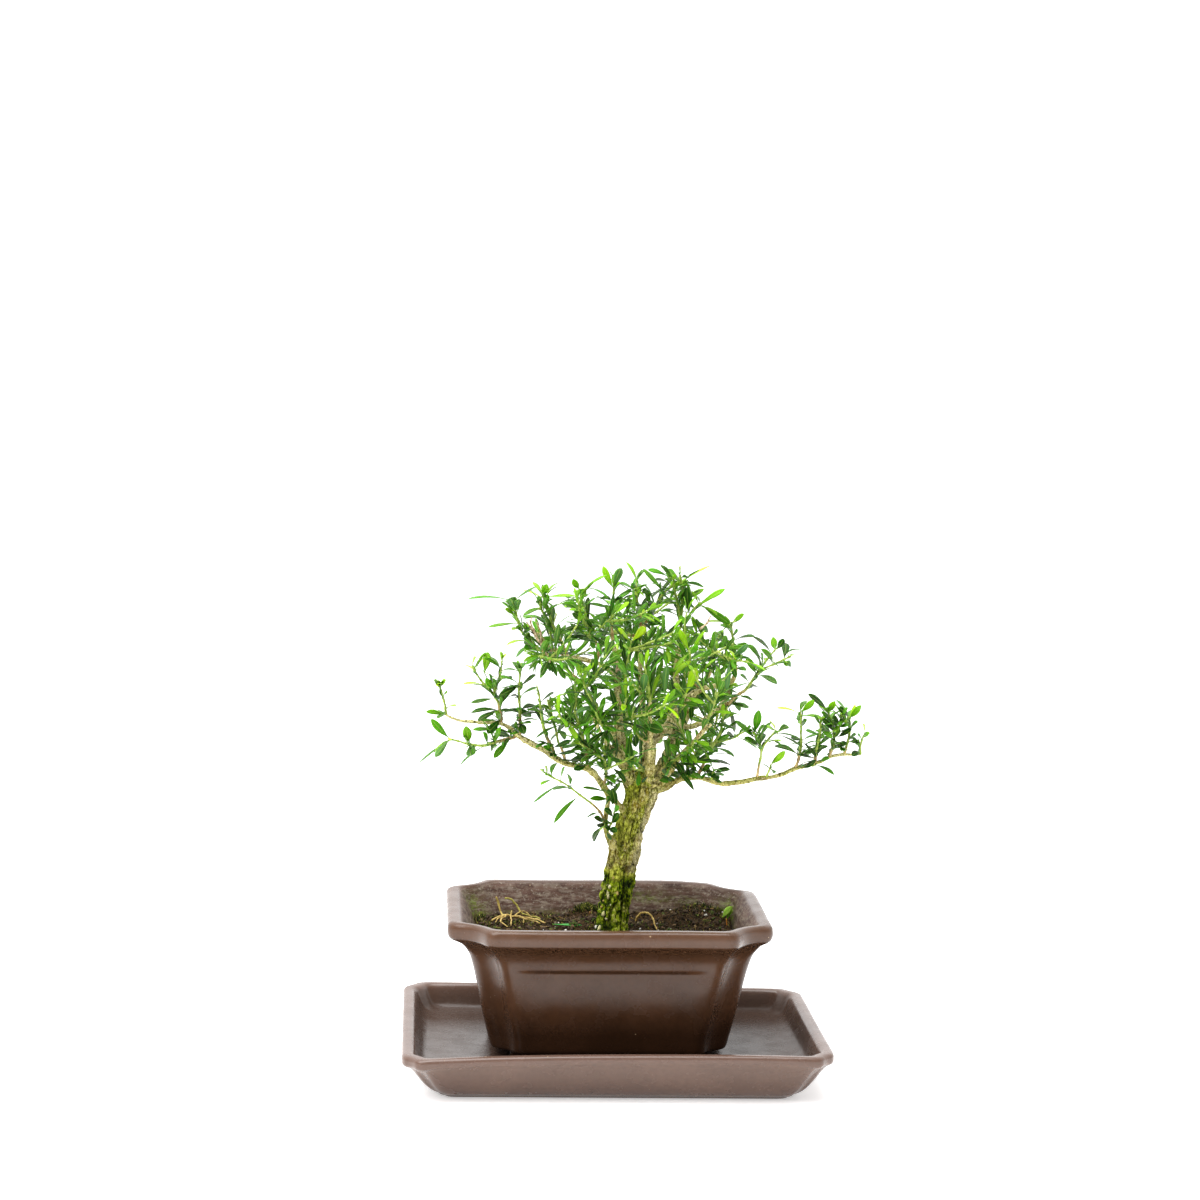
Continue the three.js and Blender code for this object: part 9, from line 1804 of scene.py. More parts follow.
            ([-15.6, -34.9, 187.1], [-18.1, -27.3, 188.4], [0.42, -0.02, 0.91], 2.4, 0.11, "g", [-15.3, -35.7, 186.9]),
            ([-11.5, -34.8, 180.4], [-14.1, -42.3, 185.2], [-0.93, 0.37, 0.08], 2.9, 0.05, "d", [-11.2, -34.1, 179.9]),
            ([-16.5, -38.1, 191.1], [-15.2, -48.2, 189.6], [-0.99, -0.14, 0.04], 2.4, 0.1, "u", [-16.6, -37.2, 191.2]),
            ([-12.8, -34.1, 182.5], [-17.4, -29.4, 188.8], [-0.37, -0.85, 0.37], 2.5, 0.1, "d", [-12.4, -34.6, 181.8]),
            ([-16.9, -37.3, 190.7], [-14.3, -47.7, 195.5], [0.34, 0.46, 0.82], 2, 0.12, "y", [-17.1, -36.5, 190.4]),
            ([-13.6, -40.8, 197], [-14.4, -41.4, 205.2], [-0.46, -0.88, -0.11], 2.5, 0.08, "d", [-13.5, -40.8, 196.1]),
            ([-19.2, -37.4, 193.5], [-26.9, -39.9, 196.3], [0.21, 0.37, 0.91], 1.9, 0.05, "y", [-18.4, -37.1, 193.2]),
            ([-19.4, -38.6, 197], [-15, -44.6, 198.7], [0.26, 0.44, 0.86], 2.1, 0.1, "y", [-19.9, -37.9, 196.8]),
            ([-11.6, -32.7, 176.9], [-12, -26.8, 182.6], [0.24, -0.66, 0.71], 2.4, 0.13, "d", [-11.5, -33.4, 176.3]),
            ([-14.6, -40.5, 195], [-15.1, -45.8, 199.5], [-0.12, 0.65, 0.75], 1.2, 0.1, "u", [-14.6, -39.8, 194.4]),
            ([-12.9, -35.6, 183.6], [-10.3, -43.9, 189.4], [0.2, 0.6, 0.77], 2, 0.1, "d", [-13.1, -34.8, 183.1]),
            ([-11.5, -43.8, 200.5], [-11.9, -50.3, 201.3], [-0.51, 0.14, 0.85], 1.2, 0.11, "d", [-11.4, -42.9, 200.4]),
            ([-13.8, -41.6, 195.9], [-15.7, -48.8, 194.1], [0.89, -0.33, 0.32], 1.4, 0.07, "g", [-13.5, -40.8, 196.1]),
            ([-16.4, -37, 188.9], [-17.9, -43.4, 190.9], [-0.22, 0.33, 0.92], 1.7, 0.06, "y", [-16.2, -36.1, 188.6]),
            ([-10.7, -44.3, 201.7], [-7.7, -55.6, 204.3], [-0.16, 0.18, 0.97], 2.2, 0.09, "g", [-10.9, -43.4, 201.5]),
           ]),
    "f2": ("shoot_13",
           [[[-8.1, -28, 165.9], [-6, -30.3, 170.6], [-2.8, -32.4, 173.8], [0.2, -35.1, 179], [1.8, -38, 185.1]],
            [[-6.7, -29.6, 169.1], [-8.3, -33, 170.8], [-9.7, -36.1, 173.3], [-11, -38.8, 176.2], [-12.4, -41.2, 179.3]]],
           [
            ([-6.9, -29.8, 169.5], [-15.7, -38.8, 163.6], [0.02, -0.56, 0.83], 3.4, 0.05, "d", [-6.6, -29.8, 169.5]),
            ([1.8, -38, 185.1], [5.9, -44.1, 191.6], [-0.38, 0.54, 0.75], 2.5, 0.03, "y", [1.8, -38, 185.1]),
            ([1.8, -38, 185.1], [1.6, -37.9, 195.6], [-0.08, -1, 0], 2.4, 0.08, "y", [1.8, -38, 185.1]),
            ([0.5, -35.5, 179.7], [9.2, -32.2, 190.1], [-0.1, -0.92, 0.38], 3, 0.07, "d", [0.5, -35.5, 179.7]),
            ([0.5, -35.5, 179.7], [-8.3, -47, 185], [0.34, 0.17, 0.93], 3, 0.06, "d", [0.5, -35.5, 179.7]),
            ([-2, -33, 174.9], [-5.3, -27.7, 189.2], [0.43, -0.81, 0.4], 3.2, 0.07, "d", [-2, -33, 174.9]),
            ([-2, -33, 174.9], [11.4, -38.9, 170.9], [0.13, -0.33, 0.93], 3.1, 0.04, "d", [-2, -33, 174.9]),
            ([-12.4, -41.2, 179.3], [-8.5, -54.2, 185.4], [-0.33, 0.32, 0.89], 2.8, 0.05, "g", [-12.4, -41.2, 179.3]),
            ([-12.4, -41.2, 179.3], [-21.2, -40.6, 187.8], [0.61, -0.43, 0.66], 2.6, 0.1, "g", [-12.4, -41.2, 179.3]),
            ([-10.4, -37.5, 174.7], [-8.2, -36.2, 186.1], [-0.24, -0.96, 0.15], 2.6, 0.05, "g", [-10.4, -37.5, 174.7]),
            ([-10.4, -37.5, 174.7], [-20.6, -44.9, 173.3], [-0.05, -0.13, 0.99], 2.6, 0.02, "g", [-10.4, -37.5, 174.7]),
            ([-8.3, -33, 170.8], [-17.6, -38.2, 180.6], [0.76, -0.38, 0.52], 2.6, 0.08, "g", [-8.3, -33, 170.8]),
            ([-8.3, -33, 170.8], [-2.9, -45.4, 171.3], [-0.56, -0.21, 0.8], 2.7, 0.01, "g", [-8.3, -33, 170.8]),
            ([-2.9, -33.5, 174.5], [-9.6, -45.5, 176.3], [-0.24, 0.27, 0.93], 2.6, 0.04, "g", [-2.5, -32.7, 174.4]),
            ([-5.4, -30.9, 172.3], [-6.7, -31.3, 178.9], [0.65, -0.75, 0.09], 1.9, 0.04, "d", [-5.2, -30.8, 171.4]),
            ([-3.2, -33.1, 173.5], [-3, -46.6, 175], [-0.96, 0.02, 0.27], 2.1, 0.07, "g", [-3.2, -32.2, 173.4]),
            ([-8.7, -33.4, 171.5], [-14, -37.9, 180.7], [0.25, 0.8, 0.54], 2.9, 0.09, "g", [-8.3, -33, 170.8]),
            ([-10.8, -37.7, 174.1], [-18.4, -45.4, 169.3], [0.3, -0.7, 0.65], 2.4, 0.09, "g", [-10.2, -37.1, 174.4]),
            ([-11.4, -39.2, 175.8], [-17.6, -47.1, 174.3], [-0.08, -0.12, 0.99], 2.5, 0.06, "g", [-10.9, -38.5, 175.9]),
            ([0.6, -35.3, 181.4], [-0.1, -27.9, 186.7], [0.29, -0.54, 0.79], 2.4, 0.08, "g", [0.7, -36, 180.9]),
            ([1.4, -37, 184.8], [0.1, -30.9, 192.3], [0.2, -0.75, 0.63], 1.9, 0.03, "g", [1.5, -37.5, 184.1]),
            ([0.1, -36, 179.3], [-1, -42.6, 182.2], [0.59, 0.24, 0.77], 2.1, 0.1, "d", [0.2, -35.2, 179]),
            ([-12.5, -41.6, 178.4], [-16.5, -50, 174], [-0.92, 0.32, 0.22], 2.8, 0.06, "y", [-12.2, -40.9, 178.8]),
            ([-7.6, -29.2, 166.5], [-5.4, -38.3, 165.6], [0.68, 0.1, 0.73], 2.8, 0.03, "g", [-7.8, -28.3, 166.6]),
            ([-7.8, -29.2, 166.7], [-7.2, -38, 167.8], [-0.07, 0.12, 0.99], 2.6, 0.04, "d", [-7.8, -28.3, 166.6]),
            ([-3.6, -32.8, 174], [-8.2, -38.8, 179.7], [0.81, -0.58, 0.03], 1.9, 0.08, "g", [-3.2, -32.2, 173.4]),
            ([-9.6, -37.1, 175.1], [-1.5, -36.9, 184.2], [-0.68, -0.4, 0.61], 2.4, 0.09, "y", [-10.2, -37.1, 174.4]),
            ([-6.8, -30.3, 168.7], [-6.3, -39, 169.1], [-0.64, -0.01, 0.77], 1.7, 0.1, "d", [-6.8, -29.4, 168.7]),
            ([-7.1, -31.4, 169.2], [-5.9, -37.8, 165.6], [0.9, -0.08, 0.43], 1.8, 0.07, "u", [-7.2, -30.7, 169.7]),
            ([-7.8, -30.9, 170.3], [-15.1, -34.7, 179.7], [-0.59, 0.79, -0.15], 2.1, 0.09, "d", [-7.2, -30.7, 169.7]),
            ([-6.5, -30.4, 170.2], [-2.9, -31, 175], [-0.37, 0.85, 0.38], 1, 0.06, "g", [-7.1, -30.3, 169.5]),
            ([-6.2, -30.8, 171.2], [-8.1, -36, 177.6], [-0.01, 0.78, 0.63], 2.3, 0.09, "g", [-6, -30.3, 170.5]),
            ([-9.1, -36.5, 172.9], [-4.1, -46.5, 171.3], [0.27, -0.02, 0.96], 2.7, 0.05, "y", [-9.5, -35.7, 173]),
            ([-7.9, -32.1, 170.9], [-9.3, -34.9, 175.8], [0.94, -0.32, 0.07], 1, 0.05, "d", [-7.7, -31.6, 170.1]),
            ([-9.4, -35.8, 172.2], [-11.6, -45.6, 170.3], [-0.59, -0.02, 0.81], 2.6, 0.06, "g", [-9.2, -34.9, 172.4]),
            ([-6.8, -29.4, 170], [-9.3, -26.9, 179.7], [-0.68, -0.74, 0.02], 2.7, 0.04, "g", [-6.6, -29.6, 169.1]),
            ([-3.3, -32.6, 173.4], [-1.2, -38.9, 177.1], [0.27, 0.55, 0.79], 2.1, 0.07, "d", [-3.6, -31.9, 173]),
            ([1, -37.7, 182.4], [-0.4, -47.5, 181.4], [0.28, -0.13, 0.95], 2.8, 0.13, "b", [1.1, -36.8, 182.4]),
            ([-7.9, -29.2, 166.7], [-8.8, -39.7, 167.5], [0.89, -0.05, 0.45], 2.5, 0.05, "g", [-7.8, -28.4, 166.6]),
            ([-4.1, -31.7, 173.1], [-1.5, -35.7, 183.2], [0.82, 0.58, 0.01], 1.7, 0.07, "d", [-4.3, -31.4, 172.3]),
            ([-8.8, -35.8, 172.3], [-6.2, -42.2, 171.5], [0.04, -0.1, 0.99], 1.9, 0.07, "g", [-9.2, -34.9, 172.4]),
            ([-8.3, -34, 170.9], [-7.7, -44.7, 171.5], [-0.28, 0.03, 0.96], 2.6, 0.1, "g", [-8.3, -33.1, 170.9]),
            ([-9, -36.4, 173.1], [-3.9, -42.4, 174.1], [-0.69, -0.49, 0.53], 1.8, 0.08, "g", [-9.5, -35.7, 173]),
            ([-7.3, -31, 168.9], [-9.4, -38.7, 161.7], [-0.37, -0.58, 0.73], 2, 0.11, "d", [-7.1, -30.3, 169.5]),
            ([-5.9, -31.2, 170.7], [-4.8, -39.3, 172.4], [-0.23, 0.17, 0.96], 2.1, 0.1, "d", [-6, -30.3, 170.5]),
            ([-7.3, -29.8, 167.8], [-8.4, -37.7, 167.4], [-0.85, 0.09, 0.52], 1.6, 0.11, "d", [-7.2, -28.9, 167.8]),
            ([-8, -32.1, 170.9], [-10.2, -34.8, 175.5], [0.05, 0.85, 0.53], 1.6, 0.05, "g", [-7.7, -31.6, 170.1]),
            ([-1.7, -34.4, 176], [-2.4, -41.1, 177.1], [0.43, 0.1, 0.9], 1.7, 0.1, "y", [-1.6, -33.5, 175.8]),
            ([-7.2, -29.8, 167.7], [-6.2, -42.6, 165.5], [-0.17, -0.17, 0.97], 1.8, 0.05, "g", [-7.2, -28.9, 167.8]),
            ([-12.1, -39.8, 178], [-17.4, -40.7, 184.4], [0.58, 0.59, 0.56], 1.8, 0.07, "y", [-11.5, -39.7, 177.3]),
            ([-7.4, -29.1, 166.3], [-4.1, -36.5, 163.6], [0.85, 0.21, 0.48], 2.7, 0.09, "d", [-7.8, -28.4, 166.6]),
            ([1, -37.7, 182.4], [-0.1, -46.7, 182.4], [0.39, -0.05, 0.92], 2.2, 0.07, "y", [1.1, -36.8, 182.4]),
            ([-7.1, -31.2, 169.4], [-7.7, -40.8, 168.4], [0.23, -0.11, 0.97], 2, 0.08, "d", [-7.1, -30.3, 169.5]),
           ]),
    "f3": ("shoot_14",
           [[[15.5, -22.1, 162.7], [10.1, -25.5, 165.3], [6.5, -28.9, 169.6], [5.2, -32.1, 174.8], [5.8, -36, 181.1]],
            [[5.3, -33.4, 176.8], [8.8, -37.3, 177.7], [12.5, -40.9, 179.4], [15.9, -44.5, 181.7], [19.3, -47.5, 184.5]]],
           [
            ([4.2, -28.5, 167.1], [5.3, -29.9, 152], [-0.05, -0.99, 0.09], 4.1, 0.04, "d", [6.8, -28.5, 169]),
            ([8, -27.7, 168], [7.1, -36.7, 162.6], [-0.46, -0.42, 0.78], 3.7, 0.07, "d", [7.6, -27.7, 167.8]),
            ([9.7, -29.7, 172.1], [19.5, -38.7, 170.7], [-0.64, -0.74, 0.21], 4.5, 0.08, "d", [5.9, -29.7, 170.8]),
            ([5.8, -36, 181.1], [9.7, -45, 189.1], [-0.19, 0.61, 0.77], 2.9, 0.02, "g", [5.8, -36, 181.1]),
            ([5.8, -36, 181.1], [4, -36.8, 193.5], [0.03, -1, -0.06], 2.7, 0.01, "g", [5.8, -36, 181.1]),
            ([5.2, -32.6, 175.5], [18, -31.9, 184.9], [-0.57, -0.18, 0.8], 3.1, 0.09, "d", [5.2, -32.6, 175.5]),
            ([5.2, -32.6, 175.5], [-8.1, -38.9, 176.9], [0.13, -0.04, 0.99], 2.9, 0.09, "d", [5.2, -32.6, 175.5]),
            ([5.9, -29.7, 170.8], [4, -25.6, 181.9], [0.34, -0.86, 0.38], 2.9, 0.02, "g", [5.9, -29.7, 170.8]),
            ([5.9, -29.7, 170.8], [2.3, -43.6, 168.1], [-0.12, -0.16, 0.98], 2.6, 0.02, "g", [5.9, -29.7, 170.8]),
            ([9, -26.4, 166.2], [-3.8, -27.8, 169.7], [0.27, -0.03, 0.96], 2.7, 0.02, "g", [9, -26.4, 166.2]),
            ([9, -26.4, 166.2], [6.8, -32.8, 175.6], [0.18, 0.79, 0.58], 2.7, 0.05, "g", [9, -26.4, 166.2]),
            ([19.3, -47.5, 184.5], [28.3, -53.3, 184.8], [0.06, 0.14, 0.99], 2.3, 0.03, "y", [19.3, -47.5, 184.5]),
            ([19.3, -47.5, 184.5], [23.7, -51.4, 192.3], [0.14, -0.86, -0.5], 2.5, 0.04, "y", [19.3, -47.5, 184.5]),
            ([15.9, -44.5, 181.7], [27.9, -38.1, 188], [-0.3, -0.33, 0.9], 2.6, 0.02, "g", [15.9, -44.5, 181.7]),
            ([15.9, -44.5, 181.7], [17.1, -58, 186], [0.11, 0.31, 0.94], 2.6, 0.05, "g", [15.9, -44.5, 181.7]),
            ([11.6, -40, 179], [9.2, -45.2, 190.5], [0.97, 0.04, 0.22], 2.7, 0.01, "g", [11.6, -40, 179]),
            ([11.6, -40, 179], [18.9, -46.9, 172.3], [0.5, -0.26, 0.83], 2.8, 0.05, "g", [11.6, -40, 179]),
            ([8.4, -36.8, 177.6], [20.6, -37.4, 179.4], [-0.15, -0.56, 0.82], 2.9, 0.01, "g", [8.4, -36.8, 177.6]),
            ([5.7, -36.2, 180.1], [5.4, -44, 181.6], [-0.27, 0.19, 0.94], 2.2, 0.09, "y", [5.7, -35.3, 180]),
            ([17.6, -45, 183.3], [21.9, -38.9, 188.8], [0.5, -0.75, 0.44], 2, 0.1, "b", [17.1, -45.6, 182.7]),
            ([10.5, -25.7, 165.7], [8.2, -32.2, 175.1], [0.14, 0.79, 0.59], 3, 0.05, "u", [10.7, -25.2, 165]),
            ([18.8, -48, 183.8], [17.4, -57.1, 179.6], [-0.46, -0.31, 0.83], 2.4, 0.07, "y", [18.9, -47.2, 184.2]),
            ([5.5, -30, 170.7], [-5.7, -37.4, 174], [0.42, -0.24, 0.88], 2.8, 0.05, "g", [6.3, -29.5, 170.5]),
            ([12.4, -24.8, 165.1], [16.2, -31.2, 174.6], [-0.58, 0.55, 0.6], 2.3, 0.11, "d", [12.1, -24.3, 164.3]),
            ([13.7, -43.1, 180.4], [14, -56.5, 182.8], [0.53, 0.16, 0.83], 2.7, 0.07, "g", [13.7, -42.3, 180.3]),
            ([6.3, -35.2, 176.5], [5.5, -43.2, 169.3], [0.56, -0.58, 0.59], 2.1, 0.05, "g", [6.3, -34.5, 177.1]),
            ([12, -39.5, 179.3], [23.7, -37.4, 186], [-0.4, -0.38, 0.83], 2.1, 0.08, "d", [11.2, -39.7, 178.9]),
            ([13.6, -22.7, 164.2], [9.9, -17.4, 173.8], [0.6, -0.58, 0.55], 2.6, 0.05, "g", [13.9, -23.1, 163.5]),
            ([6.3, -34.5, 178.2], [12.1, -37.5, 179.4], [-0.22, -0.02, 0.97], 1.7, 0.07, "y", [5.5, -34.1, 178]),
            ([13.2, -22.6, 163.5], [5.9, -17.1, 163.8], [-0.04, -0.1, 0.99], 2.6, 0.07, "d", [13.9, -23.1, 163.5]),
            ([15.6, -43.8, 182.2], [17.8, -42.8, 189], [-0.8, 0.57, 0.17], 1.6, 0.04, "g", [15.4, -44, 181.3]),
            ([11, -39, 179.1], [15.4, -40.1, 184], [-0.63, -0.65, 0.42], 1.8, 0.05, "g", [10.4, -38.8, 178.5]),
            ([10.8, -26, 165.2], [10.8, -37.1, 168.1], [-0.03, 0.25, 0.97], 2.8, 0.06, "d", [10.8, -25.1, 165]),
            ([9.6, -27.1, 166.3], [11.4, -33.1, 167.1], [-0.22, 0.06, 0.97], 1.9, 0.12, "d", [9.4, -26.2, 166.1]),
            ([12.6, -24.8, 164.9], [15.2, -28.7, 169.5], [-0.52, 0.48, 0.7], 1.1, 0.07, "g", [12.2, -24.2, 164.3]),
            ([19.5, -47.5, 183.6], [25.7, -50.9, 178.4], [0.28, -0.61, 0.74], 2.1, 0.09, "b", [18.8, -47.1, 184.1]),
            ([11.7, -41, 178.6], [10.8, -45.6, 175.6], [0.97, -0.23, 0.06], 1, 0.1, "g", [11.8, -40.3, 179.1]),
            ([12.8, -24.6, 164.1], [11.4, -31.3, 165.3], [0.81, -0.07, 0.58], 2, 0.05, "g", [13, -23.7, 163.9]),
            ([7.6, -35.2, 178], [11.5, -32.9, 184.7], [-0.8, 0.52, 0.29], 2, 0.06, "g", [7.2, -35.5, 177.3]),
            ([5.5, -31.6, 172.8], [2.8, -41.3, 175.2], [-0.06, 0.26, 0.97], 2, 0.08, "d", [5.7, -30.8, 172.6]),
            ([12.1, -25.1, 164.5], [10.6, -35.6, 166.8], [-0.89, 0.22, 0.4], 1.5, 0.04, "g", [12.2, -24.2, 164.3]),
            ([5.5, -35.2, 178.7], [4.7, -42.9, 181.3], [0.18, 0.3, 0.94], 1.9, 0.08, "y", [5.5, -34.4, 178.4]),
            ([10.8, -39, 177.7], [13.6, -39.8, 172.5], [0.76, 0.56, 0.32], 1.3, 0.11, "u", [10.4, -38.8, 178.5]),
            ([10.8, -25.9, 165.4], [10.9, -31.1, 168.3], [0.33, 0.46, 0.82], 1.2, 0.06, "g", [10.8, -25.1, 165]),
            ([14.5, -42.8, 181.2], [17.7, -43.9, 185.5], [-0.81, -0.04, 0.58], 1.4, 0.08, "d", [14, -42.6, 180.5]),
            ([12.8, -24.5, 164.2], [9, -36, 168.7], [0.83, -0.06, 0.55], 1.9, 0.04, "d", [13, -23.7, 163.9]),
            ([7.6, -36.1, 176.9], [12.9, -44.1, 171.8], [0.87, 0.43, 0.24], 2.2, 0.12, "d", [7.2, -35.5, 177.3]),
            ([12.2, -25.1, 164.5], [11.8, -30.5, 166.2], [-0.12, 0.29, 0.95], 1.7, 0.11, "g", [12.2, -24.2, 164.3]),
            ([12.9, -24.6, 164.1], [11.9, -31.3, 165.8], [0.09, 0.23, 0.97], 1.7, 0.1, "d", [13, -23.7, 163.9]),
           ]),
    "f4": ("shoot_15",
           [[[13.3, -36, 184], [12.6, -36.7, 189.8], [11.5, -37.4, 195.5], [10.4, -38, 200.3]],
            [[13.1, -36.2, 185.9], [10.2, -38.4, 187.9], [7.3, -40.5, 190], [4.7, -41.9, 192.8], [2.7, -43.4, 196.1]]],
           [
            ([9.9, -36.5, 187.8], [10, -45.5, 198.5], [0.09, 0.76, 0.64], 4, 0.03, "u", [12.8, -36.5, 188.3]),
            ([14.2, -36.2, 185.5], [17.8, -35, 197.2], [-0.76, -0.58, 0.29], 3.1, 0.08, "y", [13.1, -36.2, 185.4]),
            ([20.3, -36.2, 186], [21, -35, 201.5], [0.06, 1, -0.08], 3.6, 0.08, "u", [13.1, -36.2, 185.4]),
            ([10.4, -38, 200.3], [7.5, -44.7, 208.3], [0.02, 0.76, 0.65], 2.4, 0.02, "y", [10.4, -38, 200.3]),
            ([10.4, -38, 200.3], [12.1, -35.6, 208.8], [-0.49, -0.81, 0.33], 2.4, 0.05, "y", [10.4, -38, 200.3]),
            ([11.7, -37.3, 194.9], [18.3, -40.4, 206.1], [-0.86, -0.24, 0.45], 2.7, 0.02, "g", [11.7, -37.3, 194.9]),
            ([11.7, -37.3, 194.9], [1, -30, 199.4], [0.15, -0.35, 0.93], 2.6, 0.04, "g", [11.7, -37.3, 194.9]),
            ([12.6, -36.7, 189.8], [15.7, -29, 203.5], [-0.41, -0.76, 0.51], 3.1, 0.02, "d", [12.6, -36.7, 189.8]),
            ([12.6, -36.7, 189.8], [3.2, -41.8, 197], [0.64, -0.1, 0.76], 2.9, 0.03, "d", [12.6, -36.7, 189.8]),
            ([2.7, -43.4, 196.1], [-3.1, -54.6, 203.9], [-0.14, 0.61, 0.78], 2.8, 0.06, "g", [2.7, -43.4, 196.1]),
            ([2.7, -43.4, 196.1], [-5.3, -42.8, 208.2], [0.56, -0.73, 0.4], 2.9, 0.1, "g", [2.7, -43.4, 196.1]),
            ([5, -41.7, 192.4], [4.5, -44.7, 206.4], [-0.84, -0.53, -0.14], 2.7, 0.05, "g", [5, -41.7, 192.4]),
            ([5, -41.7, 192.4], [-8, -47.7, 194], [0.11, 0.02, 0.99], 2.7, 0.03, "g", [5, -41.7, 192.4]),
            ([9.1, -39.2, 188.6], [9.1, -53.2, 191.7], [-0.17, 0.21, 0.96], 2.8, 0.04, "g", [9.1, -39.2, 188.6]),
            ([10.4, -39, 187.5], [10, -47.2, 186.6], [0.53, -0.13, 0.84], 1.6, 0.04, "d", [10.5, -38.2, 187.6]),
            ([11.2, -37.4, 199.1], [15.7, -32.5, 209.4], [-0.45, -0.71, 0.54], 2.4, 0.04, "g", [10.9, -37.8, 198.3]),
            ([11.5, -38.1, 196.9], [12.3, -43, 202], [0.19, 0.72, 0.66], 1.8, 0.09, "g", [11.4, -37.5, 196.3]),
            ([11.5, -38.3, 187], [10.4, -47.1, 187.8], [-0.74, 0.15, 0.65], 2.1, 0.09, "u", [11.6, -37.4, 186.9]),
            ([11.8, -36.5, 194.5], [11.4, -30.8, 197.9], [1, 0.03, 0.04], 1.7, 0.11, "g", [11.8, -37.2, 194.1]),
            ([3.5, -43.6, 194.6], [2.3, -55.1, 194], [-0.05, -0.05, 1], 2.6, 0.05, "g", [3.5, -42.8, 194.7]),
            ([8.3, -40.1, 188.5], [3.3, -48.6, 180.7], [-0.67, -0.24, 0.7], 2.7, 0.04, "d", [8.7, -39.5, 189]),
            ([10.4, -38.4, 197.8], [6.1, -43.2, 198.3], [-0.16, 0.23, 0.96], 1.6, 0.12, "g", [11, -37.7, 197.8]),
            ([3, -42.3, 193.9], [-6.8, -39.9, 190.7], [0.15, 0.96, 0.25], 1.7, 0.13, "y", [3.9, -42.5, 194.1]),
            ([11.4, -38.3, 187.3], [9.6, -49.8, 191.4], [-0.88, 0.27, 0.38], 2.3, 0.04, "d", [11.5, -37.4, 187]),
            ([12.6, -36.3, 191.1], [12.8, -32.2, 198.9], [-0.11, -0.88, 0.46], 2.7, 0.07, "g", [12.5, -36.8, 190.3]),
            ([7.3, -41, 190.4], [6, -47, 195.3], [-0.12, 0.64, 0.76], 1.4, 0.09, "y", [7.5, -40.4, 189.9]),
            ([12.9, -36.9, 185], [9.6, -46, 186.8], [-0.87, 0.38, 0.32], 2.7, 0.09, "d", [13.2, -36.1, 184.8]),
            ([5.2, -42.5, 192.8], [6.2, -48.1, 196], [-0.66, 0.27, 0.7], 1.8, 0.09, "g", [5.1, -41.7, 192.4]),
            ([10.3, -37.4, 200], [7.7, -33.9, 204], [0.28, -0.64, 0.72], 1.1, 0.06, "y", [10.6, -37.9, 199.4]),
           ]),
    "e5": ("shoot_16",
           [[[20.7, -6, 142.7], [18.6, -6, 142.6], [21.6, -10.9, 147.7], [25.8, -16.3, 152.5], [30.1, -21.5, 156.7], [33.5, -26, 160.8], [35.5, -30, 165.3]],
            [[18.6, -6, 142.6], [15.2, -7.1, 145.2], [11.8, -7.5, 148.2], [8.7, -8.3, 151.4], [6, -9.3, 154.9]],
            [[7.3, -8.8, 153.1], [1.6, -7.9, 153.5], [-4.2, -7.3, 154.1], [-9.8, -7.4, 156], [-15.1, -7.4, 158.4]],
            [[14, -7.2, 146.2], [11.9, -11.5, 147.3], [9.9, -15.8, 148.4], [7.9, -20, 149.8], [6.5, -23.8, 152.4]]],
           [
            ([25, -15.6, 151.9], [36.7, -16, 139], [0.54, -0.67, 0.51], 3.6, 0.05, "d", [25.3, -15.6, 151.9]),
            ([22.5, -11.5, 148.3], [31.9, -2.5, 143.6], [0.62, -0.76, -0.2], 3.7, 0.09, "d", [22, -11.5, 148.4]),
            ([27.7, -17.6, 153.2], [30.4, -26.6, 148.9], [0.18, -0.38, 0.91], 3.7, 0.09, "d", [26.9, -17.6, 153.6]),
            ([33.5, -26, 160.8], [30.7, -35, 170.7], [0.57, -0.68, -0.45], 3.2, 0.06, "g", [33.5, -26, 160.8]),
            ([35.2, -28.5, 163.1], [45.4, -19.5, 167.7], [0.05, -0.5, 0.87], 3.3, 0.03, "g", [34.8, -28.5, 163.6]),
            ([35.5, -29.5, 164.7], [41.4, -38.5, 163.8], [-0.31, -0.3, 0.9], 3.1, 0.09, "y", [35.2, -29.5, 164.7]),
            ([32.2, -24.4, 159.6], [35.9, -33.4, 154.8], [0.09, -0.44, 0.89], 3, 0.06, "y", [32.4, -24.4, 159.3]),
            ([30.2, -21.5, 156.3], [23.1, -30.5, 162.8], [0.83, -0.54, 0.15], 3.2, 0.06, "g", [30.1, -21.5, 156.7]),
            ([23.6, -13.6, 150.2], [37.9, -20.1, 151.9], [-0.24, -0.29, 0.93], 3.2, 0.03, "d", [23.6, -13.6, 150.2]),
            ([23.6, -13.6, 150.2], [21.7, -20.1, 164.1], [0.59, 0.7, 0.41], 2.9, 0.04, "d", [23.6, -13.6, 150.2]),
            ([21.1, -10.2, 147.1], [31.8, -7.2, 155.8], [-0.56, -0.26, 0.78], 2.7, 0.1, "d", [21.1, -10.2, 147.1]),
            ([21.1, -10.2, 147.1], [23.2, -22.1, 147.2], [0.22, 0.05, 0.98], 2.9, 0.03, "d", [21.1, -10.2, 147.1]),
            ([6, -9.3, 154.9], [6.7, -7.9, 166.3], [-0.48, -0.87, 0.14], 2.2, 0.08, "y", [6, -9.3, 154.9]),
            ([6, -9.3, 154.9], [-1.8, -12.6, 160.8], [0.54, 0.19, 0.82], 2.3, 0.05, "y", [6, -9.3, 154.9]),
            ([9.1, -8.2, 151], [10, -16.8, 155.4], [-0.32, 0.4, 0.86], 2.5, 0.09, "y", [9.1, -8.2, 151]),
            ([12.2, -7.4, 147.8], [-1.1, -7.5, 141.2], [-0.45, -0.04, 0.89], 3, 0.04, "d", [12.2, -7.4, 147.8]),
            ([12.2, -7.4, 147.8], [11.5, -5.1, 163.5], [-0.83, -0.56, 0.05], 2.9, 0.06, "d", [12.2, -7.4, 147.8]),
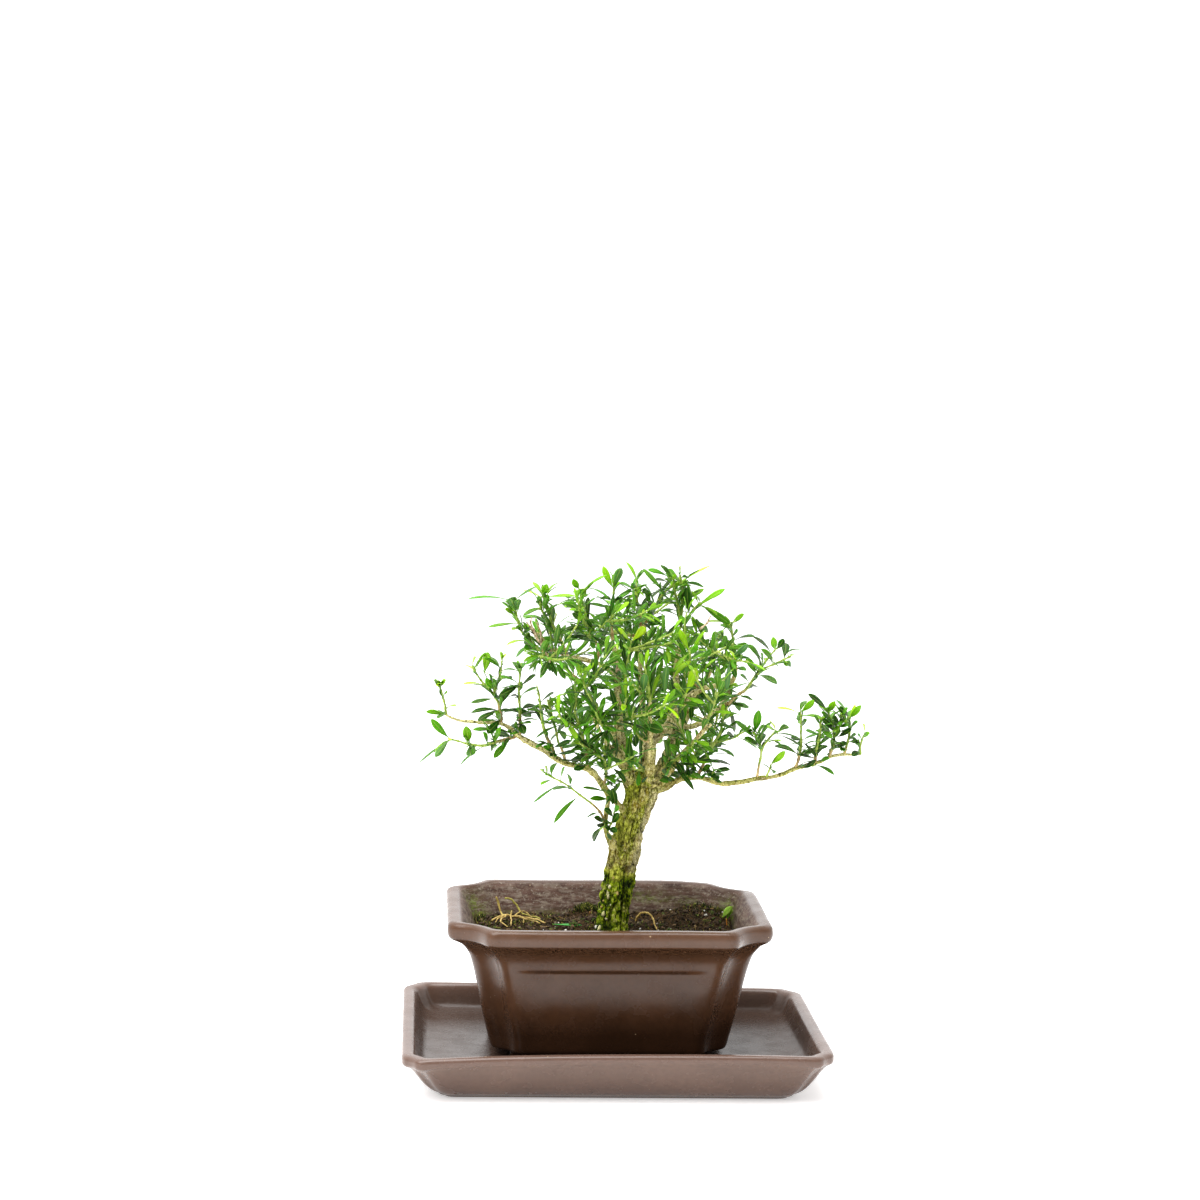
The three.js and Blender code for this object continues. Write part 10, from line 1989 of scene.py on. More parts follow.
            ([16, -6.8, 144.5], [11.9, -18.8, 142.7], [-0.46, 0.02, 0.89], 2.9, 0.06, "u", [16, -6.8, 144.5]),
            ([16, -6.8, 144.5], [8.9, 4.7, 151], [0.08, -0.45, 0.89], 2.8, 0.05, "u", [16, -6.8, 144.5]),
            ([-15.1, -7.4, 158.4], [-25.4, -15.7, 160.5], [-0.05, 0.3, 0.95], 2.9, 0.04, "g", [-15.1, -7.4, 158.4]),
            ([-15.1, -7.4, 158.4], [-22.5, -1.5, 165.4], [-0.47, -0.85, 0.23], 2.9, 0.04, "g", [-15.1, -7.4, 158.4]),
            ([-9.8, -7.4, 156], [-9.9, -7.5, 170.1], [-0.97, -0.22, -0.01], 2.9, 0.08, "g", [-9.8, -7.4, 156]),
            ([-9.8, -7.4, 156], [-20.1, -3.5, 145.8], [-0.65, 0.19, 0.73], 2.6, 0.03, "g", [-9.8, -7.4, 156]),
            ([-5.7, -7.3, 154.5], [-14.7, -0.6, 160.2], [-0.41, -0.85, 0.34], 2.8, 0.07, "u", [-5.7, -7.3, 154.5]),
            ([-5.7, -7.3, 154.5], [-12, -20, 154.6], [-0.82, 0.42, 0.4], 2.7, 0.05, "u", [-5.7, -7.3, 154.5]),
            ([0.8, -7.8, 153.6], [-7.5, -1.8, 147.1], [-0.71, -0.3, 0.64], 3.1, 0.05, "d", [0.8, -7.8, 153.6]),
            ([0.8, -7.8, 153.6], [-5.4, -12, 167.6], [0.66, 0.58, 0.47], 3.1, 0.03, "d", [0.8, -7.8, 153.6]),
            ([6.5, -23.8, 152.4], [6.1, -32, 155.5], [-0.36, 0.35, 0.87], 2.5, 0.08, "y", [6.5, -23.8, 152.4]),
            ([7.9, -20, 149.8], [11.4, -28.4, 157.7], [-0.48, 0.49, 0.73], 2.8, 0.08, "g", [7.9, -20, 149.8]),
            ([7.9, -20, 149.8], [-2.1, -24.2, 147.4], [-0.17, -0.16, 0.97], 2.8, 0.03, "g", [7.9, -20, 149.8]),
            ([10.1, -15.3, 148.2], [2.5, -18.4, 158.5], [0.81, -0.03, 0.59], 2.6, 0.04, "g", [10.1, -15.3, 148.2]),
            ([10.1, -15.3, 148.2], [9.3, -27.7, 142.8], [-0.53, -0.31, 0.79], 2.8, 0.02, "g", [10.1, -15.3, 148.2]),
            ([0.1, -8.2, 153.1], [-8.1, -12.9, 147.3], [-0.67, 0.48, 0.57], 2.6, 0.03, "u", [0.8, -7.8, 153.6]),
            ([28.6, -19.5, 154.5], [33.6, -24.6, 153.6], [-0.4, -0.53, 0.75], 1.4, 0.07, "g", [28, -18.9, 154.6]),
            ([35.7, -29.3, 163.8], [44.2, -32.5, 160.3], [0.09, -0.6, 0.79], 2.8, 0.09, "g", [34.9, -28.9, 164.1]),
            ([6.1, -8.6, 154.1], [3.3, -8.3, 167.7], [0.24, 0.97, 0.03], 1.9, 0.04, "d", [6.3, -8.7, 153.2]),
            ([-11.7, -8.2, 156.4], [-18, -20, 152.6], [-0.11, -0.25, 0.96], 2.5, 0.03, "y", [-11.3, -7.4, 156.7]),
            ([-2.5, -7.1, 153.2], [-4.1, -3.9, 147.7], [0.24, 0.87, 0.43], 1.6, 0.08, "d", [-2.3, -7.5, 153.9]),
            ([32.2, -24.9, 158.6], [32.6, -30.5, 154.2], [-0.2, -0.61, 0.76], 1.7, 0.04, "d", [32.2, -24.2, 159.2]),
            ([-8.1, -8, 155], [-16.7, -16.4, 152], [0.05, -0.38, 0.92], 2.2, 0.08, "g", [-7.4, -7.4, 155.2]),
            ([-14.1, -7.7, 157.1], [-19.7, -9.7, 152.6], [-0.5, -0.35, 0.79], 1.5, 0.06, "y", [-13.4, -7.4, 157.6]),
            ([-4.4, -7.2, 153.6], [-14.2, -4.9, 148.3], [-0.1, 0.83, 0.55], 1.9, 0.1, "d", [-3.6, -7.4, 154.1]),
            ([33.4, -26.5, 160.5], [34.7, -33.4, 160.1], [-0.3, -0.11, 0.95], 1.4, 0.1, "y", [33.3, -25.6, 160.5]),
            ([34.7, -28.7, 162.7], [36.4, -33.5, 161.2], [0.31, -0.18, 0.93], 1.6, 0.07, "g", [34.4, -27.9, 163]),
            ([-9.8, -8.1, 155.7], [-14.4, -13.2, 155], [-0.07, -0.07, 0.99], 1.7, 0.1, "y", [-9.2, -7.4, 155.8]),
            ([21.3, -9.2, 145.6], [29.7, -11.5, 144.3], [-0.02, -0.54, 0.84], 2.4, 0.08, "u", [20.4, -8.9, 145.7]),
            ([31.4, -23.6, 157.6], [34.4, -31.7, 154.1], [-0.22, -0.45, 0.86], 1.7, 0.11, "g", [31.1, -22.8, 157.9]),
            ([26.4, -15.7, 152.3], [33, -14.1, 153.5], [-0.14, -0.16, 0.98], 1.8, 0.08, "g", [25.5, -15.9, 152.2]),
            ([26.6, -16.6, 153.9], [28.7, -10.7, 163.6], [0.28, -0.84, 0.46], 2.2, 0.04, "g", [26.5, -17.1, 153.1]),
            ([28.6, -20.3, 155.3], [30.8, -31.3, 158.3], [0.36, 0.31, 0.88], 1.7, 0.04, "d", [28.4, -19.4, 155.1]),
            ([-4.2, -7.1, 155], [-3.5, -5.8, 160.7], [-0.79, -0.57, 0.23], 1.7, 0.08, "g", [-4.3, -7.3, 154.2]),
            ([20.7, -9.5, 145.2], [23.2, -14.1, 143.2], [0.72, 0.1, 0.68], 1.4, 0.1, "d", [20.3, -8.8, 145.6]),
            ([20.2, -7.2, 144.6], [25.1, -5.6, 148.4], [-0.61, 0.57, 0.55], 1.1, 0.09, "u", [19.5, -7.4, 144.1]),
            ([23.1, -13.8, 150.3], [21.5, -19.3, 155.4], [0.15, 0.64, 0.75], 2.1, 0.11, "g", [23.3, -13.1, 149.7]),
            ([29.7, -21.8, 156.1], [29.9, -28.6, 154.8], [0.28, -0.17, 0.95], 2.2, 0.1, "y", [29.7, -20.9, 156.3]),
            ([-6.2, -7.9, 154.6], [-12.8, -12.9, 155.5], [0.31, -0.24, 0.92], 1.8, 0.1, "g", [-5.4, -7.3, 154.5]),
            ([26.5, -18.4, 153.4], [22.3, -26.5, 152], [0.69, -0.45, 0.56], 1.6, 0.06, "d", [26.9, -17.6, 153.6]),
            ([24.4, -15.1, 150.6], [26.3, -23.8, 149.8], [0.41, 0.01, 0.91], 2, 0.05, "u", [24.2, -14.2, 150.7]),
            ([30.3, -22.7, 157.3], [29.6, -28.7, 159], [0.4, 0.21, 0.89], 1.9, 0.09, "g", [30.4, -21.8, 157]),
            ([24.8, -16.1, 151.3], [21.9, -25.5, 147.5], [0.95, -0.32, 0.07], 2.6, 0.05, "g", [25, -15.2, 151.6]),
            ([32.8, -26.1, 160.2], [31.2, -38.5, 162.2], [0.28, 0.11, 0.95], 1.7, 0.1, "y", [32.9, -25.2, 160.1]),
            ([6.2, -8.5, 154.9], [3.2, 0.7, 161.6], [-0.8, -0.5, 0.34], 2.3, 0.05, "g", [6.4, -9.2, 154.4]),
            ([-0.8, -7.7, 154.3], [-5.9, -7.4, 159.7], [0.65, 0.48, 0.59], 1.2, 0.12, "u", [-0.2, -7.7, 153.7]),
            ([35.4, -30.3, 164.8], [36.5, -35.7, 165.3], [-0.57, -0.04, 0.82], 1, 0.11, "p", [35.2, -29.5, 164.7]),
            ([27.3, -19.2, 154.5], [25, -29.5, 157.9], [-0.88, 0.32, 0.36], 2.6, 0.1, "u", [27.5, -18.3, 154.2]),
            ([4.7, -8, 153.9], [-0.9, -1.4, 161.8], [0.88, 0.32, 0.35], 2.6, 0.11, "d", [5.1, -8.5, 153.3]),
            ([25.5, -16.1, 153.1], [23.8, -17.9, 164.4], [-0.51, 0.86, 0.06], 2.8, 0.06, "g", [25.6, -16, 152.2]),
            ([2, -8.7, 154], [-3.1, -17.7, 161.1], [-0.38, 0.7, 0.61], 1.7, 0.1, "d", [2.4, -8, 153.4]),
            ([24, -15, 150.5], [22.6, -20.8, 149.4], [-0.66, 0.01, 0.75], 1.4, 0.05, "d", [24.2, -14.2, 150.7]),
            ([27.2, -18.9, 154.8], [24.2, -24.3, 160.1], [0, 0.71, 0.71], 1.6, 0.11, "g", [27.5, -18.3, 154.2]),
            ([22.1, -12.4, 148.3], [22.3, -22.9, 147.7], [-0.26, -0.05, 0.96], 2.4, 0.11, "u", [22.1, -11.5, 148.3]),
            ([28.6, -20.3, 155.3], [30.6, -28.3, 157.2], [0.94, 0.28, 0.21], 1.5, 0.11, "u", [28.4, -19.4, 155.1]),
            ([-6.2, -7.5, 154.1], [-14.5, -9.1, 149.7], [-0.49, 0.13, 0.86], 2.5, 0.05, "g", [-5.4, -7.3, 154.5]),
            ([21.2, -8.9, 145.3], [27.9, -10.1, 142.8], [0.17, -0.62, 0.77], 1.7, 0.07, "g", [20.3, -8.8, 145.6]),
            ([24.5, -15.6, 152.2], [21.4, -17.9, 156.2], [0.76, -0.6, 0.24], 1, 0.08, "g", [25, -15.2, 151.6]),
            ([31.9, -24.9, 158.7], [29.7, -33.6, 154.6], [0.43, -0.47, 0.77], 1.6, 0.06, "g", [32.1, -24.1, 159.1]),
            ([30.4, -22.7, 157.1], [31.3, -35.3, 158.7], [-0.46, 0.08, 0.88], 2.2, 0.12, "g", [30.4, -21.8, 157]),
            ([7, -20.5, 149.5], [-2.4, -23.3, 143.1], [-0.6, 0.35, 0.73], 2.9, 0.09, "y", [7.7, -20.3, 150]),
            ([23.3, -14, 149.7], [23.2, -21, 149.8], [0.81, -0.02, 0.59], 1.6, 0.12, "d", [23.3, -13.1, 149.7]),
            ([31, -23.7, 158.1], [29, -35.2, 159.3], [-0.35, 0.16, 0.92], 1.6, 0.07, "y", [31.2, -22.9, 158]),
            ([33, -26.1, 160.1], [33.6, -36.9, 160.4], [-0.87, -0.03, 0.5], 2.4, 0.07, "g", [32.9, -25.2, 160.1]),
            ([22.1, -11, 149.1], [22.4, -6.9, 155.6], [-0.77, -0.52, 0.37], 1.5, 0.08, "d", [22.1, -11.5, 148.3]),
            ([-4.9, -7.7, 153.5], [-8.9, -10.5, 148.9], [-0.09, -0.81, 0.57], 2, 0.08, "g", [-4.3, -7.3, 154.2]),
            ([35.2, -30.3, 164.8], [35.4, -35.9, 165.3], [-0.23, 0.09, 0.97], 1.4, 0.12, "y", [35.2, -29.5, 164.7]),
            ([23.4, -14, 149.9], [24.3, -25.1, 151.5], [0.93, 0.13, 0.35], 2, 0.1, "g", [23.3, -13.1, 149.7]),
            ([32.2, -24.9, 159.3], [33.2, -31.2, 161], [-0.91, -0.03, 0.42], 1.9, 0.1, "y", [32.1, -24.1, 159.1]),
            ([10.4, -8.2, 148.8], [1.7, -14.7, 148.3], [0.09, -0.2, 0.98], 2.8, 0.07, "g", [11.1, -7.7, 148.9]),
            ([4.6, -8.8, 153.9], [1, -11.2, 158.4], [0.46, 0.58, 0.67], 1.4, 0.1, "d", [5.1, -8.5, 153.3]),
            ([19.2, -7, 142.8], [24.3, -16.1, 142.6], [-0.56, -0.33, 0.76], 2.7, 0.06, "g", [18.8, -6.2, 142.8]),
            ([20.9, -9.4, 145.3], [26, -14.8, 142.8], [-0.42, -0.68, 0.6], 1.6, 0.07, "u", [20.3, -8.8, 145.6]),
            ([-7.8, -7.4, 154.4], [-15.3, -7.3, 146.3], [-0.3, 0.91, 0.28], 2.3, 0.05, "y", [-7.2, -7.4, 155.1]),
           ]),
    "e6": ("shoot_17",
           [[[32.7, -7, 143.3], [34.1, -9.9, 148.7], [36.2, -13.1, 154.1], [37.7, -16, 158.9]],
            [[33.2, -7.9, 145.1], [32.1, -6.5, 148.8], [31, -5.3, 152.6], [29.9, -4.2, 156.4], [29, -3.1, 160.2]],
            [[37, -14.6, 156.5], [34.3, -15.7, 160], [32, -16.5, 163.8], [29.9, -17.3, 167.7], [27.9, -18, 171.7]]],
           [
            ([32.5, -7.3, 144.4], [25.4, -16.3, 151.6], [0.85, -0.42, 0.32], 3.4, 0.09, "d", [32.9, -7.3, 144]),
            ([38.1, -13.1, 153.1], [48.3, -22.1, 153.2], [-0.24, -0.26, 0.94], 3.5, 0.04, "d", [36.2, -13.1, 154.1]),
            ([37.7, -16, 158.9], [48.1, -17.7, 166.4], [-0.6, -0.09, 0.8], 2.9, 0.09, "g", [37.7, -16, 158.9]),
            ([37.7, -16, 158.9], [36.3, -22.2, 169.5], [0.78, 0.49, 0.39], 2.9, 0.08, "g", [37.7, -16, 158.9]),
            ([36.4, -13.5, 154.7], [39.3, -24, 159.6], [0.29, 0.47, 0.83], 2.6, 0.02, "g", [36.4, -13.5, 154.7]),
            ([34.4, -10.3, 149.4], [29.6, -14.4, 159.6], [0.9, 0.03, 0.43], 2.9, 0.02, "d", [34.4, -10.3, 149.4]),
            ([34.4, -10.3, 149.4], [48.1, -8.8, 157.3], [-0.42, -0.42, 0.81], 3.1, 0.05, "d", [34.4, -10.3, 149.4]),
            ([29, -3.1, 160.2], [31.7, -0.3, 170], [-0.92, -0.23, 0.32], 2.5, 0.05, "y", [29, -3.1, 160.2]),
            ([29, -3.1, 160.2], [24.1, -1.7, 167.5], [0.83, -0.04, 0.56], 2.3, 0.04, "y", [29, -3.1, 160.2]),
            ([30.3, -4.6, 155], [29.6, 5.5, 162.5], [0.02, -0.6, 0.8], 2.9, 0.07, "g", [30.3, -4.6, 155]),
            ([32, -6.3, 149.3], [23.5, -3.1, 157], [0.64, -0.11, 0.76], 3.2, 0.05, "d", [32, -6.3, 149.3]),
            ([32, -6.3, 149.3], [39.1, -7.6, 159.4], [-0.75, 0.32, 0.57], 3.1, 0.08, "d", [32, -6.3, 149.3]),
            ([27.9, -18, 171.7], [30.3, -23.2, 180.9], [-0.75, 0.47, 0.46], 2.4, 0.03, "y", [27.9, -18, 171.7]),
            ([27.9, -18, 171.7], [20, -14.8, 176.7], [0.51, -0.09, 0.86], 2.4, 0.06, "y", [27.9, -18, 171.7]),
            ([30.4, -17.1, 166.7], [32.3, -12, 179.2], [-0.44, -0.8, 0.39], 2.7, 0.03, "g", [30.4, -17.1, 166.7]),
            ([30.4, -17.1, 166.7], [20.5, -27.3, 170.9], [0.16, 0.24, 0.96], 2.9, 0.07, "g", [30.4, -17.1, 166.7]),
            ([32.8, -16.2, 162.3], [21, -12.7, 165.1], [0.19, -0.14, 0.97], 2.8, 0.06, "d", [32.8, -16.2, 162.3]),
            ([33.8, -8.1, 144.7], [40.2, -12.3, 146], [-0.05, 0.23, 0.97], 1.4, 0.05, "g", [33.1, -7.6, 144.5]),
            ([32.4, -16.8, 162.9], [26.2, -25.2, 168.8], [-0.01, 0.58, 0.81], 2, 0.04, "d", [32.8, -16.2, 162.4]),
            ([33.7, -7.2, 146.1], [38.8, -3.6, 148.2], [0.39, -0.81, 0.44], 1.6, 0.04, "d", [33, -7.7, 145.8]),
            ([36.2, -13.6, 153.8], [39.1, -22.1, 157], [0.22, 0.41, 0.88], 1.8, 0.04, "d", [35.9, -12.8, 153.5]),
            ([33.7, -9.4, 146.8], [35.4, -16.7, 150.4], [-0.79, 0.11, 0.6], 1.5, 0.06, "g", [33.5, -8.6, 146.4]),
            ([35.8, -11.4, 151.9], [42.7, -11.3, 158.5], [-0.54, 0.63, 0.56], 2, 0.07, "d", [35.1, -11.4, 151.3]),
            ([30, -5.1, 154.8], [23.9, -9.3, 163.2], [0.67, 0.35, 0.66], 2.1, 0.04, "y", [30.5, -4.8, 154.2]),
            ([37.3, -15.1, 156.4], [43.9, -25.2, 159.1], [-0.42, -0.03, 0.91], 2.1, 0.1, "y", [36.9, -14.4, 156.2]),
            ([34.1, -10.7, 148.4], [33.8, -21, 146.5], [-0.45, -0.15, 0.88], 2.1, 0.1, "d", [34.1, -9.8, 148.6]),
            ([36.8, -15.9, 158.7], [30.4, -19.3, 163.4], [0.63, -0.67, 0.39], 2.5, 0.11, "y", [37.5, -15.6, 158.2]),
            ([33.5, -8.4, 144.8], [37.8, -16.4, 148.3], [-0.52, 0.09, 0.85], 2.3, 0.08, "u", [33.1, -7.6, 144.5]),
            ([34, -9.4, 146.3], [40.1, -20, 145.5], [0.86, 0.48, 0.19], 2.4, 0.08, "g", [33.5, -8.6, 146.4]),
            ([29.6, -17.7, 166.7], [24.2, -21.7, 164.9], [-0.47, 0.23, 0.85], 2.1, 0.06, "g", [30.3, -17.1, 167]),
            ([30.6, -17.7, 165.6], [26.8, -26, 165.7], [-0.63, 0.3, 0.71], 2.6, 0.06, "g", [31, -16.9, 165.6]),
            ([37.1, -16.4, 158.4], [33.9, -23, 160.2], [0.29, 0.11, 0.95], 2, 0.04, "y", [37.5, -15.6, 158.2]),
            ([34.7, -9.3, 149.1], [40.1, -4.4, 154.2], [0.52, -0.82, 0.23], 2, 0.09, "d", [34.1, -9.8, 148.6]),
            ([33.5, -9.5, 146.4], [32.5, -22.3, 146.5], [-0.88, 0.07, 0.47], 2.8, 0.1, "d", [33.5, -8.6, 146.4]),
            ([30.7, -17.7, 165.8], [26.8, -29.9, 167.9], [0.19, 0.11, 0.98], 2.3, 0.05, "d", [31, -16.9, 165.6]),
            ([33.1, -8.9, 146.4], [30, -16.6, 154.5], [0.95, -0.31, 0.08], 1.8, 0.12, "g", [33.4, -8.3, 145.8]),
            ([30.9, -6.5, 150.8], [25.6, -11.6, 152.1], [0.51, -0.34, 0.79], 1.7, 0.08, "u", [31.6, -5.9, 150.7]),
            ([33.8, -8, 144.7], [38.6, -10.2, 146.5], [-0.3, 0.09, 0.95], 1.3, 0.11, "d", [33, -7.6, 144.5]),
            ([36.9, -15.4, 156.9], [36.5, -22.8, 160.3], [0.24, 0.4, 0.89], 1.9, 0.09, "g", [36.9, -14.6, 156.5]),
            ([28.9, -17.4, 168.4], [21.7, -17.8, 172], [0.45, -0.16, 0.88], 2.3, 0.12, "d", [29.7, -17.3, 167.9]),
            ([33.9, -9, 146], [37.9, -14.2, 147.1], [0.62, 0.59, 0.52], 1.3, 0.09, "d", [33.4, -8.3, 145.8]),
            ([31.7, -7, 149.8], [28.5, -16.2, 155.8], [-0.02, 0.55, 0.83], 1.6, 0.1, "u", [32, -6.3, 149.4]),
            ([30.1, -17.2, 165.7], [24.6, -19.4, 165.7], [-0.19, 0.46, 0.87], 1.9, 0.06, "g", [30.9, -16.9, 165.8]),
            ([28.1, -18.6, 171.5], [27.1, -23.3, 175], [0.53, 0.43, 0.73], 1.7, 0.04, "g", [28.3, -17.9, 170.9]),
            ([34.2, -16.4, 159.8], [31.9, -22.7, 160], [0.25, -0.05, 0.97], 1.6, 0.07, "g", [34.5, -15.6, 159.8]),
            ([35, -16, 158.4], [32.4, -21.2, 157.1], [0.76, -0.48, 0.44], 1.1, 0.1, "g", [35.4, -15.2, 158.6]),
            ([33.9, -7.8, 144.4], [39.8, -9.1, 144.1], [-0.19, -0.92, 0.34], 1.7, 0.08, "g", [33, -7.6, 144.5]),
            ([31, -16, 164.4], [25.4, -9.7, 163.6], [-0.29, -0.13, 0.95], 1.9, 0.07, "d", [31.6, -16.7, 164.5]),
            ([33.7, -9.8, 147.7], [32.7, -17.7, 152.4], [0.99, -0.08, 0.07], 1.9, 0.09, "g", [33.8, -9.1, 147.2]),
            ([33.2, -8.1, 146.6], [34.6, -11.7, 152.3], [-0.97, -0.02, 0.24], 2.1, 0.05, "d", [33, -7.7, 145.8]),
            ([34.2, -10.8, 148.7], [34.1, -21.5, 146.9], [0.59, -0.13, 0.8], 1.9, 0.1, "d", [34.2, -9.9, 148.8]),
            ([35.8, -11.2, 151], [46.3, -11.2, 152.7], [-0.06, -0.91, 0.4], 2.7, 0.09, "y", [35, -11.2, 150.9]),
            ([32.4, -17.1, 163.7], [33.2, -24.9, 169.1], [0.35, 0.56, 0.75], 2.7, 0.1, "d", [32.4, -16.4, 163.2]),
           ]),
    "e7": ("shoot_18",
           [[[38.9, -7.1, 143.6], [41.6, -6.3, 149.7], [44.5, -5.4, 155.4], [46.9, -4.6, 160.2], [49.7, -3.8, 165], [51.1, -2.9, 171.2], [53, -2, 176.9]],
            [[46.9, -4.6, 160.2], [51.1, -6, 161.4], [56.6, -8.1, 163.7], [61.2, -10, 167]],
            [[44.9, -5.2, 156.3], [45.9, -0.4, 158.5], [46.9, 4.2, 161.3], [48, 8.3, 164.6], [49.4, 12.1, 168.3]],
            [[45.9, -0.4, 158.5], [43.3, 4.8, 157], [40.8, 10.1, 156.1], [38, 15.4, 156.5], [35.3, 20.5, 157.8]],
            [[47.8, 7.7, 164], [48.7, 6.6, 169.7], [50.1, 6.2, 175.4], [51.4, 6, 181.1], [52.9, 5.9, 186.7]]],
           [
            ([47.8, -4.7, 159.2], [54.5, 4.3, 157.5], [0.37, -0.1, 0.92], 3.5, 0.07, "g", [46.6, -4.7, 159.6]),
            ([45.9, -5, 157.8], [57.3, 1.3, 152.6], [0.14, 0.47, 0.87], 3.7, 0.08, "u", [45.7, -5, 157.9]),
            ([43.1, -6, 151.6], [56.1, 3, 148.4], [0.42, -0.3, 0.86], 3.6, 0.06, "d", [42.7, -6, 151.9]),
            ([42.2, -6.5, 147.8], [47.2, -15.5, 144.4], [-0.16, -0.42, 0.89], 3.6, 0.07, "d", [41, -6.5, 148.2]),
            ([41.2, -6.7, 146.3], [44.7, -15.7, 150.7], [-0.94, -0.24, 0.25], 3.3, 0.09, "g", [40.3, -6.7, 146.7]),
            ([54, -2.1, 175.5], [58, 6.9, 164], [0.83, -0.55, -0.14], 3.8, 0.03, "d", [52.8, -2.1, 176.2]),
            ([56.6, -8.1, 163.7], [51.8, -17.1, 166.9], [0.88, -0.35, 0.32], 3.4, 0.03, "d", [56.6, -8.1, 163.7]),
            ([57.6, -8.3, 163.8], [68, -2, 157.6], [0.6, -0.25, 0.76], 3.1, 0.05, "g", [57.2, -8.3, 164.1]),
            ([61.2, -10, 167], [60.1, -1, 169.6], [0.46, -0.19, 0.87], 3.3, 0.08, "g", [61.2, -10, 167]),
            ([61.2, -10, 167], [63.1, -19, 170.3], [-0.9, -0.04, 0.42], 3.2, 0.04, "g", [61.2, -10, 167]),
            ([50.9, -3, 170.4], [51.9, 4.6, 178], [-0.22, -0.68, 0.7], 2.2, 0.06, "y", [50.9, -3, 170.4]),
            ([49.7, -3.8, 165], [40.6, -4.2, 177.8], [0.8, 0.14, 0.58], 3, 0.03, "d", [49.7, -3.8, 165]),
            ([49.7, -3.8, 165], [59.5, 1.5, 170.3], [-0.33, -0.3, 0.9], 2.8, 0.03, "d", [49.7, -3.8, 165]),
            ([43.8, -5.6, 154.1], [56.5, 2.8, 153.3], [0, 0.1, 1], 2.9, 0.06, "d", [43.8, -5.6, 154.1]),
            ([43.8, -5.6, 154.1], [40.8, -7.6, 165.5], [0.82, 0.48, 0.3], 3, 0.09, "d", [43.8, -5.6, 154.1]),
            ([49.4, 12.1, 168.3], [49, 15.5, 176.7], [0.15, -0.91, 0.38], 2.4, 0.01, "y", [49.4, 12.1, 168.3]),
            ([49.4, 12.1, 168.3], [54.5, 20.5, 172.7], [-0.33, -0.27, 0.9], 2.5, 0.01, "y", [49.4, 12.1, 168.3]),
            ([48, 8.3, 164.6], [56, 11.5, 174], [-0.71, -0.2, 0.68], 2.8, 0.02, "d", [48, 8.3, 164.6]),
            ([48, 8.3, 164.6], [36.3, 14, 169.5], [0.49, 0.31, 0.81], 2.7, 0.05, "d", [48, 8.3, 164.6]),
            ([46.6, 3.1, 160.5], [50.1, 12.8, 152.9], [0.21, 0.56, 0.8], 2.9, 0.02, "u", [46.6, 3.1, 160.5]),
            ([46.6, 3.1, 160.5], [45.8, 3.6, 174.1], [-0.32, 0.95, -0.05], 2.8, 0.07, "u", [46.6, 3.1, 160.5]),
            ([45.7, -1.6, 157.9], [40, 7.3, 154.2], [0.31, 0.53, 0.79], 2.9, 0.09, "g", [45.7, -1.6, 157.9]),
            ([45.7, -1.6, 157.9], [55.6, 2.8, 163.5], [-0.35, 0.93, -0.12], 2.8, 0.08, "g", [45.7, -1.6, 157.9]),
            ([35.3, 20.5, 157.8], [32.9, 26.4, 163.6], [0.19, -0.65, 0.74], 2.2, 0.06, "y", [35.3, 20.5, 157.8]),
            ([35.3, 20.5, 157.8], [31.9, 29.9, 157.4], [-0.5, -0.14, 0.86], 2.3, 0.01, "y", [35.3, 20.5, 157.8]),
            ([37.7, 16, 156.6], [23.8, 22.8, 156.7], [0.28, 0.57, 0.77], 3, 0.04, "d", [37.7, 16, 156.6]),
            ([40.1, 11.4, 156.1], [33.1, 19.7, 164.7], [0.73, -0.09, 0.68], 2.7, 0.01, "g", [40.1, 11.4, 156.1]),
            ([42.4, 6.7, 156.6], [30.3, 12.6, 156.8], [0.32, 0.63, 0.71], 3.1, 0.06, "d", [42.4, 6.7, 156.6]),
            ([42.4, 6.7, 156.6], [45.1, 19.1, 155.1], [-0.39, 0.19, 0.9], 3, 0.08, "d", [42.4, 6.7, 156.6]),
            ([52.9, 5.9, 186.7], [58.1, 1.9, 195.8], [-0.67, 0.46, 0.58], 2.2, 0.08, "y", [52.9, 5.9, 186.7]),
            ([52.9, 5.9, 186.7], [51.7, 7.9, 197.6], [0.99, -0.04, 0.12], 2.4, 0.03, "y", [52.9, 5.9, 186.7]),
            ([51.6, 5.9, 181.8], [64, 11.6, 187.4], [-0.34, -0.18, 0.92], 2.8, 0.06, "g", [51.6, 5.9, 181.8]),
            ([51.6, 5.9, 181.8], [43.9, 3.1, 190.6], [0.7, 0.22, 0.68], 2.8, 0.06, "g", [51.6, 5.9, 181.8]),
            ([50.3, 6.2, 176.1], [47.1, 16.3, 184.8], [0.4, -0.52, 0.75], 2.8, 0.07, "d", [50.3, 6.2, 176.1]),
            ([50.3, 6.2, 176.1], [57.6, -1.1, 183], [-0.48, 0.3, 0.83], 2.8, 0.09, "d", [50.3, 6.2, 176.1]),
            ([49.1, 6.4, 171.1], [41.9, -0.3, 178.8], [0.7, 0.08, 0.71], 2.8, 0.03, "g", [49.1, 6.4, 171.1]),
            ([49.1, 6.4, 171.1], [58.6, 8.6, 179.6], [-0.59, -0.31, 0.74], 2.8, 0.03, "g", [49.1, 6.4, 171.1]),
            ([60.3, -10.4, 166.4], [61.9, -17, 167.8], [-0.02, 0.21, 0.98], 2, 0.1, "b", [60.1, -9.5, 166.2]),
            ([46.5, 4.2, 160.4], [44.3, 15.6, 155.7], [0.46, 0.42, 0.78], 2.9, 0.04, "g", [46.7, 3.4, 160.8]),
            ([47.8, -3.8, 161.2], [54, 4.4, 165.8], [-0.54, -0.06, 0.84], 2.9, 0.1, "g", [47.3, -4.5, 160.8]),
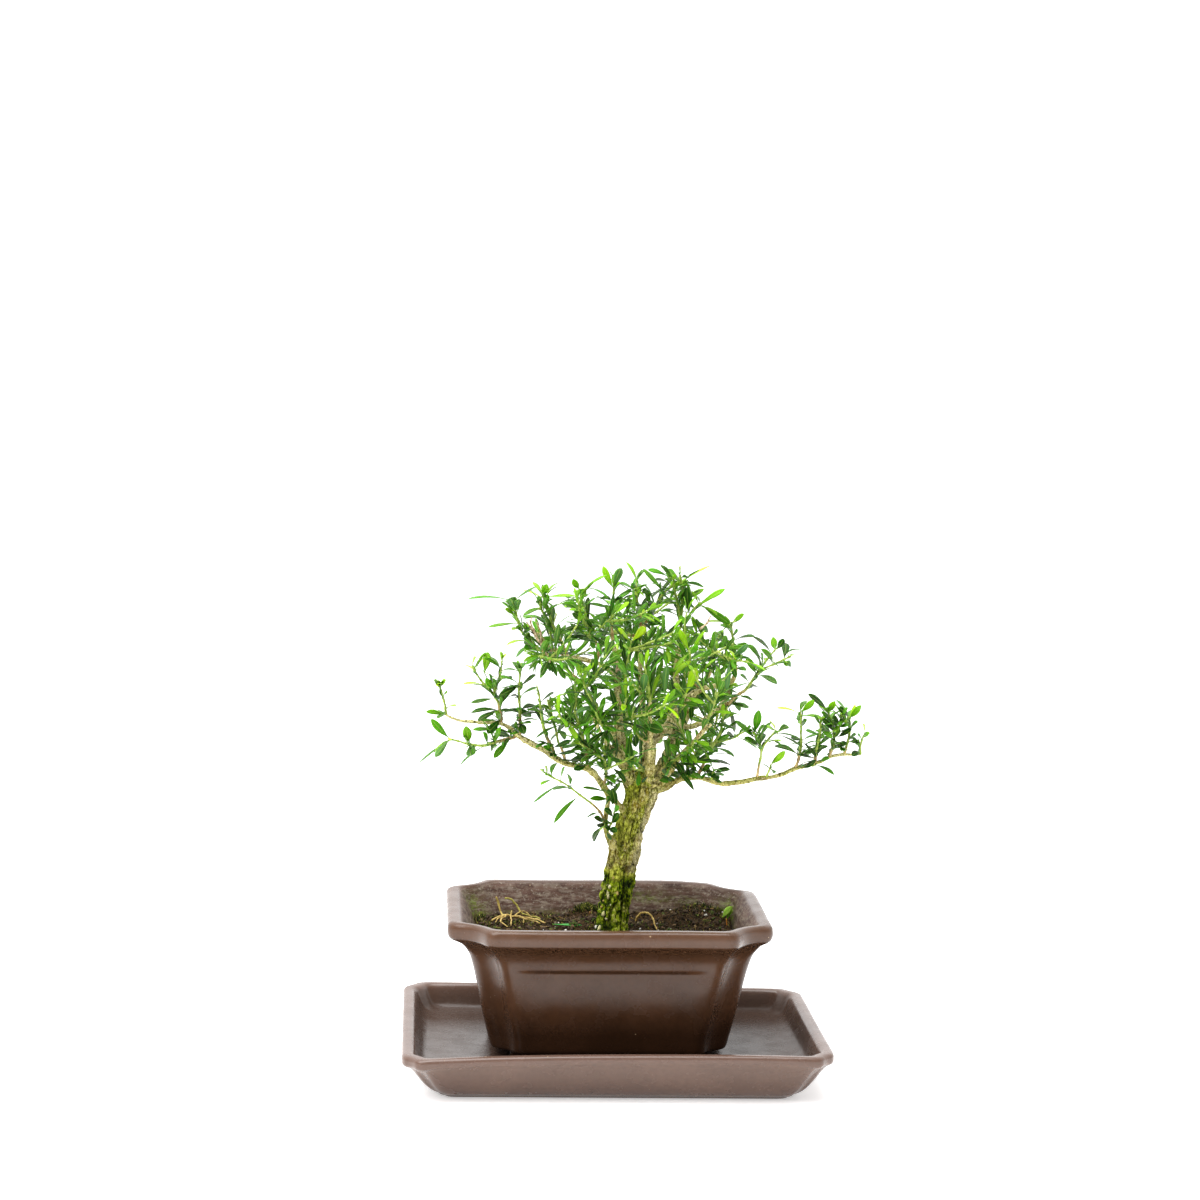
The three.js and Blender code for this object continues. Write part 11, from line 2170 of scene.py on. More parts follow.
            ([54.3, -6.6, 162.7], [65.5, -2.9, 166.3], [-0.31, 0.01, 0.95], 2.1, 0.07, "d", [53.5, -6.9, 162.5]),
            ([48.2, -4.6, 163.8], [45, -8.4, 168.3], [0.87, -0.22, 0.45], 1.6, 0.1, "g", [48.7, -4.1, 163.2]),
            ([46.1, -5.4, 157.7], [56.5, -11.1, 164.9], [-0.53, 0.1, 0.84], 3, 0.04, "d", [45.4, -5.1, 157.2]),
            ([51.5, -3.5, 170.7], [55.9, -7.8, 174.8], [0.11, 0.74, 0.67], 1.8, 0.1, "y", [50.9, -3, 170.3]),
            ([36.3, 19.8, 157.5], [37.2, 25.7, 158.5], [-0.54, -0.06, 0.84], 1.8, 0.09, "g", [36.1, 18.9, 157.4]),
            ([50.5, -2.6, 167.6], [53.3, 8.3, 168.4], [0.14, -0.11, 0.98], 1.9, 0.08, "g", [50.3, -3.4, 167.5]),
            ([50.5, 6.7, 174.5], [59.7, 11.3, 180.3], [-0.46, 0.89, 0.02], 2.1, 0.08, "d", [49.8, 6.3, 174.1]),
            ([47.6, 6.6, 165.3], [43.7, -4.7, 168.3], [-0.83, 0.39, 0.41], 3, 0.05, "g", [47.9, 7.5, 165]),
            ([49.5, 7.2, 171.8], [52.5, 13.7, 175.6], [0.18, -0.56, 0.81], 2.4, 0.05, "g", [49.1, 6.5, 171.4]),
            ([39.2, -6.5, 146.1], [34.5, -3.2, 151.6], [-0.08, -0.88, 0.46], 2.1, 0.1, "g", [39.7, -6.9, 145.5]),
            ([41.9, 6.1, 156.7], [34.9, 8.1, 155.4], [0.04, 0.61, 0.79], 1.7, 0.08, "g", [42.8, 5.9, 156.8]),
            ([40, 10, 155.7], [33, 8.9, 152.2], [-0.43, -0.11, 0.89], 2.1, 0.1, "g", [40.8, 10.1, 156.1]),
            ([52.6, -1.9, 173.6], [58.1, 3.4, 173.3], [0.25, -0.2, 0.95], 2.3, 0.07, "g", [51.9, -2.5, 173.7]),
            ([48.2, -4.6, 161.2], [52.3, -1.6, 167.7], [-0.23, -0.82, 0.52], 1.7, 0.04, "g", [47.7, -4.9, 160.5]),
            ([43.1, -5.1, 154.3], [36.7, 0.7, 159.5], [0.63, 0, 0.77], 2.5, 0.1, "u", [43.7, -5.6, 153.8]),
            ([37.4, 16.6, 157.6], [37.4, 18.1, 164.1], [-0.99, -0.11, 0.02], 1.3, 0.08, "g", [37.4, 16.4, 156.7]),
            ([46.3, -0.6, 158], [51.5, 5.2, 157.7], [0.68, -0.57, 0.46], 2.1, 0.04, "d", [45.7, -1.3, 158.1]),
            ([47.9, 6.7, 168.3], [41, 3, 179.3], [0.21, 0.88, 0.43], 2.2, 0.06, "d", [48.4, 7, 167.6]),
            ([51.8, 5.1, 182.4], [52.9, -1.9, 185], [0.08, 0.35, 0.93], 2.1, 0.1, "g", [51.7, 6, 182.1]),
            ([39.5, -6.1, 145.7], [36.3, 3.1, 147.8], [-0.77, -0.39, 0.5], 1.8, 0.1, "d", [39.7, -6.9, 145.5]),
            ([51.7, 6.1, 185.3], [44.8, 7.8, 189.6], [0.43, 0.82, 0.37], 2.2, 0.07, "y", [52.4, 5.9, 184.9]),
            ([46.9, 6.2, 161.9], [43.1, 15.7, 157.6], [-0.82, -0.06, 0.57], 2.9, 0.11, "g", [47.2, 5.4, 162.3]),
            ([45.3, 1.8, 158.7], [47.8, 8, 165.8], [-0.87, -0.18, 0.46], 1.9, 0.07, "d", [45.1, 1.3, 158]),
            ([35.3, 19.2, 157.4], [27.4, 21.3, 157.7], [0.23, 0.72, 0.65], 1.7, 0.05, "b", [36.1, 18.9, 157.4]),
            ([50.3, -2.5, 167.6], [50.7, 4.5, 168.7], [-0.01, -0.15, 0.99], 1.8, 0.06, "g", [50.3, -3.4, 167.5]),
            ([45, -0.7, 158.1], [37.5, 5.8, 158.8], [0.35, 0.3, 0.89], 2.9, 0.09, "u", [45.7, -1.3, 158.1]),
            ([51.9, -5.3, 161.5], [55.8, 0.5, 161.5], [-0.08, 0.07, 0.99], 2, 0.04, "g", [51.4, -6.1, 161.5]),
            ([42.8, -5.4, 152.3], [45.5, 1.1, 159.1], [-0.94, 0.03, 0.33], 1.9, 0.04, "d", [42.6, -6, 151.6]),
            ([50.3, -4.1, 168.1], [50.2, -9.7, 172.5], [0.11, 0.62, 0.78], 1.4, 0.06, "d", [50.3, -3.4, 167.5]),
            ([47.9, 9.6, 164.8], [46, 16.1, 162.8], [-0.7, 0.01, 0.71], 1.5, 0.07, "g", [48.1, 8.8, 165.1]),
            ([53.2, 5.6, 185.2], [58.9, 3.6, 187.5], [-0.48, -0.55, 0.68], 1.2, 0.07, "y", [52.4, 5.9, 184.9]),
            ([37.9, 17.2, 156.5], [43.7, 26.1, 152.8], [-0.16, 0.46, 0.87], 2.1, 0.09, "g", [37.4, 16.4, 156.7]),
            ([53.2, 5.2, 186.4], [57.5, -1, 188.9], [-0.45, 0.05, 0.89], 2, 0.04, "p", [52.7, 5.9, 186.1]),
            ([37.4, 17.8, 156.7], [38.6, 24.8, 155.8], [0.65, -0.01, 0.76], 2.2, 0.09, "p", [37.2, 16.9, 156.9]),
            ([52.2, 6.2, 180.8], [62.3, 8.3, 181.3], [-0.06, 0.04, 1], 2.5, 0.12, "d", [51.4, 6, 180.8]),
            ([46.7, 4.1, 160.6], [46.7, 10.9, 159.9], [0.22, 0.09, 0.97], 1.7, 0.04, "d", [46.7, 3.2, 160.7]),
            ([38.1, 16.6, 156.6], [39.8, 22.1, 156.8], [-0.71, 0.19, 0.67], 1, 0.09, "u", [37.8, 15.7, 156.6]),
            ([53.1, 6.7, 186.4], [58.7, 17.6, 190], [0.65, -0.51, 0.56], 2.3, 0.09, "y", [52.7, 5.9, 186.1]),
            ([36.9, 19, 157], [39.4, 24.1, 156.1], [0.1, 0.13, 0.99], 1.7, 0.12, "b", [36.5, 18.2, 157.2]),
            ([51, -3.8, 170.2], [54.2, -11.2, 176.4], [-0.3, 0.54, 0.79], 2.8, 0.04, "u", [50.8, -3.1, 169.6]),
            ([49.7, 5.6, 174.5], [49.2, 1.3, 178.3], [-0.82, 0.42, 0.39], 1.6, 0.04, "g", [49.8, 6.3, 173.9]),
            ([45, 2.5, 157.7], [45.4, 8.8, 155.8], [0.73, 0.15, 0.67], 2.1, 0.13, "d", [44.9, 1.6, 157.9]),
            ([52.4, 6.3, 182.8], [58.3, 9.9, 187.4], [-0.47, -0.29, 0.83], 1.5, 0.08, "y", [51.7, 6, 182.3]),
            ([44.5, -3.7, 156.3], [38.6, 1.5, 151.7], [0.03, 0.68, 0.73], 2.7, 0.09, "u", [45.1, -4.3, 156.7]),
            ([58, -9.3, 165], [60.5, -16, 168.5], [0.28, 0.53, 0.8], 1.7, 0.11, "g", [57.8, -8.6, 164.6]),
            ([49.4, -4.4, 165], [50, -7.6, 169.6], [0.8, 0.53, 0.26], 1.7, 0.06, "y", [49.3, -3.9, 164.3]),
            ([47.9, 6.3, 166.8], [43.6, -5.3, 169.2], [-0.85, 0.38, 0.37], 1.9, 0.07, "u", [48.2, 7.2, 166.7]),
            ([51.5, -2.2, 171.9], [53.7, 2.6, 175.6], [-0.34, -0.46, 0.82], 1.5, 0.09, "y", [51.2, -2.8, 171.4]),
            ([51.1, 6.7, 177.7], [56.9, 12.5, 183.5], [0.3, -0.81, 0.51], 1.7, 0.07, "g", [50.5, 6.2, 177.2]),
            ([47.5, -5, 162.1], [46.4, -11.1, 169.2], [0.93, 0.19, 0.31], 2.5, 0.11, "g", [47.6, -4.4, 161.4]),
            ([45.6, 1, 159.4], [41.3, 6.3, 162.9], [0.62, -0.04, 0.79], 1.6, 0.08, "d", [46.1, 0.3, 159]),
            ([41.2, 10, 156.9], [41.7, 13.8, 161.5], [0.93, -0.33, 0.17], 1.1, 0.08, "y", [41.1, 9.5, 156.2]),
            ([54.6, -8.2, 163], [52.7, -16.6, 163.7], [0.51, -0.05, 0.86], 1.5, 0.07, "g", [54.8, -7.4, 163]),
            ([53.1, 5.8, 184.8], [58.8, 4.9, 187.9], [-0.38, 0.42, 0.82], 1.1, 0.11, "y", [52.3, 5.9, 184.4]),
            ([52.3, 6.4, 182.8], [57.3, 10.2, 188], [-0.36, -0.55, 0.75], 2.4, 0.11, "g", [51.7, 6, 182.3]),
            ([56.3, -8.9, 163.9], [55.3, -15.8, 165.8], [0.98, -0.08, 0.2], 2.3, 0.09, "g", [56.4, -8, 163.7]),
            ([46.1, -4.2, 159.6], [44, 2.7, 167.3], [-0.71, -0.61, 0.36], 2, 0.06, "g", [46.2, -4.8, 158.9]),
            ([48.9, 9, 165.7], [53.6, 9.8, 168.6], [-0.06, -0.95, 0.32], 1.6, 0.06, "g", [48.2, 8.9, 165.2]),
           ]),
    "e9": ("shoot_19",
           [[[45.6, -8.9, 142.1], [45.6, -11.6, 145.7], [46.3, -14, 148.5]]],
           [
            ([46, -12.5, 146.8], [53.3, -21.5, 149.8], [-0.66, -0.3, 0.69], 3.4, 0.07, "d", [45.8, -12.5, 146.8]),
            ([46, -12.2, 146.3], [52.2, -3.2, 144.9], [0.49, -0.21, 0.85], 3.2, 0.02, "g", [45.7, -12.2, 146.5]),
            ([45.7, -10.6, 144.6], [43.1, -1.6, 147.5], [-0.14, -0.34, 0.93], 3.3, 0.07, "d", [45.6, -10.6, 144.4]),
            ([46.1, -11.3, 145.2], [48.2, -20.3, 145.2], [-0.38, -0.09, 0.92], 3.6, 0.09, "d", [45.6, -11.3, 145.3]),
            ([45, -9.3, 143.6], [35.5, -5.5, 152.3], [0.55, -0.36, 0.75], 2.4, 0.03, "d", [45.6, -9.5, 143]),
            ([45.7, -13.4, 148.5], [41.3, -15.4, 158], [0.68, 0.59, 0.44], 2.1, 0.03, "y", [46.1, -13.3, 147.7]),
            ([46.3, -14.2, 147.8], [48.4, -25.9, 149.8], [0.24, 0.2, 0.95], 2.3, 0.07, "g", [46.1, -13.3, 147.7]),
            ([46.1, -11.2, 144.1], [49.9, -17.8, 143.1], [-0.82, -0.52, 0.23], 1.7, 0.12, "d", [45.6, -10.4, 144.2]),
            ([45.4, -13.1, 146.5], [39.6, -22.9, 145.4], [-0.2, 0.01, 0.98], 2.5, 0.11, "g", [45.8, -12.4, 146.6]),
            ([46, -14.3, 148], [45.3, -21.1, 149.8], [0.43, 0.18, 0.89], 2.1, 0.07, "y", [46.1, -13.4, 147.8]),
            ([45, -10.3, 143.9], [41.5, -13.4, 146.8], [0.23, 0.52, 0.82], 1.7, 0.08, "g", [45.6, -9.8, 143.4]),
            ([46.8, -13.9, 148.1], [51.6, -18, 150.4], [-0.13, 0.36, 0.92], 1.3, 0.09, "y", [46.1, -13.4, 147.8]),
            ([45.8, -13.2, 146.9], [44.8, -24.6, 150.6], [0.59, 0.2, 0.78], 2.3, 0.09, "y", [45.8, -12.4, 146.6]),
           ]),
    "d1": ("shoot_20",
           [[[52.2, 6.9, 178.9], [54.3, 6.9, 177.7], [57.5, 5.8, 181.3], [62.2, 4.5, 184.9], [65.3, 3.2, 189.5], [68, 2, 194.1], [71.3, 1.2, 196.2], [75.9, 0, 198.4], [80.6, -1.3, 201], [83.4, -2, 202.6]],
            [[69, 1.7, 195], [70.6, 0.1, 198.3], [72.7, -1.9, 202], [75.3, -4, 205.6]]],
           [
            ([80.1, -1.1, 201], [81.9, 7.9, 207.7], [0.09, -0.61, 0.79], 4.1, 0.08, "d", [80.1, -1.1, 200.7]),
            ([80.2, -1, 199.5], [82.5, -10, 199.2], [0.96, 0.25, 0.1], 3.3, 0.04, "u", [79.5, -1, 200.4]),
            ([81.4, -1.7, 204], [86.6, -10.7, 206.6], [-0.04, 0.25, 0.97], 3.7, 0.08, "u", [82.4, -1.7, 202]),
            ([68.5, 2.2, 192.6], [78.4, 11.2, 187.2], [-0.21, 0.66, 0.72], 3.6, 0.06, "u", [67.6, 2.2, 193.7]),
            ([67.6, 2.3, 192.6], [61.1, -6.7, 202.4], [0.35, -0.79, -0.5], 3.3, 0.08, "g", [67.3, 2.3, 193.1]),
            ([68.7, 1.3, 200.5], [61.8, -7.7, 208.3], [0.83, -0.54, 0.11], 3.3, 0.09, "g", [70.8, 1.3, 196]),
            ([75, 0.1, 198.8], [68, -8.9, 206.6], [0.83, -0.54, 0.11], 3.3, 0.08, "g", [75.3, 0.1, 198.1]),
            ([73.9, 0, 203.2], [64, -9, 212.4], [0.79, -0.38, 0.48], 3.3, 0.09, "d", [75.9, 0, 198.4]),
            ([64, 4, 186.5], [69.3, 13, 185.4], [0.45, -0.16, 0.88], 3.4, 0.08, "d", [63.5, 4, 186.6]),
            ([60.4, 5.2, 181.9], [65.3, -3.8, 181.2], [0.64, 0.3, 0.7], 3.5, 0.03, "u", [59.8, 5.2, 183.1]),
            ([53.8, 7, 177.7], [65.5, 16, 175.1], [0.56, -0.54, 0.63], 3.3, 0.04, "g", [53.7, 7, 177.6]),
            ([64, 3.7, 188], [58.6, -5.3, 193.5], [0.85, -0.23, 0.47], 3.1, 0.06, "g", [64.2, 3.7, 187.8]),
            ([82.9, -1.8, 202.1], [86.4, 7.2, 202], [0.11, -0.03, 0.99], 3.1, 0.04, "y", [82.7, -1.8, 202.2]),
            ([57.6, 6.1, 179.3], [60.6, 15.1, 173.2], [0.32, 0.46, 0.83], 3.3, 0.03, "u", [56.6, 6.1, 180.3]),
            ([75.3, -4, 205.6], [73.2, -13, 213], [0.17, -0.65, -0.75], 3.3, 0.09, "y", [75.3, -4, 205.6]),
            ([76.3, -4, 206.1], [78.5, -13, 212.1], [-0.44, -0.57, -0.69], 3.3, 0.03, "d", [75.3, -4, 205.6]),
            ([71.1, -0.1, 198.3], [73.4, 8.9, 200.2], [-0.09, -0.18, 0.98], 3.1, 0.08, "y", [70.8, -0.1, 198.7]),
            ([69.3, 1.1, 196.2], [68.2, -7.9, 204.6], [0.94, -0.29, -0.18], 3.5, 0.03, "g", [69.6, 1.1, 196.2]),
            ([70.2, -0.3, 199.4], [60.4, -2.1, 207.4], [0.64, -0.24, 0.73], 2.1, 0.1, "g", [70.9, -0.2, 198.8]),
            ([78.1, -1.2, 199.3], [82.5, -6.6, 199.3], [-0.18, -0.14, 0.97], 1.9, 0.08, "y", [77.6, -0.5, 199.3]),
            ([67.2, 3.3, 192.5], [69.9, 10.3, 194.1], [0.48, -0.37, 0.79], 2.1, 0.07, "g", [66.9, 2.5, 192.3]),
            ([66.1, 2.3, 191.1], [68.1, -3.1, 195.6], [-0.96, -0.24, 0.12], 1.4, 0.07, "d", [65.9, 3, 190.5]),
            ([68.9, 1, 195], [70.4, -11.4, 200.2], [-0.04, 0.38, 0.92], 2.1, 0.07, "g", [68.8, 1.8, 194.7]),
            ([75.9, 0.5, 198.1], [82.3, 2.8, 198.7], [-0.05, -0.13, 0.99], 1.8, 0.04, "g", [75.1, 0.2, 198]),
            ([79.8, -1.8, 200.2], [81.4, -8.4, 198.5], [-0.93, -0.29, 0.24], 1.4, 0.1, "y", [79.6, -1, 200.4]),
            ([54.9, 7.3, 179.1], [52.8, 15.2, 185.8], [0.98, 0.1, 0.19], 2.5, 0.04, "g", [55, 6.7, 178.5]),
            ([75.5, -0.6, 198.2], [80.3, -8.9, 200.2], [-0.15, 0.15, 0.98], 2.7, 0.05, "g", [75.1, 0.2, 198]),
            ([75.5, -3, 205.4], [78.2, 1, 206.9], [-0.55, 0.07, 0.83], 1.4, 0.07, "y", [75, -3.7, 205.1]),
            ([56.2, 5.9, 181.1], [51.1, 3, 189.9], [0.68, 0.48, 0.55], 2.9, 0.09, "d", [56.7, 6.1, 180.3]),
            ([70.2, 1.6, 196.9], [75.1, 7.1, 201.6], [-0.57, -0.18, 0.8], 2, 0.08, "g", [69.7, 1, 196.4]),
            ([62.1, 5.3, 184.6], [66.4, 10.3, 185.8], [0.08, -0.3, 0.95], 1.9, 0.06, "u", [61.5, 4.7, 184.5]),
            ([65.9, 2.1, 190.6], [66.4, -5.7, 191.8], [-0.61, 0.08, 0.79], 1.8, 0.03, "g", [65.9, 3, 190.5]),
            ([72.4, -2, 200.5], [76.1, -10.3, 198.7], [0.38, -0.03, 0.92], 2, 0.04, "g", [72, -1.2, 200.7]),
            ([79.6, -1.9, 200.4], [80.1, -9.4, 200.2], [0.47, 0, 0.88], 2, 0.06, "y", [79.6, -1, 200.4]),
            ([55.9, 6.9, 178.3], [62.1, 8.4, 176.6], [0.28, -0.94, 0.21], 1.5, 0.03, "d", [55, 6.7, 178.5]),
            ([77.8, 0, 199.2], [84, 2.1, 201.2], [-0.33, 0.07, 0.94], 2, 0.07, "y", [76.9, -0.3, 198.9]),
            ([64.8, 2.9, 188.8], [67.5, -2.7, 193.4], [0.75, 0.59, 0.28], 1.5, 0.05, "d", [64.5, 3.6, 188.3]),
            ([67.8, 1.8, 193.1], [71.9, -2, 195.7], [0.05, 0.6, 0.8], 1.7, 0.11, "g", [67.2, 2.4, 192.7]),
            ([58.3, 5.5, 181.1], [64.8, 3.2, 180.2], [0.22, 0.27, 0.94], 1.7, 0.12, "d", [57.5, 5.8, 181.2]),
            ([66, 3.5, 190], [74.3, 5.9, 195.7], [-0.58, 0.1, 0.81], 2.6, 0.07, "g", [65.3, 3.2, 189.5]),
            ([75.5, -0.6, 198.2], [79.5, -8.8, 199.9], [0.05, 0.23, 0.97], 2.4, 0.07, "u", [75.1, 0.2, 198]),
            ([67.9, 2, 194.9], [67.6, 1.8, 202.4], [1, -0.03, 0.05], 2.2, 0.11, "g", [68, 2.1, 194]),
            ([69.2, 1.7, 196.8], [66, 6, 203.2], [0.9, 0, 0.44], 1.8, 0.09, "u", [69.5, 1.2, 196.1]),
            ([74, -2.1, 203.3], [78.4, -0.3, 207.1], [-0.52, -0.35, 0.78], 1.5, 0.08, "g", [73.3, -2.4, 202.8]),
            ([54.5, 6.6, 177], [57.3, 3.7, 171.1], [-0.71, -0.71, 0.01], 1.4, 0.11, "g", [54.1, 6.9, 177.8]),
            ([63.3, 4.6, 186.3], [70.4, 7.8, 193.8], [-0.74, 0.08, 0.67], 2.7, 0.05, "d", [62.7, 4.3, 185.7]),
            ([67.8, 1.3, 194.4], [66.5, -4, 196.6], [-0.77, 0.39, 0.51], 1.5, 0.08, "g", [68, 2.1, 194]),
            ([77.6, 0.3, 198.9], [82.7, 5.2, 198.5], [0.13, -0.06, 0.99], 1.5, 0.12, "y", [76.9, -0.3, 198.9]),
            ([69.2, 1.5, 195.9], [68.1, 0.3, 201.3], [0.92, -0.37, 0.11], 1, 0.09, "d", [69.4, 1.7, 195]),
           ]),
    "d3": ("shoot_21",
           [[[67.6, -9, 143.6], [68.2, -10.8, 150.7], [68.9, -12.3, 155.8], [68.7, -13.5, 159.8], [66.5, -14.9, 163.9], [64.9, -16, 167.4]],
            [[69, -13.1, 158.5], [71.3, -15.1, 163], [73.5, -16.8, 166.2], [75.2, -18, 168.3]]],
           [
            ([64.9, -15.9, 166.9], [66.2, -23.7, 179.1], [-0.14, -0.84, -0.52], 4.1, 0.06, "g", [65.1, -15.9, 167]),
            ([66.6, -14.5, 162.9], [72.5, -20.2, 172.9], [-0.44, 0.65, 0.62], 3.2, 0.07, "u", [67.1, -14.5, 162.9]),
            ([68.7, -13.7, 160.4], [70.4, -4.7, 165.4], [0.14, -0.5, 0.85], 3.7, 0.1, "d", [68.5, -13.7, 160.4]),
            ([65.5, -15.4, 165.4], [54.9, -23.9, 173.7], [0.73, -0.59, 0.33], 3.3, 0.03, "g", [65.7, -15.4, 165.7]),
            ([68.2, -13.7, 160.3], [59.5, -22.7, 165.4], [0.71, -0.34, 0.61], 3.1, 0.08, "g", [68.5, -13.7, 160.4]),
            ([68.7, -13.4, 159.3], [61.5, -22.4, 164], [0.68, -0.18, 0.71], 3.5, 0.06, "d", [68.8, -13.4, 159.3]),
            ([67.1, -14.7, 163.4], [58.8, -23.7, 169.4], [0.74, -0.25, 0.63], 3.1, 0.05, "g", [66.8, -14.7, 163.4]),
            ([76.2, -18, 168.3], [79.9, -27, 172.1], [0.5, 0.5, 0.71], 3.5, 0.07, "u", [75.2, -18, 168.3]),
            ([75.2, -18, 168.3], [69.9, -27, 171.5], [0.75, -0.23, 0.62], 3.2, 0.04, "y", [75.2, -18, 168.3]),
            ([75.8, -17.9, 167.3], [85.5, -25.2, 166.1], [0.35, 0.32, 0.88], 3.3, 0.04, "u", [75, -17.9, 168.1]),
            ([76.3, -17.7, 166.4], [85.9, -26.7, 162.5], [0.22, -0.17, 0.96], 3.4, 0.05, "d", [74.8, -17.7, 167.8]),
            ([70.9, -15.1, 163], [77.1, -23.5, 164.3], [-0.3, -0.08, 0.95], 2.8, 0.03, "p", [71.3, -15.1, 163]),
            ([75.2, -18, 168.8], [72.7, -9, 172.3], [0.59, -0.15, 0.8], 2.9, 0.04, "p", [75.2, -18, 168.3]),
            ([71.7, -15.8, 164.6], [76.6, -24.8, 162.6], [0.26, -0.07, 0.96], 3.1, 0.05, "g", [72.2, -15.8, 164.4]),
            ([73.6, -15.9, 165.6], [79.4, -12.8, 168.2], [-0.39, -0.03, 0.92], 1.4, 0.09, "y", [72.9, -16.3, 165.3]),
            ([68.9, -11.2, 154.6], [71.2, -5.1, 161.4], [-0.05, -0.74, 0.68], 1.7, 0.11, "d", [68.7, -11.8, 153.9]),
            ([65.4, -16.6, 166.4], [65.4, -22.5, 166.1], [0.33, -0.04, 0.94], 1.7, 0.11, "y", [65.3, -15.7, 166.5]),
            ([68.1, -13.5, 158.7], [61, -17.6, 163.1], [0.5, 0.06, 0.86], 1.8, 0.09, "y", [68.8, -13.1, 158.3]),
            ([69.1, -14.2, 160], [65.2, -21.9, 166.2], [-0.58, 0.67, 0.46], 1.9, 0.11, "g", [69.5, -13.6, 159.5]),
            ([67, -15, 164.5], [69.2, -16.7, 171.4], [-0.77, 0.52, 0.37], 1.6, 0.05, "g", [66.7, -14.8, 163.6]),
            ([65.1, -16.4, 166.9], [63.5, -21.3, 170.1], [0.06, 0.53, 0.85], 1.2, 0.1, "g", [65.3, -15.7, 166.5]),
            ([65.2, -16.6, 166.6], [64.3, -22.6, 167.2], [-0.86, 0.19, 0.47], 1.5, 0.1, "g", [65.3, -15.7, 166.5]),
            ([66.8, -15.5, 164.2], [67.9, -23.4, 170.9], [-0.93, 0.15, 0.34], 2.8, 0.1, "g", [66.7, -14.8, 163.6]),
            ([73.7, -16.3, 165.7], [80.5, -15.8, 169.3], [-0.47, 0.07, 0.88], 2.3, 0.05, "y", [72.9, -16.3, 165.3]),
            ([65.1, -16.5, 166.7], [63.3, -22.1, 168], [-0.7, 0.36, 0.61], 1.7, 0.05, "b", [65.3, -15.7, 166.5]),
            ([66.9, -15.4, 164.2], [69.2, -23.6, 171.9], [-0.82, 0.25, 0.51], 2.7, 0.06, "g", [66.7, -14.8, 163.6]),
            ([65.1, -16.6, 166.8], [63.9, -23.1, 167.3], [0.7, -0.07, 0.71], 1.8, 0.12, "y", [65.2, -15.8, 166.7]),
            ([70.9, -15.7, 162.6], [69.2, -25.2, 164.7], [-0.67, 0.27, 0.69], 1.7, 0.06, "g", [71, -14.9, 162.4]),
            ([68.3, -13.3, 160.5], [64, -11.5, 169.6], [0.9, 0.22, 0.38], 2.1, 0.11, "d", [68.7, -13.5, 159.7]),
            ([68.1, -14.7, 160.7], [66.8, -25.3, 160.4], [0.26, -0.06, 0.96], 2.3, 0.06, "g", [68.2, -13.8, 160.7]),
            ([74.1, -17.8, 166.8], [76.4, -22.9, 168.5], [0.21, 0.4, 0.89], 1.8, 0.08, "g", [73.8, -17, 166.5]),
            ([66.5, -15.1, 165.9], [70.1, -13.5, 170.9], [-0.52, -0.63, 0.57], 2.1, 0.08, "g", [66, -15.3, 165.2]),
            ([71.5, -16.2, 163.3], [71.2, -27.8, 164.2], [0.34, 0.06, 0.94], 1.9, 0.04, "y", [71.5, -15.3, 163.3]),
            ([74.9, -18.7, 168.2], [74.2, -28, 169.2], [-0.99, 0.09, 0.1], 1.8, 0.04, "g", [75, -17.8, 168]),
            ([64.8, -16.5, 167.1], [61.6, -21.3, 169.6], [-0.3, 0.59, 0.75], 1.4, 0.09, "g", [65.2, -15.8, 166.7]),
           ]),
    "d4": ("shoot_22",
           [[[72.1, -8, 143.7], [73.1, -11.5, 148.4], [73.7, -14, 151.2]]],
           [
            ([73.7, -14, 151.2], [79.7, -18.6, 158.8], [-0.36, -0.9, -0.25], 3.3, 0.07, "y", [73.7, -14, 151.2]),
            ([72.5, -11.9, 149], [70, -2.9, 150.4], [0.37, -0.05, 0.93], 3.3, 0.03, "g", [73.2, -11.9, 148.9]),
            ([73, -12.2, 149.5], [74, -21.2, 148.5], [0.49, -0.04, 0.87], 3.1, 0.1, "g", [73.2, -12.2, 149.3]),
            ([73.4, -10.8, 148.6], [77.6, -8.2, 155.6], [-0.86, 0.29, 0.41], 1.7, 0.07, "g", [72.9, -11.1, 147.8]),
            ([73.3, -13.3, 149.8], [72.8, -21.8, 152.1], [0.99, -0.02, 0.14], 1.7, 0.06, "g", [73.3, -12.5, 149.5]),
            ([72.9, -9.1, 146.4], [76.6, -6.5, 152.2], [-0.87, 0.21, 0.45], 1.6, 0.1, "d", [72.5, -9.4, 145.6]),
           ]),
    "d5": ("shoot_23",
           [[[86.4, -5, 148.3], [88.1, -5.6, 153.5], [88.8, -6.3, 160], [88.5, -7.1, 167.4], [88.3, -7.7, 173.3], [87.7, -8, 175.8]]],
           [
            ([87.7, -8, 176.2], [76.2, -7.2, 177.9], [0.13, -0.23, 0.97], 3.1, 0.08, "p", [87.7, -8, 175.8]),
            ([88.2, -8, 175.8], [93.4, -15.7, 183.2], [-0.48, -0.75, -0.45], 3.3, 0.05, "y", [87.7, -8, 175.8]),
            ([88.2, -8, 176.3], [91.6, 1, 180.4], [-0.22, -0.34, 0.91], 3.1, 0.08, "g", [87.7, -8, 175.8]),
            ([88.7, -7.9, 175.3], [97.8, -12.9, 174.1], [-0.1, -0.39, 0.92], 3.1, 0.03, "y", [88, -7.9, 175]),
            ([88, -7.3, 169.3], [87, 1.7, 171.5], [0.44, -0.16, 0.88], 3.3, 0.09, "g", [88.5, -7.3, 169]),
            ([88.9, -7.3, 169.4], [90.2, -16.3, 173.6], [-0.99, -0.14, -0.01], 3.2, 0.06, "g", [88.5, -7.3, 169]),
            ([88.2, -6.6, 162.4], [82.8, -15.6, 164.7], [0.71, -0.27, 0.65], 3.3, 0.05, "d", [88.8, -6.6, 162.7]),
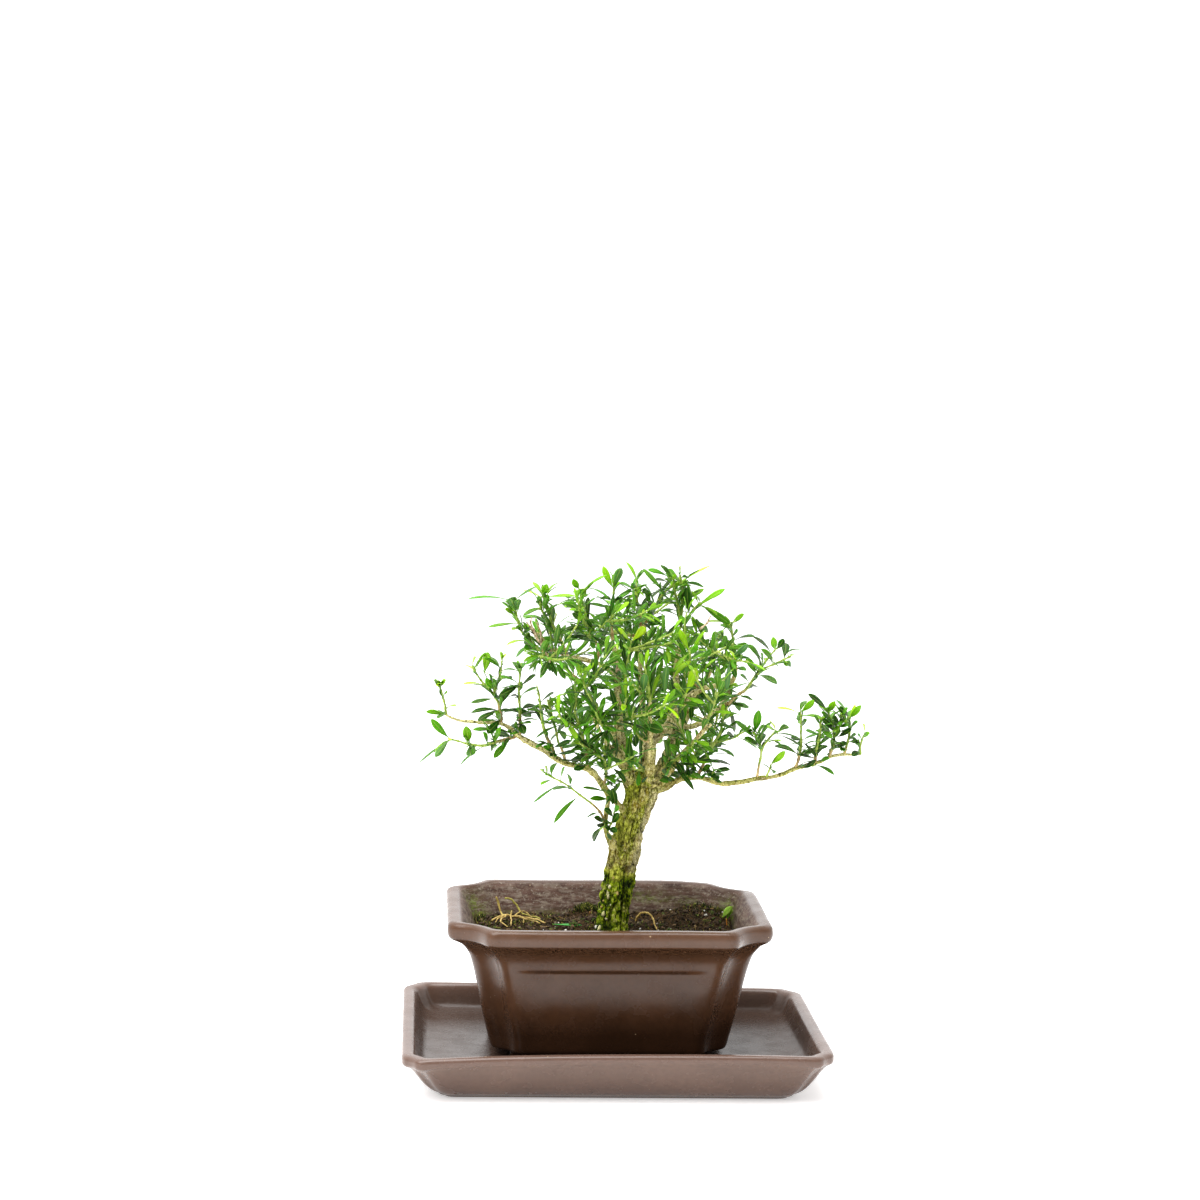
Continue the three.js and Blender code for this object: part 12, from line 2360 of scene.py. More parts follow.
            ([88.8, -6.5, 161.5], [95.1, -15.5, 155.6], [0.38, -0.3, 0.87], 3.5, 0.05, "d", [88.8, -6.5, 161.8]),
            ([87.6, -5.7, 155], [76.6, 1.5, 158.2], [-0.15, -0.57, 0.81], 3.3, 0.1, "d", [88.4, -5.7, 155]),
            ([88.7, -6.5, 161.9], [99.5, 2.5, 164.6], [-0.09, -0.19, 0.98], 3.2, 0.04, "g", [88.8, -6.5, 161.8]),
            ([88.4, -6.2, 159.5], [83.9, -15.2, 161.7], [-0.14, 0.31, 0.94], 3.3, 0.1, "u", [88.8, -6.2, 159.1]),
            ([88.7, -6.4, 167.3], [91, 2.7, 177.6], [-0.9, -0.21, 0.38], 2.2, 0.04, "g", [88.6, -7, 166.7]),
            ([89.4, -6.2, 157.6], [97.6, -7.8, 159.7], [-0.27, -0.14, 0.95], 2.2, 0.08, "g", [88.5, -6, 157.4]),
            ([88, -8.5, 174.2], [86.6, -13.5, 176.9], [-0.71, 0.47, 0.51], 1.6, 0.08, "y", [88.2, -7.8, 173.8]),
            ([88.1, -6.6, 155.9], [85.9, -13.2, 158.6], [0.85, -0.06, 0.53], 2.1, 0.1, "g", [88.3, -5.8, 155.6]),
            ([88.7, -7.1, 160.2], [86.9, -17.5, 163.9], [-0.87, 0.29, 0.39], 2.8, 0.08, "d", [88.8, -6.3, 159.9]),
            ([88.3, -8.4, 171.2], [86.7, -18.5, 172], [-0.4, 0.13, 0.91], 2, 0.11, "y", [88.4, -7.5, 171.2]),
            ([88.5, -4.9, 155.8], [89.9, 4.4, 158.5], [-0.49, -0.17, 0.85], 2.3, 0.1, "g", [88.3, -5.8, 155.6]),
            ([88.3, -8.7, 173.9], [89.1, -16.4, 175.4], [-0.07, 0.18, 0.98], 2.1, 0.06, "g", [88.2, -7.8, 173.8]),
            ([88.7, -5.6, 159.5], [89.1, -1.4, 164.4], [0.81, -0.48, 0.34], 2.1, 0.05, "g", [88.7, -6.1, 158.8]),
            ([88.5, -6.4, 154.9], [91, -12.9, 157.9], [0.21, 0.48, 0.85], 1.7, 0.07, "d", [88.2, -5.7, 154.5]),
            ([88.5, -6.6, 170], [89.4, -0.2, 176.1], [-0.92, -0.19, 0.34], 1.5, 0.05, "d", [88.5, -7.3, 169.3]),
            ([88, -4.7, 153.2], [89.4, 4.2, 156.7], [-0.93, -0.01, 0.38], 2.4, 0.08, "u", [87.9, -5.5, 152.8]),
            ([87.4, -5.3, 149.3], [96.5, -7.6, 152.5], [-0.3, 0.15, 0.94], 2.4, 0.09, "d", [86.6, -5.1, 149]),
            ([88.5, -6.5, 169.8], [88.9, 2.2, 174.8], [-0.82, -0.26, 0.52], 2.7, 0.08, "g", [88.5, -7.3, 169.3]),
            ([88.8, -5.1, 155.6], [92.5, 0.1, 156.7], [0.5, -0.49, 0.71], 1.4, 0.08, "u", [88.3, -5.8, 155.5]),
            ([89.3, -6.8, 159.1], [97.6, -15.4, 163], [-0.09, 0.34, 0.94], 2.7, 0.1, "g", [88.7, -6.1, 158.8]),
           ]),
    "d5b": ("shoot_24",
           [[[96.1, -4, 150.9], [96.2, -6.5, 156.7], [96.7, -9, 161.9], [97.2, -11.5, 167.2], [96.8, -14, 172.4]]],
           [
            ([97, -7.4, 158.8], [103.8, 1.6, 163.9], [-0.22, -0.35, 0.91], 3.2, 0.04, "g", [96.3, -7.4, 158.7]),
            ([97.3, -10.9, 166.1], [89.4, -19.9, 168.8], [0.55, -0.25, 0.8], 3.4, 0.02, "g", [97.1, -10.9, 165.8]),
            ([88.6, -5.2, 154.4], [102, -5.9, 159.6], [-0.31, -0.62, 0.72], 3.5, 0.09, "d", [96.1, -5.2, 153.8]),
            ([96, -4.9, 153], [86.6, -13.9, 156.2], [0.54, -0.28, 0.79], 3.4, 0.04, "d", [96.1, -4.9, 153.1]),
            ([97.1, -12.1, 168.2], [101.8, -21.1, 165.7], [-0.23, -0.37, 0.9], 3.1, 0.05, "g", [97.2, -12.1, 168.5]),
            ([96.9, -13.4, 171.3], [92.8, -22.4, 176.4], [0.93, -0.33, 0.16], 3.4, 0.05, "g", [96.9, -13.4, 171.1]),
            ([96.6, -6.5, 156.7], [92, 2.5, 152.8], [-0.8, -0.16, 0.58], 3.4, 0.09, "g", [96.2, -6.5, 156.7]),
            ([96.3, -4.3, 153.6], [98.8, 3, 164.6], [-0.33, -0.75, 0.58], 2.6, 0.07, "d", [96.1, -4.8, 152.8]),
            ([97.4, -10.6, 166.6], [101.3, -7.9, 175.4], [-0.88, 0.39, 0.27], 2.2, 0.06, "d", [97.1, -10.9, 165.8]),
            ([96.4, -6.1, 157.2], [98.9, -3.1, 166], [-0.96, 0.02, 0.27], 2.8, 0.05, "g", [96.2, -6.4, 156.4]),
            ([96.9, -10.5, 163.7], [98.1, -18.6, 167.2], [0.85, 0.3, 0.42], 2, 0.07, "g", [96.8, -9.7, 163.4]),
            ([96.3, -6.5, 155.3], [98.2, -14, 159.2], [-0.96, -0.1, 0.27], 2.5, 0.08, "d", [96.1, -5.7, 154.9]),
            ([97.4, -12.7, 171.2], [99.9, -10.4, 175.2], [-0.18, -0.8, 0.57], 1, 0.1, "y", [96.9, -13.1, 170.5]),
            ([96.9, -11.7, 166.1], [94.4, -24.7, 170], [-0.31, 0.33, 0.89], 1.9, 0.07, "y", [97.1, -10.9, 165.8]),
            ([97.2, -12.5, 171.1], [99.2, -8.6, 175.3], [-0.81, -0.19, 0.56], 1.6, 0.06, "y", [96.9, -13.1, 170.5]),
            ([97.5, -12.9, 168.8], [101.6, -20.3, 172.4], [-0.45, 0.18, 0.88], 2.3, 0.1, "g", [97.1, -12.1, 168.4]),
            ([97.4, -10.3, 163.8], [104.3, -17.6, 168.8], [-0.43, 0.19, 0.88], 2.3, 0.06, "y", [96.8, -9.7, 163.4]),
            ([96.5, -6, 157.1], [100, -2, 165.7], [-0.88, 0.45, 0.16], 2.5, 0.06, "d", [96.2, -6.4, 156.4]),
            ([97.3, -12.4, 167], [97.7, -18, 167.1], [0.4, 0.04, 0.91], 1.2, 0.05, "g", [97.2, -11.5, 167]),
            ([95.9, -7.9, 158.5], [93.5, -12.8, 161.2], [0.44, 0.25, 0.86], 1.1, 0.1, "d", [96.3, -7.2, 158.1]),
            ([95.7, -7.8, 158], [90, -13.8, 157.7], [-0.6, 0.54, 0.59], 2.5, 0.1, "u", [96.3, -7.2, 158.1]),
            ([97.2, -11.2, 167.9], [96.9, -9.8, 174.1], [0.99, -0.14, 0.07], 1.7, 0.13, "y", [97.2, -11.5, 167]),
            ([96.6, -14.3, 171.8], [95.1, -19.4, 175], [0.9, 0.01, 0.44], 1.8, 0.1, "y", [96.8, -13.5, 171.3]),
            ([97.5, -10, 163.4], [104.8, -14.8, 167.1], [-0.51, -0.12, 0.85], 1.8, 0.05, "d", [96.8, -9.5, 163]),
            ([96.3, -4.1, 152.5], [97.5, -2.8, 158.2], [0.7, -0.71, 0.02], 1.1, 0.09, "d", [96.1, -4.3, 151.7]),
           ]),
    "d6": ("shoot_25",
           [[[102.8, -4, 153.9], [104.6, -4.5, 159.9], [104.8, -5, 165.8], [103.2, -5.5, 171.2], [101.5, -6, 176.6]],
            [[104.9, -4.9, 163.9], [106.9, -6.8, 168.5], [107.5, -8.8, 173.7], [107.8, -10, 176.8]]],
           [
            ([101.5, -6, 176.6], [90.7, -13.7, 185.8], [0.69, -0.68, 0.24], 3.6, 0.09, "d", [101.5, -6, 176.6]),
            ([101.5, -5.9, 176.1], [103.6, -14.9, 182.7], [-0.38, -0.6, -0.7], 3.3, 0.05, "y", [101.7, -5.9, 175.9]),
            ([103.2, -5.5, 170.2], [105.7, 3.5, 174.9], [-0.47, -0.3, 0.83], 3.4, 0.06, "g", [103.4, -5.5, 170.5]),
            ([103.2, -5.5, 171.2], [97.1, -14.5, 177.3], [0.87, -0.43, 0.25], 3.1, 0.07, "g", [103.2, -5.5, 171.2]),
            ([104.3, -5, 165.8], [97.7, -14, 173.8], [0.81, -0.59, 0.01], 3.6, 0.08, "d", [104.8, -5, 165.8]),
            ([105, -4.7, 162.4], [99.6, 4.3, 168.8], [0.02, -0.58, 0.82], 3.4, 0.07, "d", [104.8, -4.7, 162.1]),
            ([103.9, -5, 165.8], [96.7, 4, 165.4], [-0.33, -0.22, 0.92], 3.3, 0.07, "d", [104.8, -5, 165.8]),
            ([106, -4.5, 159.4], [110.1, -13.5, 161.8], [-0.89, -0.32, 0.33], 3.4, 0.03, "d", [104.6, -4.5, 159.9]),
            ([105.6, -4.4, 158.4], [110.7, -13.4, 158.9], [0.41, 0.28, 0.87], 3.3, 0.04, "u", [104.2, -4.4, 158.4]),
            ([104.4, -4.9, 164.3], [106, -13.9, 170.5], [-0.92, -0.32, -0.23], 3.1, 0.09, "y", [104.9, -4.9, 164.4]),
            ([106.8, -5.3, 163.9], [112.2, -14.3, 169.2], [-0.89, -0.4, 0.24], 3.3, 0.05, "d", [105.5, -5.3, 165]),
            ([107.3, -7.6, 170.6], [102.1, -16.6, 175.2], [0.89, -0.42, 0.16], 3.3, 0.05, "d", [107.3, -7.6, 170.5]),
            ([107.5, -9, 174.2], [105.1, 0, 179.7], [0.72, -0.21, 0.66], 3.4, 0.04, "g", [107.6, -9, 174.2]),
            ([107.4, -9.2, 174.7], [109.5, -18.2, 179.9], [-0.97, -0.11, 0.2], 3.2, 0.06, "g", [107.6, -9.2, 174.6]),
            ([107.4, -7.1, 169.1], [110, -16.1, 170.9], [-0.69, -0.06, 0.72], 3.3, 0.08, "g", [107.1, -7.1, 169.2]),
            ([104.5, -5.6, 162.4], [103.5, -11.9, 164.2], [0.74, 0.07, 0.67], 1.3, 0.1, "g", [104.7, -4.7, 162.2]),
            ([103.3, -3.2, 154.9], [106.4, 6.5, 157.2], [-0.53, -0.04, 0.85], 2.5, 0.11, "u", [103.1, -4.1, 154.7]),
            ([104.1, -3.7, 157.6], [106.4, 0.5, 162.3], [-0.68, -0.33, 0.65], 1.6, 0.07, "d", [103.7, -4.3, 157]),
            ([107.2, -7.9, 169.9], [108.6, -17, 176.2], [0.58, 0.53, 0.62], 1.8, 0.04, "d", [107, -7.1, 169.4]),
            ([106.2, -6.9, 167.3], [106.2, -18.2, 172.7], [-0.91, 0.18, 0.37], 2.1, 0.1, "g", [106.2, -6.1, 166.9]),
            ([104.7, -5.4, 159.9], [107.4, -18.1, 163.3], [-0.25, 0.2, 0.95], 2, 0.04, "d", [104.5, -4.5, 159.6]),
            ([101.7, -6.5, 175.2], [98.4, -11.8, 179], [0.01, 0.58, 0.81], 1.6, 0.05, "y", [102.1, -5.8, 174.7]),
            ([107, -8, 173.7], [102.7, -3.2, 177.8], [0.74, 0.07, 0.67], 2.2, 0.05, "g", [107.5, -8.6, 173.2]),
            ([107.6, -10.5, 175.6], [107.3, -16.1, 175.4], [0.33, -0.05, 0.94], 1.6, 0.08, "y", [107.7, -9.6, 175.6]),
            ([103.9, -6.1, 168.8], [103, -15.1, 173.6], [0.46, 0.37, 0.81], 2.7, 0.05, "d", [104, -5.3, 168.4]),
            ([104.7, -5.7, 165.9], [104.1, -10.9, 170.5], [0.92, 0.19, 0.33], 1.7, 0.06, "g", [104.8, -5, 165.3]),
            ([106.5, -5.2, 165.9], [112.4, -1.4, 167], [-0.5, 0.58, 0.64], 1.6, 0.03, "d", [105.7, -5.6, 165.8]),
            ([104.8, -5.4, 162.8], [106.1, -13, 169.9], [0.69, 0.55, 0.47], 2.3, 0.09, "g", [104.7, -4.7, 162.2]),
            ([103.7, -5, 157.6], [102.7, -13.6, 164], [0.39, 0.53, 0.76], 2.1, 0.08, "d", [103.7, -4.3, 157]),
            ([107, -7.8, 169.9], [106.5, -13.9, 174.3], [-0.86, 0.34, 0.37], 1.6, 0.04, "u", [107, -7.1, 169.4]),
            ([102.1, -6.6, 175.1], [102.2, -12, 178], [-0.51, 0.4, 0.77], 1.4, 0.07, "g", [102.1, -5.8, 174.7]),
            ([107.3, -9.5, 173], [105.9, -19, 171.5], [-0.28, -0.11, 0.95], 2.4, 0.04, "g", [107.5, -8.6, 173.2]),
            ([103.8, -5.1, 157.3], [104.3, -11.6, 159.8], [0.43, 0.35, 0.83], 1.9, 0.07, "d", [103.7, -4.3, 157]),
            ([102, -6.7, 174.9], [101.3, -12.4, 176], [-0.35, 0.22, 0.91], 1.6, 0.06, "y", [102.1, -5.8, 174.7]),
            ([103.9, -6.1, 168.5], [102.9, -13.2, 169.5], [0.98, -0.15, -0.11], 1.9, 0.09, "g", [104, -5.3, 168.4]),
            ([104.8, -3.9, 162.5], [106.3, 2.3, 165], [-0.5, -0.22, 0.84], 1.5, 0.03, "d", [104.7, -4.7, 162.2]),
            ([101.8, -5, 175], [98.4, 3, 178.2], [0.13, -0.32, 0.94], 1.7, 0.04, "y", [102.1, -5.8, 174.7]),
            ([107.5, -9.5, 173.4], [107.4, -16.4, 175.1], [-0.11, 0.24, 0.97], 1.3, 0.07, "d", [107.5, -8.6, 173.2]),
            ([107.5, -10.4, 175.8], [106.3, -16.9, 177.1], [0.17, 0.16, 0.97], 1.7, 0.04, "y", [107.7, -9.6, 175.6]),
            ([104.5, -5.5, 166], [100.8, -11.5, 174.7], [0.03, 0.81, 0.58], 1.8, 0.07, "g", [104.8, -5, 165.3]),
            ([107.5, -10.1, 174.9], [106.6, -17.9, 176.8], [-0.64, 0.24, 0.73], 1.5, 0.08, "y", [107.6, -9.2, 174.7]),
            ([104.5, -3.6, 158.7], [107.5, 4.4, 160.3], [0.07, -0.23, 0.97], 2.4, 0.08, "g", [104.2, -4.4, 158.5]),
            ([106.4, -7.3, 168.1], [104.6, -16, 172.2], [-0.53, 0.45, 0.72], 2, 0.1, "d", [106.6, -6.5, 167.7]),
            ([104.9, -5.3, 160.1], [107.1, -10.6, 161.8], [0.85, 0.45, 0.29], 1.6, 0.09, "g", [104.6, -4.5, 159.9]),
            ([106.7, -8.1, 169.6], [103.9, -14.7, 169.3], [0.62, -0.3, 0.73], 1.3, 0.11, "g", [107.1, -7.2, 169.7]),
            ([103.4, -4.8, 169.8], [97.5, 1.8, 178.5], [0.79, -0.1, 0.61], 2.6, 0.06, "d", [103.8, -5.3, 169.1]),
            ([101.7, -6.4, 173.8], [97.1, -11.6, 173], [-0.38, 0.18, 0.91], 2.2, 0.13, "p", [102.3, -5.8, 173.9]),
            ([104, -3.5, 156.7], [107.1, 1.3, 159.1], [0.2, -0.55, 0.81], 2, 0.05, "u", [103.5, -4.2, 156.4]),
            ([107, -8.3, 170.9], [104.6, -19.3, 176.8], [0.76, 0.17, 0.63], 2.4, 0.07, "u", [107.2, -7.6, 170.5]),
            ([102.1, -6.5, 174.5], [100.2, -13.4, 179.5], [-0.12, 0.6, 0.79], 1.7, 0.12, "y", [102.3, -5.8, 173.9]),
            ([107, -9.8, 175], [100.6, -15.3, 177.5], [0.3, 0.09, 0.95], 1.8, 0.1, "y", [107.6, -9.2, 174.7]),
            ([107.1, -5.9, 168.2], [111.8, -0.6, 172.1], [-0.78, 0.28, 0.56], 2, 0.05, "d", [106.6, -6.5, 167.7]),
            ([103.5, -5.5, 172.9], [108.4, -5, 176.9], [-0.55, 0.58, 0.6], 1.9, 0.09, "y", [102.8, -5.6, 172.4]),
            ([102.9, -4.9, 154.9], [101.3, -14.2, 156.6], [-0.7, 0.25, 0.67], 1.6, 0.1, "u", [103.1, -4.1, 154.7]),
           ]),
    "d7": ("shoot_26",
           [[[110.1, -4, 155], [111.4, -4, 159.9], [112.3, -4, 164.3], [112.6, -4, 169.7], [112, -4, 173.5]]],
           [
            ([112, -4, 173.1], [116.6, -12, 180.5], [-0.47, -0.73, -0.49], 3.3, 0.09, "y", [112.1, -4, 173.1]),
            ([112, -4, 173.5], [105.4, -13, 179.1], [0.82, -0.56, 0.07], 3.4, 0.09, "d", [112, -4, 173.5]),
            ([111.5, -4, 173.5], [104.3, -13, 183], [0.87, -0.28, 0.4], 3.3, 0.07, "g", [112, -4, 173.5]),
            ([112.7, -4, 168.2], [115.2, -13, 172.4], [-0.92, -0.07, 0.4], 3.3, 0.06, "g", [112.6, -4, 168.4]),
            ([111.8, -4, 163.3], [114.4, -13, 166.1], [-0.86, -0.1, 0.5], 3.2, 0.06, "g", [112.1, -4, 163.1]),
            ([111, -4, 158.4], [107.4, -13, 158.3], [0.16, -0.08, 0.98], 3.2, 0.07, "g", [111, -4, 158.1]),
            ([112.6, -4, 171.1], [107.5, -13, 172.3], [0.68, -0.29, 0.68], 2.9, 0.07, "y", [112.5, -4, 171.2]),
            ([112.1, -3.5, 166.8], [107.8, 4.4, 176.1], [0.93, 0.09, 0.35], 1.9, 0.11, "y", [112.4, -4, 166.1]),
            ([111.3, -3.5, 159.3], [114.6, 2.7, 168], [-0.96, 0.15, 0.25], 2.3, 0.04, "g", [111.1, -4, 158.6]),
            ([112.5, -4.8, 170.7], [111.7, -14, 174.8], [-0.71, 0.34, 0.62], 2.2, 0.05, "g", [112.5, -4, 170.3]),
            ([112.5, -3.5, 173.3], [115.7, 1, 178.9], [0.15, -0.81, 0.57], 1.5, 0.04, "b", [112.2, -4, 172.6]),
            ([111.9, -4.9, 162.5], [112.3, -11.3, 164.5], [0.52, 0.29, 0.81], 1.8, 0.07, "g", [111.9, -4, 162.2]),
            ([112.1, -3.4, 165.5], [109.6, 3.1, 173.4], [0.78, -0.34, 0.53], 2.1, 0.09, "g", [112.3, -4, 164.8]),
            ([112.3, -3.4, 166.8], [111.8, 1.4, 172.9], [0.57, -0.62, 0.55], 1.8, 0.03, "g", [112.4, -4, 166.1]),
            ([112.6, -3.2, 170.7], [114.3, 7.4, 175.4], [-0.56, -0.26, 0.78], 2.7, 0.08, "g", [112.5, -4, 170.3]),
            ([111.8, -4.7, 165.1], [108, -10, 167], [0.46, 0, 0.89], 1.5, 0.08, "d", [112.3, -4, 164.8]),
            ([109.9, -4.2, 157.3], [100.1, -7.5, 164.7], [0.55, 0.19, 0.81], 2.8, 0.09, "g", [110.6, -4, 156.7]),
            ([110.5, -3.2, 157.1], [109.3, 4.4, 159.9], [0.85, -0.07, 0.52], 1.6, 0.05, "g", [110.6, -4, 156.7]),
            ([110.3, -4.8, 156.5], [108.8, -10.8, 158], [-0.23, 0.29, 0.93], 1.9, 0.07, "u", [110.5, -4, 156.3]),
            ([112.3, -4.8, 166.6], [110.7, -15.9, 170.4], [0.33, 0.26, 0.9], 2.2, 0.12, "g", [112.4, -4, 166.3]),
            ([111.7, -3.7, 173.1], [107.1, -1.1, 179], [0.42, -0.67, 0.62], 1.4, 0.07, "g", [112.2, -4, 172.4]),
            ([112.4, -4.8, 168.2], [111.6, -12.5, 171.7], [-0.09, 0.42, 0.9], 1.7, 0.1, "g", [112.5, -4, 167.9]),
            ([112.2, -4.7, 161.3], [116.7, -11.6, 162], [-0.65, -0.37, 0.67], 2.5, 0.1, "d", [111.7, -4, 161.2]),
           ]),
    "d8": ("shoot_27",
           [[[118.1, -4, 155.3], [117.7, -4.7, 159.1], [118.5, -5.5, 162.6], [119.3, -6, 165.1]]],
           [
            ([118.8, -5.8, 164.1], [120.9, -14.8, 167.4], [-0.98, -0.2, 0.07], 2.8, 0.06, "y", [119, -5.8, 164.2]),
            ([118.8, -5.9, 164.6], [117.4, -14.9, 171.8], [0.97, -0.23, -0.1], 2.7, 0.07, "p", [119.1, -5.9, 164.5]),
            ([117.7, -4.8, 159.6], [112.4, -13.8, 164.8], [0.89, -0.44, 0.14], 3.4, 0.05, "d", [117.7, -4.8, 159.5]),
            ([117.3, -4.3, 156.6], [112.8, -13.3, 155.9], [0.48, -0.3, 0.83], 3.5, 0.08, "d", [117.9, -4.3, 156.7]),
            ([118.5, -5.4, 162.1], [115.2, -14.4, 166.3], [0.92, -0.18, 0.34], 3.2, 0.05, "g", [118.3, -5.4, 162.2]),
            ([117.7, -5.3, 157.8], [116.2, -12.1, 158.3], [-0.15, 0.11, 0.98], 1.5, 0.07, "g", [117.8, -4.4, 157.7]),
            ([117.4, -5.6, 160.5], [111.8, -12.2, 162.7], [0.15, 0.2, 0.97], 2.1, 0.04, "g", [117.9, -5, 160.3]),
            ([117.8, -4.9, 157.1], [115.5, -13.4, 164.2], [0, 0.65, 0.76], 1.6, 0.06, "u", [118, -4.2, 156.5]),
           ]),
    "d9": ("shoot_28",
           [[[91.3, -4, 149.4], [93.4, -6.9, 149.9], [94.6, -9, 150.2]]],
           [
            ([90.4, -4, 148.4], [95.5, -13, 153.3], [-0.89, -0.34, 0.31], 3.6, 0.03, "d", [91.3, -4, 149.4]),
            ([95.5, -9, 150.7], [103.9, -16.7, 147.2], [0.1, -0.32, 0.94], 3.3, 0.08, "g", [94.6, -9, 150.2]),
            ([97.9, -9, 152.2], [101.1, -18, 155.1], [-0.82, -0.1, 0.57], 3.3, 0.1, "g", [94.6, -9, 150.2]),
            ([92.5, -7.2, 149.8], [88, -12, 149.7], [-0.26, 0.21, 0.94], 1.7, 0.11, "d", [93.1, -6.5, 149.8]),
            ([91.4, -5.5, 149.5], [88.8, -10.8, 149.7], [-0.27, 0.15, 0.95], 1.7, 0.13, "d", [91.8, -4.6, 149.5]),
            ([91.5, -5.5, 149.7], [89, -14.6, 151.4], [-0.03, 0.19, 0.98], 2.2, 0.06, "d", [91.8, -4.6, 149.5]),
           ]),
    "c1": ("shoot_29",
           [[[-29.4, -4.6, 203.4], [-28.2, -4.6, 204.3], [-33.1, -5.7, 204.4], [-37.9, -6.8, 204.5], [-41.8, -8, 207.9], [-44.8, -9, 211.4], [-47.3, -9.9, 214.3], [-48.8, -10.9, 218.3], [-49.9, -12, 223.2]],
            [[-33.9, -5.9, 204.4], [-35.1, -10.7, 203.3], [-36.5, -15.6, 202.7], [-37.4, -20.7, 202.7], [-38.6, -25.6, 203.8]],
            [[-38, -23.2, 203.2], [-35.2, -26.1, 202.7], [-32.4, -29.2, 202.8], [-29.4, -32, 203], [-26.5, -34.8, 203.9]],
            [[-34.2, -27.1, 202.7], [-30.5, -27.3, 206.1], [-27.3, -27.5, 210], [-24.5, -27.6, 214.1], [-21.8, -28, 218.4]]],
           [
            ([-49.9, -12, 223.2], [-53.1, -21, 230.8], [-0.27, 0.68, 0.69], 5.3, 0.07, "u", [-49.9, -12, 223.2]),
            ([-49.9, -12, 224.1], [-48.8, -21, 230.3], [0.02, 0.57, 0.82], 3.4, 0.02, "u", [-49.9, -12, 223.2]),
            ([-53.3, -12, 228.9], [-72.8, -12.4, 229.1], [0.02, -0.26, 0.97], 3.4, 0.06, "g", [-49.9, -12, 223.2]),
            ([-50.4, -12, 228.9], [-40.9, -21, 236.2], [-0.7, -0.19, 0.69], 3.3, 0.04, "g", [-49.9, -12, 223.2]),
            ([-49.4, -12, 223.2], [-54.9, -3, 227.4], [0.26, -0.27, 0.93], 3.2, 0.05, "g", [-49.9, -12, 223.2]),
            ([-49.8, -11.6, 221.2], [-55.3, -20.6, 225.4], [0.87, -0.41, 0.27], 2.8, 0.03, "y", [-49.5, -11.6, 221.3]),
            ([-49.2, -10.7, 217.8], [-63, -11.3, 215.7], [-0.11, -0.44, 0.89], 3.1, 0.04, "y", [-48.6, -10.7, 217.7]),
            ([-48.2, -10.1, 214.8], [-51.8, -19.1, 215.3], [0.26, -0.05, 0.96], 2.9, 0.1, "p", [-47.7, -10.1, 215.2]),
            ([-43.8, -8.4, 208.9], [-53.9, -13.5, 207.5], [0, -0.27, 0.96], 2.9, 0.09, "p", [-43, -8.4, 209.3]),
            ([-42.3, -7.8, 207], [-49.1, 1.2, 200], [-0.85, -0.34, 0.39], 3.4, 0.08, "g", [-41.4, -7.8, 207.5]),
            ([-41.3, -7.4, 205], [-45.9, -16.4, 206.5], [0.74, -0.28, 0.61], 3.4, 0.08, "g", [-40, -7.4, 206]),
            ([-46.3, -9.6, 213.4], [-43.3, -18.6, 215.4], [-0.9, -0.22, 0.38], 3.6, 0.09, "d", [-46.4, -9.6, 213.2]),
            ([-40.3, -7.2, 204.5], [-44.9, 1.8, 208.2], [-0.43, -0.52, 0.74], 3.4, 0.02, "d", [-39.5, -7.2, 205.5]),
            ([-36.2, -6.4, 204.2], [-44.4, -11.7, 212.4], [0.49, 0.43, 0.76], 3.1, 0.02, "d", [-36.2, -6.4, 204.2]),
            ([-36.2, -6.4, 204.2], [-42.9, -0.7, 193.8], [-0.87, -0.14, 0.48], 3.1, 0.06, "d", [-36.2, -6.4, 204.2]),
            ([-38.6, -25.6, 203.8], [-35.5, -35.6, 212.5], [-0.95, -0.3, -0.01], 2.8, 0.09, "g", [-38.6, -25.6, 203.8]),
            ([-38.6, -25.6, 203.8], [-45.4, -35.4, 200.9], [0.18, -0.39, 0.9], 2.6, 0.06, "g", [-38.6, -25.6, 203.8]),
            ([-37.4, -20.7, 202.7], [-46, -25, 212.2], [0.76, -0.39, 0.52], 2.6, 0.03, "g", [-37.4, -20.7, 202.7]),
            ([-36.5, -15.6, 202.7], [-34.4, -26.8, 211.2], [-0.15, 0.58, 0.8], 2.7, 0.04, "g", [-36.5, -15.6, 202.7]),
            ([-34.9, -10.1, 203.4], [-29.9, -15.9, 192.8], [0.47, -0.66, 0.58], 2.7, 0.01, "d", [-34.9, -10.1, 203.4]),
            ([-34.9, -10.1, 203.4], [-43.6, -16.1, 214.6], [0.8, -0.02, 0.6], 2.8, 0.09, "d", [-34.9, -10.1, 203.4]),
            ([-26.5, -34.8, 203.9], [-17.7, -34.8, 211.3], [0.36, -0.83, -0.42], 2.6, 0.07, "g", [-26.5, -34.8, 203.9]),
            ([-26.5, -34.8, 203.9], [-22.1, -45.2, 201.1], [0.21, -0.17, 0.96], 2.8, 0.05, "g", [-26.5, -34.8, 203.9]),
            ([-30.9, -30.6, 202.8], [-28.5, -41.6, 211.2], [0.11, 0.62, 0.78], 2.5, 0.04, "g", [-30.9, -30.6, 202.8]),
            ([-34.1, -27.3, 202.7], [-38.4, -37.1, 196.1], [0.33, -0.62, 0.71], 3.1, 0.04, "d", [-34.1, -27.3, 202.7]),
            ([-34.1, -27.3, 202.7], [-22.3, -31.7, 208.3], [-0.46, -0.1, 0.88], 2.8, 0.04, "d", [-34.1, -27.3, 202.7]),
            ([-21.8, -28, 218.4], [-18.5, -24.6, 227.6], [-0.45, -0.77, 0.45], 2.2, 0.04, "y", [-21.8, -28, 218.4]),
            ([-21.8, -28, 218.4], [-17, -33.1, 225.4], [-0.35, 0.63, 0.69], 2.4, 0.08, "y", [-21.8, -28, 218.4]),
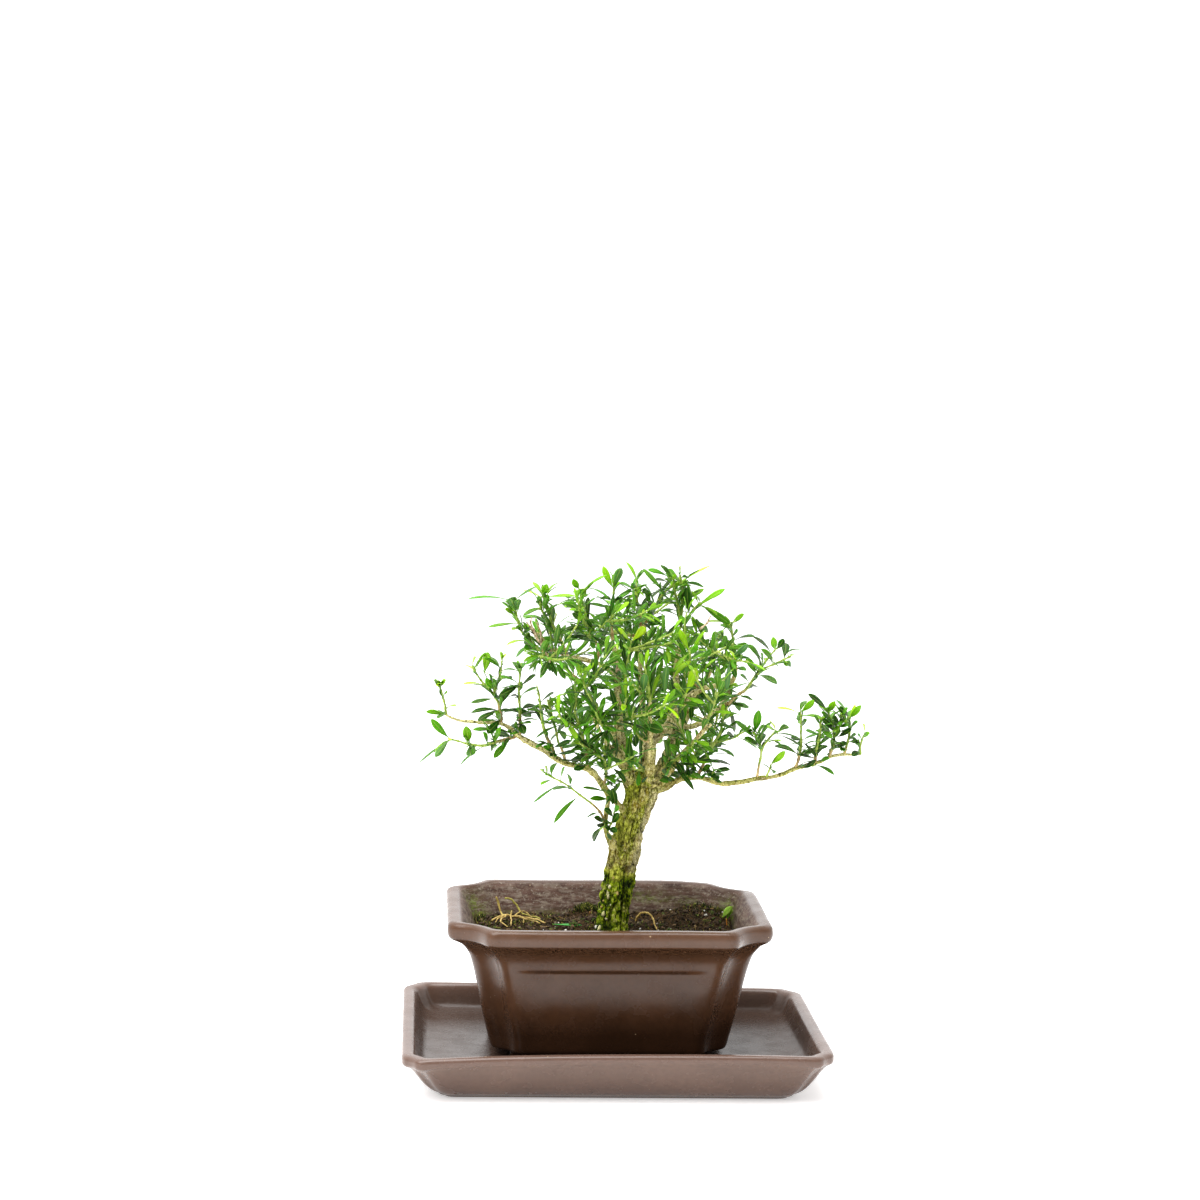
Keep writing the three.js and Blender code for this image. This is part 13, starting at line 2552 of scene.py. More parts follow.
            ([-25.2, -27.6, 213.1], [-9.7, -26.6, 210], [0.19, 0, 0.98], 3, 0.03, "d", [-25.2, -27.6, 213.1]),
            ([-28.1, -27.5, 209], [-24.4, -37.3, 214.1], [-0.11, 0.42, 0.9], 2.5, 0.04, "g", [-28.1, -27.5, 209]),
            ([-28.1, -27.5, 209], [-23.7, -19, 215], [-0.06, -0.56, 0.83], 2.8, 0.03, "g", [-28.1, -27.5, 209]),
            ([-31.9, -27.2, 204.8], [-18.1, -26.1, 204.6], [0.01, -0.04, 1], 3, 0.04, "d", [-31.9, -27.2, 204.8]),
            ([-31.9, -27.2, 204.8], [-30, -31.9, 219.8], [0.26, 0.93, 0.26], 3, 0.02, "d", [-31.9, -27.2, 204.8]),
            ([-37, -15.4, 203.4], [-41.9, -17.3, 208.9], [0.49, 0.59, 0.64], 1.6, 0.11, "y", [-36.4, -15.2, 202.8]),
            ([-48, -11.3, 216.5], [-47.2, -20.2, 217.9], [-0.65, 0.06, 0.76], 2, 0.1, "g", [-48, -10.4, 216.4]),
            ([-46.3, -10.2, 213.4], [-48.4, -17.7, 218.4], [0.82, 0.14, 0.56], 2.4, 0.06, "y", [-46.1, -9.5, 213]),
            ([-37.6, -18.4, 202.1], [-43.5, -21.7, 196.8], [-0.2, -0.72, 0.66], 1.6, 0.06, "g", [-37, -18.1, 202.7]),
            ([-33.6, -6.7, 204.3], [-34.1, -19.9, 202.1], [0.65, -0.15, 0.74], 1.9, 0.08, "g", [-33.5, -5.8, 204.4]),
            ([-42.2, -8.7, 208.5], [-44.6, -14.1, 211.9], [-0.26, 0.6, 0.75], 1.7, 0.09, "d", [-41.9, -8, 208]),
            ([-39.2, -6.4, 205.7], [-42.6, -1.2, 209.5], [0.88, 0.4, 0.24], 1.8, 0.06, "d", [-38.8, -7.1, 205.3]),
            ([-49.8, -12.5, 222], [-51.8, -20.1, 224.6], [0.56, 0.13, 0.82], 1.9, 0.08, "y", [-49.5, -11.7, 221.7]),
            ([-28.5, -27.8, 207.5], [-21.9, -31.6, 206], [0.09, -0.23, 0.97], 2.1, 0.07, "g", [-29.2, -27.4, 207.7]),
            ([-49.3, -10.8, 219.6], [-54.5, -7.9, 228.5], [0.87, 0.03, 0.49], 2.1, 0.08, "y", [-48.9, -11, 218.9]),
            ([-22, -27.2, 217.7], [-18.9, -20.8, 218.4], [0.86, -0.44, 0.27], 1.5, 0.06, "g", [-22.3, -28, 217.6]),
            ([-29.7, -32.6, 202.8], [-29, -46.2, 200.8], [0.11, -0.14, 0.98], 1.9, 0.04, "g", [-29.7, -31.8, 203]),
            ([-37.3, -24.6, 203.1], [-35.5, -38.1, 203.9], [0.99, 0.14, 0.07], 1.9, 0.04, "g", [-37.5, -23.7, 203.1]),
            ([-38.4, -22, 203.1], [-44.7, -26.2, 205.2], [-0.05, -0.38, -0.92], 1.7, 0.04, "y", [-37.6, -21.5, 202.9]),
            ([-44.1, -9.4, 210.6], [-46.7, -15.5, 213.5], [-0.57, 0.54, 0.62], 1.3, 0.06, "g", [-43.8, -8.7, 210.3]),
            ([-39, -24, 203.6], [-46.2, -26.7, 205.9], [0.36, -0.21, 0.91], 1.7, 0.08, "y", [-38.2, -23.7, 203.4]),
            ([-35.6, -10.5, 203], [-42.1, -15.3, 197.9], [-0.42, -0.33, 0.85], 1.8, 0.07, "g", [-34.9, -10.1, 203.5]),
            ([-36.1, -6.6, 203.6], [-38.1, -8.4, 197.5], [-0.78, 0.62, 0.07], 1.5, 0.11, "d", [-35.8, -6.3, 204.5]),
            ([-32, -26.7, 203.8], [-27, -22.8, 201.5], [-0.22, 0.69, 0.69], 2, 0.1, "d", [-32.7, -27.2, 204.1]),
            ([-34, -26.7, 202.4], [-25.8, -28.2, 199], [0.35, 0.79, 0.51], 2.4, 0.11, "g", [-34.8, -26.5, 202.7]),
            ([-47.8, -9.7, 215.4], [-52.1, -6.4, 222.6], [0.79, 0.59, 0.2], 1.9, 0.03, "g", [-47.4, -10, 214.7]),
            ([-46.3, -9.3, 213.8], [-47.9, -7.5, 221.7], [0.95, -0.19, 0.24], 1.8, 0.05, "d", [-46.1, -9.5, 213]),
            ([-50.2, -12, 222.3], [-56.5, -15.4, 227.7], [0.45, 0.43, 0.78], 2.2, 0.09, "g", [-49.5, -11.7, 221.7]),
            ([-38, -22.1, 202.4], [-41.8, -29.1, 196.8], [-0.91, 0.41, 0.11], 2.7, 0.05, "g", [-37.6, -21.5, 202.9]),
            ([-44.2, -8.5, 211.1], [-46.7, -6.9, 216.9], [0.41, -0.82, 0.39], 1.3, 0.06, "g", [-43.8, -8.7, 210.3]),
            ([-35.3, -13.2, 203.5], [-31.8, -21.9, 208.2], [-0.87, -0.08, 0.49], 2.1, 0.08, "g", [-35.6, -12.5, 203.1]),
            ([-47.6, -10.9, 214.9], [-50.1, -23.4, 217.4], [0.97, -0.17, 0.15], 2.5, 0.07, "g", [-47.4, -10, 214.7]),
            ([-42.1, -8.8, 208.3], [-45.6, -20.2, 213], [-0.83, 0.41, 0.38], 2.5, 0.1, "g", [-41.9, -8, 208]),
            ([-49.4, -11.4, 222.6], [-48.5, -9.6, 227.5], [0.63, 0.68, -0.36], 1.3, 0.04, "y", [-49.5, -11.7, 221.7]),
            ([-37.2, -24.5, 202.6], [-34.2, -32.8, 197.5], [0.54, -0.29, 0.79], 2.3, 0.06, "d", [-37.5, -23.7, 203.1]),
            ([-46.6, -8.9, 213.5], [-53.1, -0.8, 221.2], [0.75, -0.03, 0.66], 1.8, 0.07, "g", [-46.1, -9.5, 213]),
            ([-27.3, -34.1, 204.4], [-24.8, -36.8, 212.1], [-0.9, -0.42, 0.14], 1.8, 0.06, "y", [-27.5, -33.8, 203.6]),
            ([-41.9, -8.9, 207.9], [-41.7, -19.3, 207.1], [0.25, -0.08, 0.96], 2.7, 0.1, "g", [-41.9, -8, 208]),
            ([-24.6, -28.5, 214.3], [-25.8, -41.7, 216.3], [-0.44, 0.18, 0.88], 2.2, 0.1, "y", [-24.5, -27.6, 214.1]),
            ([-32.8, -27.6, 204.9], [-34.3, -32, 212.9], [0.71, 0.55, 0.43], 1.8, 0.08, "d", [-32.7, -27.2, 204.1]),
            ([-49.6, -12.3, 221.3], [-51.4, -18.9, 223.2], [-0.47, 0.36, 0.81], 1.6, 0.08, "y", [-49.4, -11.5, 221.1]),
            ([-26.4, -34, 203.5], [-19.4, -33.9, 202.6], [0.13, -0.24, 0.96], 2.1, 0.07, "g", [-27.3, -34, 203.6]),
            ([-33.4, -6.5, 204.1], [-36.4, -14.5, 201.4], [-0.17, -0.26, 0.95], 2.8, 0.1, "d", [-33.1, -5.7, 204.4]),
            ([-47.5, -9.4, 214.9], [-50.6, -3.8, 222.6], [0.9, -0.08, 0.43], 1.8, 0.05, "g", [-47.2, -9.9, 214.3]),
            ([-32.7, -28.1, 202.8], [-23, -29.6, 203.5], [0, 0.37, 0.93], 2.8, 0.08, "u", [-33.5, -27.9, 202.7]),
            ([-32.6, -30.1, 202.9], [-35.6, -35.6, 203.5], [0.5, -0.18, 0.84], 1.3, 0.09, "y", [-32.2, -29.3, 202.8]),
            ([-28.6, -3.8, 204.3], [-27.5, 2.5, 207.6], [-0.87, -0.1, 0.49], 2.3, 0.13, "d", [-28.8, -4.6, 203.9]),
            ([-42, -8.4, 208.6], [-43.5, -11.6, 213.5], [-0.7, 0.68, 0.22], 1.7, 0.08, "y", [-41.7, -8, 207.9]),
            ([-35.6, -25.7, 202.2], [-32.6, -29.5, 196.5], [0.57, -0.5, 0.65], 1.6, 0.04, "d", [-36, -25.2, 202.8]),
            ([-43.6, -9.4, 210.4], [-43.9, -15.8, 213.9], [-0.55, 0.42, 0.73], 2.1, 0.1, "y", [-43.6, -8.6, 210]),
            ([-36.1, -13.6, 202.5], [-40.4, -22.1, 195.5], [-0.92, 0.17, 0.35], 1.7, 0.12, "d", [-35.8, -13, 203]),
            ([-33.9, -9, 203.2], [-29.7, -11, 199.7], [0.6, -0.14, 0.79], 1.4, 0.11, "g", [-34.6, -8.6, 203.8]),
            ([-34.4, -6.9, 204.5], [-34.9, -18.1, 205.3], [0.28, 0.06, 0.96], 2.6, 0.13, "d", [-34.3, -6, 204.4]),
            ([-38.5, -21.5, 203.1], [-44.9, -21.6, 204.6], [0.21, 0.26, 0.94], 1.3, 0.04, "y", [-37.6, -21.5, 202.9]),
            ([-29.2, -5.6, 204.7], [-29.4, -11.5, 207.2], [0.6, 0.3, 0.75], 1.4, 0.13, "u", [-29.2, -4.8, 204.4]),
            ([-37.9, -23.9, 202.8], [-37.2, -29.7, 199.3], [-0.95, -0.25, 0.21], 2.1, 0.07, "y", [-38, -23.2, 203.3]),
            ([-46.4, -9, 213.5], [-50.3, -4.2, 220.7], [0.51, -0.56, 0.65], 2, 0.08, "y", [-46, -9.5, 212.8]),
            ([-32.1, -28, 204], [-29.2, -33.6, 201.8], [0.9, 0.43, 0.07], 1.7, 0.05, "d", [-32.5, -27.2, 204.3]),
            ([-38.1, -20.2, 203], [-46.2, -23, 206.5], [0.29, 0.28, 0.91], 2.7, 0.06, "y", [-37.3, -19.9, 202.7]),
            ([-37.3, -17.1, 202.6], [-46.3, -26.2, 201.2], [0.22, -0.36, 0.91], 2.5, 0.1, "y", [-36.7, -16.5, 202.7]),
            ([-26.5, -28.1, 210.5], [-20.3, -34, 213.2], [0.05, 0.46, 0.89], 2.2, 0.07, "g", [-27.1, -27.5, 210.3]),
            ([-50.1, -12.3, 222.4], [-56.9, -20.7, 228.7], [-0.15, 0.67, 0.73], 1.5, 0.1, "g", [-49.6, -11.7, 221.9]),
            ([-44.9, -9.7, 211.9], [-46.6, -17.7, 219.2], [0.48, 0.53, 0.7], 2.2, 0.1, "y", [-44.8, -9, 211.3]),
            ([-28.3, -26.9, 209.1], [-25.1, -21.4, 216.7], [-0.92, 0, 0.39], 2, 0.04, "g", [-28.6, -27.4, 208.4]),
            ([-47.2, -10.8, 214.3], [-47.2, -16.9, 214.3], [0.67, 0, 0.74], 1.4, 0.05, "g", [-47.2, -9.9, 214.3]),
            ([-33.3, -28.7, 202.4], [-30.8, -38.6, 197.8], [0.81, -0.07, 0.58], 1.6, 0.04, "g", [-33.5, -27.9, 202.7]),
           ]),
    "c2": ("shoot_30",
           [[[-24.6, -5.2, 201.5], [-26.9, -5, 206.8], [-29.3, -4.8, 211.1], [-31.8, -4.6, 216.4], [-34.3, -4.3, 222.6], [-35.8, -4.1, 227.3], [-36.8, -4, 230.2]],
            [[-28.9, -4.8, 210.4], [-31.7, -4.8, 209.2], [-33.7, -6.2, 214.1], [-35.3, -7.6, 219], [-37.4, -9, 224], [-38.4, -10, 227.4]]],
           [
            ([-36.8, -4, 230.2], [-41.4, 5, 236], [0.25, -0.43, 0.87], 2.9, 0.07, "y", [-36.8, -4, 230.2]),
            ([-36.8, -4, 230.2], [-35.3, -12.4, 236.8], [-0.3, -0.62, -0.72], 3.7, 0.1, "y", [-36.8, -4, 230.2]),
            ([-34.9, -4, 230.2], [-29.4, 3.9, 235.8], [-0.56, -0.17, 0.81], 3.1, 0.09, "y", [-36.6, -4, 229.5]),
            ([-37.2, -4.2, 225.4], [-39.5, -13.2, 229.2], [-0.32, 0.44, 0.84], 3.3, 0.05, "u", [-35.3, -4.2, 225.7]),
            ([-35.4, -4, 229.7], [-21.5, -3.9, 230.4], [-0.04, -0.5, 0.87], 2.8, 0.02, "y", [-36.5, -4, 229.2]),
            ([-37.8, -4, 229.7], [-46.2, 2.3, 232.3], [0.14, -0.21, 0.97], 2.9, 0.03, "p", [-36.8, -4, 230.2]),
            ([-35.3, -4.2, 225.4], [-46.4, -10, 221.1], [-0.08, -0.5, 0.86], 3.1, 0.08, "g", [-35.2, -4.2, 225.1]),
            ([-33.8, -4.3, 222.1], [-36.4, 4.7, 224.9], [0.4, -0.17, 0.9], 3.4, 0.06, "g", [-34, -4.3, 221.8]),
            ([-35.8, -7.8, 219.5], [-46.6, -0.7, 219.6], [-0.22, -0.34, 0.91], 3.2, 0.05, "g", [-35.6, -7.8, 219.7]),
            ([-34.3, -6.6, 215.6], [-38.3, -15.6, 211.8], [-0.46, -0.16, 0.87], 3.3, 0.03, "g", [-34.2, -6.6, 215.3]),
            ([-33.1, -4.4, 219.5], [-36.3, -10.4, 227.7], [0.13, 0.78, 0.61], 2.6, 0.03, "y", [-33.1, -4.4, 219.5]),
            ([-30.3, -4.7, 213], [-40, -0.3, 219.7], [0.33, -0.5, 0.8], 3, 0.07, "u", [-30.3, -4.7, 213]),
            ([-27.5, -4.9, 207.9], [-36.5, -11.2, 217.2], [0.33, 0.6, 0.73], 2.6, 0.07, "g", [-27.5, -4.9, 207.9]),
            ([-27.5, -4.9, 207.9], [-25.5, 4.1, 215.6], [-0.44, -0.52, 0.73], 2.5, 0.02, "g", [-27.5, -4.9, 207.9]),
            ([-38.4, -10, 227.4], [-35.2, -13.9, 235], [-0.8, 0.33, 0.51], 2.3, 0.06, "y", [-38.4, -10, 227.4]),
            ([-38.4, -10, 227.4], [-43.8, -11.1, 234.4], [0.78, 0.08, 0.62], 2.5, 0.04, "y", [-38.4, -10, 227.4]),
            ([-36.9, -8.7, 222.9], [-38.8, 0.8, 229.8], [-0.12, -0.6, 0.79], 2.8, 0.03, "g", [-36.9, -8.7, 222.9]),
            ([-36.9, -8.7, 222.9], [-35.9, -20.5, 231.4], [0.05, 0.59, 0.81], 2.7, 0.06, "g", [-36.9, -8.7, 222.9]),
            ([-33.3, -5.8, 212.7], [-37.1, -17.7, 222.8], [0.25, 0.58, 0.78], 2.8, 0.08, "d", [-33.3, -5.8, 212.7]),
            ([-33.3, -5.8, 212.7], [-32.3, 3.5, 225], [-0.09, -0.79, 0.61], 3.1, 0.08, "d", [-33.3, -5.8, 212.7]),
            ([-31.1, -3.8, 215.2], [-31.6, 2.4, 218.2], [-0.95, -0.19, 0.24], 1.9, 0.11, "d", [-31.1, -4.6, 214.8]),
            ([-31.8, -5.4, 216.4], [-32.4, -13, 218.9], [0.95, 0.03, 0.32], 2.2, 0.03, "d", [-31.7, -4.6, 216.1]),
            ([-33.7, -4.1, 219], [-45.8, 0.5, 218.5], [0.08, 0.31, 0.95], 2.3, 0.06, "y", [-32.9, -4.4, 219.1]),
            ([-36, -4.7, 227.6], [-39.4, -10, 234], [0.76, 0.25, 0.6], 1.9, 0.04, "y", [-35.7, -4.1, 226.9]),
            ([-29.2, -5.7, 210.3], [-32, -12.9, 210.6], [0.44, -0.14, 0.89], 2.1, 0.07, "d", [-28.9, -4.8, 210.3]),
            ([-27.9, -4.8, 207.5], [-36.8, -3.4, 210.1], [0.05, -0.8, 0.6], 2.7, 0.07, "g", [-27.1, -5, 207.2]),
            ([-36, -9, 221.2], [-34.7, -19.7, 225.4], [-0.39, 0.3, 0.87], 2.9, 0.04, "g", [-36.1, -8.1, 220.8]),
            ([-29.5, -5.6, 211.6], [-29.7, -12.1, 213], [0.98, 0.01, 0.18], 1.9, 0.1, "u", [-29.5, -4.8, 211.4]),
            ([-36.3, -3.3, 229.1], [-36.7, 3.5, 232.6], [0.95, 0.18, -0.26], 1.8, 0.08, "y", [-36.3, -4.1, 228.7]),
            ([-26.2, -4.6, 203.5], [-32.8, -0.6, 205], [0.38, 0.29, 0.88], 1.9, 0.05, "d", [-25.4, -5.1, 203.4]),
            ([-34.9, -4.7, 225.2], [-34.7, -8.7, 231.4], [0.29, 0.81, 0.51], 2, 0.06, "y", [-34.9, -4.2, 224.4]),
            ([-33.6, -5, 222.4], [-27.3, -13.3, 227.9], [-0.61, 0.06, 0.79], 1.9, 0.08, "y", [-34.1, -4.3, 222]),
            ([-27.3, -5.8, 207.5], [-29.1, -12.3, 209.2], [0.13, 0.22, 0.97], 2, 0.06, "g", [-27.1, -5, 207.2]),
            ([-29.3, -5.6, 211.8], [-26.6, -16.7, 216], [0.67, 0.4, 0.62], 2.2, 0.1, "g", [-29.5, -4.8, 211.4]),
            ([-35.7, -3.6, 229.2], [-30.4, 0.4, 234.2], [-0.68, 0, 0.73], 2.1, 0.07, "g", [-36.3, -4.1, 228.7]),
            ([-30.5, -5.6, 209.4], [-31.8, -12.4, 206.9], [0.89, -0.3, 0.33], 1.5, 0.07, "g", [-30.3, -4.8, 209.7]),
            ([-25.9, -5.8, 203.3], [-32.4, -15.1, 202.9], [-0.59, 0.39, 0.71], 2.9, 0.04, "d", [-25.4, -5.1, 203.4]),
            ([-35.4, -6.8, 218.8], [-37.7, -2.8, 222.9], [0.93, 0.27, 0.25], 1.8, 0.05, "g", [-35.1, -7.4, 218.2]),
            ([-34, -5.2, 221], [-36.2, -12, 221.3], [0.5, -0.14, 0.85], 1.8, 0.09, "u", [-33.7, -4.4, 221]),
            ([-27.7, -4, 208.4], [-28.1, 5.6, 210.1], [0.21, -0.16, 0.96], 2.1, 0.12, "g", [-27.7, -4.9, 208.3]),
            ([-35.4, -8, 218.8], [-37.9, -12, 222.1], [-0.75, 0.62, 0.21], 1.2, 0.07, "u", [-35.1, -7.4, 218.2]),
            ([-35.5, -8.6, 220.9], [-30.5, -17.2, 227.8], [-0.24, 0.52, 0.82], 1.9, 0.06, "g", [-35.9, -8, 220.4]),
            ([-31.2, -3.8, 214.4], [-33.3, 2.6, 215.1], [0.2, -0.03, 0.98], 1.1, 0.1, "y", [-30.9, -4.6, 214.4]),
            ([-37.7, -10.4, 227.3], [-32.6, -14.8, 229.9], [0.06, 0.55, 0.83], 1.2, 0.13, "y", [-38.3, -9.9, 227]),
            ([-36.7, -4.5, 230.5], [-37, -8.8, 236.5], [-0.64, 0.64, 0.42], 1.3, 0.12, "g", [-36.7, -4, 229.8]),
            ([-28.5, -4.1, 210.4], [-27.7, 0.8, 214.4], [0.57, -0.57, 0.59], 1.4, 0.1, "g", [-28.6, -4.8, 209.9]),
            ([-35.9, -4.8, 227.8], [-36.4, -10.7, 232], [0.38, 0.52, 0.76], 1.8, 0.1, "g", [-35.8, -4.1, 227.3]),
            ([-35, -4.8, 226.7], [-31.8, -9.4, 229.4], [-0.09, 0.47, 0.88], 1.1, 0.1, "g", [-35.5, -4.2, 226.3]),
            ([-37.3, -9.7, 223.6], [-39.2, -20.9, 226.3], [-0.59, 0.29, 0.76], 2.8, 0.05, "p", [-37.1, -8.9, 223.4]),
            ([-27.4, -5.7, 207.2], [-31.4, -13.1, 209], [0.74, -0.25, 0.62], 1.8, 0.1, "g", [-27, -5, 207]),
            ([-32.2, -6.1, 210.4], [-32.4, -17.7, 211.1], [0.52, 0.04, 0.85], 2.7, 0.11, "d", [-32.2, -5.2, 210.4]),
           ]),
    "c3": ("shoot_31",
           [[[-11.3, -7.2, 198.5], [-9.1, -6, 204.8], [-12.1, -6.7, 209.6], [-14.2, -7.5, 215.5], [-16.3, -8.3, 221.3], [-17.8, -9, 226.6], [-18.9, -9.6, 231], [-19.9, -10, 234.4]],
            [[-12.1, -6.7, 209.6], [-13.1, -8.9, 210.5], [-14.3, -10.9, 211.4], [-15.4, -12.9, 212.4], [-16.7, -14.6, 213.7]],
            [[-15.6, -13.2, 212.6], [-13, -17.7, 214.8], [-10.1, -21.8, 217.3], [-7.3, -25.6, 220.4], [-4.5, -29, 224]],
            [[-6.8, -26.2, 221], [-2, -25.4, 221.2], [2.7, -24.1, 221.9], [7.2, -22.8, 223.4], [11.5, -21.5, 225.2]],
            [[-14.4, -15.5, 213.7], [-16.6, -18.7, 217.8], [-18.6, -22.1, 221.9], [-20.1, -25.8, 226], [-21.3, -29.2, 230.4]]],
           [
            ([-20.4, -9.9, 233.9], [-23.3, -18.9, 240], [0.33, -0.6, -0.73], 3.3, 0.07, "y", [-19.8, -9.9, 234]),
            ([-19.4, -9.6, 231], [-18.5, -18.6, 235.3], [-0.39, -0.43, -0.82], 3.3, 0.06, "g", [-18.9, -9.6, 231]),
            ([-19.8, -9.5, 230], [-16.1, -0.5, 231.6], [0.7, -0.39, 0.59], 3.3, 0.09, "g", [-18.8, -9.5, 230.5]),
            ([-18, -9.9, 233.9], [-6.7, -10.4, 241.3], [-0.52, -0.39, 0.76], 2.8, 0.07, "y", [-19.7, -9.9, 233.6]),
            ([-16.6, -9.9, 234.9], [-6.5, -18.9, 231.2], [0.2, -0.18, 0.96], 3.1, 0.1, "g", [-19.8, -9.9, 234]),
            ([-17.3, -8.9, 226.2], [-27.2, -14.9, 226.2], [0.25, -0.41, 0.88], 2.8, 0.09, "y", [-17.7, -8.9, 226]),
            ([-17.3, -8.6, 223.2], [-22.5, -17.6, 226.1], [0.83, -0.35, 0.44], 3.4, 0.08, "g", [-16.9, -8.6, 223.4]),
            ([-18.4, -9.2, 228.1], [-28.5, -1, 226.6], [-0.3, -0.2, 0.93], 3.2, 0.09, "g", [-18.3, -9.2, 228.4]),
            ([-17.4, -9.1, 227.6], [-5.8, -0.4, 224.9], [0.44, -0.33, 0.83], 3.2, 0.04, "g", [-18, -9.1, 227.2]),
            ([-14.7, -7.7, 216.9], [-22.1, -15.8, 224.1], [0.06, 0.62, 0.78], 2.8, 0.07, "d", [-14.7, -7.7, 216.9]),
            ([-14.7, -7.7, 216.9], [-15.1, -2.6, 229.8], [-0.41, -0.85, 0.32], 2.9, 0.1, "d", [-14.7, -7.7, 216.9]),
            ([-12.7, -6.9, 211], [-1.9, -9.4, 222.9], [-0.73, 0.09, 0.68], 3, 0.02, "d", [-12.7, -6.9, 211]),
            ([-12.7, -6.9, 211], [-25, -5.9, 210.5], [-0.09, -0.64, 0.77], 2.9, 0.04, "d", [-12.7, -6.9, 211]),
            ([-9.5, -6, 206.1], [-4.7, 3.5, 215.6], [-0.21, -0.63, 0.74], 2.8, 0.06, "d", [-9.5, -6, 206.1]),
            ([-16.7, -14.6, 213.7], [-17.6, -19.5, 221.8], [-0.96, -0.17, -0.22], 2.5, 0.08, "y", [-16.7, -14.6, 213.7]),
            ([-16.7, -14.6, 213.7], [-25.9, -19.5, 216.7], [0.29, 0.04, 0.96], 2.2, 0.03, "y", [-16.7, -14.6, 213.7]),
            ([-13.8, -10.2, 211], [-24.4, -15.4, 218.5], [0.61, -0.7, 0.38], 2.5, 0.01, "g", [-13.8, -10.2, 211]),
            ([-13.8, -10.2, 211], [-12.8, -20.8, 207], [-0.17, -0.36, 0.92], 2.6, 0.07, "g", [-13.8, -10.2, 211]),
            ([-4.5, -29, 224], [2.9, -28.9, 230.5], [-0.41, -0.78, 0.47], 2.5, 0.01, "y", [-4.5, -29, 224]),
            ([-4.5, -29, 224], [-1.6, -37.6, 230.4], [-0.06, 0.58, 0.81], 2.4, 0.07, "y", [-4.5, -29, 224]),
            ([-7.3, -25.6, 220.4], [-4.8, -30.8, 234.6], [0.52, -0.77, -0.37], 2.9, 0.09, "d", [-7.3, -25.6, 220.4]),
            ([-7.3, -25.6, 220.4], [0.4, -37, 212.9], [0.28, -0.38, 0.88], 2.8, 0.09, "d", [-7.3, -25.6, 220.4]),
            ([-9.7, -22.3, 217.7], [-10.2, -36, 224.5], [0.7, 0.3, 0.65], 2.9, 0.01, "u", [-9.7, -22.3, 217.7]),
            ([-9.7, -22.3, 217.7], [4, -20.7, 217.2], [0.07, -0.26, 0.96], 2.9, 0.07, "u", [-9.7, -22.3, 217.7]),
            ([11.5, -21.5, 225.2], [16.7, -12.4, 228.6], [0.55, -0.55, 0.63], 2.2, 0.09, "y", [11.5, -21.5, 225.2]),
            ([11.5, -21.5, 225.2], [19.3, -23.6, 228.9], [-0.06, 0.81, 0.59], 2.2, 0.04, "y", [11.5, -21.5, 225.2]),
            ([6.1, -23.1, 223], [5.2, -15.7, 234.8], [0.73, -0.55, 0.4], 2.8, 0.03, "g", [6.1, -23.1, 223]),
            ([6.1, -23.1, 223], [19.9, -23, 218], [0.33, 0.13, 0.93], 2.6, 0.05, "g", [6.1, -23.1, 223]),
            ([0.4, -24.8, 221.5], [8.1, -35.2, 226.6], [0.61, 0.07, -0.79], 2.8, 0.07, "g", [0.4, -24.8, 221.5]),
            ([0.4, -24.8, 221.5], [7, -12.5, 217.5], [0.57, -0.04, 0.82], 2.9, 0.07, "g", [0.4, -24.8, 221.5]),
            ([-21.3, -29.2, 230.4], [-21.6, -37.1, 236.8], [-0.11, 0.63, 0.77], 2.3, 0.06, "y", [-21.3, -29.2, 230.4]),
            ([-20.1, -25.8, 226], [-18.4, -28.8, 233.9], [-0.53, 0.75, 0.4], 2.2, 0.06, "y", [-20.1, -25.8, 226]),
            ([-20.1, -25.8, 226], [-25.4, -32.9, 226.5], [0.19, -0.07, 0.98], 2.2, 0.09, "y", [-20.1, -25.8, 226]),
            ([-18.8, -22.6, 222.4], [-26.7, -24.7, 232.3], [0.77, -0.29, 0.56], 2.6, 0.02, "g", [-18.8, -22.6, 222.4]),
            ([-18.8, -22.6, 222.4], [-18.4, -36.6, 226.5], [-0.32, 0.25, 0.91], 2.7, 0.09, "g", [-18.8, -22.6, 222.4]),
            ([-16.9, -19.1, 218.3], [-26.6, -25.3, 220.2], [0.18, 0.02, 0.98], 2.9, 0.01, "g", [-16.9, -19.1, 218.3]),
            ([-10.9, -6.3, 200.1], [-10.5, -0.3, 205.4], [0.48, -0.59, 0.64], 2.1, 0.09, "g", [-10.9, -7, 199.5]),
            ([6.3, -22.4, 223.3], [12.3, -11.1, 228.1], [0.49, -0.54, 0.68], 1.9, 0.05, "g", [5.9, -23.2, 223]),
            ([-15.9, -19, 217.3], [-12, -26.3, 218], [-0.37, -0.12, 0.92], 1.9, 0.11, "d", [-16.3, -18.2, 217.3]),
            ([2.3, -24.2, 222.8], [2.8, -23.3, 232.4], [0.45, -0.89, 0.06], 2.8, 0.08, "d", [2.2, -24.3, 221.9]),
            ([-12.7, -19.2, 216], [-16.6, -23.7, 221.4], [0.09, -0.8, -0.6], 2.1, 0.08, "d", [-12.3, -18.7, 215.4]),
            ([-14.9, -15.4, 213.7], [-15.4, -22.3, 217.7], [-0.98, 0.15, 0.14], 2.2, 0.04, "g", [-14.8, -14.6, 213.3]),
            ([-8, -25.4, 219.6], [-6.4, -36.1, 220.3], [-0.97, -0.13, 0.2], 2.8, 0.05, "g", [-8.1, -24.5, 219.5]),
            ([-8.5, -23.1, 219.2], [-4.6, -22.3, 224.5], [-0.8, -0.06, 0.59], 1.4, 0.11, "g", [-9, -23.2, 218.5]),
            ([-20, -10.7, 233.3], [-23, -16.5, 233.4], [-0.17, 0.11, 0.98], 1.7, 0.08, "g", [-19.6, -9.9, 233.3]),
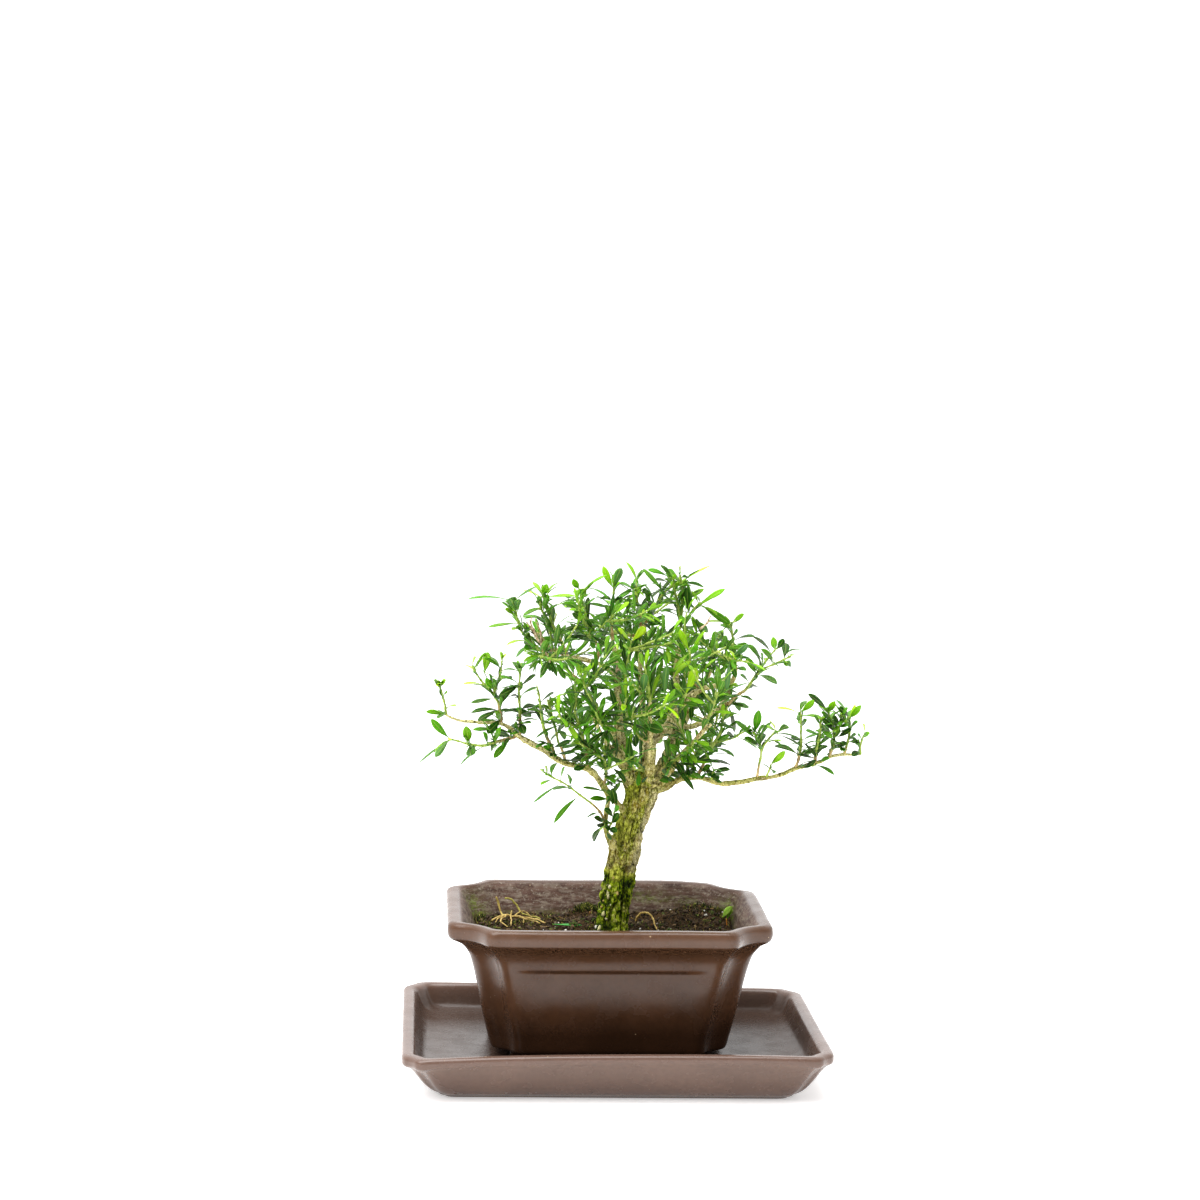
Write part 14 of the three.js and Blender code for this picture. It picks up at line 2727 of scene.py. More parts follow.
            ([8.1, -21.6, 223.8], [7.2, -8.7, 224.1], [-0.15, -0.03, 0.99], 1.9, 0.09, "y", [8.2, -22.5, 223.8]),
            ([-18.3, -21.4, 219.9], [-22.2, -27, 217], [-0.08, -0.42, 0.91], 1.6, 0.11, "d", [-17.8, -20.8, 220.3]),
            ([-13, -7.6, 210.6], [-20.1, -9.8, 219.2], [0.76, -0.39, 0.53], 2.2, 0.07, "g", [-12.4, -7.4, 209.9]),
            ([-20.9, -29.3, 230.5], [-17.3, -35.4, 237.7], [-0.72, 0.32, 0.62], 2.2, 0.1, "y", [-21.2, -28.8, 229.9]),
            ([11.6, -21.8, 224.4], [18.5, -23, 220.3], [0.38, -0.5, 0.77], 2.2, 0.08, "y", [10.8, -21.7, 224.9]),
            ([-15.2, -8.1, 217.1], [-23.1, -13.1, 223.2], [-0.48, 0.87, 0.1], 2.6, 0.06, "d", [-14.6, -7.6, 216.6]),
            ([-13.3, -6.3, 212.5], [-16.1, 1.6, 216.3], [0.95, 0.23, 0.23], 2.3, 0.08, "g", [-13, -7, 212.1]),
            ([1.3, -25.1, 221.7], [8.8, -28.4, 222.9], [-0.03, 0.28, 0.96], 2.3, 0.09, "d", [0.5, -24.7, 221.6]),
            ([-4.7, -28.8, 223], [-1.1, -34.1, 223.2], [-0.17, -0.09, 0.98], 1.4, 0.06, "y", [-5.2, -28.1, 223]),
            ([-10.4, -20.1, 217], [-3, -16.7, 222.4], [-0.21, -0.68, 0.7], 1.9, 0.1, "d", [-11.1, -20.4, 216.5]),
            ([-15.8, -17, 214.8], [-22.5, -21.2, 213.1], [-0.3, 0.09, 0.95], 2.4, 0.08, "d", [-15.1, -16.5, 215]),
            ([-9.1, -6.7, 205], [-7.1, -13.5, 211.4], [0.01, 0.69, 0.73], 1.9, 0.07, "u", [-9.2, -6.1, 204.4]),
            ([-2.5, -25.9, 221.4], [6.8, -29.5, 224], [-0.17, 0.25, 0.95], 2, 0.08, "g", [-3.3, -25.6, 221.2]),
            ([-7, -27, 221.2], [-9.2, -35.6, 223.6], [0.37, 0.16, 0.92], 2.1, 0.09, "d", [-6.8, -26.2, 221]),
            ([-19.3, -22.6, 223.4], [-24.1, -20.7, 230.3], [0.56, 0.81, 0.16], 1.6, 0.07, "g", [-18.8, -22.8, 222.6]),
            ([-20.6, -26.2, 227.8], [-22.7, -20.1, 235.9], [0.14, -0.77, 0.62], 1.9, 0.04, "y", [-20.5, -26.7, 227.1]),
            ([-17.2, -9.5, 224.7], [-17.9, -19, 228], [-0.85, 0.22, 0.47], 2.4, 0.05, "d", [-17.2, -8.7, 224.4]),
            ([-12.6, -6, 209.9], [-18.4, 3.3, 213.3], [0.14, -0.26, 0.96], 1.9, 0.09, "u", [-12.1, -6.7, 209.6]),
            ([-9.3, -5.6, 203.2], [-6.4, 0.4, 205], [0.46, -0.46, 0.76], 1.4, 0.09, "d", [-9.7, -6.3, 203]),
            ([-11.2, -7.2, 208.3], [-13.5, -18.3, 214], [-0.72, 0.43, 0.55], 2, 0.04, "g", [-11, -6.5, 207.9]),
            ([-16.9, -20.8, 219.7], [-13.7, -26.3, 221.6], [0.5, 0.53, 0.68], 1.5, 0.09, "g", [-17.4, -20, 219.4]),
            ([-5.4, -26.1, 221.9], [-1.8, -26.5, 231.2], [0.12, 0.99, 0], 1.9, 0.07, "g", [-5.7, -26, 221]),
            ([-19.2, -10, 229.8], [-24, -15.6, 230.5], [-0.2, 0.3, 0.93], 2.2, 0.07, "b", [-18.6, -9.4, 229.7]),
            ([-19.2, -10.6, 233.5], [-17.2, -15.1, 234.7], [-0.09, 0.23, 0.97], 1, 0.1, "y", [-19.6, -9.9, 233.3]),
            ([-17.9, -20.7, 221.2], [-19.4, -20, 230.9], [0.99, -0.03, 0.15], 2.4, 0.07, "g", [-17.8, -20.8, 220.3]),
            ([-21.3, -29.7, 230], [-22.4, -37.1, 231.2], [-0.75, 0.21, 0.62], 1.7, 0.05, "y", [-21.2, -28.8, 229.9]),
            ([-11.1, -21.3, 216.5], [-11.9, -32.5, 216.9], [0.04, 0.03, 1], 2.2, 0.07, "g", [-11.1, -20.4, 216.5]),
            ([-7, -26.5, 221.8], [-8.8, -29, 229], [0.6, 0.69, 0.4], 1.7, 0.11, "d", [-6.8, -26.2, 221]),
            ([-11.8, -6.2, 208.2], [-23.3, -1.8, 212.5], [0.4, 0.15, 0.91], 2.6, 0.07, "d", [-11, -6.5, 207.9]),
            ([-20.8, -25.1, 225.6], [-27, -23.2, 226.8], [0.27, 0.34, 0.9], 1.9, 0.1, "d", [-19.9, -25.4, 225.4]),
            ([6.1, -22.3, 223.2], [9.3, -9.2, 226.5], [0.32, -0.3, 0.9], 2.1, 0.06, "d", [5.9, -23.2, 223]),
            ([-17.2, -18.6, 217.2], [-26.6, -22.1, 216.5], [0.18, -0.61, 0.77], 2.8, 0.06, "d", [-16.3, -18.2, 217.3]),
            ([-7.9, -24.4, 220.4], [-6.5, -23.5, 227.7], [-0.27, -0.95, 0.17], 1.7, 0.1, "g", [-8.1, -24.5, 219.5]),
            ([-21.9, -29.4, 229.9], [-28.4, -34.6, 230.3], [0.61, -0.73, 0.3], 1.6, 0.04, "g", [-21.2, -28.8, 229.9]),
            ([-9.3, -5.5, 203], [-6.1, 0.8, 202.9], [0.06, -0.01, 1], 1.3, 0.07, "g", [-9.7, -6.3, 203]),
            ([-20.6, -25.8, 225.8], [-27.1, -30.3, 228.9], [-0.13, 0.7, 0.7], 2.3, 0.04, "d", [-19.9, -25.4, 225.4]),
            ([-14.6, -12.4, 212.2], [-13.4, -24.1, 218.7], [0.61, 0.43, 0.66], 3, 0.03, "y", [-14.7, -11.6, 211.8]),
            ([-17, -18.7, 216.9], [-25, -24.7, 213.1], [-0.43, 0, 0.9], 2.7, 0.09, "u", [-16.3, -18.2, 217.3]),
            ([-14.2, -15.2, 213], [-6.3, -23.9, 208.6], [-0.6, -0.72, 0.34], 1.9, 0.04, "d", [-14.8, -14.6, 213.3]),
            ([8.8, -23, 223.5], [15.2, -28, 221.2], [0.05, -0.38, 0.92], 2.1, 0.07, "y", [8.2, -22.5, 223.8]),
            ([-18.1, -20.2, 220.9], [-20.4, -15.9, 225.9], [-0.94, -0.11, -0.33], 1.4, 0.06, "g", [-17.8, -20.8, 220.3]),
            ([-18.7, -8.8, 227.3], [-26.2, -6.3, 230], [0.41, 0.25, 0.88], 2.2, 0.1, "y", [-17.9, -9, 227]),
            ([-15.8, -7.7, 220.4], [-18.1, -2, 232.4], [0.99, 0.09, 0.14], 2, 0.04, "g", [-15.7, -8.1, 219.6]),
            ([-20.3, -27.6, 227], [-18.6, -35.1, 226.2], [0.6, 0.04, 0.8], 2.2, 0.09, "y", [-20.5, -26.7, 227.1]),
            ([-16.7, -7.7, 222.9], [-18.1, 1.2, 228.3], [0.21, -0.48, 0.85], 2.1, 0.03, "g", [-16.6, -8.4, 222.5]),
            ([-11.4, -5.6, 207.9], [-16.2, 6, 208.9], [0.27, 0.03, 0.96], 2.6, 0.09, "d", [-11, -6.5, 207.9]),
            ([-14.8, -7.6, 214.6], [-23.9, -9.4, 213.3], [-0.17, 0.2, 0.96], 2.4, 0.05, "g", [-13.9, -7.4, 214.7]),
            ([0.6, -23.8, 221.5], [0, -16.1, 220.7], [0.26, 0.12, 0.96], 2.1, 0.04, "g", [0.7, -24.7, 221.6]),
            ([-14.3, -13.9, 213], [-7.5, -14, 213.7], [-0.09, -0.41, 0.91], 1.3, 0.09, "g", [-15.2, -13.9, 212.9]),
            ([-17, -9, 222.1], [-22.6, -15.8, 224.3], [-0.21, 0.46, 0.86], 1.5, 0.05, "g", [-16.4, -8.4, 221.9]),
            ([-6.7, -27, 220.9], [-5.3, -33.2, 220.9], [0.64, 0.13, 0.76], 1.2, 0.12, "g", [-6.9, -26.1, 221]),
            ([-9.6, -7.2, 202.8], [-6.9, -14.6, 204.8], [0.08, 0.29, 0.95], 2.4, 0.11, "g", [-9.9, -6.4, 202.6]),
            ([-16.8, -8.4, 225.9], [-11.7, -5.3, 229.9], [-0.28, -0.54, 0.79], 1.6, 0.06, "g", [-17.5, -8.8, 225.4]),
            ([-15.2, -13.7, 212.6], [-12.6, -24.7, 215.6], [0.7, 0.34, 0.63], 2.2, 0.04, "g", [-15.4, -12.9, 212.4]),
            ([-0.5, -25, 222], [5.9, -23.4, 229.1], [-0.67, -0.3, 0.68], 2.8, 0.11, "g", [-1.1, -25.2, 221.4]),
            ([-9.4, -5.4, 206], [-8.8, -1, 209.9], [-0.47, -0.54, 0.69], 1.7, 0.11, "d", [-9.5, -6.1, 205.4]),
            ([-17.3, -8.5, 222.1], [-24.3, -10, 224.1], [0.31, -0.21, 0.93], 1.9, 0.11, "y", [-16.4, -8.4, 221.9]),
            ([4.3, -22.9, 222.1], [5.6, -17.5, 220.4], [0.61, 0.1, 0.79], 1.6, 0.1, "d", [4.1, -23.7, 222.4]),
            ([9.4, -21.4, 224.4], [11.2, -16.1, 225.5], [0.59, -0.37, 0.72], 1, 0.1, "b", [9.1, -22.2, 224.2]),
            ([-11.3, -6.5, 207.4], [-18.2, -8.1, 210.4], [0.44, -0.27, 0.86], 2.4, 0.12, "u", [-10.5, -6.3, 207]),
            ([-15.5, -17.7, 215.6], [-17.6, -28.7, 217.8], [0.25, 0.14, 0.96], 1.7, 0.06, "d", [-15.3, -16.8, 215.4]),
            ([-13.1, -6.4, 210.1], [-24.4, -2.1, 211.8], [0.08, -0.19, 0.98], 2.8, 0.09, "u", [-12.2, -6.8, 209.9]),
            ([-18.2, -20.5, 219.3], [-25.1, -23.8, 217.3], [-0.39, 0.32, 0.86], 1.4, 0.11, "d", [-17.4, -20.1, 219.5]),
            ([-18.3, -8.4, 225.5], [-27.6, -3.5, 226.5], [-0.38, -0.81, 0.44], 2.8, 0.09, "u", [-17.5, -8.8, 225.4]),
            ([-9.1, -24, 218.8], [-10.1, -34.5, 223.7], [0.79, 0.2, 0.59], 1.5, 0.13, "g", [-9, -23.2, 218.5]),
            ([-18.3, -9.9, 229.6], [-17.1, -14.6, 234.4], [0.29, 0.71, 0.64], 2.1, 0.08, "p", [-18.4, -9.3, 229]),
            ([-20.5, -29, 230.7], [-15.4, -29.1, 234.5], [-0.58, 0.22, 0.78], 1.9, 0.04, "y", [-21.3, -29, 230.1]),
            ([-15.5, -7.6, 216.8], [-21.5, -7.4, 217.6], [0.14, 0.12, 0.98], 1.5, 0.13, "g", [-14.6, -7.7, 216.7]),
            ([-16.5, -15.2, 213.6], [-16.8, -27.2, 215], [-0.01, 0.12, 0.99], 2.1, 0.1, "y", [-16.5, -14.4, 213.5]),
            ([-18.2, -9.5, 230.8], [-12.9, -10.7, 238], [-0.56, 0.64, 0.52], 2.6, 0.08, "y", [-18.7, -9.4, 230.1]),
            ([-15.8, -14.5, 212.7], [-20.6, -19.3, 210.7], [0.22, -0.54, 0.81], 1.3, 0.04, "d", [-15.2, -13.9, 212.9]),
            ([-13.7, -6.9, 211.6], [-25.6, -6, 211.6], [-0.03, -0.26, 0.96], 2.3, 0.11, "d", [-12.8, -7, 211.6]),
            ([-2.4, -24.7, 221.5], [-0.2, -16.1, 224.4], [0.43, -0.39, 0.81], 1.9, 0.07, "d", [-2.7, -25.5, 221.2]),
           ]),
    "c4": ("shoot_32",
           [[[-3.1, -8, 208.9], [-3.7, -7.5, 215.6], [-3.8, -7, 222.3], [-3.4, -6.4, 229], [-3, -6, 234.7]]],
           [
            ([-3, -6.1, 234.2], [-8.4, -5.4, 245.1], [-0.03, -1, 0.05], 3.3, 0.07, "y", [-3, -6.1, 234]),
            ([-3, -6.1, 234.2], [-0.4, -15.1, 245.2], [0.25, 0.78, 0.58], 4.1, 0.04, "u", [-3, -6.1, 234]),
            ([-2.9, -6.4, 229], [-10.1, -15.4, 230.3], [-0.42, 0.45, 0.79], 3.5, 0.07, "u", [-3.4, -6.4, 229]),
            ([-2.8, -6.8, 225.2], [-6.2, 2.2, 228], [0.07, -0.28, 0.96], 3, 0.03, "y", [-3.7, -6.8, 224.8]),
            ([-3.3, -7, 221.3], [-7.2, -16, 225.2], [0.85, -0.16, 0.49], 3.1, 0.03, "y", [-3.8, -7, 221.5]),
            ([-2.4, -6.6, 227.6], [0.8, -15.6, 231], [-0.95, -0.31, 0.08], 3.4, 0.04, "d", [-3.5, -6.6, 227.4]),
            ([-1.9, -6.9, 223.3], [-12.9, -0.6, 218.6], [-0.57, -0.56, 0.6], 3.4, 0.04, "g", [-3.7, -6.9, 223.1]),
            ([-3.7, -7.4, 217.3], [-12.9, -10.6, 222.6], [0.46, 0.14, 0.88], 2.9, 0.1, "g", [-3.7, -7.4, 217.3]),
            ([-3.7, -7.4, 217.3], [7.5, -6, 224.9], [-0.49, -0.37, 0.79], 2.6, 0.07, "g", [-3.7, -7.4, 217.3]),
            ([-4.3, -7.5, 213.1], [-14.1, -5.2, 214.1], [-0.02, -0.48, 0.88], 2, 0.05, "d", [-3.4, -7.7, 213]),
            ([-3.2, -5.5, 231], [-2.8, 2.5, 233.4], [0.89, -0.17, 0.42], 1.5, 0.05, "y", [-3.3, -6.3, 230.7]),
            ([-3.1, -5.7, 227.4], [1.6, 5.2, 228.3], [-0.54, 0.17, 0.82], 2.8, 0.09, "y", [-3.5, -6.6, 227.4]),
            ([-2.8, -6.8, 233.2], [-0.2, -11.6, 237.3], [-0.47, 0.41, 0.78], 1.2, 0.1, "g", [-3.1, -6.2, 232.7]),
            ([-3.3, -6.5, 218.8], [0.8, 2.5, 221.7], [-0.88, 0.29, 0.38], 2.3, 0.1, "g", [-3.7, -7.3, 218.6]),
            ([-3.2, -6.6, 233.5], [-3.4, -9.5, 238.4], [0.26, 0.83, 0.49], 1.2, 0.07, "y", [-3.1, -6.2, 232.7]),
            ([-2.8, -6.1, 227.8], [5.8, 0.8, 233.2], [-0.64, 0.22, 0.73], 2.8, 0.1, "g", [-3.5, -6.6, 227.4]),
            ([-4, -7.5, 210.3], [-14.3, -1.7, 210.6], [-0.24, -0.48, 0.84], 2.6, 0.08, "g", [-3.2, -7.9, 210.3]),
            ([-3.4, -7, 212.4], [-4.1, -0.7, 216.4], [-0.96, -0.22, 0.19], 1.5, 0.11, "g", [-3.3, -7.8, 211.9]),
            ([-3.4, -7.4, 225.8], [-1.4, -13.5, 231.7], [-0.5, 0.51, 0.7], 2.2, 0.04, "g", [-3.6, -6.7, 225.2]),
            ([-3.2, -5.5, 234.8], [-5, 0, 242.5], [0.98, 0.05, 0.19], 1.6, 0.09, "y", [-3, -6, 234.1]),
            ([-3.3, -8.1, 217.3], [1.5, -18.4, 221.1], [0.26, 0.44, 0.86], 1.8, 0.11, "d", [-3.7, -7.4, 217.1]),
            ([-3.4, -5.7, 229.1], [-3.1, 0.2, 232.4], [0.44, -0.46, 0.77], 1.2, 0.04, "y", [-3.4, -6.5, 228.6]),
            ([-4, -7.6, 224.3], [-8.3, -18, 227.6], [-0.07, 0.33, 0.94], 1.9, 0.06, "y", [-3.7, -6.8, 224.1]),
            ([-3.1, -7.1, 210.2], [-2.9, 4.6, 215], [-0.2, -0.37, 0.91], 2, 0.12, "g", [-3.2, -7.9, 209.9]),
            ([-4.2, -6, 228.7], [-11.5, -1.5, 229.7], [0.02, -0.17, 0.99], 1.6, 0.06, "d", [-3.4, -6.5, 228.6]),
            ([-3.2, -6.6, 222.9], [2.2, -3, 228.9], [-0.53, -0.42, 0.73], 1.7, 0.05, "g", [-3.8, -7, 222.3]),
            ([-2.8, -6.4, 233.3], [-0.3, -8, 238.1], [-0.8, -0.56, 0.22], 1.6, 0.07, "y", [-3.1, -6.2, 232.6]),
            ([-4.2, -6.2, 224.5], [-10.8, 2.1, 229.7], [0.68, 0.07, 0.73], 2.8, 0.1, "g", [-3.7, -6.8, 224.1]),
            ([-3, -5.5, 234.9], [-3, -1, 241], [0.18, 0.8, -0.58], 2.4, 0.06, "y", [-3, -6, 234.1]),
           ]),
    "c5": ("shoot_33",
           [[[12.8, 30, 211.6], [11.8, 24.3, 218.1], [10.4, 19, 224.1], [8.9, 13.8, 230], [8.6, 10, 234.2]]],
           [
            ([9.1, 10, 235.7], [3.6, 11, 245.7], [0.72, -0.54, 0.45], 3.1, 0.07, "y", [8.6, 10, 234.2]),
            ([9, 10, 236.2], [13.4, 19, 241.7], [-0.45, -0.3, 0.84], 3.3, 0.05, "g", [8.6, 10, 234.2]),
            ([8.7, 10.9, 233.2], [5.6, 1.9, 236], [0.84, -0.4, -0.37], 3.4, 0.02, "g", [8.7, 10.9, 233.2]),
            ([9.2, 10.9, 233.2], [11.7, 19.9, 233.8], [0.34, -0.16, 0.93], 3.4, 0.05, "g", [8.7, 10.9, 233.2]),
            ([8.3, 11.8, 232.1], [0.5, 2.8, 229], [-0.01, -0.31, 0.95], 3.4, 0.07, "g", [8.7, 11.8, 232.2]),
            ([11.4, 14.4, 229.9], [14.1, 5.4, 232.8], [0.65, 0.4, 0.64], 3.5, 0.06, "u", [9.1, 14.4, 229.3]),
            ([7.9, 12.7, 231], [0.4, 3.7, 236.2], [0.71, -0.2, 0.68], 3.5, 0.07, "g", [8.8, 12.7, 231.2]),
            ([10, 17.7, 225.6], [11.5, 18.1, 234.4], [-0.48, -0.87, 0.12], 2.5, 0.08, "y", [10, 17.7, 225.6]),
            ([10, 17.7, 225.6], [4.7, 7.9, 224.3], [0.02, -0.14, 0.99], 2.4, 0.09, "y", [10, 17.7, 225.6]),
            ([10.9, 21, 221.9], [-0.3, 15.6, 224.2], [0.28, -0.16, 0.95], 3.1, 0.08, "d", [10.9, 21, 221.9]),
            ([10.9, 21, 221.9], [18, 13.9, 231.2], [-0.54, 0.42, 0.73], 3.1, 0.06, "d", [10.9, 21, 221.9]),
            ([12, 25, 217.3], [7.8, 25.3, 229.2], [0.9, -0.28, 0.32], 3.2, 0.04, "d", [12, 25, 217.3]),
            ([12, 26, 214.9], [8.7, 17.3, 209.8], [0.03, -0.51, 0.86], 1.9, 0.11, "g", [12.2, 26.8, 215.3]),
            ([11.4, 25.4, 216.8], [4.2, 20.8, 220.7], [0.13, 0.52, 0.84], 2.7, 0.04, "d", [12.1, 25.8, 216.4]),
            ([10.3, 19.8, 222.1], [5.6, 14, 219], [-0.74, 0.25, 0.62], 2, 0.08, "g", [10.8, 20.5, 222.4]),
            ([9, 13.3, 229.4], [8.5, 5.6, 228.6], [-0.61, -0.05, 0.79], 1.4, 0.06, "d", [9, 14.2, 229.5]),
            ([8.4, 10.3, 232.8], [4.6, 1.1, 229.6], [0.93, -0.29, -0.24], 2.5, 0.11, "y", [8.7, 11.1, 233]),
            ([12.1, 29.9, 212.8], [6.5, 34.1, 217.7], [0.44, -0.36, 0.82], 2.4, 0.1, "g", [12.7, 29.4, 212.3]),
            ([8.8, 11.3, 231.9], [8.5, 2, 233.6], [-0.68, 0.15, 0.72], 2.5, 0.03, "y", [8.8, 12.2, 231.7]),
            ([9.3, 18.1, 225], [1.2, 16.4, 225.9], [0.08, 0.16, 0.98], 2.3, 0.04, "g", [10.2, 18.3, 224.9]),
            ([11.2, 25.8, 216.5], [1.3, 25.3, 217.5], [0.04, 0.71, 0.7], 2.4, 0.09, "d", [12.1, 25.8, 216.4]),
            ([8.7, 10.2, 233], [8.6, 4.9, 232.5], [-0.11, -0.08, 0.99], 1, 0.1, "y", [8.7, 11.1, 233]),
            ([10.1, 20.4, 223], [5, 19.9, 227.5], [0.26, -0.95, 0.19], 1.8, 0.1, "g", [10.8, 20.5, 222.4]),
            ([7.9, 10.6, 232.8], [3.1, 7.6, 231.7], [-0.4, 0.33, 0.85], 1.7, 0.07, "y", [8.7, 11.1, 233]),
            ([8.8, 15.9, 227], [2, 12.1, 225.6], [-0.35, 0.31, 0.88], 2.2, 0.05, "g", [9.6, 16.3, 227.2]),
            ([9, 12.5, 232.6], [11.7, 15.2, 241.8], [-0.93, -0.19, 0.33], 2.6, 0.1, "g", [8.8, 12.2, 231.7]),
            ([9.3, 18.1, 225.1], [2.9, 16.7, 226.9], [0.28, -0.92, 0.29], 1.6, 0.09, "g", [10.2, 18.3, 224.9]),
            ([12.6, 25.9, 215.1], [16.4, 15.8, 212.4], [0.13, -0.21, 0.97], 2.3, 0.05, "d", [12.2, 26.8, 215.3]),
            ([8.3, 14.2, 230], [-3.4, 14.8, 236.9], [0.5, 0.26, 0.83], 1.8, 0.04, "g", [9, 14.2, 229.5]),
            ([8.7, 11.3, 231.7], [7.8, 1.4, 231], [0.89, -0.11, 0.45], 2.5, 0.04, "b", [8.8, 12.2, 231.7]),
            ([11.5, 23, 218.7], [10.2, 14.3, 219.7], [-0.74, 0.19, 0.65], 1.9, 0.04, "d", [11.7, 23.9, 218.6]),
            ([8.7, 10.9, 232.3], [7.9, 4.1, 232.4], [-0.74, 0.1, 0.66], 2, 0.11, "y", [8.8, 11.8, 232.2]),
            ([8.5, 13.5, 229.4], [0.7, 3.5, 227.2], [-0.61, 0.33, 0.72], 2.7, 0.06, "d", [9, 14.2, 229.5]),
            ([11.2, 25.1, 218.2], [3.5, 30.3, 224.3], [0.7, 0.62, 0.36], 2.8, 0.12, "g", [11.9, 24.7, 217.7]),
            ([9.6, 16.8, 227.9], [9.2, 23.6, 236.7], [-0.31, -0.75, 0.58], 2.9, 0.06, "g", [9.6, 16.2, 227.2]),
            ([11.5, 21.2, 222], [15.5, 19.1, 227.4], [-0.75, -0.59, 0.31], 1.9, 0.1, "u", [11, 21.5, 221.3]),
            ([11.6, 23.8, 217.7], [9.4, 17.6, 217.7], [0.48, -0.18, 0.86], 1.2, 0.12, "d", [11.9, 24.7, 217.7]),
            ([9.4, 12.2, 231.6], [13.8, 6.9, 235.3], [-0.04, 0.56, 0.83], 2.1, 0.12, "y", [8.8, 12.8, 231.1]),
            ([9.2, 14.4, 228.5], [8.3, 9.2, 229.9], [-0.38, 0.3, 0.88], 1.1, 0.07, "g", [9.3, 15.3, 228.3]),
            ([9.1, 11, 232], [12.1, 4.4, 229.9], [0.08, -0.27, 0.96], 1.3, 0.11, "y", [8.8, 11.8, 232.2]),
            ([9.9, 15.6, 227.7], [14.2, 7.2, 233.7], [-0.44, 0.37, 0.82], 2.1, 0.12, "g", [9.6, 16.2, 227.2]),
            ([11, 22.4, 221.1], [7.1, 22.5, 232.6], [0.91, 0.26, 0.31], 1.9, 0.05, "g", [11.3, 22.4, 220.3]),
           ]),
    "c6": ("shoot_34",
           [[[12.8, 30, 211.6], [12.9, 30, 209.6], [15.6, 22.1, 217.4], [17.9, 15.7, 223.6], [20.4, 10.2, 228.6], [23.3, 4.8, 233], [25.3, 1.2, 235.8], [26, -2, 239.1]],
            [[15.6, 22.1, 217.4], [20.2, 22.5, 220.7], [24.8, 23, 224.2], [29.1, 24.1, 227.8], [33.2, 25.5, 231.4]]],
           [
            ([21.5, 6.7, 231.8], [11.6, 7.3, 242.8], [0.52, -0.69, 0.5], 3.5, 0.05, "g", [22.2, 6.7, 231.5]),
            ([23.1, -2, 240], [12.8, -10.6, 244], [0.62, -0.44, 0.65], 3.2, 0.07, "g", [26, -2, 239.1]),
            ([26.2, 0.4, 236.4], [19.1, -8.2, 246.3], [0.42, 0.51, 0.75], 3.4, 0.09, "u", [25.6, 0.4, 236.6]),
            ([28.5, -1.2, 237.6], [23.8, 7.8, 242.9], [-0.49, -0.62, 0.61], 3.3, 0.03, "g", [25.9, -1.2, 238.3]),
            ([26, -1.6, 238.5], [25.3, -10.6, 242.3], [0.54, -0.36, -0.76], 2.8, 0.03, "y", [25.9, -1.6, 238.7]),
            ([24.4, 2, 235.7], [16.5, -7, 238.9], [0.5, -0.13, 0.86], 3.5, 0.09, "d", [24.9, 2, 235.1]),
            ([24.1, 2.9, 234.7], [15.3, -6.1, 230.2], [-0.32, -0.16, 0.93], 3.4, 0.1, "d", [24.4, 2.9, 234.5]),
            ([19.6, 12.2, 226.4], [30.3, 13, 226.9], [-0.01, -0.47, 0.88], 3, 0.09, "y", [19.4, 12.2, 226.8]),
            ([18.4, 15.7, 223.1], [14.3, 6.7, 226.9], [0.84, -0.48, -0.23], 3.5, 0.05, "d", [17.9, 15.7, 223.6]),
            ([20.4, 10.2, 228.6], [30.3, 4.7, 233.4], [-0.54, -0.26, 0.8], 2.7, 0.05, "g", [20.4, 10.2, 228.6]),
            ([18.5, 14.3, 224.9], [27.3, 14.1, 238.5], [-0.73, -0.5, 0.47], 3, 0.1, "d", [18.5, 14.3, 224.9]),
            ([18.5, 14.3, 224.9], [10.8, 1.6, 223.5], [0.03, -0.13, 0.99], 3, 0.08, "d", [18.5, 14.3, 224.9]),
            ([16.8, 18.7, 220.7], [12.5, 12.3, 231.2], [0.83, 0.26, 0.5], 2.6, 0.06, "g", [16.8, 18.7, 220.7]),
            ([16.8, 18.7, 220.7], [26.7, 9.1, 221.4], [-0.13, -0.06, 0.99], 2.7, 0.07, "g", [16.8, 18.7, 220.7]),
            ([15.6, 22.1, 217.4], [7.6, 9.4, 215.6], [0.31, -0.33, 0.89], 2.8, 0.06, "g", [15.6, 22.1, 217.4]),
            ([14.1, 26.4, 213], [22.9, 18.2, 216.2], [-0.29, 0.05, 0.96], 2.5, 0.05, "g", [14.1, 26.4, 213]),
            ([14.1, 26.4, 213], [6.6, 20.7, 222.2], [0.69, 0.21, 0.69], 2.6, 0.03, "g", [14.1, 26.4, 213]),
            ([24.8, 23, 224.2], [29.3, 16.5, 236.8], [0.39, 0.87, 0.31], 2.5, 0.05, "g", [24.8, 23, 224.2]),
            ([24.8, 23, 224.2], [34.9, 32.9, 224.3], [0.14, -0.15, 0.98], 2.7, 0.01, "g", [24.8, 23, 224.2]),
            ([20.2, 22.5, 220.7], [22.6, 31, 229.9], [0.67, -0.62, 0.4], 3.1, 0.06, "d", [20.2, 22.5, 220.7]),
            ([18.1, 14.1, 225.5], [12.4, 11.3, 234.9], [0.86, -0.2, 0.46], 2.6, 0.07, "g", [18.5, 14.4, 224.8]),
            ([25.7, -2.4, 238.4], [23.9, -9.1, 236.7], [0.07, -0.26, 0.96], 1.4, 0.06, "y", [25.9, -1.6, 238.6]),
            ([16.9, 17.6, 222.5], [13.8, 16.3, 232.5], [0.15, 0.97, 0.17], 2.5, 0.06, "d", [17.2, 17.7, 221.6]),
            ([32.8, 24.7, 231.5], [34.3, 21.7, 235.5], [-0.96, -0.15, 0.25], 1, 0.05, "y", [32.5, 25.3, 230.8]),
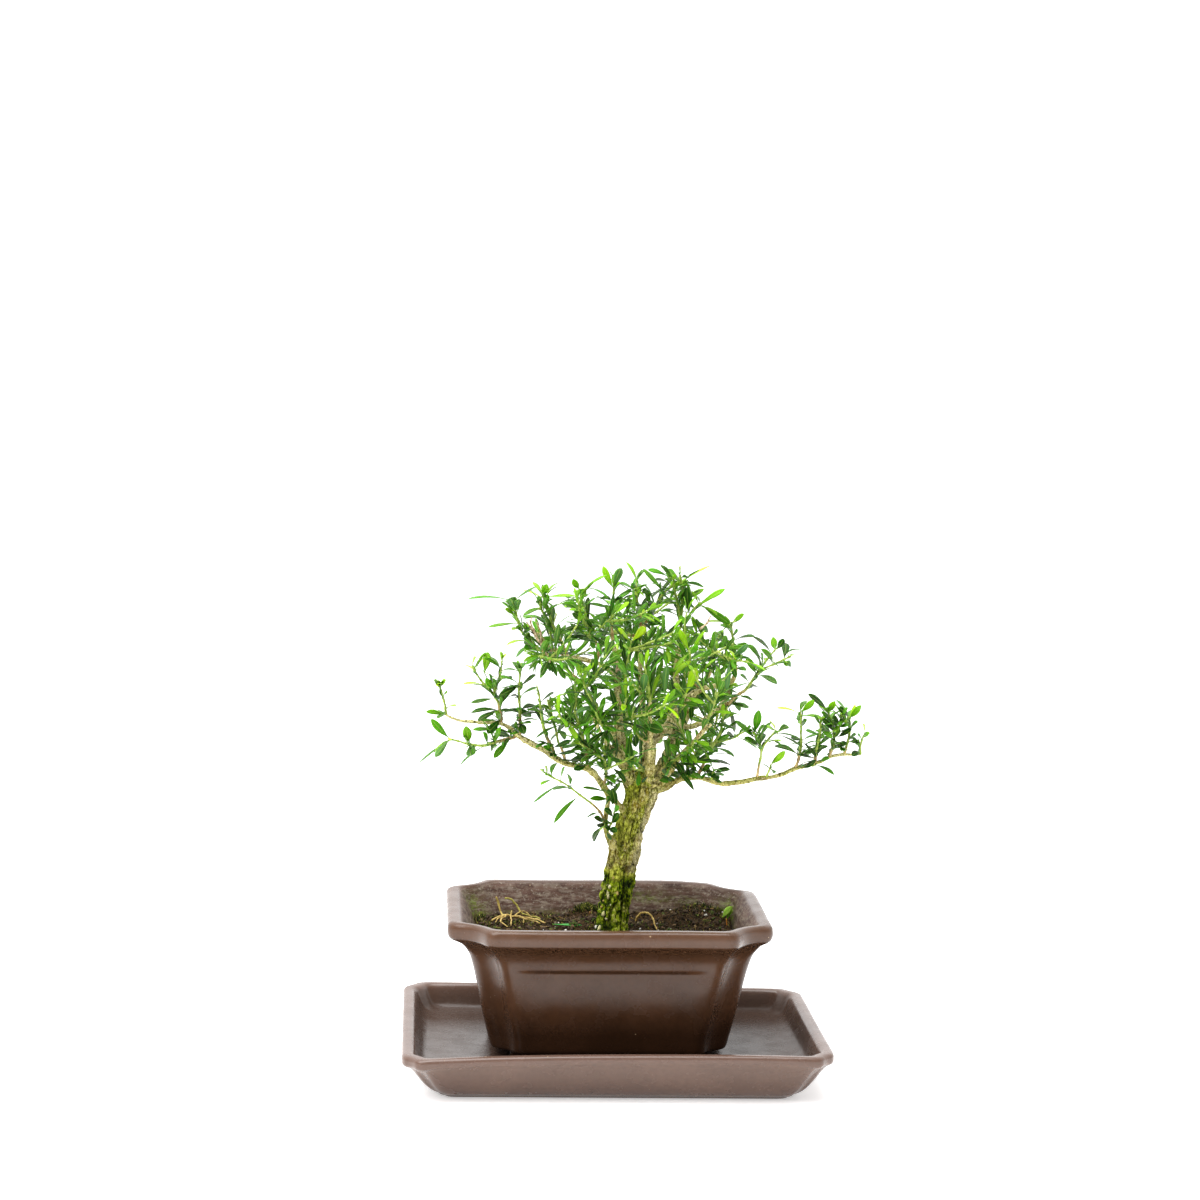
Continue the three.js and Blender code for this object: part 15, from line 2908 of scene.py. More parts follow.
            ([14.7, 27, 213.1], [24.7, 28.5, 218.1], [-0.43, 0.59, 0.68], 2.9, 0.08, "d", [14, 26.8, 212.7]),
            ([15.8, 21.4, 219.2], [14.4, 24.5, 225.7], [-0.19, -0.9, 0.39], 1.8, 0.07, "g", [16, 21, 218.4]),
            ([15.3, 23.9, 215.1], [19.3, 18.4, 216.3], [-0.81, -0.57, 0.16], 1.8, 0.1, "d", [14.7, 24.6, 215]),
            ([14.7, 22.8, 217], [11.2, 19.9, 222.2], [-0.81, 0.52, -0.26], 1.4, 0.03, "d", [15.2, 23.2, 216.3]),
            ([16, 18.7, 220.7], [6.5, 13.7, 226], [0.57, -0.25, 0.78], 2.2, 0.08, "d", [16.7, 19.1, 220.3]),
            ([17.5, 15.1, 223], [13.8, 6, 220], [0.7, -0.47, 0.54], 2.8, 0.09, "g", [17.9, 15.9, 223.3]),
            ([19.5, 11, 226.7], [18.2, 3.5, 223.8], [0.1, -0.38, 0.92], 1.7, 0.05, "g", [19.6, 11.9, 227]),
            ([12.6, 28.6, 211.5], [7.7, 27.4, 215.8], [0.06, 0.95, 0.32], 1.9, 0.11, "d", [13.3, 28.7, 210.9]),
            ([17.2, 22.1, 217.5], [22.9, 21.9, 212.7], [0.58, 0.46, 0.67], 1.6, 0.06, "d", [16.5, 22.1, 218.1]),
            ([25.2, 2.8, 234.6], [34.8, 1.5, 235.7], [0.02, 0.73, 0.69], 1.9, 0.06, "y", [24.3, 3, 234.5]),
            ([25.2, -2.1, 238.7], [21, -5.3, 239.2], [-0.09, 0.26, 0.96], 1.2, 0.06, "y", [25.9, -1.6, 238.6]),
            ([17.6, 15.6, 224.1], [15.2, 13, 231], [0.83, -0.55, 0.07], 1.6, 0.08, "g", [17.9, 15.9, 223.3]),
            ([20.2, 11.7, 227.7], [27.1, 9.7, 235.9], [-0.77, -0.11, 0.62], 2.9, 0.08, "g", [19.6, 11.9, 227]),
            ([16.7, 23, 218.3], [19.6, 34.8, 221.9], [0.51, -0.36, 0.78], 2.5, 0.1, "d", [16.5, 22.1, 218.1]),
            ([22.1, 5.8, 231.5], [20.1, -5.7, 232.3], [0.86, -0.11, 0.51], 2.8, 0.08, "g", [22.3, 6.7, 231.5]),
            ([14.7, 26.4, 212.9], [22.7, 21.2, 215], [-0.54, -0.6, 0.59], 2.1, 0.1, "g", [14, 26.8, 212.7]),
            ([25, -0.2, 237], [21.5, -5.2, 239.5], [-0.63, 0.66, 0.4], 1.2, 0.1, "y", [25.5, 0.4, 236.6]),
            ([17.2, 16.9, 221.3], [17.2, 10.2, 218.4], [-0.97, -0.09, 0.23], 2.2, 0.04, "g", [17.2, 17.7, 221.6]),
            ([14.5, 26.9, 213.5], [18.7, 27.7, 218.9], [-0.58, -0.62, 0.53], 1.4, 0.04, "d", [14, 26.8, 212.7]),
            ([24.3, 4.5, 233.8], [30.5, 6.1, 237], [0.16, -0.97, 0.17], 1.7, 0.1, "y", [23.5, 4.3, 233.4]),
            ([23.7, 3.1, 233.8], [22.7, -5.2, 234.6], [0.65, -0.14, -0.74], 2.2, 0.07, "g", [23.8, 4, 233.7]),
            ([24, 5.2, 233.5], [28.8, 8.8, 236.4], [-0.29, -0.31, 0.9], 1.2, 0.05, "y", [23.4, 4.7, 233.1]),
            ([25.3, 22.5, 224.3], [29.6, 18.9, 225.8], [0.22, 0.59, 0.78], 1.3, 0.09, "d", [24.6, 23, 224.1]),
            ([29.7, 24.1, 227.2], [39.3, 25.1, 221.6], [0.34, 0.63, 0.7], 2, 0.04, "d", [28.9, 24, 227.6]),
            ([17.3, 21.9, 217.6], [24.7, 18.4, 210.4], [0.73, 0.31, 0.6], 2, 0.11, "u", [16.7, 22.2, 218.2]),
            ([26.5, 22.7, 224.9], [32.2, 16, 222.5], [0.28, -0.12, 0.95], 2.5, 0.11, "y", [26, 23.3, 225.2]),
            ([31.7, 25.6, 230.3], [34.4, 33.6, 236.2], [-0.39, -0.45, 0.8], 2.6, 0.06, "y", [31.4, 24.9, 229.8]),
            ([21.5, 7.1, 231.4], [19.7, 3, 237], [-0.86, 0.51, 0.09], 2.3, 0.08, "g", [21.8, 7.6, 230.7]),
            ([25.5, -2, 238.6], [20.6, -12.4, 242.5], [0.02, 0.34, 0.94], 2.1, 0.08, "g", [25.8, -1.3, 238.3]),
            ([22.1, 8.7, 230.3], [27.5, 9.9, 232.4], [-0.34, -0.1, 0.93], 1.7, 0.09, "d", [21.3, 8.5, 230]),
            ([19, 14.4, 225.4], [23.6, 13.9, 231.3], [-0.78, 0.11, 0.61], 1.5, 0.1, "d", [18.5, 14.5, 224.6]),
            ([19.7, 10.5, 227.3], [18.3, 2.8, 225.8], [0.64, -0.25, 0.72], 1.4, 0.06, "d", [19.8, 11.4, 227.4]),
            ([27.9, 24.6, 226.6], [28.9, 31.1, 226.4], [0.93, -0.14, 0.32], 2, 0.12, "d", [27.7, 23.7, 226.6]),
            ([21.1, 10, 229.2], [27.1, 9.5, 234.3], [-0.65, -0.09, 0.75], 2.2, 0.07, "d", [20.4, 10.1, 228.7]),
            ([15.6, 19.8, 219.9], [7.7, 17.2, 225.6], [0.48, -0.83, 0.29], 2.3, 0.05, "g", [16.3, 20, 219.4]),
            ([20.1, 23, 219.8], [24.5, 26.6, 217.1], [0.23, 0.39, 0.89], 1.3, 0.11, "d", [19.5, 22.4, 220.2]),
            ([16.3, 19.1, 219.5], [16.3, 7.6, 221.4], [1, 0, 0.01], 1.6, 0.13, "d", [16.3, 20, 219.4]),
           ]),
    "c9": ("shoot_35",
           [[[30.1, 11, 208.1], [30.2, 8, 214.3], [33.3, 5, 219.6], [36.3, 2.1, 224.3], [38.9, 0, 227.5]],
            [[30.6, 7.5, 215.3], [29.3, 5.4, 222.4], [28.1, 3.6, 228.4], [26.7, 2, 233.4], [26.3, 1, 236.8]],
            [[30.4, 7.1, 216.5], [30.8, 6, 223.3], [30.6, 4.9, 229.2], [30.4, 4.1, 234.2], [29.2, 3, 240.6]]],
           [
            ([38.9, 0, 227.5], [50.8, -0.7, 234.5], [-0.25, -0.91, 0.33], 3, 0.04, "y", [38.9, 0, 227.5]),
            ([39.5, 0.3, 226.5], [53.8, 1.1, 217.4], [0.07, -1, 0.02], 3.7, 0.03, "g", [38.6, 0.3, 227.1]),
            ([38.5, 0, 227.9], [36.7, 9, 230.9], [0.66, -0.12, 0.75], 3.2, 0.06, "g", [38.9, 0, 227.5]),
            ([35.2, 4.6, 219.2], [44.3, 12.9, 212], [0.73, -0.67, 0.14], 3.4, 0.09, "g", [33.6, 4.6, 220.2]),
            ([34.2, 4.6, 219.6], [22.2, 3.2, 208], [-0.57, -0.5, 0.65], 3.5, 0.07, "d", [33.6, 4.6, 220.2]),
            ([29.8, 5.4, 222.4], [20, -3.2, 223.2], [0.24, -0.18, 0.95], 3.3, 0.1, "g", [29.3, 5.4, 222.4]),
            ([28.1, 3.6, 228.4], [30.2, -5.4, 233.7], [-0.98, -0.2, 0.04], 3.1, 0.05, "g", [28.1, 3.6, 228.4]),
            ([30.8, 3.6, 237.6], [43.6, 2.3, 245.2], [-0.51, -0.32, 0.8], 2.9, 0.04, "p", [29.9, 3.6, 237.3]),
            ([31.3, 3.7, 236.6], [40.3, -4.3, 235.6], [0.46, 0.42, 0.78], 3.7, 0.05, "u", [30.1, 3.7, 236.5]),
            ([29.8, 3.3, 239.1], [32.4, -5.7, 240.5], [0.5, 0.27, 0.82], 3.2, 0.07, "u", [29.6, 3.3, 238.9]),
            ([29.2, 3, 241], [28, -6, 245.3], [0.96, -0.21, -0.16], 3, 0.02, "p", [29.2, 3, 240.6]),
            ([31.6, 5.1, 228.3], [41.1, 4.2, 233.8], [-0.39, -0.73, 0.56], 3.1, 0.05, "y", [30.6, 5.1, 228.6]),
            ([34.3, 6.1, 221.9], [32.3, -2.9, 235.4], [0.03, -0.83, -0.55], 4.6, 0.03, "d", [30.8, 6.1, 222.5]),
            ([31.2, 5.6, 225.3], [28, 14.6, 227.2], [0.91, 0.26, 0.31], 3.6, 0.07, "u", [30.8, 5.6, 225.6]),
            ([35.6, 2.8, 223.2], [32.8, 5.8, 236.8], [0.71, -0.65, 0.29], 2.8, 0.02, "g", [35.6, 2.8, 223.2]),
            ([30.5, 7.6, 215], [35.6, -4.3, 214.6], [-0.07, -0.07, 1], 2.9, 0.03, "g", [30.5, 7.6, 215]),
            ([30.5, 7.6, 215], [29.2, 12.6, 225.8], [0.21, -0.88, 0.43], 2.6, 0.02, "g", [30.5, 7.6, 215]),
            ([27.3, 2.8, 231], [34.5, 3.9, 241.3], [-0.82, -0.06, 0.57], 2.6, 0.03, "g", [27.3, 2.8, 231]),
            ([27.3, 2.8, 231], [15.3, -2.8, 237], [0.4, 0.12, 0.91], 2.7, 0.07, "g", [27.3, 2.8, 231]),
            ([28.7, 4.5, 225.5], [18.1, 12.4, 232.5], [0.34, -0.32, 0.88], 2.6, 0.02, "g", [28.7, 4.5, 225.5]),
            ([28.7, 4.5, 225.5], [30.6, -3.1, 234], [-0.31, 0.68, 0.67], 2.6, 0.03, "g", [28.7, 4.5, 225.5]),
            ([29.8, 6.2, 219.8], [20, -1, 223.5], [0.28, 0.1, 0.95], 3.1, 0.06, "d", [29.8, 6.2, 219.8]),
            ([29.8, 6.2, 219.8], [36.4, 7.3, 230.1], [-0.84, 0.01, 0.54], 3.2, 0.1, "d", [29.8, 6.2, 219.8]),
            ([30.4, 4.1, 234.2], [29.2, 11.6, 238.8], [-0.11, -0.54, 0.84], 2.4, 0.08, "y", [30.4, 4.1, 234.2]),
            ([37.6, 1.8, 225.4], [47.1, 2.9, 231.6], [-0.29, -0.76, 0.58], 1.9, 0.04, "y", [36.8, 1.7, 224.9]),
            ([30.8, 5.4, 229.2], [31.7, 8.4, 236.3], [0.08, -0.92, 0.38], 1.8, 0.06, "d", [30.6, 5.1, 228.3]),
            ([34, 3.6, 220.8], [36.1, -5.2, 224.3], [-0.86, 0, 0.52], 2.4, 0.03, "g", [33.8, 4.4, 220.5]),
            ([30.3, 10.7, 209.7], [31.5, 11.4, 216.6], [-0.89, -0.41, 0.19], 1.8, 0.07, "d", [30.1, 10.7, 208.8]),
            ([30.4, 7.3, 214.4], [32.7, -3.5, 219], [-0.39, 0.29, 0.87], 3, 0.05, "d", [30.2, 8.1, 214.1]),
            ([30.8, 5.2, 223.6], [31.1, -1.7, 226.8], [-0.04, 0.42, 0.91], 2.2, 0.1, "g", [30.8, 6, 223.2]),
            ([30.8, 8.4, 212.6], [38.6, 1.9, 215.9], [0, 0.46, 0.89], 2.4, 0.06, "g", [30.2, 9, 212.3]),
            ([26, 1.9, 236.3], [22.9, 5.8, 240.4], [-0.09, -0.76, 0.64], 1.6, 0.11, "g", [26.4, 1.3, 235.7]),
            ([35.9, 3.5, 223], [42.5, 6.3, 227.6], [-0.61, 0.17, 0.78], 2.2, 0.03, "g", [35.2, 3.2, 222.5]),
            ([30.2, 6.1, 220.5], [25, -0.6, 231.3], [0.86, 0.13, 0.5], 2.9, 0.1, "g", [30.6, 6.6, 219.8]),
            ([28.1, 4.3, 225.2], [22.6, 1, 228.2], [0.41, 0.12, 0.9], 1.7, 0.07, "d", [28.8, 4.7, 224.8]),
            ([30.6, 4.2, 228.5], [30.5, -5.2, 230.5], [0.2, 0.2, 0.96], 2, 0.03, "d", [30.6, 5.1, 228.3]),
            ([30.7, 3.4, 235], [33, -1.4, 238.7], [-0.9, -0.11, 0.41], 1.7, 0.05, "g", [30.4, 4.1, 234.4]),
            ([29.4, 10.2, 209.2], [24.3, 6.3, 211.8], [-0.21, 0.72, 0.66], 1.5, 0.1, "d", [30.1, 10.7, 208.8]),
            ([26.4, 0.5, 236.1], [26.4, -4.4, 238.4], [0.28, 0.41, 0.87], 1.2, 0.08, "y", [26.4, 1.3, 235.7]),
            ([27.9, 3.3, 226.9], [19.3, -7.5, 227.1], [0.19, -0.14, 0.97], 2.6, 0.09, "g", [28.4, 4, 226.9]),
            ([26.7, 2.9, 230.7], [18.6, 2.7, 233.5], [0.3, 0.32, 0.9], 1.8, 0.11, "g", [27.5, 3, 230.4]),
            ([37, 0.8, 225.2], [37.9, -6.2, 227.3], [0.84, -0.04, -0.54], 1.5, 0.06, "g", [36.8, 1.7, 224.9]),
            ([38.8, 0.5, 225.9], [47.2, -2.1, 222], [0.46, 0.74, 0.49], 2.3, 0.09, "y", [38, 0.8, 226.3]),
            ([31, 7.7, 216.6], [38.9, 13.4, 224.7], [0.75, -0.13, -0.65], 2.2, 0.07, "u", [30.4, 7.3, 216.1]),
            ([37.1, 0.9, 225.2], [39, -5.3, 227.4], [0.69, 0.42, 0.59], 1.9, 0.07, "b", [36.8, 1.7, 224.9]),
            ([30.8, 3.8, 236.7], [40.5, 3.9, 243.3], [-0.54, 0.26, 0.8], 3, 0.11, "g", [30.1, 3.7, 236.2]),
            ([30.1, 4.7, 235], [27.2, 10.9, 241], [0.82, -0.15, 0.55], 1.9, 0.04, "d", [30.4, 4.1, 234.4]),
            ([30.8, 7, 220.5], [33.7, 13.5, 230.9], [-0.6, -0.59, 0.54], 1.9, 0.09, "g", [30.6, 6.6, 219.8]),
            ([31.3, 5.1, 225.7], [38.8, -2.7, 233.9], [-0.26, 0.57, 0.78], 2.8, 0.09, "d", [30.8, 5.6, 225.1]),
            ([30.3, 2.9, 236.4], [32.9, -5.1, 238.4], [0.36, 0.33, 0.87], 1.7, 0.07, "b", [30.1, 3.8, 236.2]),
            ([26.4, 0.5, 236], [25.9, -7.8, 238.9], [0.48, 0.26, 0.84], 1.8, 0.1, "g", [26.4, 1.4, 235.7]),
            ([28.2, 4.6, 228.2], [28.2, 10.9, 231.3], [-0.87, -0.22, 0.44], 1.4, 0.12, "y", [28.2, 3.7, 227.9]),
            ([34.7, 4.3, 221.4], [40.4, 5, 226], [-0.62, -0.15, 0.77], 2.2, 0.04, "g", [34, 4.2, 220.8]),
            ([29.3, 6.4, 221.8], [27.5, 12.9, 225.6], [0, -0.51, 0.86], 1.5, 0.07, "d", [29.5, 5.7, 221.4]),
            ([36.8, 2.8, 224.5], [40.3, 6.4, 226.9], [-0.57, 0, 0.82], 1.2, 0.1, "y", [36.2, 2.2, 224.1]),
            ([30.3, 3.4, 233.2], [27.8, -6.3, 234.8], [-0.25, 0.22, 0.94], 2.6, 0.07, "g", [30.5, 4.3, 233]),
            ([29.4, 4.4, 236.3], [22.4, 11.7, 237.8], [0.24, 0.03, 0.97], 1.7, 0.08, "y", [30.1, 3.8, 236.2]),
            ([31.2, 6.8, 215.2], [35.8, 0.3, 215.2], [-0.28, -0.2, 0.94], 1.6, 0.04, "g", [30.7, 7.5, 215.2]),
            ([27.5, 1.8, 233.3], [32.6, -1.2, 237.1], [-0.65, -0.14, 0.75], 1.5, 0.07, "y", [26.8, 2.2, 232.8]),
            ([38.1, -0.2, 227.5], [34.3, -5.7, 233.8], [0.22, 0.66, 0.71], 1.9, 0.04, "b", [38.5, 0.3, 226.9]),
            ([29.3, 2.3, 240], [28.5, -9.5, 242.7], [-0.2, 0.23, 0.95], 1.7, 0.08, "g", [29.4, 3.1, 239.8]),
            ([30.6, 3.5, 233.4], [31.5, -2.7, 235.9], [0.98, 0.16, 0.06], 1.6, 0.12, "g", [30.5, 4.3, 233]),
           ]),
    "c10": ("shoot_36",
           [[[58, 9, 193.1], [57, 7.6, 201.6], [55.9, 6.3, 209], [54.6, 5, 216.9]],
            [[57.5, 8.3, 197.4], [52.3, 7.7, 199.7], [47.5, 6.9, 202.7], [42.8, 6.2, 206], [38.8, 5.8, 210]]],
           [
            ([54.6, 5, 217.4], [60, -3.5, 222.8], [-0.87, -0.49, 0.09], 3, 0.07, "y", [54.6, 5, 216.9]),
            ([54.8, 5.5, 214], [50.7, 14.5, 215.8], [-0.03, -0.22, 0.98], 3.5, 0.02, "g", [55.1, 5.5, 214]),
            ([54.2, 5, 216.4], [42.4, -1.7, 218.5], [0.29, -0.23, 0.93], 2.8, 0.06, "p", [54.6, 5, 216.9]),
            ([56.9, 6.3, 209], [65.6, -2.7, 211.7], [-0.41, -0.13, 0.9], 3.7, 0.08, "d", [55.9, 6.3, 209]),
            ([55.8, 6, 211], [57.3, -3, 214.5], [-0.95, -0.03, 0.32], 3.5, 0.03, "g", [55.6, 6, 211]),
            ([56.5, 7, 205.3], [44.1, 8.3, 209.6], [0.31, -0.16, 0.94], 3.1, 0.08, "d", [56.5, 7, 205.3]),
            ([57.2, 7.9, 199.5], [55, 20.1, 206.8], [-0.59, -0.49, 0.64], 3, 0.02, "d", [57.2, 7.9, 199.5]),
            ([57.2, 7.9, 199.5], [55.4, -1.7, 208.7], [0.15, 0.67, 0.73], 3.1, 0.08, "d", [57.2, 7.9, 199.5]),
            ([38.8, 5.8, 210], [30, 2.8, 215.3], [0.27, 0.56, 0.78], 2.3, 0.06, "y", [38.8, 5.8, 210]),
            ([38.8, 5.8, 210], [36, 8.6, 220.1], [0.21, -0.92, 0.32], 2.4, 0.06, "y", [38.8, 5.8, 210]),
            ([42.3, 6.2, 206.4], [37.4, 1.3, 219.8], [0.59, 0.66, 0.46], 3.1, 0.03, "d", [42.3, 6.2, 206.4]),
            ([46.3, 6.7, 203.5], [38.2, -2.9, 198.1], [-0.5, -0.06, 0.86], 2.9, 0.05, "d", [46.3, 6.7, 203.5]),
            ([51.1, 7.5, 200.4], [37.8, 14.7, 197.7], [-0.4, -0.43, 0.81], 2.8, 0.04, "d", [51.1, 7.5, 200.4]),
            ([51.3, 6.6, 200.6], [51.8, -6.2, 203.6], [0.8, 0.17, 0.58], 2.1, 0.08, "d", [51.2, 7.5, 200.4]),
            ([56.3, 6.3, 205.5], [54.8, 1.1, 209.2], [-0.28, 0.61, 0.74], 1.3, 0.05, "y", [56.5, 7, 205]),
            ([52.9, 8.6, 199.1], [49.6, 14.5, 197.4], [-0.51, -0.04, 0.86], 1.8, 0.06, "g", [53.3, 7.8, 199.3]),
            ([56.6, 8.1, 197.9], [47.5, 6.5, 199], [-0.03, 0.72, 0.69], 2.1, 0.06, "g", [57.4, 8.2, 197.8]),
            ([43.8, 6.8, 204.4], [37.2, 10.5, 200.9], [-0.29, 0.35, 0.89], 2.3, 0.09, "d", [44.5, 6.5, 204.8]),
            ([39.1, 6.4, 209.3], [31.9, 10.7, 212.1], [0.47, 0.23, 0.85], 2.4, 0.09, "y", [39.8, 5.9, 209]),
            ([54.8, 4.4, 215.1], [53.5, -2.1, 214.8], [0.71, -0.17, 0.69], 1.9, 0.04, "g", [54.9, 5.3, 215.1]),
            ([58, 7.8, 195.1], [61.7, -3.5, 195.4], [-0.55, -0.16, 0.82], 3, 0.07, "g", [57.8, 8.7, 195.1]),
            ([54.9, 6.4, 213.8], [50.7, 16.5, 218.1], [0.29, -0.27, 0.92], 2.1, 0.09, "y", [55.2, 5.6, 213.5]),
            ([57, 6.4, 205.3], [62.1, 0.5, 208.3], [-0.78, -0.62, 0.11], 1.8, 0.1, "g", [56.5, 7, 205]),
            ([56, 7.2, 207.7], [54.3, 11.8, 213.7], [0.94, -0.09, 0.33], 2, 0.09, "y", [56.2, 6.7, 207]),
            ([50.4, 7.8, 200.4], [43.3, 10.6, 200.2], [0.03, 0.16, 0.99], 1.8, 0.07, "g", [51.2, 7.5, 200.4]),
            ([55.8, 6.6, 210.8], [56, 9.9, 216.7], [-1, 0.01, 0.02], 1.3, 0.07, "g", [55.8, 6.2, 210]),
            ([53.1, 7.7, 200.1], [49.8, 5.1, 213.2], [0.8, 0.52, 0.31], 2.7, 0.04, "d", [53.3, 7.8, 199.3]),
            ([56.6, 8, 197.7], [49.4, 6, 197.5], [-0.27, 0.93, 0.26], 1.8, 0.08, "d", [57.4, 8.2, 197.8]),
            ([39.5, 6.7, 209.4], [35.9, 15.7, 213.1], [-0.83, -0.47, 0.31], 2.9, 0.11, "y", [39.8, 5.9, 209]),
            ([54.7, 4.5, 215.5], [53.4, -0.8, 217.9], [0.7, 0.14, 0.7], 1.3, 0.05, "g", [54.9, 5.3, 215.1]),
            ([55.5, 6.8, 210.5], [52.5, 15.2, 217.8], [0.96, 0.25, 0.11], 2.3, 0.11, "d", [55.8, 6.2, 210]),
            ([57.7, 7.4, 198.1], [60.2, 1.2, 200.7], [0.93, 0.36, 0], 1.5, 0.05, "g", [57.4, 8.2, 197.8]),
            ([57.1, 7, 199.8], [56.4, 0.4, 200.6], [0.88, -0.03, 0.48], 1.6, 0.04, "u", [57.2, 7.9, 199.6]),
            ([57.1, 7.1, 199], [56.2, 0.7, 198.9], [0.89, -0.14, 0.45], 1.6, 0.09, "d", [57.3, 8, 199]),
            ([44.1, 5.7, 205.5], [42.9, -0.2, 210.1], [-0.15, 0.62, 0.77], 2.4, 0.12, "g", [44.2, 6.4, 205]),
            ([57.7, 7.6, 196.2], [58.4, -4, 196.4], [0.58, 0.06, 0.81], 1.8, 0.06, "d", [57.6, 8.5, 196.1]),
            ([42.3, 5.5, 206], [36.8, -1.2, 206.7], [-0.31, 0.35, 0.89], 2.7, 0.07, "g", [42.9, 6.2, 205.9]),
            ([55, 6, 211.7], [51.1, 6, 216], [0.73, 0.18, 0.66], 1.6, 0.11, "g", [55.6, 6, 211.1]),
            ([56.4, 7.7, 206.3], [57, 15.1, 209.4], [-0.36, -0.33, 0.87], 1.7, 0.11, "g", [56.4, 6.9, 205.9]),
            ([54.9, 4.3, 216.1], [55.5, -5.6, 219.3], [-0.25, 0.28, 0.93], 2.6, 0.07, "p", [54.8, 5.2, 215.9]),
            ([57.1, 8.6, 194.4], [49.6, 6.8, 197.2], [0.4, -0.7, 0.6], 1.7, 0.05, "g", [57.9, 8.8, 194.1]),
            ([39.8, 6.8, 209.4], [39.6, 12.7, 211.6], [-0.12, -0.35, 0.93], 1.2, 0.08, "b", [39.8, 5.9, 209.1]),
            ([55.1, 6.1, 213], [52, 8.9, 220.6], [0.85, -0.28, 0.45], 2.3, 0.11, "y", [55.4, 5.8, 212.3]),
            ([54.6, 4.9, 214.5], [50.3, -0.3, 218], [-0.28, 0.69, 0.67], 1.6, 0.11, "y", [55.1, 5.5, 214.1]),
            ([39.5, 5.1, 208.9], [36.9, -3.5, 207.1], [0.8, -0.35, 0.49], 1.6, 0.1, "y", [39.8, 5.9, 209.1]),
           ]),
    "c12": ("shoot_37",
           [[[39, -10, 186.6], [31.9, -12, 197.4], [32.9, -21.5, 202.4], [32.1, -30, 207.2]],
            [[32, -16.3, 200.2], [37.4, -17.9, 202.4], [42.7, -19.2, 204.6], [47.8, -20.6, 207.4], [52.8, -21.9, 210.3]],
            [[31.7, -14.6, 199.5], [31.1, -14.4, 205.4], [30.8, -14.3, 211.3], [30.8, -13.8, 217.2], [31.5, -12.9, 223]],
            [[46.1, -20.2, 206.5], [48.9, -24.2, 205], [51.9, -28.3, 204.1], [55.4, -32.1, 203.6], [58.9, -35.9, 203.8]]],
           [
            ([32.1, -30, 207.2], [26.7, -29.2, 218], [-0.03, -1, 0.06], 3.3, 0.09, "y", [32.1, -30, 207.2]),
            ([32.4, -26.9, 205.4], [35.3, -35.9, 211.3], [-0.51, -0.58, -0.63], 3.3, 0.07, "g", [32.5, -26.9, 205.4]),
            ([32.8, -20.3, 201.8], [27.6, -24.1, 211.2], [-0.38, -0.76, -0.52], 2.9, 0.04, "g", [32.8, -20.3, 201.8]),
            ([32.8, -20.3, 201.8], [41.4, -27.2, 197.6], [-0.35, -0.77, 0.54], 2.7, 0.04, "g", [32.8, -20.3, 201.8]),
            ([31.6, -13.9, 199], [19.7, -19.7, 204.2], [0.41, -0.01, 0.91], 2.7, 0.09, "u", [31.6, -13.9, 199]),
            ([31.6, -13.9, 199], [40.5, -21, 207.3], [-0.73, -0.14, 0.66], 3.1, 0.08, "u", [31.6, -13.9, 199]),
            ([34, -10.7, 193.7], [23.7, -15.5, 195.9], [0.07, 0.28, 0.96], 2.8, 0.04, "g", [34, -10.7, 193.7]),
            ([34, -10.7, 193.7], [32.8, -5.6, 204.7], [-0.43, -0.83, 0.34], 2.9, 0.04, "g", [34, -10.7, 193.7]),
            ([52.8, -21.9, 210.3], [62, -29.7, 209.8], [0.28, 0.27, 0.92], 2.6, 0.08, "g", [52.8, -21.9, 210.3]),
            ([47.8, -20.6, 207.4], [48.9, -31.1, 215.4], [0.46, 0.57, 0.68], 2.7, 0.06, "g", [47.8, -20.6, 207.4]),
            ([47.8, -20.6, 207.4], [60.1, -15.6, 207.7], [0.32, -0.81, 0.49], 2.6, 0.1, "g", [47.8, -20.6, 207.4]),
            ([42.7, -19.2, 204.6], [44.6, -16.2, 215.5], [0.54, -0.83, 0.14], 2.8, 0.06, "g", [42.7, -19.2, 204.6]),
            ([38, -18.1, 202.7], [42, -29.3, 208.1], [0.75, 0.48, 0.45], 2.9, 0.08, "g", [38, -18.1, 202.7]),
            ([31.5, -12.9, 223], [30, -13.8, 232], [0.97, 0.17, 0.17], 2.4, 0.03, "y", [31.5, -12.9, 223]),
            ([31.5, -12.9, 223], [36.4, -10.2, 231.8], [-0.81, -0.23, 0.53], 2.3, 0.07, "y", [31.5, -12.9, 223]),
            ([30.8, -13.8, 217.2], [32.2, -23.3, 223.7], [-0.07, 0.56, 0.82], 2.7, 0.1, "g", [30.8, -13.8, 217.2]),
            ([30.8, -13.8, 217.2], [29.4, -3.5, 221.7], [0.09, -0.39, 0.92], 2.9, 0.06, "g", [30.8, -13.8, 217.2]),
            ([30.8, -14.3, 211.3], [42, -12.7, 217.6], [-0.48, -0.09, 0.87], 2.9, 0.03, "d", [30.8, -14.3, 211.3]),
            ([31.1, -14.4, 204.6], [25.8, -7.2, 213.6], [0.33, -0.63, 0.7], 2.9, 0.04, "d", [31.1, -14.4, 204.6]),
            ([31.1, -14.4, 204.6], [36.4, -25.3, 215.3], [-0.19, 0.64, 0.74], 3.1, 0.06, "d", [31.1, -14.4, 204.6]),
            ([58.9, -35.9, 203.8], [66.6, -43.2, 200.4], [0.18, -0.26, 0.95], 2.3, 0.05, "y", [58.9, -35.9, 203.8]),
            ([54.5, -31.1, 203.6], [53, -41.9, 205.8], [0.32, 0.15, 0.93], 2.6, 0.07, "g", [54.5, -31.1, 203.6]),
            ([54.5, -31.1, 203.6], [67.8, -30.9, 199.1], [0.28, -0.54, 0.8], 2.5, 0.04, "g", [54.5, -31.1, 203.6]),
            ([51.5, -27.8, 204.2], [49.5, -33.8, 189.9], [-0.24, -0.89, 0.4], 2.9, 0.03, "u", [51.5, -27.8, 204.2]),
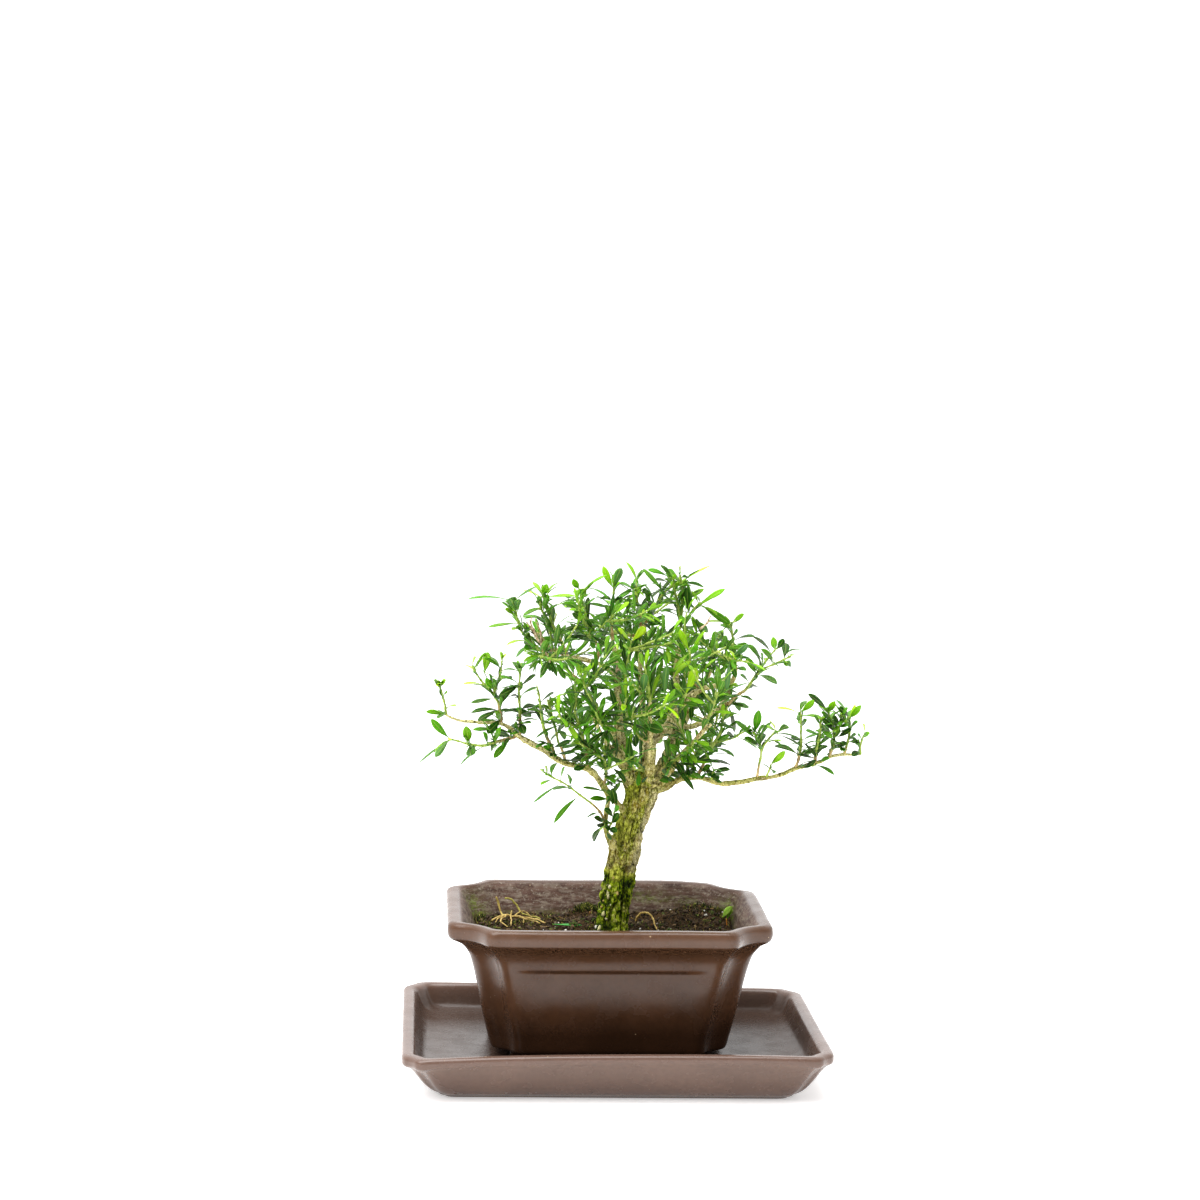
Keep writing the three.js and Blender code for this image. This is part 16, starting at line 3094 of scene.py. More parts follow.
            ([51.5, -27.8, 204.2], [58.9, -36.9, 212.2], [-0.44, -0.77, -0.46], 3.1, 0.01, "u", [51.5, -27.8, 204.2]),
            ([48.5, -23.7, 205.2], [60.4, -28.1, 204.8], [-0.23, -0.56, -0.8], 2.8, 0.01, "d", [48.5, -23.7, 205.2]),
            ([48.5, -23.7, 205.2], [46.4, -36.1, 207.6], [0.98, -0.18, -0.06], 2.7, 0.03, "d", [48.5, -23.7, 205.2]),
            ([50.2, -27, 204.9], [49.2, -36.5, 208.3], [0.41, 0.27, 0.87], 1.9, 0.11, "g", [50.3, -26.2, 204.6]),
            ([31.9, -20, 201.8], [21, -23.2, 206.3], [0.15, -0.94, -0.31], 1.9, 0.04, "g", [32.7, -19.7, 201.4]),
            ([36.3, -17.2, 201.3], [44.6, -15.6, 197.4], [0.28, -0.93, 0.23], 2.2, 0.07, "d", [35.5, -17.3, 201.6]),
            ([33.9, -11.4, 193], [23.9, -13.5, 192.6], [0.1, -0.29, -0.95], 2.4, 0.06, "d", [34.8, -11.2, 193]),
            ([32.8, -29.6, 206.8], [39, -35.9, 208.7], [-0.43, -0.15, 0.89], 1.8, 0.1, "y", [32.2, -29, 206.7]),
            ([48.9, -24.4, 205.8], [52.8, -32, 214.5], [0.11, 0.77, 0.63], 2.3, 0.08, "d", [48.6, -23.8, 205.2]),
            ([31.2, -14.2, 219.5], [32.1, -19.4, 223.4], [-0.81, 0.25, 0.54], 1.3, 0.09, "y", [31, -13.5, 219]),
            ([33.4, -17.6, 200.6], [34.2, -25.2, 198.9], [-0.08, -0.22, 0.97], 1.8, 0.05, "u", [33.3, -16.7, 200.8]),
            ([58.6, -35.2, 203.3], [65.1, -38.6, 199.5], [0.39, -0.24, 0.89], 2.2, 0.06, "g", [57.9, -34.8, 203.7]),
            ([31.7, -17.6, 200], [20.2, -24.8, 198.7], [-0.07, -0.07, 1], 2.1, 0.08, "y", [32.5, -17.1, 200.1]),
            ([41, -19.5, 203.6], [44.9, -32.3, 200.6], [-0.96, -0.29, -0.03], 2.7, 0.05, "d", [40.7, -18.7, 203.8]),
            ([31.7, -12.1, 196.4], [21.2, -16.2, 196.3], [0.25, -0.68, 0.69], 2.1, 0.08, "g", [32.5, -11.8, 196.4]),
            ([32.9, -26.7, 206], [39.1, -30.8, 217.7], [-0.79, -0.57, 0.22], 2.3, 0.08, "y", [32.5, -26.5, 205.2]),
            ([32.8, -15.1, 199.1], [37.5, -19.1, 202.2], [-0.7, -0.35, 0.62], 1.9, 0.03, "g", [32.2, -14.6, 198.7]),
            ([52.3, -29.6, 203.8], [52.7, -42.6, 201], [-0.44, -0.2, 0.87], 3, 0.1, "g", [52.2, -28.7, 204]),
            ([30.3, -14.8, 211.4], [26.6, -18.4, 216], [0.17, 0.7, 0.69], 2.1, 0.05, "d", [30.8, -14.3, 210.8]),
            ([50, -22, 208.3], [53.5, -33.4, 204.4], [0.34, -0.2, 0.92], 2.5, 0.06, "b", [49.8, -21.1, 208.5]),
            ([53, -22, 209.4], [57.6, -23.3, 205.8], [0.46, 0.85, 0.26], 1.1, 0.06, "y", [52.3, -21.8, 210]),
            ([38.7, -17.4, 203.2], [42.7, -8.3, 208.2], [-0.91, 0.19, 0.38], 2.7, 0.06, "d", [38.4, -18.1, 202.8]),
            ([31.8, -15.3, 198.4], [28.7, -20.5, 195.8], [0.65, -0.61, 0.46], 1.6, 0.04, "g", [32.2, -14.6, 198.7]),
            ([31.3, -13.5, 208.7], [36.2, -1.9, 211.3], [-0.79, 0.43, -0.43], 2.2, 0.04, "g", [30.9, -14.3, 208.5]),
            ([50.1, -21.8, 208], [53.3, -29.6, 202.4], [-0.66, -0.6, 0.46], 2.7, 0.11, "y", [49.8, -21.1, 208.5]),
            ([32, -12.7, 222.1], [35.9, -10.5, 225], [-0.42, -0.35, 0.84], 1.3, 0.1, "y", [31.3, -13.1, 221.6]),
            ([56, -33.5, 204.1], [56, -39.6, 207.6], [-0.32, 0.48, 0.82], 1.9, 0.07, "g", [56, -32.7, 203.6]),
            ([47.3, -21.3, 205.4], [51.7, -22.2, 200.1], [0.73, 0.45, 0.52], 1.7, 0.1, "d", [46.8, -21.1, 206.1]),
            ([33, -24.4, 203.1], [35.9, -30.4, 198], [-0.54, -0.69, 0.48], 2.5, 0.08, "g", [32.7, -23.8, 203.7]),
            ([55.6, -33.5, 203.9], [52.4, -39.1, 206.6], [0.18, 0.33, 0.93], 1.6, 0.05, "g", [56, -32.7, 203.6]),
            ([31.7, -29.8, 206.3], [24.4, -36.2, 199.2], [-0.24, -0.59, 0.77], 2.8, 0.06, "y", [32.2, -29.3, 206.8]),
            ([32.2, -16.1, 198.8], [31.3, -24.9, 196.3], [-0.23, -0.25, 0.94], 2.1, 0.05, "g", [32.3, -15.3, 199.1]),
            ([54.1, -31.4, 204.1], [55.6, -40.9, 207.5], [0.24, 0.36, 0.9], 2.3, 0.09, "d", [54, -30.6, 203.8]),
            ([34.7, -18, 201.3], [35.9, -25, 201.4], [-0.52, -0.07, 0.85], 2.2, 0.09, "g", [34.6, -17.1, 201.3]),
            ([50.8, -26.8, 203.7], [54.2, -30.7, 195.3], [-0.12, -0.92, 0.37], 2.6, 0.07, "d", [50.5, -26.5, 204.5]),
            ([54.5, -32.2, 203.7], [52.8, -41.6, 204.3], [-0.52, 0.14, 0.85], 2.6, 0.07, "g", [54.7, -31.3, 203.7]),
           ]),
    "c13": ("shoot_38",
           [[[30.2, -6.7, 177.3], [27.9, -6.7, 178.2], [29.2, -20.3, 183], [30.4, -34, 187.7]]],
           [
            ([30.5, -32.3, 187], [35, -31.9, 199.9], [-0.07, -1, 0.06], 4.9, 0.09, "b", [30.2, -32.3, 187.1]),
            ([24.1, -34, 194.8], [32.9, -28.1, 202.7], [-0.43, -0.43, 0.8], 4.2, 0.08, "b", [30.4, -34, 187.7]),
            ([30.3, -23.7, 183.5], [23.8, -32.7, 189.4], [0.83, -0.55, 0.08], 3.5, 0.06, "g", [29.5, -23.7, 184.2]),
            ([29.9, -28.9, 186], [25.7, -36.4, 190.4], [0.66, 0.07, 0.74], 2.4, 0.05, "y", [29.9, -28.9, 186]),
            ([29.9, -28.9, 186], [39.3, -34.3, 183.4], [-0.35, -0.82, 0.46], 2.3, 0.06, "y", [29.9, -28.9, 186]),
            ([28.8, -16.6, 181.7], [39.4, -23.2, 180.9], [-0.41, -0.72, 0.57], 2.7, 0.04, "g", [28.8, -16.6, 181.7]),
            ([28.8, -16.6, 181.7], [16.1, -23.3, 185.5], [0.47, -0.49, 0.73], 2.6, 0.08, "g", [28.8, -16.6, 181.7]),
            ([28.3, -12.6, 180.4], [30.3, -18, 194.2], [0.28, -0.88, -0.38], 3.1, 0.1, "d", [28.3, -12.6, 180.4]),
            ([28.3, -12.6, 180.4], [29.5, -25.9, 174], [0.03, -0.43, 0.9], 3, 0.04, "d", [28.3, -12.6, 180.4]),
            ([27.3, -9, 178.8], [20.5, -12.3, 177.9], [0.09, -0.43, 0.9], 1.7, 0.09, "g", [28.1, -8.6, 178.9]),
            ([29, -21.2, 182.8], [27.7, -30.1, 180.5], [-0.81, -0.03, 0.58], 2.7, 0.07, "d", [29.2, -20.3, 183]),
            ([29, -26.3, 184.5], [19.1, -33, 177.2], [-0.26, -0.5, 0.82], 2.3, 0.05, "y", [29.7, -25.8, 184.9]),
            ([28, -10.9, 180.5], [24.3, -13.4, 192], [-0.33, 0.94, 0.1], 2.3, 0.09, "u", [28.3, -10.7, 179.7]),
            ([29.1, -23.7, 183.8], [25.3, -32.8, 182.1], [-0.04, -0.16, 0.99], 2.1, 0.05, "g", [29.4, -22.9, 183.9]),
            ([29.9, -32.7, 186.5], [27.3, -38.7, 181.8], [0.12, -0.65, 0.75], 2, 0.05, "g", [30.2, -32, 187.1]),
            ([28.1, -10.8, 180.5], [24.6, -11.6, 192.9], [0.8, -0.57, 0.19], 2.4, 0.03, "d", [28.3, -10.7, 179.7]),
            ([29.8, -26.3, 185.7], [31.3, -33, 196.9], [0.96, -0.17, -0.24], 1.9, 0.05, "y", [29.7, -25.8, 184.9]),
            ([29.1, -5.8, 177.4], [26.8, -0.2, 175.8], [-0.69, -0.08, 0.72], 2, 0.12, "d", [29.4, -6.7, 177.6]),
            ([27.8, -9.2, 178.6], [24.3, -18.6, 176.1], [-0.2, -0.18, 0.96], 2.5, 0.13, "g", [28.1, -8.4, 178.8]),
            ([27.9, -12.6, 180.2], [24.3, -17.5, 181.1], [0.31, -0.05, 0.95], 1.4, 0.06, "d", [28.4, -11.9, 180.1]),
            ([28.3, -16.9, 182.2], [23, -21.7, 187.3], [-0.21, 0.81, 0.54], 1.6, 0.12, "d", [28.8, -16.4, 181.6]),
            ([29.5, -29, 186.3], [24.5, -38.3, 193.3], [-0.18, 0.65, 0.73], 2.6, 0.12, "b", [29.9, -28.3, 185.8]),
            ([28.5, -20.9, 182.9], [23.3, -26.3, 182.5], [0.02, -0.1, 0.99], 2.2, 0.06, "d", [29.2, -20.3, 183]),
           ]),
    "c15": ("shoot_39",
           [[[-0.3, -10, 186.1], [2.5, -10, 186.1], [2.7, -14, 192.4], [3.2, -18.3, 199.2], [3.8, -22.3, 205.5], [4.4, -26, 211.2]],
            [[4, -23.6, 207.4], [8.9, -25.5, 209.1], [13.7, -27.2, 211.3], [18.7, -27.9, 213.4], [23.6, -28.6, 215.8]],
            [[3.9, -23, 206.4], [8.8, -26.1, 207.7], [13.9, -28.8, 209.2], [18.9, -31.9, 210.6], [23.6, -35, 212.4]]],
           [
            ([4.4, -26, 211.2], [11.5, -17, 217.4], [0.41, -0.72, 0.56], 4.1, 0.07, "b", [4.4, -26, 211.2]),
            ([4.4, -26, 211.2], [-2.5, -35, 218.3], [0.85, -0.34, 0.39], 4.1, 0.02, "b", [4.4, -26, 211.2]),
            ([4.2, -22.8, 206], [0.3, -31.8, 209.9], [0.87, -0.18, 0.46], 2.9, 0.08, "p", [3.8, -22.8, 206.2]),
            ([3.3, -19.3, 200.8], [10.3, -18.6, 214.8], [-0.54, -0.78, 0.31], 3.2, 0.04, "d", [3.3, -19.3, 200.8]),
            ([2.9, -16.1, 195.8], [5.3, -28.1, 194.6], [0.09, -0.08, 0.99], 2.8, 0.06, "d", [2.9, -16.1, 195.8]),
            ([2.9, -16.1, 195.8], [-0.3, -16.7, 211.7], [0.5, -0.86, 0.07], 3, 0.02, "d", [2.9, -16.1, 195.8]),
            ([2.7, -12.9, 190.7], [8.7, -15.1, 202], [-0.87, -0.27, 0.41], 2.9, 0.07, "g", [2.7, -12.9, 190.7]),
            ([2.7, -12.9, 190.7], [-8.1, -17.4, 192.3], [0.21, -0.13, 0.97], 2.6, 0.04, "g", [2.7, -12.9, 190.7]),
            ([23.6, -28.6, 215.8], [28.4, -24.9, 222.4], [-0.49, -0.56, 0.67], 2.3, 0.08, "y", [23.6, -28.6, 215.8]),
            ([18.7, -27.9, 213.4], [18.5, -35.5, 225.8], [0.74, 0.57, 0.36], 2.6, 0.02, "g", [18.7, -27.9, 213.4]),
            ([18.7, -27.9, 213.4], [27.8, -22.8, 206.5], [0.49, 0.23, 0.84], 2.9, 0.04, "g", [18.7, -27.9, 213.4]),
            ([13.7, -27.2, 211.3], [20.9, -19.9, 218.6], [0.46, -0.82, 0.35], 2.7, 0.1, "d", [13.7, -27.2, 211.3]),
            ([9.5, -25.7, 209.4], [23.9, -21.5, 207.8], [0.2, -0.32, 0.93], 2.9, 0.07, "d", [9.5, -25.7, 209.4]),
            ([9.5, -25.7, 209.4], [15.6, -35.2, 220], [0.44, -0.53, -0.72], 3.2, 0.05, "d", [9.5, -25.7, 209.4]),
            ([23.6, -35, 212.4], [25.2, -44.5, 217.6], [0.76, 0.41, 0.51], 2.4, 0.02, "y", [23.6, -35, 212.4]),
            ([18.9, -31.9, 210.6], [24.1, -42, 206.8], [0.26, -0.21, 0.94], 2.9, 0.07, "g", [18.9, -31.9, 210.6]),
            ([14.5, -29.2, 209.3], [16.4, -39.2, 219.7], [0.88, 0.41, 0.24], 2.7, 0.06, "g", [14.5, -29.2, 209.3]),
            ([14.5, -29.2, 209.3], [28.3, -31.4, 206.2], [0.17, -0.25, 0.95], 2.6, 0.02, "g", [14.5, -29.2, 209.3]),
            ([10.1, -26.8, 208], [19.6, -39.3, 205.9], [0.2, -0.01, 0.98], 2.8, 0.07, "d", [10.1, -26.8, 208]),
            ([3.4, -23.4, 208.2], [-1.3, -20.5, 212.8], [0.68, -0.07, 0.73], 1.6, 0.05, "y", [4, -23.7, 207.6]),
            ([22.5, -34.6, 212.7], [22.9, -36.6, 217.5], [0.96, 0.28, 0.05], 1.1, 0.11, "g", [22.4, -34.3, 211.9]),
            ([16, -26.9, 211.8], [22.5, -21.9, 210.2], [-0.28, 0.6, 0.75], 1.7, 0.04, "g", [15.3, -27.4, 212]),
            ([3.4, -19.9, 200.2], [3.9, -30.3, 198.5], [-0.86, -0.13, 0.49], 2.5, 0.09, "g", [3.3, -19, 200.4]),
            ([14.7, -29.4, 208.6], [21.2, -34.4, 200.9], [0.54, -0.43, 0.73], 2.1, 0.09, "g", [14.2, -29, 209.2]),
            ([2.5, -11.7, 187.3], [2, -22.6, 185.5], [-0.61, -0.1, 0.78], 2.1, 0.09, "d", [2.6, -10.9, 187.5]),
            ([21.3, -33.5, 211.9], [25.8, -36.8, 217.4], [-0.66, 0.25, 0.7], 1.7, 0.08, "y", [20.8, -33.2, 211.3]),
            ([9.2, -26.2, 206.9], [13.1, -27.2, 200.6], [0.6, -0.64, 0.47], 1.8, 0.04, "u", [8.8, -26, 207.7]),
            ([2.9, -14.8, 194.7], [3.8, -14.2, 203.2], [-0.38, -0.92, 0.11], 1.7, 0.09, "d", [2.8, -14.9, 193.8]),
            ([16.4, -31.3, 210], [16, -44.7, 212.7], [-0.13, 0.2, 0.97], 1.9, 0.06, "g", [16.4, -30.4, 209.9]),
            ([13, -26.3, 210.5], [22.3, -21.3, 208.9], [0.25, -0.15, 0.96], 2, 0.06, "g", [12.3, -26.7, 210.6]),
            ([22.4, -29.3, 215], [23.8, -38.9, 213.8], [0.84, 0.06, 0.54], 2.5, 0.05, "y", [22.3, -28.4, 215.1]),
            ([19, -32.7, 210.1], [19.9, -43.3, 202.1], [0.46, -0.5, 0.73], 2.2, 0.06, "g", [18.9, -31.9, 210.6]),
            ([11.5, -28, 207.8], [14.1, -33.3, 203.1], [0.59, -0.35, 0.73], 1.9, 0.06, "g", [11.2, -27.4, 208.4]),
            ([4.3, -23.4, 208.4], [8.4, -18.5, 220.5], [-0.9, 0.41, 0.14], 2.5, 0.08, "g", [4, -23.7, 207.6]),
            ([1.8, -10.6, 187.9], [-6.5, -8, 192.8], [0.13, -0.77, 0.62], 2.6, 0.05, "u", [2.6, -10.9, 187.5]),
            ([9.6, -25.8, 207.4], [16.9, -23.4, 205], [0.36, -0.17, 0.92], 2, 0.04, "d", [8.8, -26, 207.7]),
            ([12.6, -26.2, 211.3], [15.7, -21, 218.1], [-0.04, -0.79, 0.61], 2.1, 0.05, "g", [12.3, -26.7, 210.6]),
            ([22.9, -34.1, 212.7], [26.6, -32.9, 219.8], [-0.03, -0.98, 0.19], 1.9, 0.07, "g", [22.4, -34.3, 211.9]),
            ([13.1, -26.5, 210.3], [20.7, -24.6, 207.4], [0.37, -0.07, 0.92], 2.1, 0.05, "g", [12.3, -26.7, 210.6]),
            ([18.9, -32.8, 210.7], [18.8, -40.6, 211.9], [-0.66, 0.12, 0.74], 2.2, 0.1, "g", [18.9, -31.9, 210.6]),
            ([18.1, -27.3, 212.5], [28.6, -20.7, 207.5], [0.56, -0.31, 0.77], 2.5, 0.06, "d", [17.3, -27.7, 212.8]),
            ([1.7, -11, 187.8], [-5.9, -12.1, 191], [0.29, 0.45, 0.85], 2.3, 0.04, "u", [2.6, -10.9, 187.5]),
            ([2.4, -15.7, 193.9], [-2.1, -25.5, 194.9], [0.03, 0.09, 1], 2.3, 0.07, "d", [2.8, -14.9, 193.8]),
            ([2.2, -13, 189.6], [-3.3, -23.3, 189.6], [-0.35, 0.18, 0.92], 2.3, 0.11, "d", [2.6, -12.2, 189.7]),
            ([18.1, -28.2, 212.7], [24, -31.7, 212.1], [-0.13, -0.38, 0.92], 1.3, 0.1, "g", [17.3, -27.7, 212.8]),
            ([1.9, -12.7, 190.9], [-5.4, -13, 197.4], [0.52, 0.59, 0.62], 2.7, 0.05, "d", [2.6, -12.6, 190.3]),
            ([3.8, -23.9, 206.5], [3.2, -32.9, 206.1], [-0.2, -0.03, 0.98], 1.8, 0.12, "y", [3.9, -23, 206.5]),
            ([2.1, -11.8, 189.8], [-3.8, -11.4, 198.9], [0.6, -0.68, 0.42], 2.8, 0.1, "u", [2.6, -11.8, 189]),
            ([13.6, -27.6, 208.8], [18.2, -22.2, 208.3], [0.22, -0.08, 0.97], 1.4, 0.08, "g", [13, -28.3, 208.9]),
            ([9.6, -26.6, 209.9], [7.1, -33.2, 212.6], [-0.82, 0.45, 0.35], 1.7, 0.07, "g", [9.9, -25.8, 209.6]),
            ([15, -28, 211.6], [18.1, -32.8, 211.4], [-0.62, -0.43, 0.65], 1.6, 0.05, "d", [14.5, -27.3, 211.6]),
            ([17.4, -27.1, 212.3], [22.5, -24, 211.4], [0.26, -0.14, 0.96], 1.3, 0.08, "g", [16.6, -27.6, 212.5]),
            ([21.9, -34.6, 211.7], [24.2, -46.4, 212.9], [0.66, 0.2, 0.72], 2.8, 0.12, "y", [21.7, -33.8, 211.6]),
            ([20.6, -33.6, 210.5], [21.4, -40.1, 203], [-0.16, -0.76, 0.63], 2.7, 0.08, "y", [20.5, -33, 211.2]),
            ([21.8, -28.9, 214.3], [26.5, -35.4, 210.6], [0.55, -0.07, 0.83], 1.8, 0.07, "y", [21.3, -28.3, 214.7]),
            ([2.4, -12.7, 189.3], [1.1, -19, 191], [-0.08, 0.28, 0.96], 1.1, 0.13, "d", [2.6, -11.8, 189]),
            ([7.7, -26.2, 207.4], [8, -35.8, 207.7], [0.72, 0.04, 0.7], 1.8, 0.12, "d", [7.7, -25.3, 207.4]),
           ]),
    "c16": ("shoot_40",
           [[[49.1, 40, 191.1], [48.1, 40, 190], [47.8, 27.6, 199], [48.6, 16.5, 206.8], [49.9, 10, 211]]],
           [
            ([48.9, 18.9, 205], [53, 27.9, 211.4], [-0.28, 0.64, -0.72], 4.2, 0.08, "u", [48.4, 18.9, 205.1]),
            ([48.4, 23.2, 202], [57, 32.2, 204.5], [0.54, -0.66, 0.53], 3.4, 0.09, "g", [48, 23.2, 202.2]),
            ([46.6, 20.3, 204.8], [41.9, 29.3, 206.2], [-0.79, -0.47, 0.39], 3.4, 0.04, "d", [48.3, 20.3, 204.2]),
            ([49.9, 10, 211], [46.2, 0.1, 212.9], [0.67, -0.11, 0.73], 2.4, 0.06, "y", [49.9, 10, 211]),
            ([48.9, 14.6, 208], [48.4, 5.7, 204.7], [-0.03, -0.36, 0.93], 2.2, 0.08, "y", [48.9, 14.6, 208]),
            ([47.8, 29.2, 197.9], [58.2, 18.7, 198.6], [-0.3, -0.23, 0.93], 2.9, 0.04, "g", [47.8, 29.2, 197.9]),
            ([47.8, 29.2, 197.9], [36.9, 27.3, 208], [0.68, -0.3, 0.67], 2.6, 0.03, "g", [47.8, 29.2, 197.9]),
            ([47.9, 34.5, 194], [48.2, 30.1, 206.2], [-0.02, 0.94, 0.34], 2.9, 0.1, "d", [47.9, 34.5, 194]),
            ([47.9, 34.5, 194], [50.3, 19.1, 192.4], [0.01, -0.1, 0.99], 3.2, 0.09, "d", [47.9, 34.5, 194]),
            ([48.7, 30.8, 196.4], [58.1, 24.9, 196.6], [0.27, 0.47, 0.84], 2.5, 0.07, "g", [47.9, 31.3, 196.3]),
            ([48.6, 26.9, 200.2], [55, 28, 206.1], [-0.66, -0.13, 0.74], 2.6, 0.04, "g", [47.9, 26.8, 199.6]),
            ([47.5, 32.1, 195.3], [41.7, 23.9, 196.3], [0.59, -0.32, 0.74], 1.8, 0.04, "g", [48, 32.9, 195.2]),
            ([47.6, 21.9, 203.3], [38, 17.1, 210.9], [-0.15, 0.91, 0.38], 2.5, 0.06, "g", [48.2, 22.2, 202.8]),
            ([47.3, 37.8, 191.3], [37.6, 32.4, 191.4], [-0.1, 0.19, 0.98], 2.3, 0.04, "g", [48.1, 38.2, 191.3]),
            ([48, 40.7, 190.2], [40.8, 50.5, 187.2], [-0.78, -0.43, 0.45], 2.1, 0.06, "d", [48.5, 40, 190.4]),
            ([50.3, 10.9, 211], [55.6, 10.6, 216.8], [-0.7, -0.34, 0.63], 1.6, 0.1, "b", [49.7, 11, 210.3]),
            ([47.7, 26.7, 200.5], [46.6, 26.2, 207.1], [0.52, 0.84, 0.15], 1.2, 0.06, "d", [47.9, 26.8, 199.6]),
            ([48.7, 37.7, 191.8], [53.1, 33.6, 195.1], [-0.75, -0.38, 0.54], 2, 0.06, "d", [48.1, 38.2, 191.3]),
            ([47.6, 32.7, 196], [44.5, 30.7, 203.9], [0.7, 0.57, 0.42], 2.6, 0.11, "g", [48, 32.9, 195.2]),
            ([48.2, 26, 199.3], [52.7, 14.4, 195.7], [0.63, 0, 0.78], 2, 0.11, "g", [47.9, 26.8, 199.6]),
            ([47.2, 24.7, 200.7], [38.6, 20.5, 199.5], [-0.11, -0.06, 0.99], 2.5, 0.07, "g", [48, 25.1, 200.8]),
            ([48.5, 16.9, 205.5], [48.3, 6.1, 200.4], [-0.52, -0.36, 0.77], 2.4, 0.1, "g", [48.5, 17.7, 205.9]),
            ([48.3, 28.8, 198.8], [51.7, 27.3, 205.2], [-0.86, 0.13, 0.49], 2, 0.04, "g", [47.9, 29, 198]),
            ([48.9, 20, 204.2], [54.7, 12.7, 208.1], [0.56, 0.69, 0.46], 2.3, 0.07, "g", [48.3, 20.7, 203.9]),
            ([48.4, 36.6, 191.7], [50.5, 31.4, 190.4], [0.77, 0.14, 0.62], 1.5, 0.05, "u", [48.1, 37.4, 191.9]),
            ([47.1, 28.1, 199.2], [41, 29.2, 202.4], [0.24, -0.7, 0.68], 1.9, 0.06, "d", [47.8, 27.9, 198.8]),
            ([48.5, 38.5, 190.6], [50.7, 32.9, 191], [-0.1, 0.03, 0.99], 1.3, 0.13, "u", [48.1, 39.4, 190.5]),
           ]),
    "b1": ("shoot_41",
           [[[-14.1, 36.3, 182.4], [-20.4, 36.6, 187.6], [-26.3, 36.5, 193.2], [-31.9, 35.9, 199.2], [-36.6, 35.2, 205.8]],
            [[-32.7, 35.7, 200.2], [-31.7, 32.7, 204.6], [-30.9, 29.9, 209.1], [-30.1, 27.5, 213.8], [-29.1, 25, 218.4]]],
           [
            ([-36.6, 35.2, 205.8], [-38.9, 33.1, 215.5], [0.64, 0.71, 0.3], 2.2, 0.03, "y", [-36.6, 35.2, 205.8]),
            ([-36.6, 35.2, 205.8], [-43.9, 35.7, 212.2], [0.38, -0.79, 0.49], 2.3, 0.05, "y", [-36.6, 35.2, 205.8]),
            ([-33.7, 35.6, 201.6], [-40, 42.7, 213.2], [0.22, -0.77, 0.6], 2.8, 0.02, "g", [-33.7, 35.6, 201.6]),
            ([-30.6, 36, 197.6], [-43.8, 41.9, 199.7], [-0.18, -0.66, 0.73], 2.6, 0.02, "g", [-30.6, 36, 197.6]),
            ([-27.1, 36.4, 193.9], [-36.9, 29.2, 199.5], [0.27, 0.33, 0.9], 2.6, 0.02, "g", [-27.1, 36.4, 193.9]),
            ([-23.4, 36.6, 190.4], [-20.2, 38, 204.4], [-0.89, -0.38, 0.24], 2.6, 0.08, "g", [-23.4, 36.6, 190.4]),
            ([-23.4, 36.6, 190.4], [-36.6, 39.2, 192.1], [0.07, -0.31, 0.95], 2.7, 0.09, "g", [-23.4, 36.6, 190.4]),
            ([-18.9, 36.6, 186.3], [-22.7, 46.4, 194.6], [-0.12, -0.67, 0.74], 2.6, 0.03, "g", [-18.9, 36.6, 186.3]),
            ([-18.9, 36.6, 186.3], [-28.4, 28.5, 193.1], [-0.07, 0.69, 0.72], 2.8, 0.07, "g", [-18.9, 36.6, 186.3]),
            ([-29.1, 25, 218.4], [-33.8, 19.7, 224.7], [0.51, 0.43, 0.74], 2.5, 0.07, "y", [-29.1, 25, 218.4]),
            ([-30.9, 29.9, 209.1], [-38.7, 19, 214.9], [0.27, 0.29, 0.92], 2.8, 0.07, "g", [-30.9, 29.9, 209.1]),
            ([-30.9, 29.9, 209.1], [-22.4, 28.9, 217.2], [-0.69, 0.06, 0.72], 2.6, 0.07, "g", [-30.9, 29.9, 209.1]),
            ([-31.7, 32.7, 204.6], [-35.4, 35.9, 215.5], [0.74, -0.54, 0.4], 2.9, 0.04, "d", [-31.7, 32.7, 204.6]),
            ([-32.2, 34.9, 202.5], [-30.2, 35.3, 208.7], [-0.7, -0.67, 0.26], 1.9, 0.05, "u", [-32.4, 34.8, 201.6]),
            ([-24, 37.4, 191], [-25.5, 50.3, 193.3], [0.52, -0.08, 0.85], 1.9, 0.08, "d", [-23.9, 36.5, 190.9]),
            ([-21.4, 35.8, 188.7], [-25.3, 25.3, 194.2], [-0.34, 0.53, 0.77], 2.6, 0.1, "g", [-21.1, 36.6, 188.3]),
            ([-25.5, 37.4, 192.5], [-27.2, 46.1, 194], [0.57, -0.04, 0.82], 1.6, 0.1, "g", [-25.4, 36.5, 192.3]),
            ([-34, 34.7, 202.8], [-30.9, 25.8, 206.9], [-0.61, 0.14, 0.78], 2, 0.09, "g", [-34.2, 35.5, 202.5]),
            ([-30.8, 32, 205.6], [-21.2, 28.6, 210.4], [-0.52, -0.45, 0.73], 2.5, 0.07, "d", [-31.6, 32.3, 205.2]),
            ([-30, 35.9, 196.3], [-42.6, 32.4, 197.6], [0.08, 0.12, 0.99], 2.9, 0.08, "d", [-29.1, 36.2, 196.2]),
            ([-17.3, 35.7, 184.8], [-21.8, 30.4, 186.6], [0.4, -0.02, 0.92], 1.5, 0.11, "d", [-16.8, 36.4, 184.6]),
            ([-30.5, 28.7, 213.3], [-33.2, 35, 219.3], [0.18, -0.64, 0.75], 2.3, 0.1, "d", [-30.2, 28.1, 212.7]),
            ([-15.4, 35.5, 183.3], [-18.8, 24.1, 183.5], [-0.25, 0.1, 0.96], 2.9, 0.08, "g", [-15.2, 36.3, 183.2]),
            ([-30.2, 29.9, 208.3], [-24.1, 26.8, 207], [0.14, -0.12, 0.98], 1.9, 0.06, "d", [-31, 30.3, 208.5]),
